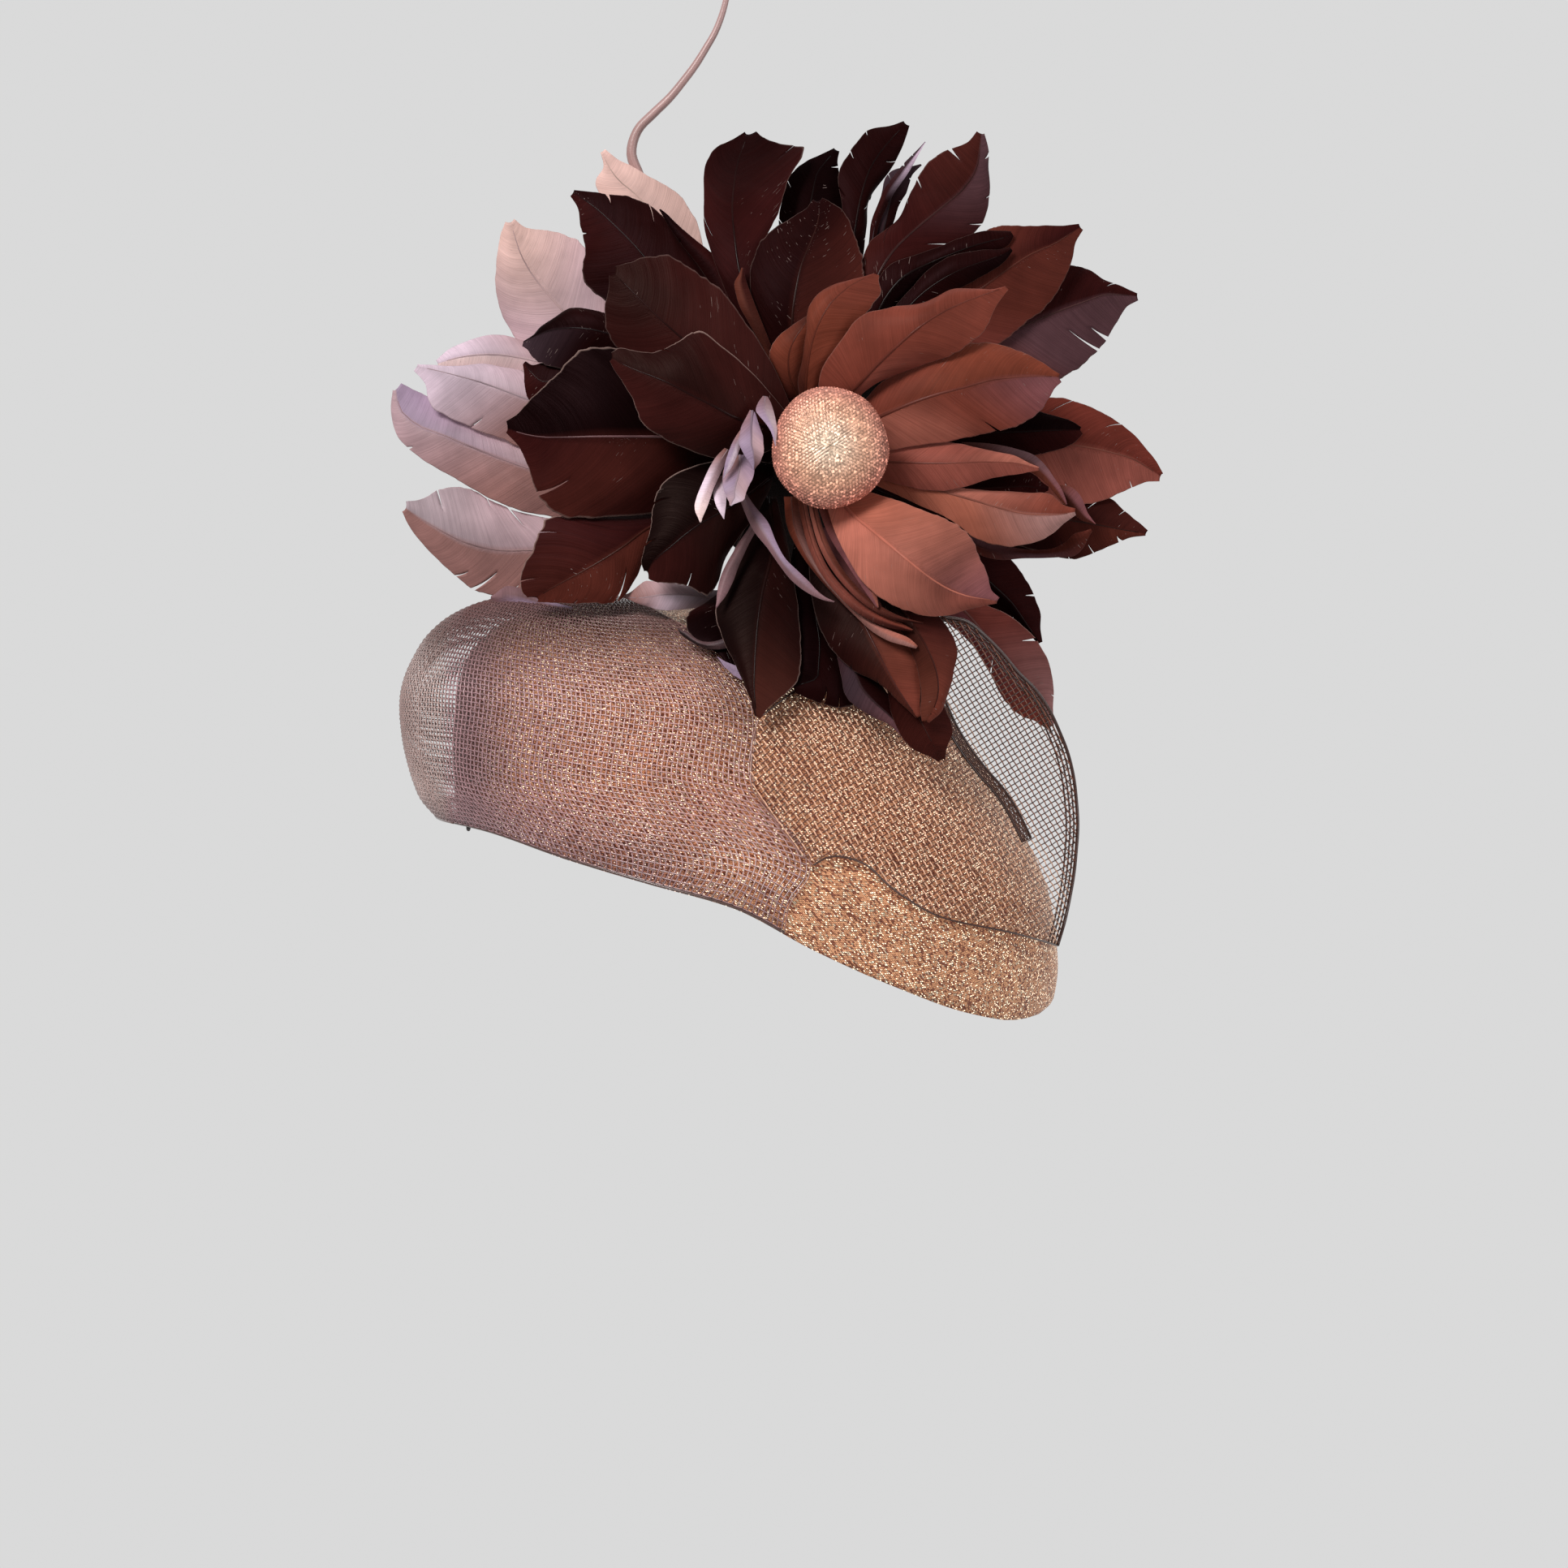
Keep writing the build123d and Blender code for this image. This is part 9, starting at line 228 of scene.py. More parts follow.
NET_LEFT = (17, 25, [-30.65, -11.82, 40.89, -32.12, -11.99, 40.89, -33.61, -12, 40.89, -35.08, -11.86, 40.9, -36.53, -11.56, 40.93, -37.94, -11.1, 40.99, -39.28, -10.5, 41.06, -40.54, -9.77, 41.14, -41.7, -8.9, 41.23, -42.74, -7.91, 41.32, -43.66, -6.82, 41.4, -44.43, -5.63, 41.47, -45.06, -4.37, 41.53, -45.52, -3.04, 41.56, -45.81, -1.68, 41.57, -45.93, -0.29, 41.57, -45.88, 1.1, 41.57, -45.66, 2.47, 41.57, -45.27, 3.82, 41.55, -44.72, 5.11, 41.51, -44, 6.33, 41.44, -43.14, 7.46, 41.36, -42.15, 8.5, 41.26, -41.04, 9.41, 41.17, -39.82, 10.21, 41.08, -28.63, -30.83, 38.43, -32.37, -30.33, 38.56, -35.95, -29.6, 38.66, -39.4, -28.67, 38.83, -42.71, -27.48, 39.07, -45.83, -25.95, 39.37, -48.7, -24.1, 39.71, -51.3, -21.97, 40.06, -53.57, -19.57, 40.4, -55.48, -16.97, 40.72, -57.11, -14.26, 40.99, -58.49, -11.48, 41.21, -59.57, -8.61, 41.36, -60.31, -5.66, 41.43, -60.7, -2.67, 41.43, -60.79, 0.33, 41.44, -60.61, 3.33, 41.44, -60.12, 6.31, 41.43, -59.3, 9.24, 41.36, -58.13, 12.08, 41.19, -56.64, 14.8, 40.96, -54.87, 17.42, 40.67, -52.84, 19.92, 40.33, -50.51, 22.26, 39.97, -47.87, 24.34, 39.6, -22.52, -43.51, 34.59, -28.44, -42.92, 34.91, -33.95, -41.94, 35.16, -39.12, -40.68, 35.54, -44.03, -39.07, 36.06, -48.69, -36.99, 36.71, -53.02, -34.45, 37.45, -56.96, -31.5, 38.22, -60.44, -28.12, 38.97, -63.4, -24.4, 39.67, -65.93, -20.52, 40.26, -68.05, -16.52, 40.71, -69.69, -12.36, 41.01, -70.79, -8.06, 41.16, -71.35, -3.71, 41.18, -71.46, 0.66, 41.18, -71.17, 5.01, 41.18, -70.44, 9.33, 41.17, -69.17, 13.57, 41, -67.36, 17.64, 40.66, -65.06, 21.52, 40.17, -62.35, 25.2, 39.56, -59.24, 28.68, 38.83, -55.72, 31.89, 38.04, -51.79, 34.73, 37.25, -14.46, -52.15, 29.97, -21.47, -51.93, 30.52, -28.2, -51.22, 30.92, -34.65, -50.1, 31.29, -40.9, -48.57, 31.91, -46.95, -46.5, 32.75, -52.73, -43.84, 33.78, -58.16, -40.6, 34.88, -63.11, -36.72, 36.04, -67.49, -32.22, 37.19, -71.26, -27.39, 38.16, -74.42, -22.34, 38.92, -76.89, -17.03, 39.46, -78.58, -11.48, 39.77, -79.49, -5.83, 39.84, -79.77, -0.17, 39.86, -79.51, 5.46, 39.85, -78.66, 11.04, 39.81, -77.09, 16.5, 39.58, -74.74, 21.73, 39.09, -71.71, 26.64, 38.37, -68.12, 31.25, 37.45, -64, 35.53, 36.36, -59.35, 39.41, 35.17, -54.18, 42.75, 33.99, -7.99, -58.97, 24.75, -16.44, -59.06, 25.56, -24.42, -58.46, 26.15, -31.99, -57.32, 26.63, -39.3, -55.76, 27.36, -46.4, -53.62, 28.39, -53.22, -50.83, 29.64, -59.67, -47.38, 30.99, -65.62, -43.2, 32.43, -70.93, -38.34, 33.84, -75.61, -33.03, 35.05, -79.65, -27.35, 35.97, -82.91, -21.23, 36.65, -85.22, -14.73, 37.08, -86.51, -8, 37.21, -86.99, -1.2, 37.25, -86.78, 5.59, 37.22, -85.83, 12.35, 37.16, -83.95, 18.96, 36.9, -81.03, 25.22, 36.33, -77.24, 31.03, 35.48, -72.75, 36.37, 34.36, -67.66, 41.24, 33.01, -62, 45.57, 31.53, -55.82, 49.25, 30.07, -2.28, -64.04, 19.01, -11.2, -64.46, 20.09, -19.85, -64.16, 20.88, -28.19, -63.18, 21.45, -36.34, -61.75, 22.21, -44.37, -59.76, 23.3, -52.24, -57.07, 24.65, -59.83, -53.62, 26.16, -66.99, -49.26, 27.81, -73.53, -43.97, 29.5, -79.29, -38.09, 30.91, -84.25, -31.73, 31.97, -88.25, -24.8, 32.75, -91.1, -17.36, 33.27, -92.7, -9.62, 33.47, -93.32, -1.81, 33.53, -93.13, 5.99, 33.48, -92.08, 13.75, 33.37, -89.94, 21.32, 33.06, -86.53, 28.46, 32.43, -82.05, 35.02, 31.51, -76.76, 40.99, 30.25, -70.76, 46.33, 28.71, -64.11, 50.98, 27.02, -56.92, 54.84, 25.37, 2.27, -68.14, 12.92, -7.35, -68.69, 14.3, -16.62, -68.45, 15.31, -25.55, -67.49, 16, -34.27, -66.11, 16.82, -42.92, -64.21, 17.92, -51.46, -61.64, 19.25, -59.8, -58.32, 20.67, -67.79, -54.08, 22.21, -75.24, -48.87, 23.79, -81.93, -42.81, 25.25, -87.78, -36.03, 26.33, -92.59, -28.5, 27.12, -96.08, -20.29, 27.7, -98.09, -11.65, 27.99, -98.92, -2.87, 28.09, -98.8, 5.93, 28, -97.68, 14.68, 27.79, -95.29, 23.23, 27.42, -91.37, 31.23, 26.78, -86.17, 38.5, 25.87, -80, 44.99, 24.59, -72.99, 50.62, 23.11, -65.32, 55.36, 21.55, -57.21, 59.21, 19.99, 6.08, -71.65, 6.46, -3.74, -72.25, 8.17, -13.43, -72.08, 9.41, -22.83, -71.14, 10.26, -32.08, -69.75, 11.17, -41.3, -67.86, 12.35, -50.47, -65.3, 13.74, -59.47, -61.94, 15.22, -68.15, -57.6, 16.82, -76.25, -52.22, 18.44, -83.62, -45.96, 19.71, -90.11, -38.87, 20.55, -95.48, -30.89, 21.11, -99.43, -22.14, 21.53, -101.75, -12.85, 21.74, -102.72, -3.36, 21.82, -102.59, 6.16, 21.73, -101.34, 15.63, 21.55, -98.67, 24.85, 21.28, -94.3, 33.45, 20.83, -88.54, 41.18, 20.16, -81.7, 48, 19.13, -74.02, 53.87, 17.75, -65.69, 58.78, 16.15, -56.93, 62.71, 14.54, 7.04, -75.06, -0.33, -2.19, -75.4, 1.72, -11.53, -75.11, 3.23, -21.03, -74.13, 4.25, -30.5, -72.71, 5.26, -40, -70.79, 6.5, -49.47, -68.21, 7.94, -58.8, -64.85, 9.45, -67.94, -60.5, 11.11, -76.61, -55.05, 12.8, -84.58, -48.6, 14.1, -91.59, -41.19, 14.9, -97.4, -32.81, 15.42, -101.69, -23.57, 15.81, -104.22, -13.74, 16.05, -105.27, -3.69, 16.14, -105.14, 6.39, 16.03, -103.8, 16.41, 15.82, -100.95, 26.17, 15.52, -96.27, 35.23, 15.1, -90.08, 43.36, 14.48, -82.73, 50.47, 13.47, -74.48, 56.54, 12.07, -65.57, 61.56, 10.42, -56.27, 65.55, 8.77, 6.46, -78.12, -7.38, -2.85, -78.15, -4.98, -12.23, -77.56, -3.22, -21.61, -76.39, -2, -30.97, -74.85, -0.86, -40.29, -72.81, 0.46, -49.54, -70.13, 1.95, -58.72, -66.72, 3.49, -67.81, -62.34, 5.2, -76.67, -56.87, 6.96, -84.92, -50.33, 8.29, -92.22, -42.77, 9.06, -98.31, -34.15, 9.56, -102.85, -24.61, 9.95, -105.57, -14.42, 10.21, -106.72, -3.96, 10.32, -106.57, 6.55, 10.2, -105.11, 16.99, 9.94, -102.07, 27.14, 9.61, -97.11, 36.55, 9.19, -90.59, 44.96, 8.6, -82.84, 52.28, 7.6, -74.19, 58.49, 6.18, -64.91, 63.62, 4.48, -55.31, 67.73, 2.78, 5.79, -80.69, -14.69, -3.73, -80.45, -11.92, -13.2, -79.57, -9.89, -22.64, -78.21, -8.45, -32.06, -76.46, -7.16, -41.43, -74.15, -5.73, -50.71, -71.18, -4.14, -59.87, -67.46, -2.52, -68.77, -62.88, -0.75, -77.27, -57.39, 1.08, -85.25, -50.87, 2.45, -92.45, -43.25, 3.23, -98.5, -34.52, 3.72, -103.06, -24.84, 4.13, -105.81, -14.48, 4.42, -106.97, -3.82, 4.56, -106.77, 6.93, 4.42, -105.19, 17.62, 4.13, -101.98, 27.99, 3.76, -96.84, 37.6, 3.33, -90.12, 46.19, 2.74, -82.16, 53.66, 1.72, -73.31, 59.98, 0.25, -63.9, 65.22, -1.5, -54.22, 69.45, -3.28, 8.08, -82.56, -22.24, -3.68, -82.36, -19.1, -13.89, -81.25, -16.78, -23.54, -79.7, -15.14, -33.09, -77.69, -13.72, -42.53, -75.07, -12.17, -51.81, -71.78, -10.44, -60.9, -67.76, -8.67, -69.69, -62.92, -6.7, -78.05, -57.17, -4.69, -85.85, -50.41, -3.23, -92.84, -42.55, -2.41, -98.65, -33.65, -1.9, -102.96, -23.89, -1.48, -105.5, -13.5, -1.16, -106.55, -2.82, -1, -106.2, 7.98, -1.13, -104.47, 18.72, -1.43, -101.07, 29.1, -1.82, -95.82, 38.7, -2.27, -89.05, 47.29, -2.9, -81.07, 54.79, -3.98, -72.21, 61.18, -5.57, -62.79, 66.5, -7.52, -53.09, 70.85, -9.48, 14.64, -83.62, -29.97, 1.57, -83.94, -26.48, -10.77, -82.99, -23.88, -22.01, -81.23, -22.07, -32.62, -78.85, -20.53, -42.76, -75.79, -18.85, -52.41, -72.05, -16.98, -61.52, -67.67, -15.05, -70.24, -62.52, -12.89, -78.5, -56.57, -10.64, -86.15, -49.63, -8.99, -92.91, -41.62, -8.03, -98.47, -32.61, -7.4, -102.54, -22.79, -6.87, -104.9, -12.38, -6.46, -105.81, -1.71, -6.26, -105.32, 9.07, -6.4, -103.45, 19.77, -6.77, -99.88, 30.08, -7.25, -94.54, 39.61, -7.81, -87.75, 48.15, -8.56, -79.76, 55.63, -9.81, -70.92, 62.03, -11.6, -61.53, 67.44, -13.76, -51.87, 71.93, -15.89, 22.23, -84.36, -37.92, 8.02, -85.27, -33.99, -5.2, -84.7, -31.12, -16.94, -83.04, -29.16, -28.08, -80.52, -27.53, -39.09, -77.1, -25.75, -49.93, -72.93, -23.72, -60.29, -67.97, -21.62, -69.87, -62.17, -19.26, -78.37, -55.77, -16.79, -85.87, -48.62, -14.95, -92.4, -40.46, -13.86, -97.71, -31.38, -13.13, -101.56, -21.56, -12.49, -103.76, -11.21, -11.99, -104.55, -0.63, -11.74, -103.92, 10.06, -11.91, -101.89, 20.64, -12.34, -98.19, 30.8, -12.92, -92.83, 40.21, -13.58, -86.09, 48.68, -14.44, -78.19, 56.13, -15.84, -69.45, 62.58, -17.81, -60.13, 68.04, -20.16, -50.42, 72.65, -22.48, 23.15, -85.96, -46.22, 13.03, -86.51, -41.8, 1.18, -86.32, -38.57, -11.09, -85.01, -36.39, -23.02, -82.53, -34.59, -34.62, -78.83, -32.65, -45.66, -74.12, -30.48, -55.94, -68.7, -28.26, -66.16, -62.56, -25.73, -76.14, -55.83, -23.06, -84.47, -48.1, -21.05, -91.13, -39.6, -19.85, -96.36, -30.32, -19.02, -100.07, -20.46, -18.29, -102.15, -10.19, -17.71, -102.85, 0.29, -17.42, -102.11, 10.83, -17.61, -99.97, 21.25, -18.11, -96.2, 31.22, -18.77, -90.88, 40.44, -19.52, -84.25, 48.77, -20.48, -76.46, 56.08, -22.02, -67.6, 62.26, -24.17, -58.12, 67.6, -26.72, -48.48, 72.68, -29.17, 17.39, -87.45, -54.83, 9.41, -87.77, -49.93, 1.59, -87.42, -46.32, -8.74, -86.28, -43.88, -19.27, -84.2, -41.88, -30.05, -80.99, -39.73, -41.16, -76.42, -37.33, -52, -70.54, -34.85, -62.25, -63.52, -32.07, -71.59, -56.11, -29.22, -79.9, -48.22, -27.12, -87.07, -39.75, -25.82, -92.82, -30.54, -24.94, -97.06, -20.65, -24.15, -99.53, -10.32, -23.53, -100.38, 0.15, -23.22, -99.58, 10.53, -23.42, -97.25, 20.65, -23.97, -93.27, 30.27, -24.7, -87.83, 39.18, -25.51, -81.19, 47.27, -26.56, -73.59, 54.59, -28.19, -65.3, 61.38, -30.45, -56.37, 67.67, -33.18, -46.84, 73.46, -35.89, 15.62, -87.37, -63.5, 6.2, -87.78, -58.23, -3.53, -87.27, -54.34, -13.07, -85.91, -51.66, -21.78, -83.89, -49.45, -30.33, -81.16, -47.07, -39.74, -77.24, -44.42, -49.18, -72.21, -41.68, -58.78, -65.79, -38.6, -68.23, -57.81, -35.41, -76.33, -49.15, -33.01, -82.95, -40.28, -31.57, -88.21, -31, -30.58, -92.15, -21.27, -29.74, -94.6, -11.19, -29.09, -95.54, -0.98, -28.77, -94.91, 9.14, -28.99, -92.84, 19.06, -29.57, -89.37, 28.64, -30.35, -84.62, 37.73, -31.26, -78.75, 46.23, -32.43, -71.87, 54.17, -34.27, -64, 61.6, -36.82, -55.05, 68.41, -39.85, -45.26, 74.38, -42.84])
NET_RIGHT = (17, 21, [7.92, -74.92, 1.61, 10.42, -73.62, 3.65, 12.96, -71.96, 5.65, 15.54, -70.28, 7.6, 18.15, -68.6, 9.5, 20.81, -66.93, 11.33, 23.51, -65.26, 13.11, 26.25, -63.59, 14.82, 29.05, -61.91, 16.48, 31.89, -60.21, 18.09, 34.77, -58.51, 19.66, 37.68, -56.8, 21.2, 40.61, -55.09, 22.7, 43.55, -53.37, 24.18, 46.51, -51.65, 25.63, 49.49, -49.92, 27.05, 52.49, -48.19, 28.45, 55.52, -46.46, 29.81, 58.57, -44.72, 31.15, 61.64, -43, 32.45, 64.73, -41.63, 33.71, 6.95, -76.11, -1.51, 9.88, -74.77, 0.8, 12.87, -73, 2.97, 15.9, -71.17, 5.01, 18.95, -69.35, 6.97, 22.01, -67.55, 8.8, 25.1, -65.76, 10.54, 28.24, -63.96, 12.25, 31.44, -62.13, 13.92, 34.7, -60.3, 15.56, 38, -58.44, 17.18, 41.33, -56.57, 18.79, 44.69, -54.69, 20.4, 48.08, -52.8, 21.99, 51.49, -50.9, 23.57, 54.93, -49, 25.14, 58.38, -47.09, 26.67, 61.86, -45.18, 28.16, 65.36, -43.26, 29.62, 68.88, -41.36, 31.05, 72.42, -39.85, 32.43, 6.18, -77.56, -4.66, 9.46, -76.23, -2.24, 12.79, -74.43, -0.05, 16.18, -72.5, 1.92, 19.57, -70.51, 3.78, 22.92, -68.54, 5.46, 26.3, -66.57, 7.01, 29.74, -64.59, 8.55, 33.25, -62.57, 10.08, 36.82, -60.53, 11.59, 40.44, -58.47, 13.09, 44.11, -56.38, 14.61, 47.81, -54.26, 16.17, 51.55, -52.13, 17.73, 55.31, -49.99, 19.29, 59.1, -47.83, 20.82, 62.92, -45.67, 22.33, 66.75, -43.51, 23.8, 70.61, -41.35, 25.22, 74.48, -39.2, 26.61, 78.36, -37.49, 27.96, 5.74, -78.9, -7.82, 9.33, -77.63, -5.34, 12.96, -75.9, -3.17, 16.67, -73.98, -1.31, 20.35, -71.91, 0.41, 23.97, -69.8, 1.89, 27.59, -67.66, 3.21, 31.29, -65.47, 4.54, 35.07, -63.24, 5.89, 38.92, -60.97, 7.22, 42.82, -58.67, 8.57, 46.77, -56.34, 9.97, 50.77, -53.97, 11.43, 54.82, -51.57, 12.91, 58.9, -49.16, 14.39, 63.01, -46.72, 15.87, 67.15, -44.29, 17.31, 71.3, -41.85, 18.7, 75.47, -39.41, 20.05, 79.66, -36.98, 21.36, 83.85, -35.06, 22.63, 5.6, -80.1, -11.05, 9.44, -78.89, -8.52, 13.34, -77.25, -6.4, 17.33, -75.41, -4.66, 21.27, -73.39, -3.1, 25.1, -71.26, -1.85, 28.93, -69.01, -0.78, 32.85, -66.63, 0.33, 36.86, -64.16, 1.48, 40.94, -61.65, 2.61, 45.09, -59.1, 3.78, 49.29, -56.5, 5.03, 53.55, -53.85, 6.37, 57.86, -51.17, 7.75, 62.22, -48.45, 9.15, 66.62, -45.72, 10.53, 71.03, -42.98, 11.89, 75.46, -40.25, 13.18, 79.91, -37.51, 14.43, 84.38, -34.79, 15.64, 88.85, -32.63, 16.81, 5.51, -81.17, -14.31, 9.64, -80.03, -11.71, 13.83, -78.46, -9.6, 18.11, -76.71, -7.96, 22.32, -74.78, -6.54, 26.4, -72.72, -5.48, 30.46, -70.49, -4.65, 34.62, -68, -3.74, 38.88, -65.31, -2.77, 43.22, -62.53, -1.81, 47.63, -59.71, -0.8, 52.1, -56.82, 0.33, 56.65, -53.88, 1.58, 61.26, -50.89, 2.88, 65.92, -47.86, 4.21, 70.62, -44.81, 5.54, 75.35, -41.75, 6.83, 80.08, -38.69, 8.05, 84.83, -35.63, 9.23, 89.61, -32.59, 10.36, 94.38, -30.18, 11.44, 5.5, -82.1, -17.41, 9.86, -81.01, -14.77, 14.28, -79.51, -12.73, 18.82, -77.84, -11.25, 23.25, -76.01, -10.01, 27.51, -74.07, -9.2, 31.75, -71.95, -8.64, 36.09, -69.48, -7.99, 40.55, -66.66, -7.25, 45.09, -63.64, -6.52, 49.71, -60.51, -5.71, 54.4, -57.32, -4.76, 59.18, -54.05, -3.65, 64.03, -50.72, -2.48, 68.94, -47.34, -1.27, 73.9, -43.94, -0.06, 78.88, -40.52, 1.11, 83.86, -37.11, 2.21, 88.87, -33.7, 3.25, 93.9, -30.3, 4.26, 98.91, -27.61, 5.21, 6.24, -82.85, -20.33, 10.74, -81.8, -17.71, 15.31, -80.36, -15.78, 20, -78.76, -14.48, 24.56, -77.02, -13.46, 28.92, -75.2, -12.94, 33.24, -73.21, -12.7, 37.67, -70.86, -12.33, 42.23, -68.07, -11.87, 46.88, -64.92, -11.4, 51.62, -61.51, -10.84, 56.44, -57.97, -10.11, 61.35, -54.34, -9.19, 66.36, -50.64, -8.19, 71.42, -46.88, -7.15, 76.54, -43.08, -6.1, 81.69, -39.27, -5.09, 86.83, -35.47, -4.16, 92, -31.66, -3.29, 97.19, -27.87, -2.46, 102.36, -24.86, -1.68, 7.82, -83.44, -23.15, 12.39, -82.4, -20.56, 17.04, -80.99, -18.75, 21.82, -79.44, -17.66, 26.45, -77.77, -16.88, 30.84, -76.06, -16.65, 35.17, -74.21, -16.74, 39.63, -72, -16.69, 44.22, -69.34, -16.51, 48.92, -66.23, -16.33, 53.7, -62.69, -16.03, 58.58, -58.85, -15.53, 63.56, -54.86, -14.83, 68.65, -50.76, -14.02, 73.8, -46.6, -13.16, 79.02, -42.4, -12.29, 84.26, -38.19, -11.46, 89.49, -33.97, -10.72, 94.75, -29.75, -10.04, 100.03, -25.55, -9.41, 105.29, -22.22, -8.83, 9.86, -83.9, -25.88, 14.44, -82.87, -23.34, 19.09, -81.47, -21.66, 23.89, -79.96, -20.8, 28.51, -78.36, -20.27, 32.86, -76.75, -20.37, 37.14, -75.04, -20.81, 41.54, -72.98, -21.08, 46.1, -70.5, -21.21, 50.76, -67.57, -21.32, 55.51, -64.12, -21.32, 60.37, -60.15, -21.07, 65.34, -55.85, -20.6, 70.43, -51.4, -20, 75.61, -46.85, -19.35, 80.84, -42.26, -18.68, 86.09, -37.65, -18.06, 91.35, -33.04, -17.53, 96.62, -28.43, -17.07, 101.91, -23.83, -16.66, 107.19, -20.19, -16.3, 11.96, -84.29, -28.53, 16.5, -83.25, -26.05, 21.12, -81.87, -24.53, 25.89, -80.41, -23.9, 30.46, -78.89, -23.64, 34.72, -77.4, -24.06, 38.9, -75.82, -24.87, 43.21, -73.94, -25.47, 47.68, -71.66, -25.92, 52.25, -68.97, -26.35, 56.93, -65.76, -26.63, 61.71, -61.92, -26.66, 66.63, -57.51, -26.43, 71.67, -52.76, -26.07, 76.81, -47.87, -25.63, 82.01, -42.9, -25.19, 87.23, -37.92, -24.78, 92.45, -32.93, -24.48, 97.68, -27.94, -24.26, 102.94, -22.97, -24.1, 108.17, -19.02, -23.97, 13.84, -84.66, -31.11, 18.32, -83.61, -28.7, 22.89, -82.25, -27.33, 27.62, -80.85, -26.93, 32.13, -79.44, -26.95, 36.29, -78.07, -27.71, 40.35, -76.66, -28.87, 44.55, -74.98, -29.82, 48.92, -72.93, -30.59, 53.39, -70.51, -31.33, 57.97, -67.62, -31.92, 62.66, -64.1, -32.21, 67.49, -59.87, -32.23, 72.46, -55.03, -32.1, 77.55, -49.83, -31.89, 82.7, -44.46, -31.67, 87.87, -39.04, -31.5, 93.04, -33.62, -31.44, 98.22, -28.18, -31.47, 103.43, -22.76, -31.55, 108.61, -18.45, -31.67, 15.76, -85.02, -33.63, 20.14, -83.97, -31.29, 24.61, -82.66, -30.07, 29.27, -81.34, -29.93, 33.66, -80.06, -30.22, 37.67, -78.82, -31.31, 41.57, -77.56, -32.84, 45.62, -76.09, -34.13, 49.85, -74.29, -35.22, 54.18, -72.16, -36.28, 58.61, -69.6, -37.16, 63.15, -66.47, -37.73, 67.84, -62.64, -37.99, 72.69, -58.07, -38.09, 77.66, -52.83, -38.12, 82.71, -47.12, -38.13, 87.79, -41.17, -38.2, 92.87, -35.13, -38.39, 97.96, -29.05, -38.67, 103.08, -22.98, -39.01, 108.16, -18.15, -39.38, 17.78, -85.34, -36.09, 22.04, -84.34, -33.81, 26.4, -83.13, -32.76, 30.95, -81.92, -32.85, 35.22, -80.75, -33.42, 39.06, -79.63, -34.85, 42.78, -78.48, -36.75, 46.66, -77.18, -38.38, 50.72, -75.61, -39.79, 54.88, -73.73, -41.16, 59.15, -71.45, -42.34, 63.53, -68.67, -43.18, 68.06, -65.27, -43.68, 72.75, -61.18, -44.01, 77.56, -56.32, -44.26, 82.47, -50.7, -44.5, 87.43, -44.44, -44.81, 92.39, -37.73, -45.26, 97.38, -30.74, -45.8, 102.41, -23.63, -46.41, 107.39, -17.94, -47.05, 19.91, -85.6, -38.49, 24.02, -84.69, -36.28, 28.23, -83.59, -35.38, 32.65, -82.49, -35.72, 36.75, -81.42, -36.56, 40.4, -80.39, -38.32, 43.91, -79.33, -40.6, 47.58, -78.16, -42.57, 51.44, -76.75, -44.3, 55.41, -75.05, -45.99, 59.49, -72.98, -47.46, 63.68, -70.45, -48.57, 68.02, -67.39, -49.31, 72.53, -63.74, -49.87, 77.15, -59.41, -50.34, 81.87, -54.32, -50.8, 86.64, -48.37, -51.34, 91.43, -41.51, -52.03, 96.27, -33.72, -52.84, 101.19, -25.18, -53.75, 106.07, -18, -54.67, 22.14, -85.77, -40.81, 26.08, -84.95, -38.67, 30.12, -83.95, -37.93, 34.38, -82.95, -38.51, 38.31, -81.97, -39.63, 41.73, -81, -41.73, 45.01, -80, -44.37, 48.47, -78.91, -46.68, 52.11, -77.6, -48.73, 55.87, -75.99, -50.73, 59.74, -74.04, -52.5, 63.73, -71.69, -53.88, 67.86, -68.88, -54.86, 72.17, -65.55, -55.64, 76.59, -61.66, -56.33, 81.1, -57.11, -57, 85.65, -51.81, -57.75, 90.2, -45.55, -58.68, 94.83, -37.95, -59.74, 99.57, -28.6, -60.93, 104.33, -19.73, -62.16, 24.46, -85.86, -43.06, 28.2, -85.09, -40.98, 32.05, -84.17, -40.41, 36.12, -83.23, -41.22, 39.83, -82.3, -42.61, 43.01, -81.38, -45.04, 46.03, -80.41, -48.05, 49.23, -79.36, -50.7, 52.64, -78.08, -53.07, 56.15, -76.5, -55.39, 59.79, -74.62, -57.45, 63.53, -72.38, -59.09, 67.44, -69.73, -60.31, 71.52, -66.62, -61.32, 75.72, -63.01, -62.21, 79.99, -58.84, -63.1, 84.29, -54.04, -64.06, 88.59, -48.43, -65.2, 92.93, -41.61, -66.5, 97.4, -32.82, -67.93, 101.92, -23.76, -69.43])
NET_FOLD = (7, 3, [62.57, -50.28, 7.12, 64, -48.88, 7.75, 65.4, -48.18, 8.37, 66.06, -50.41, -0.84, 67.44, -49.59, -0.14, 68.84, -47.94, 0.57, 70.55, -49.01, -8.33, 71.83, -48.15, -7.49, 73.13, -47.21, -6.64, 75.88, -46.68, -15.32, 77.1, -45.6, -14.37, 78.32, -44.52, -13.41, 81.62, -43.59, -21.8, 82.89, -42.27, -20.89, 84.16, -41.09, -19.98, 86.22, -40.74, -28.86, 87.61, -39.45, -28.13, 89, -38.16, -27.39, 90.09, -38.66, -36.63, 91.53, -37.21, -35.98, 92.99, -35.36, -35.34])
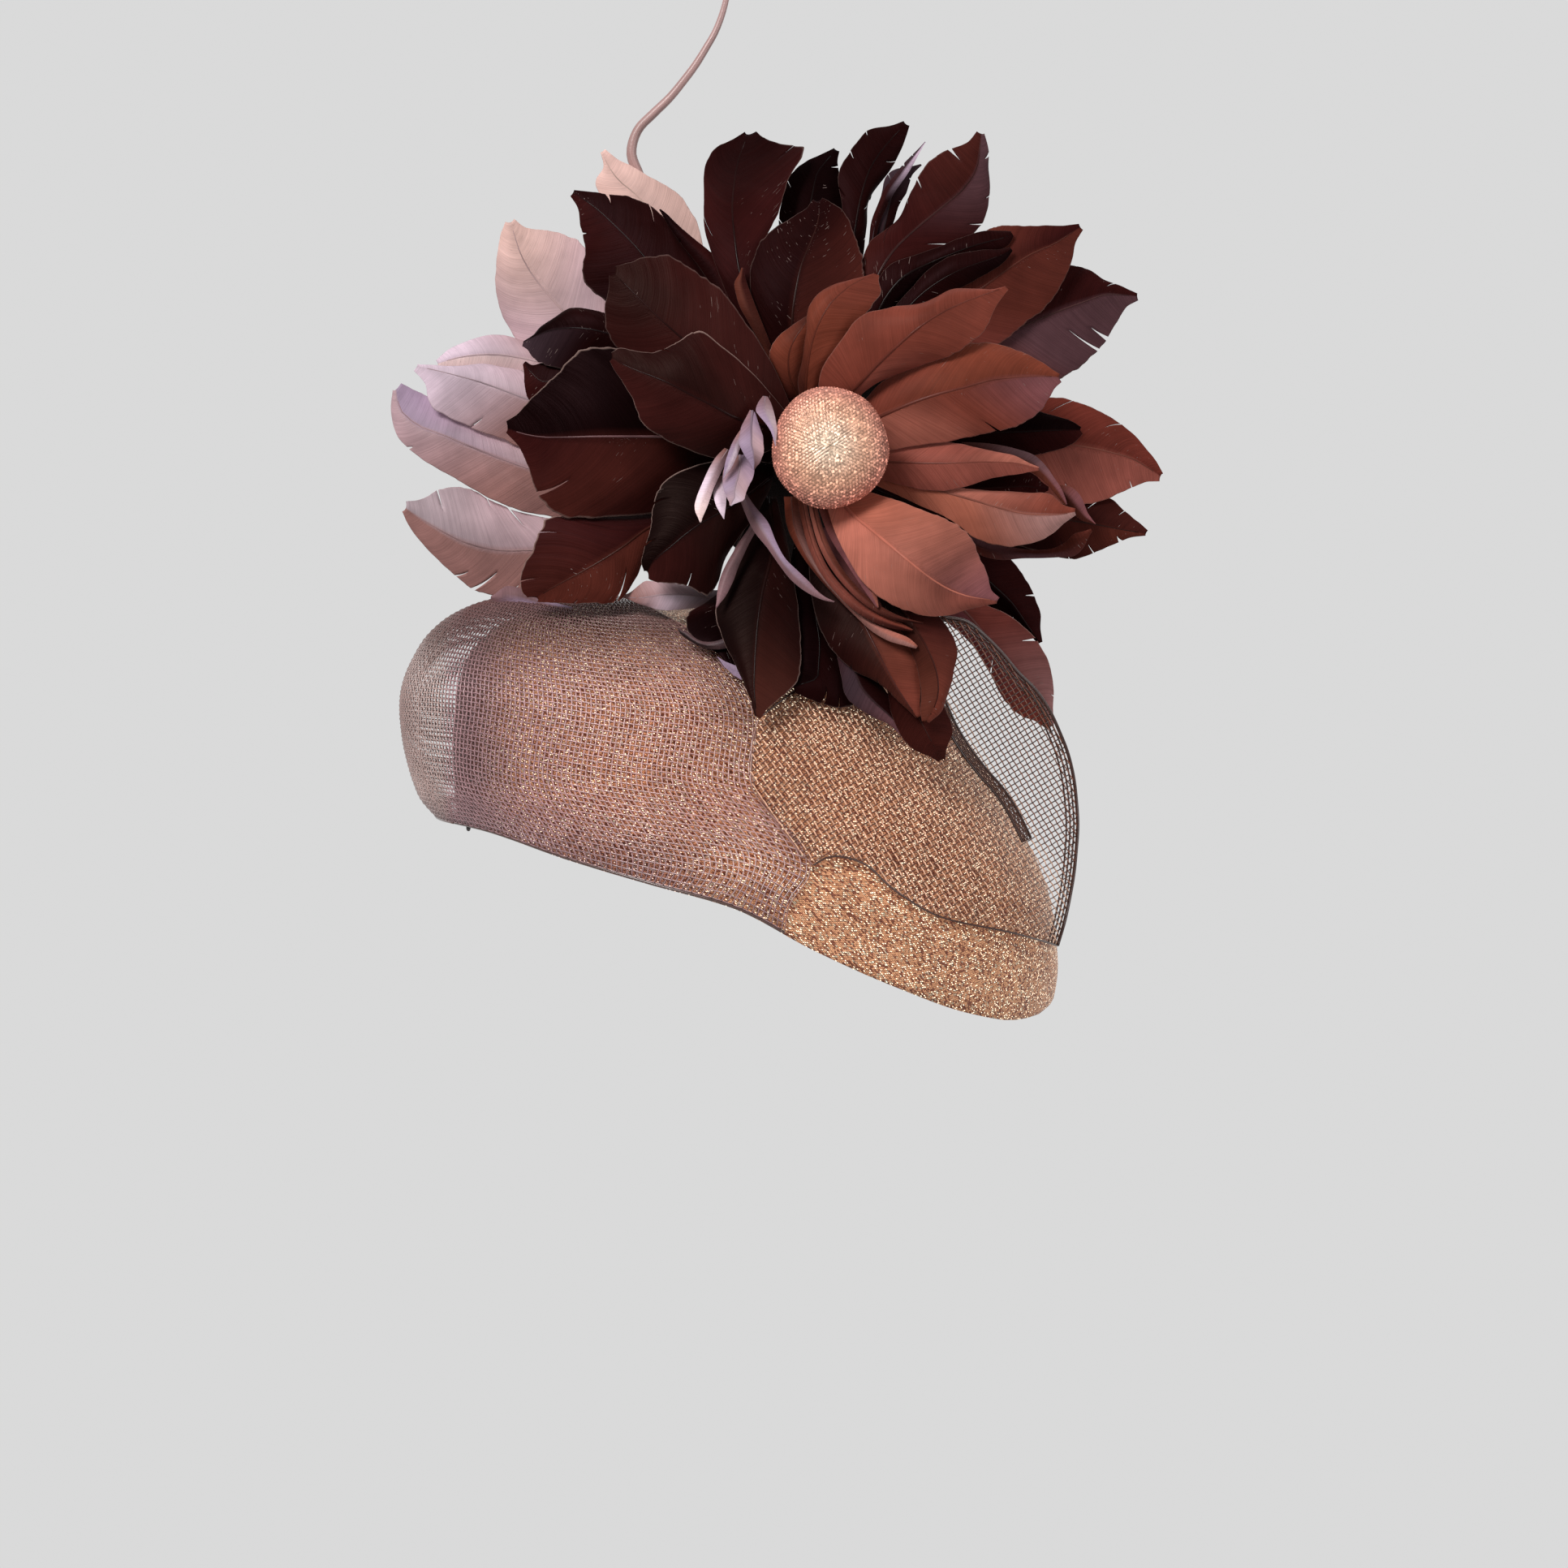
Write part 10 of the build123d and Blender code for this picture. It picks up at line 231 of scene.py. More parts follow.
CAP_Z = [-98, -94.97, -91.95, -88.92, -85.9, -82.87, -79.85, -76.82, -73.79, -70.77, -67.74, -64.72, -61.69, -58.67, -55.64, -52.62, -49.59, -46.56, -43.54, -40.51, -37.49, -34.46, -31.44, -28.41, -25.38, -22.36, -19.33, -16.31, -13.28, -10.26, -7.23, -4.21, -1.18, 1.85, 4.87, 7.9, 10.92, 13.95, 16.97, 20, 21, 22, 23, 24, 25, 26, 27, 28, 29, 30, 31, 32, 33, 34, 35, 36, 36.2, 36.4, 36.6, 36.8, 37, 37.2, 37.4, 37.6, 37.8, 38, 38.2, 38.4, 38.6, 38.8, 39, 39.2, 39.4, 39.6]
CAP_C = [15.9, 15.31, 14.78, 14.27, 13.78, 13.29, 12.8, 12.29, 11.74, 11.18, 10.6, 10.01, 9.39, 8.75, 8.06, 7.33, 6.53, 5.67, 4.76, 3.81, 2.83, 1.83, 0.84, -0.14, -1.11, -2.05, -2.99, -3.93, -4.89, -5.88, -6.91, -8, -9.15, -10.37, -11.68, -13.05, -14.49, -15.99, -17.56, -19.17, -19.71, -20.26, -20.82, -21.39, -21.97, -22.56, -23.17, -23.8, -24.44, -25.11, -25.81, -26.53, -27.3, -28.21, -29.21, -30.24, -30.44, -30.64, -30.84, -31.04, -31.23, -31.41, -31.59, -31.77, -31.94, -32.1, -32.26, -32.41, -32.55, -32.68, -32.8, -32.92, -33.03, -33.13]
CAP_R = [82.8, 84.47, 85.81, 87.11, 88.31, 89.39, 90.29, 90.99, 91.43, 91.76, 92.06, 92.31, 92.53, 92.68, 92.78, 92.8, 92.67, 92.39, 91.98, 91.47, 90.88, 90.24, 89.58, 88.93, 88.29, 87.6, 86.85, 86.03, 85.15, 84.19, 83.16, 82.05, 80.85, 79.54, 78.07, 76.43, 74.59, 72.52, 70.18, 67.53, 66.54, 65.46, 64.3, 63.05, 61.7, 60.26, 58.72, 57.07, 55.3, 53.42, 51.4, 49.18, 46.68, 43.84, 40.58, 36.77, 35.93, 35.06, 34.15, 33.21, 32.23, 31.2, 30.11, 28.92, 27.64, 26.26, 24.75, 23.1, 21.29, 19.28, 17, 14.32, 10.99, 6]
RIM_X = [-112, -108, -104, -100, -96, -92, -88, -84, -80, -76, -72, -68, -64, -60, -56, -52, -48, -44, -40, -36, -32, -28, -24, -20, -16, -12, -8, -4, 0, 4, 8, 12, 16, 20, 24, 28, 32, 36, 40, 44, 48, 52, 56, 60, 64, 68, 72, 76, 80, 84, 88, 92, 96, 100, 104, 108, 112, 116]
RIM_Z = [-23, -23.91, -25.55, -27.47, -29.21, -30.37, -31.22, -31.97, -32.76, -33.7, -34.83, -36.08, -37.42, -38.78, -40.14, -41.43, -42.63, -43.8, -44.95, -46.08, -47.21, -48.33, -49.45, -50.51, -51.52, -52.53, -53.61, -54.79, -56.13, -57.77, -59.77, -62, -64.32, -66.61, -68.71, -70.66, -72.58, -74.46, -76.3, -78.07, -79.77, -81.44, -83.13, -84.78, -86.35, -87.78, -89.02, -90.05, -91.07, -91.85, -92.11, -91.73, -90.85, -88.49, -84, -80.46, -77.11, -74]
QUILL = [(4.87, 45.12, 1.8), (2.52, 56.38, 1.8), (-0.36, 66.84, 1.8), (-6.9, 98.24, 1.77), (-14.75, 129.64, 1.75), (-22.08, 155.81, 1.73), (-29.14, 171.51, 1.7), (-31.24, 178.05, 1.68), (-33.59, 184.59, 1.65), (-31.5, 192.44, 1.55), (-26.53, 197.68, 1.48), (-21.16, 202.91, 1.4), (-16.85, 208.14, 1.32), (-12.92, 213.38, 1.25), (-9.65, 218.61, 1.18), (-6.64, 223.84, 1.1), (-4.55, 229.08, 1.02), (-3.11, 234.31, 0.97), (-2.19, 244.78, 0.88), (-2.45, 257.86, 0.75), (-4.81, 273.56, 0.62), (-9.52, 289.26, 0.5), (-16.06, 302.34, 0.4), (-23.91, 312.81, 0.3)]


# ------------------------------------------------------------------ small helpers


def lin(c, k=1.0):
    """An 8-bit display colour as a linear colour."""
    v = np.asarray(c, float) / 255.0
    v = np.where(v <= 0.04045, v / 12.92, ((v + 0.055) / 1.055) ** 2.4) * k
    return v


def smooth(x):
    x = np.clip(x, 0, 1)
    return x * x * (3 - 2 * x)


def cubic(xs, ys, x):
    """Natural-looking cubic through table points, ys of any trailing shape."""
    xs = np.asarray(xs, float)
    ys = np.asarray(ys, float)
    n = len(xs)
    d = np.zeros_like(ys)
    h = np.diff(xs)
    sh = (n - 1,) + (1,) * (ys.ndim - 1)
    s = np.diff(ys, axis=0) / h.reshape(sh)
    w0 = h[1:].reshape((n - 2,) + sh[1:])
    w1 = h[:-1].reshape((n - 2,) + sh[1:])
    d[1:-1] = (s[:-1] * w0 + s[1:] * w1) / (w0 + w1)
    d[0], d[-1] = s[0], s[-1]
    x = np.asarray(x, float)
    i = np.clip(np.searchsorted(xs, x, side="right") - 1, 0, n - 2)
    hh = h[i]
    t = (x - xs[i]) / hh
    tr = (-1,) + (1,) * (ys.ndim - 1)
    t = t.reshape(tr)
    hh = hh.reshape(tr)
    return ((1 + 2 * t) * (1 - t) ** 2) * ys[i] + t * (1 - t) ** 2 * hh * d[i] + t * t * (3 - 2 * t) * ys[i + 1] + t * t * (t - 1) * hh * d[i + 1]


def grid_eval(tab, s, t):
    """Bicubic point of a sheet table at across s and down t, both 0..1 arrays of one shape."""
    rows, cols, flat = tab
    G = np.array(flat, float).reshape(rows, cols, 3)
    s, t = np.broadcast_arrays(np.asarray(s, float), np.asarray(t, float))

    def wts(x, n):
        x = np.clip(x, 0, 1) * (n - 1)
        i = np.clip(np.floor(x).astype(int), 0, n - 2)
        f = x - i
        idx = np.stack([i - 1, i, i + 1, i + 2], -1)
        w = np.stack([-0.5 * f + f * f - 0.5 * f ** 3, 1 - 2.5 * f * f + 1.5 * f ** 3, 0.5 * f + 2 * f * f - 1.5 * f ** 3, -0.5 * f * f + 0.5 * f ** 3], -1)
        return idx, w

    P = np.zeros((rows + 2, cols + 2, 3))
    P[1:-1, 1:-1] = G
    P[0, 1:-1] = 2 * G[0] - G[1]
    P[-1, 1:-1] = 2 * G[-1] - G[-2]
    P[:, 0] = 2 * P[:, 1] - P[:, 2]
    P[:, -1] = 2 * P[:, -2] - P[:, -3]
    it, wt = wts(t, rows)
    js, ws = wts(s, cols)
    out = np.zeros(s.shape + (3,))
    for a in range(4):
        for b in range(4):
            out += (wt[..., a] * ws[..., b])[..., None] * P[it[..., a] + 1, js[..., b] + 1]
    return out


def mesh_object(name, verts, faces, mats, body="hat", tint=None, uv=None, mat_index=None, shade=True):
    """A mesh in metres from millimetre points, riding a body."""
    me = bpy.data.meshes.new(name)
    verts = np.asarray(verts, float) * MM
    if isinstance(faces, np.ndarray):
        k = faces.shape[1]
        me.vertices.add(len(verts))
        me.vertices.foreach_set("co", verts.astype(np.float32).ravel())
        me.loops.add(faces.size)
        me.loops.foreach_set("vertex_index", faces.astype(np.int32).ravel())
        me.polygons.add(len(faces))
        me.polygons.foreach_set("loop_start", np.arange(0, faces.size, k, dtype=np.int32))
        me.update(calc_edges=True)
    else:
        me.from_pydata([tuple(v) for v in verts], [], faces)
    for m in mats:
        me.materials.append(m)
    if mat_index is not None:
        me.polygons.foreach_set("material_index", np.asarray(mat_index, np.int32))
    loops = np.zeros(len(me.loops), np.int32)
    me.loops.foreach_get("vertex_index", loops)
    if uv is not None:
        layer = me.uv_layers.new(name="grain")
        layer.data.foreach_set("uv", np.asarray(uv, np.float32)[loops].ravel())
    if tint is not None:
        attr = me.color_attributes.new("tint", "FLOAT_COLOR", "POINT")
        col = np.ones((len(verts), 4), np.float32)
        col[:, :3] = tint
        attr.data.foreach_set("color", col.ravel())
    if shade:
        me.polygons.foreach_set("use_smooth", np.ones(len(me.polygons), bool))
    me.validate()
    ob = bpy.data.objects.new(name, me)
    bpy.context.scene.collection.objects.link(ob)
    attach(ob, body)
    return ob


class Soup:
    """Collects quads of several grids into one mesh."""

    def __init__(self):
        self.v, self.f, self.t, self.u, self.m, self.n = [], [], [], [], [], 0

    def add(self, v, f, tint, uv, mat=0):
        self.v.append(v)
        self.f.append(np.asarray(f) + self.n)
        self.t.append(tint)
        self.u.append(uv)
        self.m.append(np.full(len(f), mat))
        self.n += len(v)

    def object(self, name, mats, **kw):
        return mesh_object(name, np.concatenate(self.v), np.concatenate(self.f), mats, tint=np.concatenate(self.t), uv=np.concatenate(self.u), mat_index=np.concatenate(self.m), **kw)


def tube_grid(path, radius, sides=8, squash=None, up=(0, 0, 1)):
    """Rings of points round a path; returns (n, sides, 3)."""
    path = np.asarray(path, float)
    tan = np.gradient(path, axis=0)
    tan /= np.linalg.norm(tan, axis=1, keepdims=True) + 1e-12
    up = np.asarray(up, float)
    if up.ndim == 1:
        up = np.broadcast_to(up, tan.shape)
    side = np.cross(tan, up)
    side /= np.linalg.norm(side, axis=1, keepdims=True) + 1e-9
    nor = np.cross(side, tan)
    a = np.linspace(0, 2 * np.pi, sides, endpoint=False)
    r = np.broadcast_to(np.asarray(radius, float), (len(path),))
    sq = 1.0 if squash is None else squash
    return path[:, None] + (np.cos(a)[None, :, None] * side[:, None] + sq * np.sin(a)[None, :, None] * nor[:, None]) * r[:, None, None]


def ring_faces(n, k, close=True, cap=True):
    """Quads of an n by k tube; no end caps are made here."""
    i, j = np.meshgrid(np.arange(n - 1), np.arange(k), indexing="ij")
    a = i * k + j
    b = i * k + (j + 1) % k
    q = np.stack([a, b, b + k, a + k], -1).reshape(-1, 4)
    return q


# ------------------------------------------------------------------ materials
def nodes_of(name):
    m = bpy.data.materials.new(name)
    m.use_nodes = True
    nt = m.node_tree
    nt.nodes.clear()
    out = nt.nodes.new("ShaderNodeOutputMaterial")
    bs = nt.nodes.new("ShaderNodeBsdfPrincipled")
    nt.links.new(bs.outputs[0], out.inputs[0])
    return m, nt, bs


def N(nt, kind, **kw):
    n = nt.nodes.new(kind)
    for k, v in kw.items():
        if k.startswith("in_"):
            key = k[3:]
            n.inputs[int(key) if key.isdigit() else key.replace("_", " ")].default_value = v
        else:
            setattr(n, k, v)
    return n


def link(nt, a, b):
    nt.links.new(a, b)


def math_node(nt, op, a, b=None, c=None, clamp=False):
    n = nt.nodes.new("ShaderNodeMath")
    n.operation = op
    n.use_clamp = clamp
    for i, x in enumerate((a, b, c)):
        if x is None:
            continue
        if isinstance(x, (int, float)):
            n.inputs[i].default_value = x
        else:
            nt.links.new(x, n.inputs[i])
    return n.outputs[0]


def ramp(nt, fac, stops):
    n = nt.nodes.new("ShaderNodeValToRGB")
    el = n.color_ramp.elements
    while len(el) < len(stops):
        el.new(0.5)
    for e, (p, c) in zip(el, stops):
        e.position = p
        e.color = (c[0], c[1], c[2], 1) if hasattr(c, "__len__") else (c, c, c, 1)
    nt.links.new(fac, n.inputs[0])
    return n.outputs[0]


def mix(nt, mode, fac, a, b):
    n = nt.nodes.new("ShaderNodeMix")
    n.data_type = "RGBA"
    n.blend_type = mode
    for s, x in ((0, fac), (6, a), (7, b)):
        if isinstance(x, (int, float)):
            n.inputs[s].default_value = x
        elif hasattr(x, "__len__"):
            n.inputs[s].default_value = (x[0], x[1], x[2], 1)
        else:
            nt.links.new(x, n.inputs[s])
    return n.outputs[2]


def noise(nt, vec, scale, detail=2.0, rough=0.5, dim="3D"):
    n = nt.nodes.new("ShaderNodeTexNoise")
    n.noise_dimensions = dim
    n.inputs["Scale"].default_value = scale
    n.inputs["Detail"].default_value = detail
    n.inputs["Roughness"].default_value = rough
    if vec is not None:
        nt.links.new(vec, n.inputs["Vector"])
    return n.outputs[0]


def mapping(nt, vec, scale, rot=(0, 0, 0), loc=(0, 0, 0)):
    n = nt.nodes.new("ShaderNodeMapping")
    n.inputs["Scale"].default_value = scale
    n.inputs["Rotation"].default_value = rot
    n.inputs["Location"].default_value = loc
    nt.links.new(vec, n.inputs["Vector"])
    return n.outputs[0]


def bump(nt, bs, height, strength, dist):
    n = nt.nodes.new("ShaderNodeBump")
    n.inputs["Strength"].default_value = strength
    n.inputs["Distance"].default_value = dist
    nt.links.new(height, n.inputs["Height"])
    nt.links.new(n.outputs[0], bs.inputs["Normal"])
    return n


def tint_of(nt):
    n = nt.nodes.new("ShaderNodeAttribute")
    n.attribute_name = "tint"
    return n.outputs["Color"]


def uv_of(nt):
    n = nt.nodes.new("ShaderNodeUVMap")
    n.uv_map = "grain"
    return n.outputs[0]


def coords(nt):
    return nt.nodes.new("ShaderNodeTexCoord").outputs["Object"]


def vane_material(name, rough, sheen, sheen_tint, scratch, contrast, spec=0.3, spec_tint=(1.0, 0.8, 0.76)):
    """Goose vane: fine barbs that sweep off the rib, mottling, pale nicks along the barbs."""
    m, nt, bs = nodes_of(name)
    uv = uv_of(nt)
    barb = noise(nt, mapping(nt, uv, (2400.0, 45.0, 1.0)), 1.0, 3.0, 0.6, "2D")
    wide = noise(nt, mapping(nt, uv, (420.0, 30.0, 1.0)), 1.0, 2.0, 0.5, "2D")
    mott = noise(nt, mapping(nt, coords(nt), (55.0, 55.0, 55.0)), 1.0, 3.0, 0.55)
    streak = ramp(nt, barb, [(0.3, 1.0 - 0.13 * contrast), (0.5, 1.0), (0.72, 1.0 + 0.14 * contrast)])
    band = ramp(nt, wide, [(0.28, 1.0 - 0.06 * contrast), (0.5, 1.0), (0.75, 1.0 + 0.07 * contrast)])
    cloud = ramp(nt, mott, [(0.3, 0.80), (0.5, 1.0), (0.7, 1.22)])
    c = mix(nt, "MULTIPLY", 1.0, tint_of(nt), streak)
    c = mix(nt, "MULTIPLY", 1.0, c, band)
    c = mix(nt, "MULTIPLY", 1.0, c, cloud)
    nick = noise(nt, mapping(nt, uv, (2600.0, 260.0, 1.0), (0, 0, 0), (3.1, 7.7, 0)), 1.0, 1.0, 0.4, "2D")
    zone = noise(nt, mapping(nt, coords(nt), (40.0, 40.0, 40.0), (0, 0, 0), (5.0, 1.0, 2.0)), 1.0, 1.0)
    nk = math_node(nt, "MULTIPLY", math_node(nt, "GREATER_THAN", nick, 0.79), math_node(nt, "GREATER_THAN", zone, 0.60))
    nk = math_node(nt, "MULTIPLY", nk, scratch)
    c = mix(nt, "MIX", nk, c, (0.30, 0.22, 0.20))
    link(nt, c, bs.inputs["Base Color"])
    rg = math_node(nt, "ADD", math_node(nt, "MULTIPLY", barb, 0.24), rough - 0.12)
    link(nt, rg, bs.inputs["Roughness"])
    h = math_node(nt, "ADD", barb, math_node(nt, "MULTIPLY", wide, 1.6))
    bump(nt, bs, h, 0.35, 0.00022)
    bs.inputs["Sheen Weight"].default_value = sheen
    bs.inputs["Sheen Roughness"].default_value = 0.4
    bs.inputs["Sheen Tint"].default_value = (*sheen_tint, 1)
    bs.inputs["Specular IOR Level"].default_value = spec
    bs.inputs["Specular Tint"].default_value = (*spec_tint, 1)
    bs.inputs["Anisotropic"].default_value = 0.4
    return m


def rib_material():
    m, nt, bs = nodes_of("feather_rib")
    uv = uv_of(nt)
    n = noise(nt, mapping(nt, uv, (60.0, 20.0, 1.0)), 1.0, 2.0, 0.5, "2D")
    c = mix(nt, "MULTIPLY", 1.0, tint_of(nt), ramp(nt, n, [(0.35, 0.7), (0.6, 1.15)]))
    link(nt, c, bs.inputs["Base Color"])
    link(nt, math_node(nt, "ADD", math_node(nt, "MULTIPLY", n, 0.25), 0.15), bs.inputs["Roughness"])
    bump(nt, bs, n, 0.2, 0.0001)
    bs.inputs["Specular IOR Level"].default_value = 0.12
    return m


MAT_RUST = vane_material("vane_rust", 0.44, 0.04, (1.0, 0.66, 0.60), 0.6, 1.0, 0.06, (1.0, 0.62, 0.54))
MAT_DARK = vane_material("vane_dark", 0.44, 0.01, (0.9, 0.5, 0.6), 0.8, 1.1, 0.04, (1.0, 0.50, 0.56))
MAT_MAUVE = vane_material("vane_mauve", 0.48, 0.15, (1.0, 0.92, 1.0), 0.5, 0.8, 0.30, (1.0, 0.92, 0.96))
MAT_RIB = rib_material()


def lurex_material(name, gold, pale, deep, pitch, sparkle=1.0):
    """Metallic knit: small slanted stitches, lighter in the middle with painted shade in the gaps, and painted glints
    that glow through emission on a share of the stitches.
    """
    m, nt, bs = nodes_of(name)
    uv = uv_of(nt)
    v = mapping(nt, uv, (1000.0 / pitch, 1000.0 / (pitch * 0.8), 1.0), (0, 0, math.radians(32)))
    vo = nt.nodes.new("ShaderNodeTexVoronoi")
    vo.voronoi_dimensions = "2D"
    vo.inputs["Scale"].default_value = 1.0
    vo.inputs["Randomness"].default_value = 0.38
    link(nt, v, vo.inputs["Vector"])
    cellc = nt.nodes.new("ShaderNodeSeparateColor")
    link(nt, vo.outputs["Color"], cellc.inputs[0])
    big = noise(nt, mapping(nt, coords(nt), (90.0, 90.0, 90.0)), 1.0, 2.0)
    c = ramp(nt, cellc.outputs[0], [(0.0, deep), (0.18, deep), (0.4, gold), (0.85, gold), (1.0, pale)])
    c = mix(nt, "MULTIPLY", 1.0, c, tint_of(nt))
    c = mix(nt, "MULTIPLY", 1.0, c, ramp(nt, big, [(0.3, 0.86), (0.7, 1.12)]))
    # painted highlight in the middle of each stitch and painted shade in the gaps between stitches
    c = mix(nt, "MULTIPLY", 1.0, c, ramp(nt, vo.outputs["Distance"], [(0.0, 1.25), (0.34, 1.0), (0.58, 0.30)]))
    link(nt, c, bs.inputs["Base Color"])
    # painted glints: the stitches picked here glow
    glint = math_node(nt, "MULTIPLY", math_node(nt, "GREATER_THAN", cellc.outputs[1], 1.0 - 0.17 * sparkle), math_node(nt, "LESS_THAN", vo.outputs["Distance"], 0.30))
    met = math_node(nt, "ADD", math_node(nt, "MULTIPLY", cellc.outputs[2], 0.3), 0.1, clamp=True)
    link(nt, met, bs.inputs["Metallic"])
    rg = math_node(nt, "SUBTRACT", 0.50, math_node(nt, "MULTIPLY", cellc.outputs[1], 0.24), clamp=True)
    link(nt, rg, bs.inputs["Roughness"])
    # the painted glints go out as emission
    em = mix(nt, "MULTIPLY", 1.0, mix(nt, "MIX", glint, (0, 0, 0), pale), tint_of(nt))
    link(nt, em, bs.inputs["Emission Color"])
    bs.inputs["Emission Strength"].default_value = 1.7
    wob = noise(nt, v, 1.7, 1.0, 0.5, "2D")
    h = math_node(nt, "SUBTRACT", math_node(nt, "MULTIPLY", wob, 0.5), vo.outputs["Distance"])
    bump(nt, bs, h, 0.9, 0.0005)
    return m


MAT_LUREX = lurex_material("lurex_knit", tuple(lin((255, 182, 136), 1.26)), tuple(lin((255, 238, 208))), tuple(lin((176, 104, 80))), 0.7)


def crin_material(name, rough=0.25):
    m, nt, bs = nodes_of(name)
    n = noise(nt, mapping(nt, coords(nt), (400.0, 400.0, 400.0)), 1.0, 2.0)
    c = mix(nt, "MULTIPLY", 1.0, tint_of(nt), ramp(nt, n, [(0.3, 0.82), (0.7, 1.15)]))
    link(nt, c, bs.inputs["Base Color"])
    link(nt, math_node(nt, "ADD", math_node(nt, "MULTIPLY", n, 0.2), rough - 0.08), bs.inputs["Roughness"])
    bump(nt, bs, n, 0.15, 0.00008)
    bs.inputs["Specular IOR Level"].default_value = 0.7
    bs.inputs["Coat Weight"].default_value = 0.3
    bs.inputs["Coat Roughness"].default_value = 0.2
    return m


MAT_CRIN = crin_material("crin_thread")

# ------------------------------------------------------------------ feathers
STATIONS = np.array([0, 0.14, 0.28, 0.42, 0.55, 0.67, 0.78, 0.87, 0.94, 1.0])
# painted highlight along the cut edges: share of pale colour on each vane's first and second edge, 0.14 where a vane is
# not listed
PAINTED_EDGE_HIGHLIGHT = {"P2": (0.5, 0.35), "P4a": (0.45, 0.45), "P4b": (0.45, 0.45), "P13": (0.45, 0.3), "P24": (0.5, 0.5), "P11": (0.5, 0.5), "P12": (0.55, 0.5), "P27": (0.5, 0.5), "F1": (0, 0), "F2": (0, 0), "F3": (0, 0), "F4": (0, 0)
}
SLITS = {"P13": [(1, 0.62, 0.45, 1.2)], "P2": [(-1, 0.55, 0.3, 1.0)], "P20": [(1, 0.7, 0.4, 1.2)], "P6": [(1, 0.45, 0.3, 1.0)], "P17b": [(1, 0.6, 0.6, 1.3)], "P17c": [(-1, 0.75, 0.5, 1.2)], "P18": [(1, 0.9, 0.5, 1.4), (-1, 0.84, 0.4, 1.2)], "P24": [(1, 0.5, 0.5, 1.4)], "P12": [(-1, 0.75, 0.4, 1.2)], "P26": [(1, 0.8, 0.5, 1.2)], "P27": [(-1, 0.6, 0.35, 1.2)], "M4": [(1, 0.4, 0.5, 1.3), (1, 0.6, 0.5, 1.2), (-1, 0.5, 0.4, 1.0)], "P22a": [(1, 0.85, 0.5, 1.2)], "P25a": [(1, 0.8, 0.5, 1.2)], "P10a": [(-1, 0.7, 0.4, 1.0)], "P15": [(-1, 0.8, 0.4, 1.1)]
}
FRINGE = {"P17a": 4, "P17b": 7, "P17c": 7, "P17d": 4, "P18": 8, "P21": 4, "P22a": 5, "P26": 4, "P27": 3, "M4": 5, "P12": 3, "P24": 5, "P15b": 3, "P15": 2, "P20": 3, "P10a": 3, "P25a": 3, "M2": 2, "M3": 2, "P16": 2, "P23": 2}
RIB_TINT = {"P8": "rose_hi", "P13": "dusk"
}


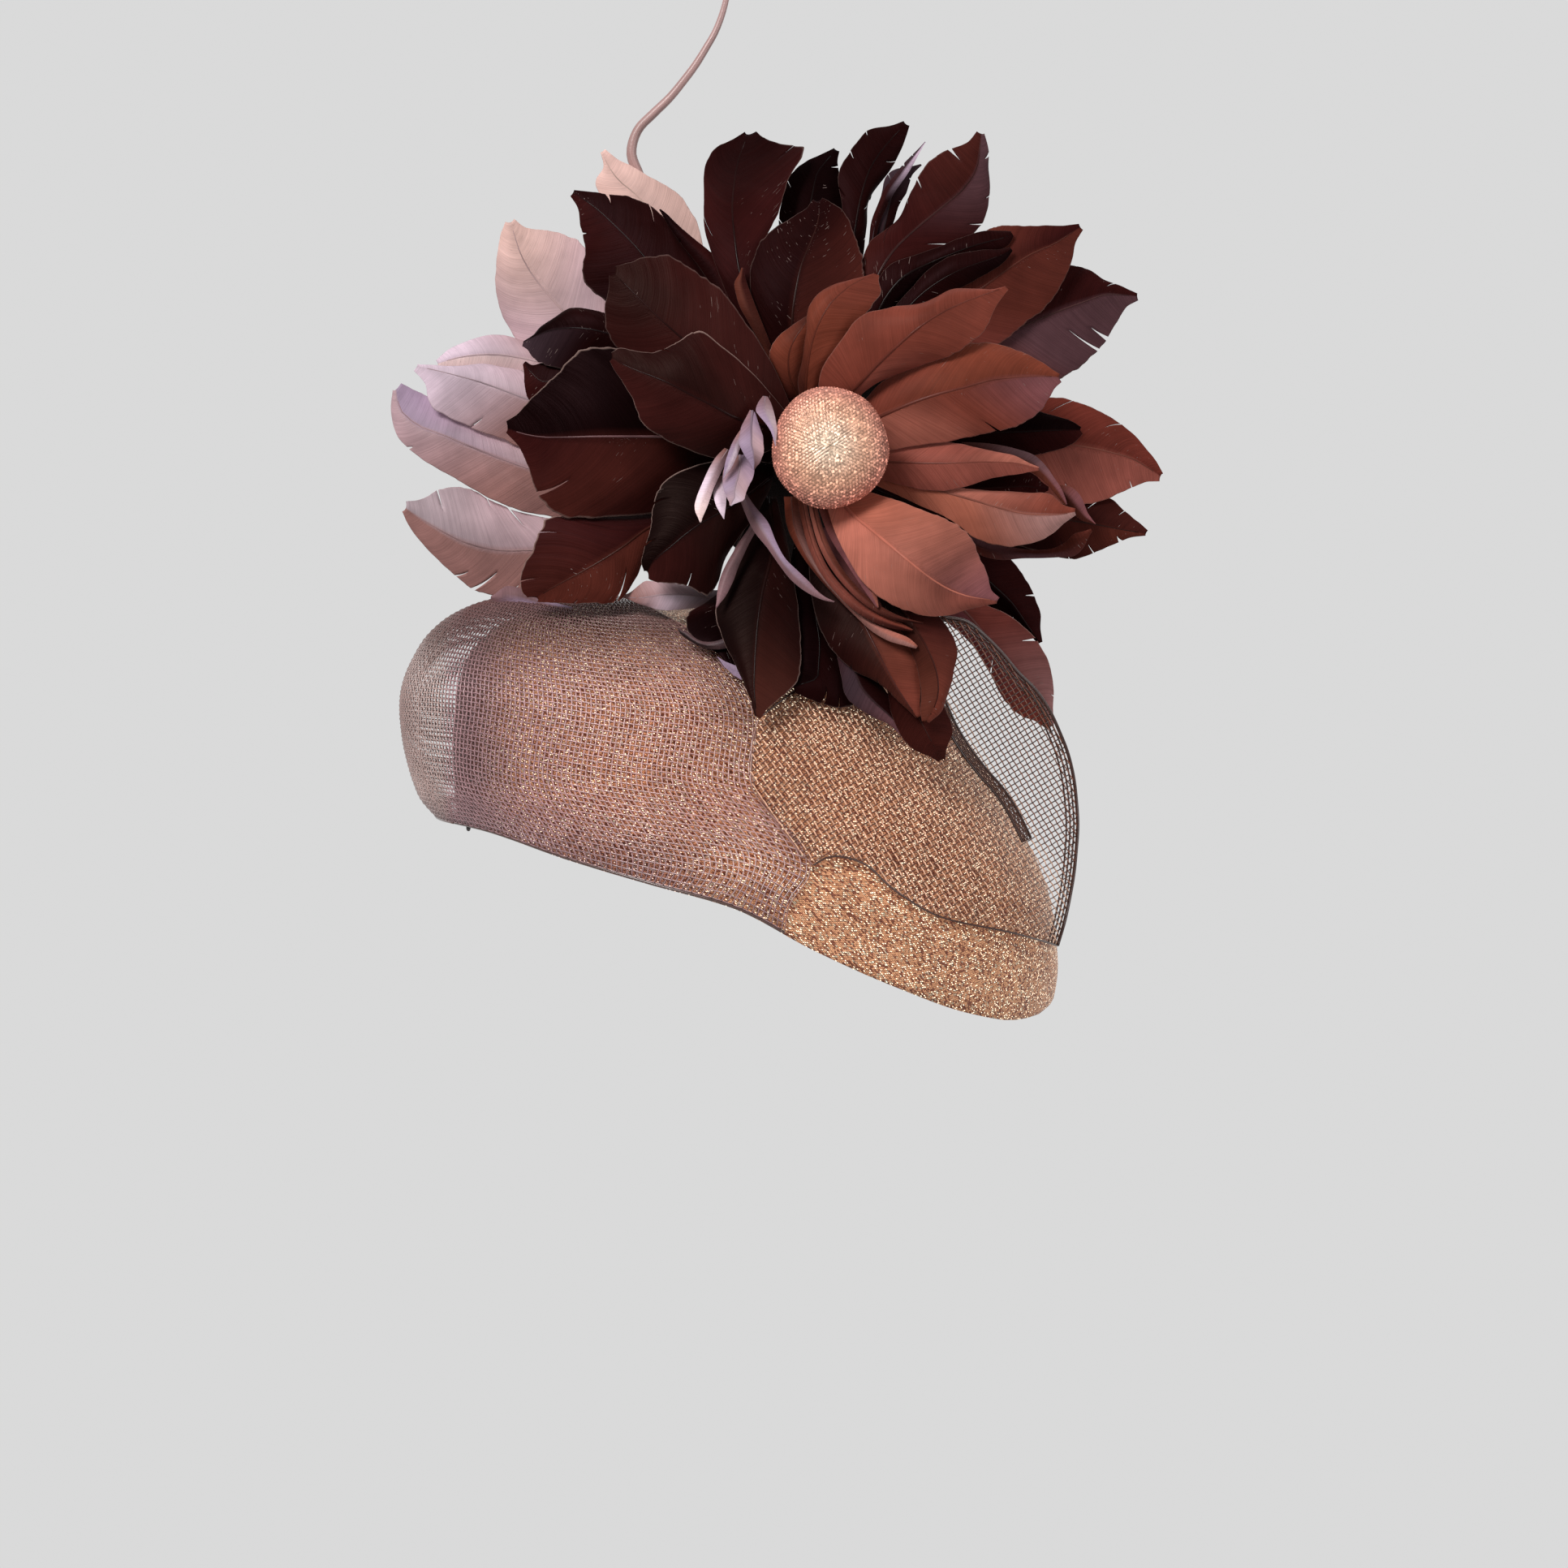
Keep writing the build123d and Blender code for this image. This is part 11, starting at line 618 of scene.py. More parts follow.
def vane(soup, name, rows=88, half=11, thick=0.26):
    node, words = VANE_STYLE[name]
    cols = [np.array(lin(PALETTE[w])) for w in words.split()]
    R = np.array(VANE_RAILS[name], float).reshape(10, 3, 3)
    length = np.linalg.norm(np.diff(R[:, 1], axis=0), axis=1).sum()
    width = np.linalg.norm(R[:, 0] - R[:, 2], axis=1).max() / 2
    small = width < 3.5
    if small:
        rows, half = 40, 5
    t0 = np.linspace(0, 1, rows)
    edge = np.concatenate([np.linspace(0, 0.975, half) ** 0.95, [1.0]])
    u = np.concatenate([-edge[::-1], edge[1:]])
    # rows follow the barbs: they run from the rib outwards and towards the tip
    kap = min(0.42, 1.5 * width / max(length, 1)) if not small else 0.05
    lift = np.minimum(1, 4 * t0) * (1 - t0)
    tt = t0[:, None] + kap * np.abs(u)[None] * lift[:, None]
    tt = np.clip(tt, 0, 1)
    nseed = abs(hash_name(name))
    g = np.random.default_rng(nseed)
    # slightly uneven outer edge
    jag = np.zeros((rows, 2))
    for k in range(2):
        w = g.normal(0, 1, rows)
        w = np.convolve(np.concatenate([w[:3], w, w[-3:]]), [0.1, 0.2, 0.4, 0.2, 0.1], "same")[3:-3]
        jag[:, k] = w * (0.016 if not small else 0.0)
    um = np.broadcast_to(u, (rows, len(u))).copy()
    um[:, :half] *= 1 + jag[:, :1] * np.abs(u[:half])[None] ** 3
    um[:, half + 1:] *= 1 + jag[:, 1:] * np.abs(u[half + 1:])[None] ** 3
    drop = np.zeros((rows - 1, len(u) - 1), bool)
    cuts = list(SLITS.get(name, ()))
    if name in FRINGE:
        for k in range(FRINGE[name]):
            cuts.append((1 if k % 2 else -1, 0.35 + 0.55 * (k + g.random()) / FRINGE[name], 0.15 + 0.45 * g.random() ** 1.5, 0.15 + 0.75 * g.random() ** 2))
    used = set()
    for side, pos, depth, gap in cuts:
        i = int(round(pos * (rows - 1)))
        i = min(max(i, 1), rows - 3)
        if any((side, i + q) in used for q in (-3, -2, -1, 0, 1, 2, 3)):
            continue
        used.add((side, i))
        js = np.where((u * side) > (1 - depth))[0]
        open_ = ((np.abs(u[js]) - (1 - depth)) / depth) ** 1.3
        mid_t = (tt[i, js] + tt[i + 1, js]) / 2
        wide = (gap * open_ + 0.05) * 0.5 / length
        for q in (2, 1):
            f = (1 - q / 3) * 0.5 / (rows - 1)
            if i - q >= 0:
                tt[i - q, js] += f * open_
            if i + 1 + q < rows:
                tt[i + 1 + q, js] -= f * open_
        tt[i, js] = mid_t - wide
        tt[i + 1, js] = mid_t + wide
        lo = js[:-1]
        drop[i, lo] = True
    tt = np.clip(tt, 0, 1)
    C3 = cubic(STATIONS, R, tt.ravel()).reshape(rows, len(u), 3, 3)
    A, C, B = C3[:, :, 0], C3[:, :, 1], C3[:, :, 2]
    P = C + (B - A) / 2 * um[..., None] + ((A + B) / 2 - C) * (um ** 2)[..., None]
    gt = np.gradient(P, axis=0)
    gu = np.gradient(P, axis=1)
    nor = np.cross(gt, gu)
    nor /= np.linalg.norm(nor, axis=2, keepdims=True) + 1e-9
    nor *= np.where(nor[..., 1:2] > 0, -1, 1)
    # low waves across the vane and a faint corrugation of barb bundles
    wave = 0.22 * np.sin(t0[:, None] * length / 5.2 + um * 2.1 + nseed % 7) + 0.10 * np.sin(t0[:, None] * length / 1.9 + nseed % 5)
    amp = smooth(t0 * 6)[:, None] * smooth((1 - t0) * 8)[:, None] * np.abs(um) * (0.0 if small else 1.0)
    P = P + nor * (wave * amp * 0.8)[..., None]
    # thickness thins to the edge
    th = thick * (1 - 0.55 * np.abs(um)) * 0.5
    F = P + nor * th[..., None]
    K = P - nor * th[..., None]
    # colours
    s1 = smooth(t0[:, None] / 0.5) * np.ones_like(um)
    s2 = smooth((t0[:, None] - 0.45) / 0.5) * np.ones_like(um)
    side_a = cols[0] * (1 - s1[..., None]) + cols[1] * s1[..., None]
    side_a = side_a * (1 - s2[..., None]) + cols[2] * s2[..., None]
    side_b = cols[3] * (1 - s1[..., None]) + cols[4] * s1[..., None]
    side_b = side_b * (1 - s2[..., None]) + cols[5] * s2[..., None]
    kk = smooth(um * 6 + 0.5)[..., None]
    tint = side_a * (1 - kk) + side_b * kk
    tint = tint * (0.92 + 0.16 * smooth(np.abs(um) * 1.4)[..., None])
    if node.startswith(("front", "dark")):
        tint = tint * (np.array([1.2, 1.26, 1.3]) if node.startswith("front") else np.array([1.0, 0.9, 0.98])) + [0.001, 0.0, 0.0]
    else:
        tint = tint * [1.0, 0.95, 0.96]
    au = np.abs(u)
    # painted highlight: a thin pale line along the outer edge of each half
    rim = PAINTED_EDGE_HIGHLIGHT.get(name, (0.14, 0.14))
    for k, sel in ((0, u < -0.99), (1, u > 0.99)):
        if rim[k]:
            tint[:, sel] = tint[:, sel] * (1 - rim[k]) + np.array(lin((214, 178, 168))) * rim[k] * 0.9
    nv = rows * len(u)
    M = len(u)
    q = t0[:, None] * length * np.ones_like(um)
    s = np.abs(um) * width + (um > 0) * 40
    uv = np.stack([q, s], -1).reshape(-1, 2) * MM * 10 + (nseed % 97) * 0.37
    uv = uv * 0.1
    idx = np.arange(nv).reshape(rows, M)
    quads = np.stack([idx[:-1, :-1], idx[:-1, 1:], idx[1:, 1:], idx[1:, :-1]], -1)
    keep = ~drop
    fq = quads[keep]
    bq = fq[:, ::-1] + nv
    # rim walls along every open edge of the kept faces
    e = {}
    E1 = np.concatenate([fq[:, [0, 1]], fq[:, [1, 2]], fq[:, [2, 3]], fq[:, [3, 0]]])
    key = np.sort(E1, axis=1)
    code = key[:, 0].astype(np.int64) * 10 ** 7 + key[:, 1]
    uq, inv, cnt = np.unique(code, return_inverse=True, return_counts=True)
    be = E1[cnt[inv] == 1]
    wq = np.stack([be[:, 1], be[:, 0], be[:, 0] + nv, be[:, 1] + nv], -1)
    faces = np.concatenate([fq, bq, wq])
    # face winding: front normal along nor
    n0 = np.cross(F[1, 0] - F[0, 0], F[0, 1] - F[0, 0])
    mid = (rows // 2, M // 2)
    a = F[mid[0] + 1, mid[1]] - F[mid]
    b = F[mid[0], mid[1] + 1] - F[mid]
    if np.dot(np.cross(b, a), nor[mid]) < 0:
        faces = faces[:, ::-1]
    V = np.concatenate([F.reshape(-1, 3), K.reshape(-1, 3)])
    T = np.concatenate([tint.reshape(-1, 3)] * 2)
    soup.add(V, faces, T, np.concatenate([uv, uv]), 0)
    # rib: tapering ridge along the middle, standing proud of both faces
    rr = 26 if not small else 16
    tr = np.linspace(0.0, 0.965, rr)
    rib = cubic(STATIONS, R[:, 1], tr)
    rad = (0.62 if length > 60 else 0.42) * (1 - 0.80 * tr) + 0.07
    if small:
        rad = rad * 0.4
    ni = np.clip((tr * (rows - 1)).astype(int), 0, rows - 1)
    nr = nor[ni, half]
    ring = tube_grid(rib, rad, 6, 0.85, nr)
    f = ring_faces(rr, 6)
    caps = np.array([[5, 4, 1, 0], [4, 3, 2, 1]]), np.array([[0, 1, 4, 5], [1, 2, 3, 4]]) + (rr - 1) * 6
    f = np.concatenate([f, caps[0], caps[1]])
    rt = RIB_TINT.get(name)
    mean = (side_a[:, 0].mean(0) + side_b[:, 0].mean(0)) / 2
    base = np.array(lin(PALETTE[rt])) if rt else mean * 0.85
    rtint = np.broadcast_to(base, (rr * 6, 3))
    ruv = np.stack([np.repeat(tr * length, 6), np.tile(np.arange(6), rr)], -1) * MM
    soup.add(ring.reshape(-1, 3), f, rtint, ruv, 1)


def hash_name(s):
    h = 7
    for ch in s:
        h = (h * 131 + ord(ch)) % 1000003
    return h


by_node = {}
for nm, (node, _) in VANE_STYLE.items():
    by_node.setdefault(node, []).append(nm)
for node, names in by_node.items():
    soup = Soup()
    for nm in names:
        vane(soup, nm)
    if node.startswith("front"):
        mat, sl = MAT_RUST, "feather_rust"
    elif node.startswith("dark"):
        mat, sl = MAT_DARK, "feather_dark"
    else:
        mat, sl = MAT_MAUVE, "feather_mauve"
    ob = soup.object(node + "_feather", [mat, MAT_RIB])
    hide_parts(node)

# ------------------------------------------------------------------ cap: metallic knit cover
CAP_Z, CAP_C, CAP_R = np.array(CAP_Z), np.array(CAP_C), np.array(CAP_R)


def cap_point(phi, z, off):
    f = np.asarray(phi, float)
    z = np.asarray(z, float)
    zc = np.clip(z, CAP_Z[0] + 0.3, CAP_Z[-1] - 0.12)
    a, c = np.interp(zc, CAP_Z, CAP_R), np.interp(zc, CAP_Z, CAP_C)
    da = np.clip((np.interp(zc + 0.1, CAP_Z, CAP_R) - np.interp(zc - 0.3, CAP_Z, CAP_R)) / 0.4, -12, 12)
    dc = (np.interp(zc + 0.1, CAP_Z, CAP_C) - np.interp(zc - 0.3, CAP_Z, CAP_C)) / 0.4
    a0, c0 = np.interp(z, CAP_Z, CAP_R), np.interp(z, CAP_Z, CAP_C)
    p = np.stack([c0 + a0 * np.cos(f), -0.93 * a0 * np.sin(f), z + 0 * f], -1)
    tf = np.stack([-a * np.sin(f), -0.93 * a * np.cos(f), 0 * f + 0 * a], -1)
    tz = np.stack([dc + da * np.cos(f), -0.93 * da * np.sin(f), 1 + 0 * f], -1)
    n = np.cross(tf, tz)
    n /= np.linalg.norm(n, axis=-1, keepdims=True)
    out = np.stack([np.cos(f), -np.sin(f), 0 * f + 0.3], -1)
    n *= np.sign((n * out).sum(-1, keepdims=True))
    return p + n * off


def rim_z(x):
    return np.interp(x, RIM_X, RIM_Z)


def cap_cover():
    nf, nz = 220, 110
    phi = np.linspace(0, 2 * np.pi, nf, endpoint=False)
    zb = np.full(nf, -40.0)
    for _ in range(60):
        p = cap_point(phi, zb, 0.0)
        zb = 0.5 * zb + 0.5 * np.clip(zb + rim_z(p[:, 0]) - p[:, 2], -97, 30)
    t = np.linspace(0, 1, nz) ** 1.0
    w = 1 - (1 - t) ** 2.2
    Zg = zb[None] + (39.55 - zb[None]) * w[:, None]
    Pg = cap_point(phi[None] + 0 * Zg, Zg, 0.0)
    Ig = cap_point(phi[None] + 0 * Zg, Zg, -0.6)
    arc = np.cumsum(np.concatenate([np.zeros((1, nf)), np.linalg.norm(np.diff(Pg, axis=0), axis=2)]), axis=0)
    V = np.concatenate([Pg.reshape(-1, 3), Ig.reshape(-1, 3), [Pg[-1].mean(0) + [0, 0, 0.05]], [Ig[-1].mean(0)]])
    uv1 = np.stack([phi[None] * 90.0 + 0 * Zg, arc], -1).reshape(-1, 2) * MM
    uv = np.concatenate([uv1, uv1, [[0, 0]], [[0, 0]]])
    n1 = nf * nz
    i, j = np.meshgrid(np.arange(nz - 1), np.arange(nf), indexing="ij")
    a, b = i * nf + j, i * nf + (j + 1) % nf
    outer = np.stack([a, a + nf, b + nf, b], -1).reshape(-1, 4)
    inner = outer[:, ::-1] + n1
    j = np.arange(nf)
    k = (j + 1) % nf
    wall = np.stack([j, k, k + n1, j + n1], -1)
    faces = [tuple(q) for q in np.concatenate([outer, inner, wall])]
    top = (nz - 1) * nf
    faces += [(top + k_, top + j_, 2 * n1) for j_, k_ in zip(j, k)]
    faces += [(n1 + top + j_, n1 + top + k_, 2 * n1 + 1) for j_, k_ in zip(j, k)]
    x, z = V[:, 0], V[:, 2]
    painted_shade = np.ones((len(V), 3))
    # painted shade: the dome darkens to dark purple towards its left edge
    left = smooth((-62 - x) / 22)[:, None]
    painted_shade = painted_shade * (1 - left) + np.array([0.22, 0.15, 0.22]) * left
    # painted shade under the feathers: the top of the dome left of the rosette is darker
    high = (smooth((z - 14) / 24) * smooth((30 - x) / 60))[:, None]
    painted_shade = painted_shade * (1 - 0.55 * high)
    # painted shadow of the left net lobe on the lower left of the cover
    under = (smooth((4 - x) / 30) * smooth((-22 - z - 0.12 * (x + 60)) / 20))[:, None]
    painted_shade = painted_shade * (1 - under * (1 - np.array([0.62, 0.56, 0.68])))
    ob = mesh_object("lurex_stretched_cover", V, faces, [MAT_LUREX], uv=uv, tint=painted_shade)
    area = np.linalg.norm(np.cross(Pg[1:, :] - Pg[:-1, :], np.roll(Pg, -1, 1)[:-1] - Pg[:-1]), axis=2).sum() * MM * MM
    return ob, area


cover, cover_area = cap_cover()
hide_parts("lurex_cover")

# ------------------------------------------------------------------ crin net, every thread woven
def weave(soup, Pt, nor, tint, side=0.45, lift=0.2, tint2=None):
    """Threads both ways through a lattice of crossing points Pt[i, j] (nan = no net)."""
    ni, nj = Pt.shape[:2]
    ok = np.isfinite(Pt[..., 0])
    par = ((np.add.outer(np.arange(ni), np.arange(nj)) % 2) * 2 - 1)[..., None]
    for axis in (0, 1):
        Q = Pt + nor * par * lift * (1 if axis == 0 else -1)
        if axis == 1:
            Q, o, nn, tc = Q.transpose(1, 0, 2), ok.T, nor.transpose(1, 0, 2), (tint if tint2 is None else tint2).transpose(1, 0, 2)
        else:
            o, nn, tc = ok, nor, tint
        for r in range(Q.shape[0]):
            good = np.where(o[r])[0]
            if len(good) < 3:
                continue
            for run in np.split(good, np.where(np.diff(good) > 1)[0] + 1):
                if len(run) < 3:
                    continue
                path = Q[r, run]
                up = nn[r, run]
                ring = tube_grid(path, side * 0.577, 3, None, up)
                n = len(run)
                f = ring_faces(n, 3)
                v = ring.reshape(-1, 3)
                v = np.concatenate([v, path[:1], path[-1:]])
                m = 3 * n
                caps = np.array([[m, 1, 0, 0], [m, 2, 1, 1], [m, 0, 2, 2]])
                soup.add(v, f, np.concatenate([np.repeat(tc[r, run], 3, axis=0), tc[r, run[:1]], tc[r, run[-1:]]]), np.zeros((len(v), 2)), 0)
                e0 = 3 * (n - 1)
                soup.tri.append(np.array([[m, 1, 0], [m, 2, 1], [m, 0, 2], [m + 1, e0, e0 + 1], [m + 1, e0 + 1, e0 + 2], [m + 1, e0 + 2, e0]]) + soup.n - len(v))


class NetSoup(Soup):
    def __init__(self):
        super().__init__()
        self.tri = []

    def build(self, name):
        quads = np.concatenate(self.f)
        tris = np.concatenate(self.tri)
        tq = np.concatenate([quads[:, [0, 1, 2]], quads[:, [0, 2, 3]], tris])
        return mesh_object(name, np.concatenate(self.v), tq, [MAT_CRIN], tint=np.concatenate(self.t))


def normals(P):
    a = np.gradient(P, axis=0)
    b = np.gradient(P, axis=1)
    n = np.cross(a, b)
    n /= np.linalg.norm(n, axis=2, keepdims=True) + 1e-9
    return n


def grid_area(P):
    return float(np.nansum(np.linalg.norm(np.cross(P[1:, :-1] - P[:-1, :-1], P[:-1, 1:] - P[:-1, :-1]), axis=2))) * MM * MM


def edge_cord(soup, path, radius, tint, up):
    ring = tube_grid(path, radius, 6, 0.8, up)
    n = len(path)
    f = ring_faces(n, 6)
    soup.add(ring.reshape(-1, 3), f, np.broadcast_to(tint, (n * 6, 3)), np.zeros((n * 6, 2)), 0)
    soup.tri.append(np.array([[0, 2, 1], [0, 3, 2], [0, 4, 3], [0, 5, 4]]) + soup.n - n * 6)
    o = (n - 1) * 6
    soup.tri.append(np.array([[o, o + 1, o + 2], [o, o + 2, o + 3], [o, o + 3, o + 4], [o, o + 4, o + 5]]) + soup.n - n * 6)


PITCH = 1.7
# left lobe: rows follow the rim, columns run over the crown
ni, nj = 64, 150
tj = np.linspace(0.004, 0.996, ni)
sj = np.linspace(0.004, 0.996, nj)
# columns drift with height so the net sweeps down towards the seam
Sg, Tg = np.meshgrid(sj, tj)
PL = grid_eval(NET_LEFT, Sg, Tg)
NL = normals(PL)
midc = np.array(lin((150, 112, 104)))


def lobe_tint(P):
    """Nylon thread looks smoke-brown where nothing is behind it and picks up rose where the knit is; painted shade
    darkens the lobe low down, along its left side and at its top under the feathers, it turns browner towards the right
    above z -20, and a painted highlight lightens its middle.
    """
    x, z = P[..., 0], P[..., 2]
    out = np.array(lin((214, 186, 180))) + 0 * P
    rose = np.array(lin((206, 162, 166)))
    warm = np.array(lin((214, 168, 164)))
    brown_ = np.array(lin((104, 70, 66)))
    plum = np.array(lin((158, 126, 132)))

    def over(a, c, k):
        return a * (1 - k[..., None]) + c * k[..., None]

    out = over(out, rose, smooth((x + 92) / 5))
    out = over(out, warm, smooth((x + 64) / 36))
    # painted shade: plum over the lower part of the lobe
    out = over(out, plum, smooth((-22 - z - 0.12 * (x + 60)) / 20) * 0.75)
    # painted shade: plum band along the lobe's left side
    out = over(out, plum, 0.5 * smooth((-50 - x) / 34) * smooth((x + 94) / 12))
    out = over(out, brown_ * 1.7, 0.6 * smooth((-99 - x) / 10))
    # painted shade under the feathers: brown over the top of the lobe
    out = over(out, brown_, 0.85 * smooth((z - 8) / 24))
    out = over(out, brown_ * 1.5, smooth((x + 16) / 16) * 0.5 * smooth((z + 20) / 20))
    # painted highlight in the middle of the lobe
    out = over(out, np.array(lin((238, 204, 200))), 0.9 * np.exp(-(((x - 2) / 16) ** 2 + ((z + 42) / 9) ** 2)))
    return out


TL = lobe_tint(PL)
area_left = grid_area(PL)
half = nj // 2
soupA = NetSoup()
weave(soupA, PL[:, : half + 1], NL[:, : half + 1], TL[:, : half + 1])
tt = np.linspace(0, 1, 90)
for s_, t_, r_ in ((tt, 0 * tt, 0.35), (tt, 0 * tt + 1, 0.4)):
    path = grid_eval(NET_LEFT, s_ * 0.5, t_)
    edge_cord(soupA, path, r_, midc * 0.35, (0, -1, 0.2))
path = grid_eval(NET_LEFT, 0 * tt, tt)
edge_cord(soupA, path, 0.2, midc * 1.2, (0, -1, 0))
netA = soupA.build("crin_left_front")
soupB = NetSoup()
weave(soupB, PL[:, half:], NL[:, half:], TL[:, half:])
for s_, t_, r_ in ((tt, 0 * tt, 0.55), (tt, 0 * tt + 1, 0.55)):
    path = grid_eval(NET_LEFT, 0.5 + s_ * 0.5, t_)
    edge_cord(soupB, path, r_, midc * 0.6, (-0.5, 0.8, 0.2))
netB = soupB.build("crin_left_back")

# right sail: threads on the bias
SAIL = NET_RIGHT


def px_of(p):
    s = 0.26 * (1600 + p[..., 1]) / 1600
    return np.stack([966 + (p[..., 0] - 15.6) / s, 966 - (p[..., 2] + 18.46) / s], -1)


def invert(target):
    """(s, t) on the sail whose view from the front falls on target, by Newton steps from the nearest node."""
    gs, gt = np.meshgrid(np.linspace(0, 1, 41), np.linspace(0, 1, 33))
    base = px_of(grid_eval(SAIL, gs, gt))
    flat = base.reshape(-1, 2)
    tg = target.reshape(-1, 2)
    near = np.array([((flat - q) ** 2).sum(1).argmin() for q in tg])
    s, t = gs.ravel()[near].copy(), gt.ravel()[near].copy()
    for _ in range(7):
        e = 0.004
        p0 = px_of(grid_eval(SAIL, s, t))
        ds = (px_of(grid_eval(SAIL, s + e, t)) - px_of(grid_eval(SAIL, s - e, t))) / (np.clip(s + e, 0, 1) - np.clip(s - e, 0, 1))[:, None]
        dt = (px_of(grid_eval(SAIL, s, t + e)) - px_of(grid_eval(SAIL, s, t - e))) / (np.clip(t + e, 0, 1) - np.clip(t - e, 0, 1))[:, None]
        r = tg - p0
        det = ds[:, 0] * dt[:, 1] - ds[:, 1] * dt[:, 0]
        det = np.where(np.abs(det) < 1e-6, 1e-6, det)
        s = np.clip(s + np.clip((r[:, 0] * dt[:, 1] - r[:, 1] * dt[:, 0]) / det, -0.1, 0.1), 0, 1)
        t = np.clip(t + np.clip((ds[:, 0] * r[:, 1] - ds[:, 1] * r[:, 0]) / det, -0.1, 0.1), 0, 1)
    err = np.linalg.norm(px_of(grid_eval(SAIL, s, t)) - tg, axis=1)
    return s.reshape(target.shape[:-1]), t.reshape(target.shape[:-1]), err.reshape(target.shape[:-1])


pp = 6.3
fi = np.arange(-50, 51) * pp
gj = np.arange(-50, 51) * pp
Fg, Gg = np.meshgrid(fi, gj, indexing="ij")
ang = math.radians(31)
cx0, cy0 = 1120.0, 965.0
PXg = cx0 + Gg * math.cos(ang) + Fg * math.sin(ang)
PYg = cy0 - Gg * math.sin(ang) + Fg * math.cos(ang)
PYg = PYg + 16.0 * smooth((1010 - PXg) / 90.0) - 10.0 * np.sin((PXg - 930) / 260.0)
TGT = np.stack([PXg, PYg], -1)
inside = (PXg > 915) & (PXg < 1335) & (PYg > 750) & (PYg < 1175)
Si = np.full(PXg.shape, np.nan)
Ti = np.full(PXg.shape, np.nan)
s_, t_, e_ = invert(TGT[inside])
good = e_ < 0.8
s_[~good] = np.nan
Si[inside] = s_
Ti[inside] = t_
PR = grid_eval(SAIL, np.nan_to_num(Si, nan=0.5), np.nan_to_num(Ti, nan=0.5))
gs, gt = np.meshgrid(np.linspace(0, 1, 81), np.linspace(0, 1, 65))
DS = grid_eval(SAIL, gs, gt)
DN = normals(DS)
si = np.clip((np.nan_to_num(Si, nan=0.5) * 80).round().astype(int), 0, 80)
ti = np.clip((np.nan_to_num(Ti, nan=0.5) * 64).round().astype(int), 0, 64)
NR = DN[ti, si]
PR[~np.isfinite(Si)] = np.nan
dark = np.array(lin((74, 42, 34)))
brown = np.array(lin((172, 112, 90)))
bronze = np.array(lin((255, 202, 170), 1.12))
coffee = np.array(lin((116, 72, 58)))
clear = smooth((PXg - (1165 + (PYg - 870) * 0.62)) / 26)[..., None]
TR = bronze * (1 - clear) + brown * clear
TS = coffee * (1 - clear) + dark * 1.2 * clear
soupC = NetSoup()
weave(soupC, PR, NR, TS, side=0.385, lift=0.16, tint2=TR)
for s_, t_, r_, c_ in ((0 * tt, tt, 0.2, midc * 1.2), (0 * tt + 1, tt, 0.55, dark), (tt, 0 * tt, 0.3, dark), (tt, 0 * tt + 1, 0.32, dark)):
    edge_cord(soupC, grid_eval(SAIL, s_, t_), r_, c_, (0, -1, 0.01))
# turned hem down the free edge: three close threads
for k_ in (0.988, 0.976, 0.964):
    edge_cord(soupC, grid_eval(SAIL, 0 * tt + k_, tt) + [0, 0.5, 0], 0.28, dark, (0, -1, 0.01))
netC = soupC.build("crin_right_front")
# folded band
fs, ft = np.meshgrid(np.linspace(0, 1, 7), np.linspace(0, 1, 32))
PB = grid_eval(NET_FOLD, fs, ft) + [0, -0.2, 0]
soupD = NetSoup()
weave(soupD, PB, normals(PB), np.broadcast_to(np.array(lin((104, 66, 54))), PB.shape), side=0.42, lift=0.15)
for s_ in (0.0, 1.0):
    edge_cord(soupD, grid_eval(NET_FOLD, 0 * tt + s_, tt) + [0, -0.2, 0], 0.35, dark * 0.7, (0, -1, 0.01))
netD = soupD.build("crin_fold_band")
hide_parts("crin_left_lobe")
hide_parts("crin_left_lobe")
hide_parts("crin_right_sail")
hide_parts("crin_fold")


# ------------------------------------------------------------------ inner layers of the cap
def cloth_material(name, base, dark, pitch, rough, bumps=0.5, twill=0.0, sheen=0.2, space=None):
    """Plain or ribbed weave with yarn-level relief."""
    m, nt, bs = nodes_of(name)
    vec = uv_of(nt) if space == "uv" else coords(nt)
    k = 2 * math.pi / pitch * 1000.0
    sep = nt.nodes.new("ShaderNodeSeparateXYZ")
    link(nt, vec, sep.inputs[0])
    x, y = sep.outputs[0], sep.outputs[1] if space == "uv" else sep.outputs[2]
    wx = math_node(nt, "SINE", math_node(nt, "MULTIPLY", math_node(nt, "ADD", x, math_node(nt, "MULTIPLY", y, twill)), k))
    wy = math_node(nt, "SINE", math_node(nt, "MULTIPLY", y, k * (0.55 if twill == 0.0 else 1.0)))
    h = math_node(nt, "ADD", math_node(nt, "MULTIPLY", wx, 0.5), math_node(nt, "MULTIPLY", wy, 0.5))
    n1 = noise(nt, mapping(nt, vec, (900.0, 900.0, 900.0)), 1.0, 2.0)
    n2 = noise(nt, mapping(nt, vec, (60.0, 60.0, 60.0)), 1.0, 3.0)
    f = math_node(nt, "ADD", math_node(nt, "MULTIPLY", h, 0.28), math_node(nt, "ADD", math_node(nt, "MULTIPLY", n1, 0.4), math_node(nt, "MULTIPLY", n2, 0.5)))
    c = ramp(nt, f, [(0.1, dark), (0.75, base)])
    link(nt, c, bs.inputs["Base Color"])
    link(nt, math_node(nt, "ADD", math_node(nt, "MULTIPLY", n1, 0.2), rough - 0.1), bs.inputs["Roughness"])
    bump(nt, bs, math_node(nt, "ADD", h, math_node(nt, "MULTIPLY", n1, 0.8)), bumps, 0.0002)
    bs.inputs["Sheen Weight"].default_value = sheen
    bs.inputs["Sheen Roughness"].default_value = 0.5
    bs.inputs["Specular IOR Level"].default_value = 0.3
    return m


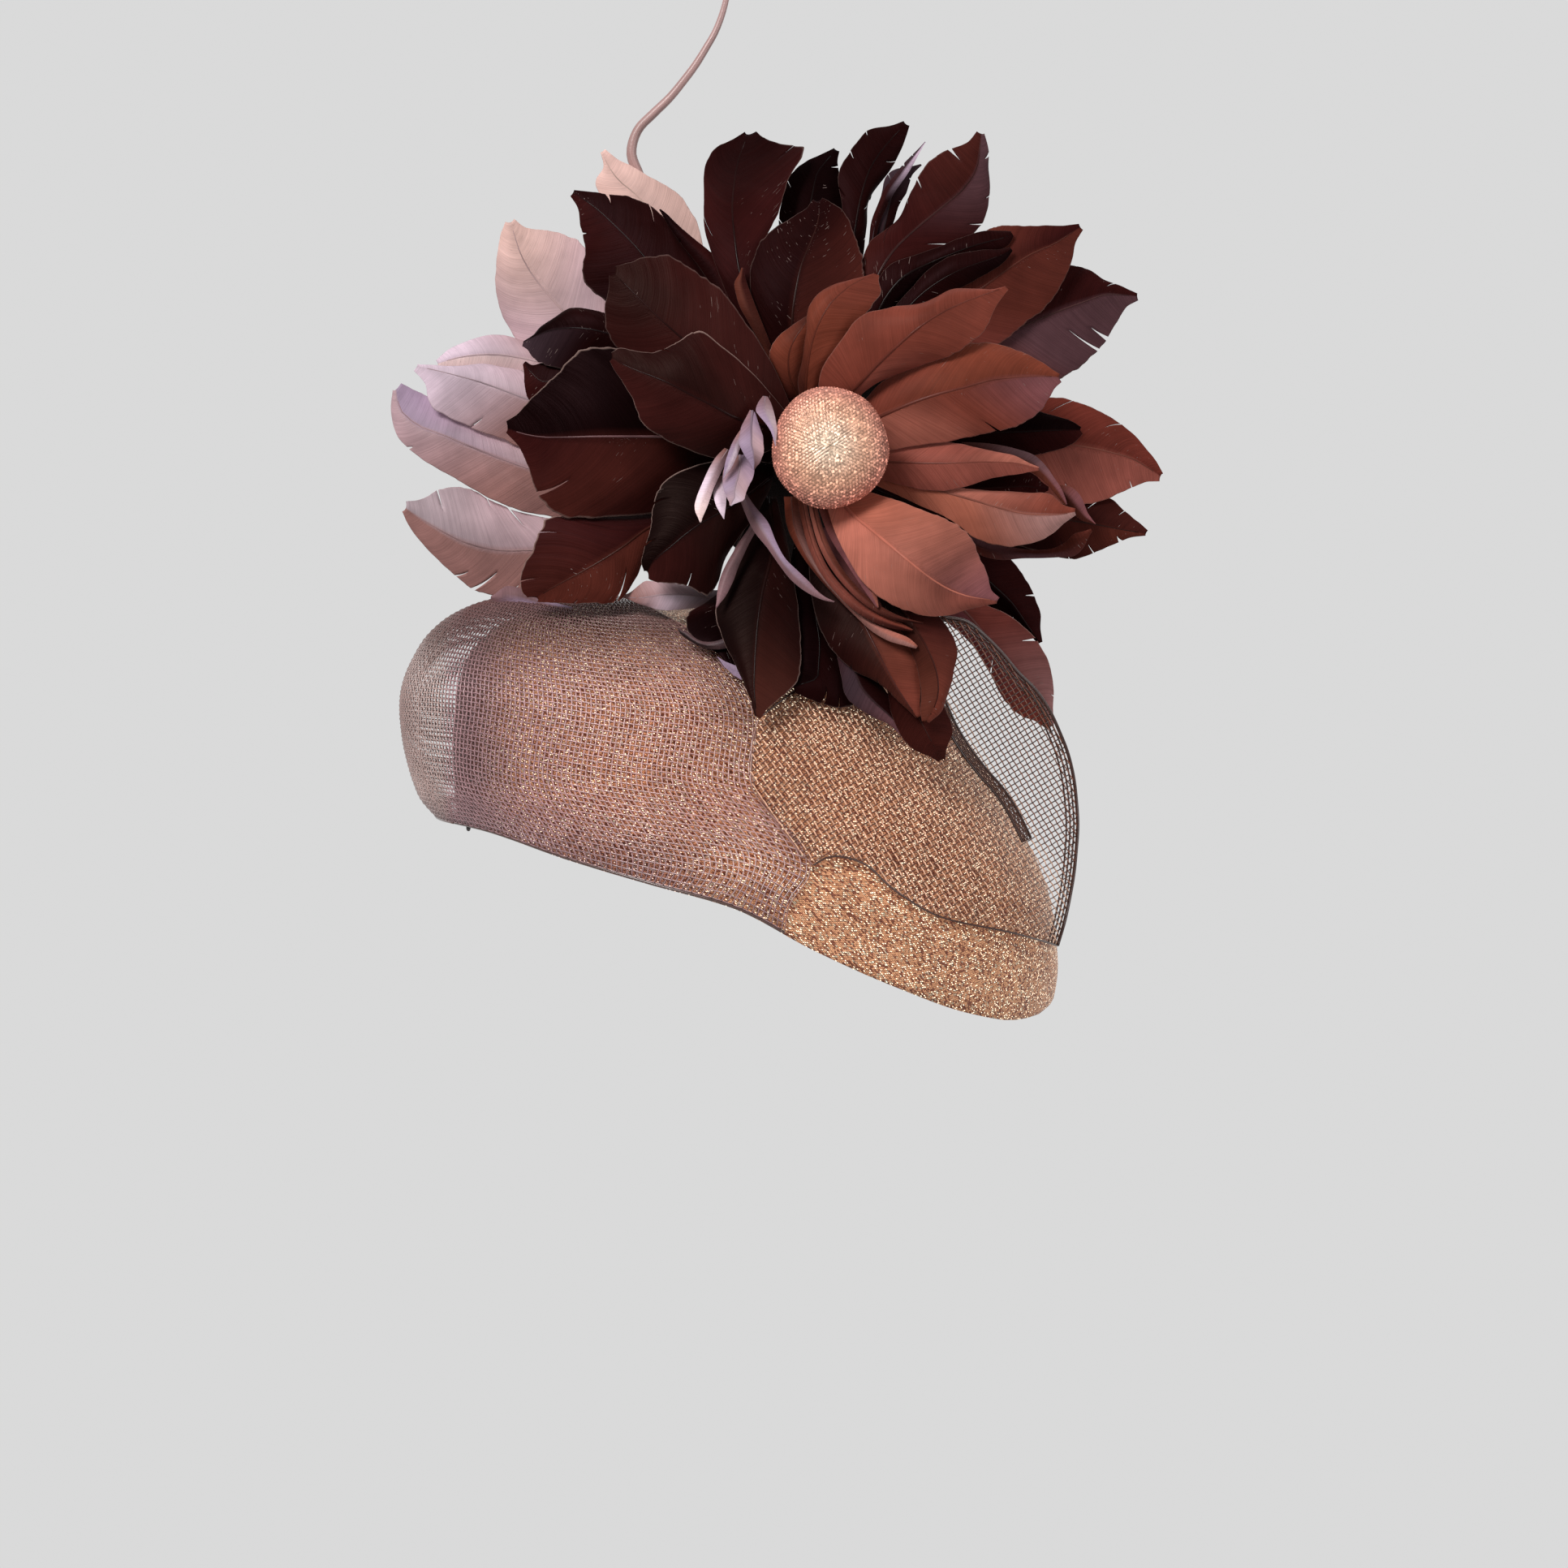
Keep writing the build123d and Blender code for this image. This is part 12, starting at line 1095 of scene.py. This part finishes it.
MAT_LINING = cloth_material("lining_woven", tuple(lin((74, 56, 52))), tuple(lin((40, 28, 27))), 0.8, 0.6, 0.5, 0.0, 0.3, "uv")
MAT_RIBBON = cloth_material("grosgrain", tuple(lin((52, 34, 31))), tuple(lin((24, 14, 13))), 0.9, 0.5, 0.8, 0.0, 0.2, "uv")
MAT_BUCKRAM = cloth_material("buckram_stiffened", tuple(lin((66, 50, 44))), tuple(lin((30, 22, 20))), 1.3, 0.7, 0.8)
MAT_FELT = cloth_material("felt_dark", tuple(lin((38, 20, 18))), tuple(lin((16, 8, 8))), 0.5, 0.85, 0.6, 0.7, 0.5)
MAT_THREAD = cloth_material("thread_dark", tuple(lin((58, 38, 34))), tuple(lin((26, 16, 14))), 0.35, 0.55, 0.8, 0.5, 0.3)


def plastic_material(name, base, rough, scale=160.0, depth=0.15, metal=0.0, coat=0.0, streak=(1.0, 1.0, 1.0)):
    m, nt, bs = nodes_of(name)
    n = noise(nt, mapping(nt, coords(nt), tuple(scale * s for s in streak)), 1.0, 3.0, 0.6)
    c = mix(nt, "MULTIPLY", 1.0, base, ramp(nt, n, [(0.3, 0.78), (0.7, 1.18)]))
    link(nt, c, bs.inputs["Base Color"])
    link(nt, math_node(nt, "ADD", math_node(nt, "MULTIPLY", n, 0.22), rough - 0.1), bs.inputs["Roughness"])
    bump(nt, bs, n, depth, 0.0001)
    bs.inputs["Metallic"].default_value = metal
    bs.inputs["Coat Weight"].default_value = coat
    return m


MAT_COMB = plastic_material("comb_shell", tuple(lin((58, 26, 16))), 0.25, 70.0, 0.1, 0.0, 0.4)
MAT_WIRE = plastic_material("wire_wrapped", tuple(lin((70, 62, 60))), 0.4, 1400.0, 0.5, 0.6)
MAT_MOULD = plastic_material("mould_plastic", tuple(lin((70, 52, 44))), 0.45, 300.0, 0.2)
MAT_HOLDER = plastic_material("holder_plastic", tuple(lin((60, 30, 28))), 0.4, 260.0, 0.2)
MAT_PIN = plastic_material("pin_steel", tuple(lin((170, 165, 160))), 0.3, 500.0, 0.1, 1.0)


def shell_piece(name, z_lo, z_hi, o_out, o_in, mat, nz=70, nf=160, closed=True):
    """A layer of the cap between two heights above its rim, as a closed thin solid."""
    phi = np.linspace(0, 2 * np.pi, nf, endpoint=False)
    zb = np.full(nf, -40.0)
    for _ in range(60):
        p = cap_point(phi, zb, o_out)
        zb = 0.5 * zb + 0.5 * np.clip(zb + rim_z(p[:, 0]) - p[:, 2], -97, 30)
    t = np.linspace(0, 1, nz)
    top = 39.55 if closed else None
    if closed:
        w = 1 - (1 - t) ** 2.2
        Zg = (zb + z_lo)[None] + (top - (zb + z_lo)[None]) * w[:, None]
    else:
        Zg = (zb + z_lo)[None] + (z_hi - z_lo) * t[:, None]
    Po = cap_point(phi[None] + 0 * Zg, Zg, o_out)
    Pi = cap_point(phi[None] + 0 * Zg, Zg, o_in)
    arc = np.cumsum(np.concatenate([np.zeros((1, nf)), np.linalg.norm(np.diff(Po, axis=0), axis=2)]), axis=0)
    n1 = nf * nz
    V = np.concatenate([Po.reshape(-1, 3), Pi.reshape(-1, 3), [Po[-1].mean(0)], [Pi[-1].mean(0)]])
    uv1 = np.stack([phi[None] * 90.0 + 0 * Zg, arc], -1).reshape(-1, 2) * MM
    uv = np.concatenate([uv1, uv1, [[0, 0]], [[0, 0]]])
    i, j = np.meshgrid(np.arange(nz - 1), np.arange(nf), indexing="ij")
    a, b = i * nf + j, i * nf + (j + 1) % nf
    outer = np.stack([a, a + nf, b + nf, b], -1).reshape(-1, 4)
    j = np.arange(nf)
    k = (j + 1) % nf
    wall = np.stack([j, k, k + n1, j + n1], -1)
    faces = [tuple(q) for q in np.concatenate([outer, outer[:, ::-1] + n1, wall])]
    tp = (nz - 1) * nf
    if closed:
        faces += [(tp + k_, tp + j_, 2 * n1) for j_, k_ in zip(j, k)]
        faces += [(n1 + tp + j_, n1 + tp + k_, 2 * n1 + 1) for j_, k_ in zip(j, k)]
    else:
        faces += [tuple(q) for q in np.stack([tp + k, tp + j, tp + j + n1, tp + k + n1], -1)]
        V, uv = V[:-2], uv[:-2]
    ob = mesh_object(name, V, faces, [mat], uv=uv)
    area = np.linalg.norm(np.cross(Po[1:] - Po[:-1], np.roll(Po, -1, 1)[:-1] - Po[:-1]), axis=2).sum() * MM * MM
    return ob, float(area)


lining, a_ = shell_piece("lining_sewn", 0.9, None, -2.75, -3.15, MAT_LINING)
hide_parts("lining")
ribbon, a_ = shell_piece("grosgrain_head_ribbon", 0.5, 11.8, -3.25, -3.6, MAT_RIBBON, 14, 180, False)
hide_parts("head_ribbon")

# ------------------------------------------------------------------ covered button
BX, BZ = 29.6, 84.0


def button():
    nt_, nr = 380, 104
    th = np.linspace(0, 2 * np.pi, nt_, endpoint=False)
    t = np.linspace(0, 1, nr)
    # profile: centre of the dome, over the shoulder, round to the gathered back
    ang = t * math.radians(128)
    R = 18.1
    rad = R * np.sin(np.minimum(ang, math.pi / 2)) ** 0.92
    y = -77.6 - 9.2 * np.cos(np.minimum(ang, math.pi / 2)) ** 1.08
    over = ang > math.pi / 2
    b = (ang - math.pi / 2) / math.radians(38)
    rad = np.where(over, R - 6.2 * np.clip(b, 0, 1) ** 1.9, rad)
    y = np.where(over, -77.6 + 6.9 * np.sin(np.clip(b, 0, 1) * math.pi / 2), y)
    rho = np.concatenate([[0], np.cumsum(np.hypot(np.diff(rad), np.diff(y)))])
    lump = 1 - 0.022 * np.cos(2 * th) + 0.012 * np.cos(3 * th + 0.7) + 0.007 * np.cos(5 * th + 2) + 0.004 * np.cos(7 * th)
    blend = smooth(rad / R)[:, None]
    Rr = rad[:, None] * (1 + (lump[None] - 1) * blend)
    X, Zc = Rr * np.cos(th), Rr * np.sin(th)
    Y = y[:, None] + 0 * X
    P = np.stack([BX + X, Y, BZ + Zc], -1)
    # outward normal of the smooth form
    nr_ = np.gradient(rad, rho)
    ny_ = np.gradient(y, rho)
    nn = np.stack([-ny_[:, None] * -1 * np.cos(th) * 1.0, 0 * X - nr_[:, None], ny_[:, None] * np.sin(th)], -1)
    nn = np.stack([ny_[:, None] * np.cos(th), -nr_[:, None] + 0 * X, ny_[:, None] * np.sin(th)], -1)
    nn /= np.linalg.norm(nn, axis=2, keepdims=True) + 1e-9
    # knit: slanted rows of small stitches, closer together in the middle
    warp = rho * (1.20 - 0.20 * smooth(rho / 16))
    a, b_ = warp[:, None] * np.cos(th), warp[:, None] * np.sin(th)
    c, s = math.cos(0.62), math.sin(0.62)
    p, q = (a * c + b_ * s), (-a * s + b_ * c)
    row = np.floor(q / 1.02)
    st = np.abs(np.sin(np.pi * (p / 1.22 + 0.5 * (row % 2)))) ** 0.8
    tr = np.abs(np.sin(np.pi * q / 1.02)) ** 0.8
    h = 0.34 * st * tr
    g = np.random.default_rng(5)
    h = h * (0.75 + 0.5 * g.random(h.shape))
    h[0] = h[0].mean()
    P = P + nn * (h - 0.12)[..., None]
    I = np.stack([BX + X * 0.972, Y + np.where(y < -77.6, 0.45, -0.2)[:, None], BZ + Zc * 0.972], -1)
    cell = np.random.default_rng(8).random((400, 400))
    cid = cell[(np.floor(p / 1.22 + 0.5 * (row % 2)).astype(int)) % 400, row.astype(int) % 400]
    # light falls from the upper left: cream middle, rose-brown rim
    e = np.clip(rho / 20.0, 0, 1)[:, None]
    mid = np.array(lin((255, 226, 200)))
    ring1 = np.array(lin((236, 178, 148)))
    rimc = np.array(lin((214, 142, 124)))
    k1, k2 = smooth(e / 0.62)[..., None], smooth((e - 0.5) / 0.5)[..., None]
    T = (mid * (1 - k1) + ring1 * k1) * (1 - k2) + rimc * k2
    T = np.broadcast_to(T, P.shape) * (0.72 + 0.55 * cid[..., None])
    # painted shade in the dips between stitches
    T = T * (0.40 + 0.75 * np.clip(st * tr, 0, 1) ** 0.6)[..., None]
    n1 = nt_ * nr
    V = np.concatenate([P.reshape(-1, 3), I.reshape(-1, 3)])
    i, j = np.meshgrid(np.arange(nr - 1), np.arange(nt_), indexing="ij")
    A, B = i * nt_ + j, i * nt_ + (j + 1) % nt_
    f = np.stack([A, A + nt_, B + nt_, B], -1).reshape(-1, 4)
    wj = np.arange(nt_)
    wk = (wj + 1) % nt_
    o = (nr - 1) * nt_
    wall = np.stack([o + wk, o + wj, o + wj + n1, o + wk + n1], -1)
    faces = np.concatenate([f[:, ::-1], f + n1, wall])
    UV = np.stack([a, b_], -1).reshape(-1, 2) * MM
    area = math.pi * rho[-1] ** 2 * MM * MM
    return V, faces, np.concatenate([T.reshape(-1, 3)] * 2), np.concatenate([UV, UV]), area, rho[-1]


def beadknit_material():
    m, nt, bs = nodes_of("bead_knit")
    n = noise(nt, mapping(nt, coords(nt), (1500.0, 1500.0, 1500.0)), 1.0, 1.0)
    c = mix(nt, "MULTIPLY", 1.0, tint_of(nt), ramp(nt, n, [(0.3, 0.75), (0.7, 1.25)]))
    link(nt, c, bs.inputs["Base Color"])
    link(nt, math_node(nt, "ADD", math_node(nt, "MULTIPLY", n, 0.35), 0.12), bs.inputs["Roughness"])
    bs.inputs["Metallic"].default_value = 0.2
    # painted glints: scattered dots of the knit glow through emission
    spark = math_node(nt, "GREATER_THAN", noise(nt, mapping(nt, coords(nt), (1100.0, 1100.0, 1100.0), (0, 0, 0), (4, 5, 6)), 1.0, 0.0), 0.66)
    em = mix(nt, "MULTIPLY", 1.0, tint_of(nt), mix(nt, "MIX", spark, (0, 0, 0), (1, 1, 1)))
    link(nt, em, bs.inputs["Emission Color"])
    bs.inputs["Emission Strength"].default_value = 0.9
    bump(nt, bs, n, 0.5, 0.0002)
    return m


V, faces, T, UV, a_, rmax = button()
MAT_BEAD = beadknit_material()
btn = mesh_object("button_knit_cover", V, faces, [MAT_BEAD], tint=T, uv=UV)
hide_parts("button_cover")

# ------------------------------------------------------------------ quill
Q = np.array(QUILL, float)
d = np.concatenate([[0], np.cumsum(np.hypot(np.diff(Q[:, 0]), np.diff(Q[:, 1])))])
sd = np.linspace(0, d[-1], 150)
qx, qz, qr = cubic(d, Q[:, 0], sd), cubic(d, Q[:, 1], sd), cubic(d, Q[:, 2], sd)
qr = qr * (1 + 0.012 * np.sin(sd / 3.1)) * (1 + 0.006 * np.sin(sd / 0.9))
cut = d[-1] - sd
qr = qr * np.clip(cut / 1.2 + 0.25, 0.25, 1) ** 0.5
path = np.stack([qx, np.full_like(qx, 10.25), qz], -1)
ring = tube_grid(path, qr, 20, 0.96, (0, -1, 0))
f = ring_faces(150, 20)
V = np.concatenate([ring.reshape(-1, 3), path[:1], path[-1:]])
F_ = [tuple(q) for q in f] + [((j + 1) % 20, j, 3000) for j in range(20)] + [(2980 + j, 2980 + (j + 1) % 20, 3001) for j in range(20)]
uvq = np.concatenate([np.stack([np.repeat(sd, 20), np.tile(np.arange(20) * 0.5, 150)], -1), [[0, 0], [sd[-1], 0]]]) * MM
tq = np.concatenate([np.repeat(np.clip(sd / d[-1], 0, 1), 20), [0, 1]])[:, None]
low, high = np.array(lin((150, 112, 106))), np.array(lin((196, 160, 158)))
ob = mesh_object("quill_stripped_shaft", V, F_, [], body="quill_body", tint=low * (1 - tq) + high * tq, uv=uvq)
m, nt, bs = nodes_of("quill_satin")
uvn = uv_of(nt)
n1 = noise(nt, mapping(nt, uvn, (60.0, 900.0, 1.0)), 1.0, 3.0, 0.6, "2D")
n2 = noise(nt, mapping(nt, uvn, (1500.0, 1500.0, 1.0)), 1.0, 2.0, 0.5, "2D")
c = mix(nt, "MULTIPLY", 1.0, tint_of(nt), ramp(nt, n1, [(0.3, 0.82), (0.7, 1.16)]))
link(nt, c, bs.inputs["Base Color"])
link(nt, math_node(nt, "ADD", math_node(nt, "MULTIPLY", n2, 0.3), 0.18), bs.inputs["Roughness"])
bump(nt, bs, math_node(nt, "ADD", n1, n2), 0.2, 0.0002)
bs.inputs["Sheen Weight"].default_value = 0.2
ob.data.materials.append(m)
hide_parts("quill")

# ------------------------------------------------------------------ finishes of the parts that keep their modelled shape
KEEP = {
    "buckram_shell": MAT_BUCKRAM,
    "rim_wire": MAT_WIRE,
    "rosette_core": MAT_FELT,
    # the back disc is dark felt behind the vanes so the gaps read as shade: painted shade
    "rosette_back_disc": MAT_FELT,
    "rosette_front_disc": MAT_FELT,
    "rosette_stem": MAT_FELT,
    "button_mould": MAT_MOULD,
    "button_shank": MAT_MOULD,
    "quill_holder": MAT_HOLDER,
    "quill_pin": MAT_PIN,
    "comb": MAT_COMB,
    "thread_loops": MAT_THREAD,
}
for n_, mat in KEEP.items():
    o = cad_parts[n_]
    if not o.material_slots:
        o.data.materials.append(mat)
    for slot_ in o.material_slots:
        slot_.link = "OBJECT"
        slot_.material = mat

# ------------------------------------------------------------------ floor and light
fs = 0.36
fv = [(-fs, -fs, -0.335), (fs, -fs, -0.335), (fs, fs, -0.335), (-fs, fs, -0.335)]
me = bpy.data.meshes.new("floor")
me.from_pydata(fv, [], [(0, 1, 2, 3)])
floor = bpy.data.objects.new("floor", me)
bpy.context.scene.collection.objects.link(floor)
m, nt, bs = nodes_of("floor_paper")
n = noise(nt, mapping(nt, coords(nt), (30.0, 30.0, 30.0)), 1.0, 3.0)
link(nt, ramp(nt, n, [(0.3, 0.66), (0.7, 0.72)]), bs.inputs["Base Color"])
bs.inputs["Roughness"].default_value = 0.8
me.materials.append(m)


def lamp(name, loc, at, size, watts, color=(1, 1, 1)):
    l = bpy.data.lights.new(name, "AREA")
    l.shape = "RECTANGLE"
    l.size, l.size_y = size
    l.energy = watts
    l.color = color
    o = bpy.data.objects.new(name, l)
    bpy.context.scene.collection.objects.link(o)
    o.location = loc
    dx, dy, dz = (a - b for a, b in zip(at, loc))
    o.rotation_euler = (math.acos(-dz / math.sqrt(dx * dx + dy * dy + dz * dz)), 0, math.atan2(dy, dx) - math.pi / 2)
    return o


lamp("key", (-0.9, -1.5, 1.2), (0.0, -0.02, 0.05), (0.8, 0.8), 34.0, (1.0, 0.98, 0.96))
lamp("fill", (1.3, -1.3, 0.3), (0.0, -0.02, 0.05), (0.9, 1.2), 8.0)
lamp("top", (0.2, 0.2, 1.5), (0.0, 0.0, 0.05), (0.8, 0.8), 2.5)
world = bpy.data.worlds.new("studio")
bpy.context.scene.world = world
world.use_nodes = True
bg = world.node_tree.nodes["Background"]
wt = world.node_tree
wsep = wt.nodes.new("ShaderNodeSeparateXYZ")
wt.links.new(wt.nodes.new("ShaderNodeTexCoord").outputs["Generated"], wsep.inputs[0])
wr = wt.nodes.new("ShaderNodeMapRange")
wr.interpolation_type = "SMOOTHSTEP"
wr.inputs["From Min"].default_value, wr.inputs["From Max"].default_value = -0.1, 0.8
wr.inputs["To Min"].default_value, wr.inputs["To Max"].default_value = 0.24, 0.70
wt.links.new(wsep.outputs[1], wr.inputs["Value"])
wt.links.new(wr.outputs[0], bg.inputs[0])
bg.inputs[1].default_value = 1.0
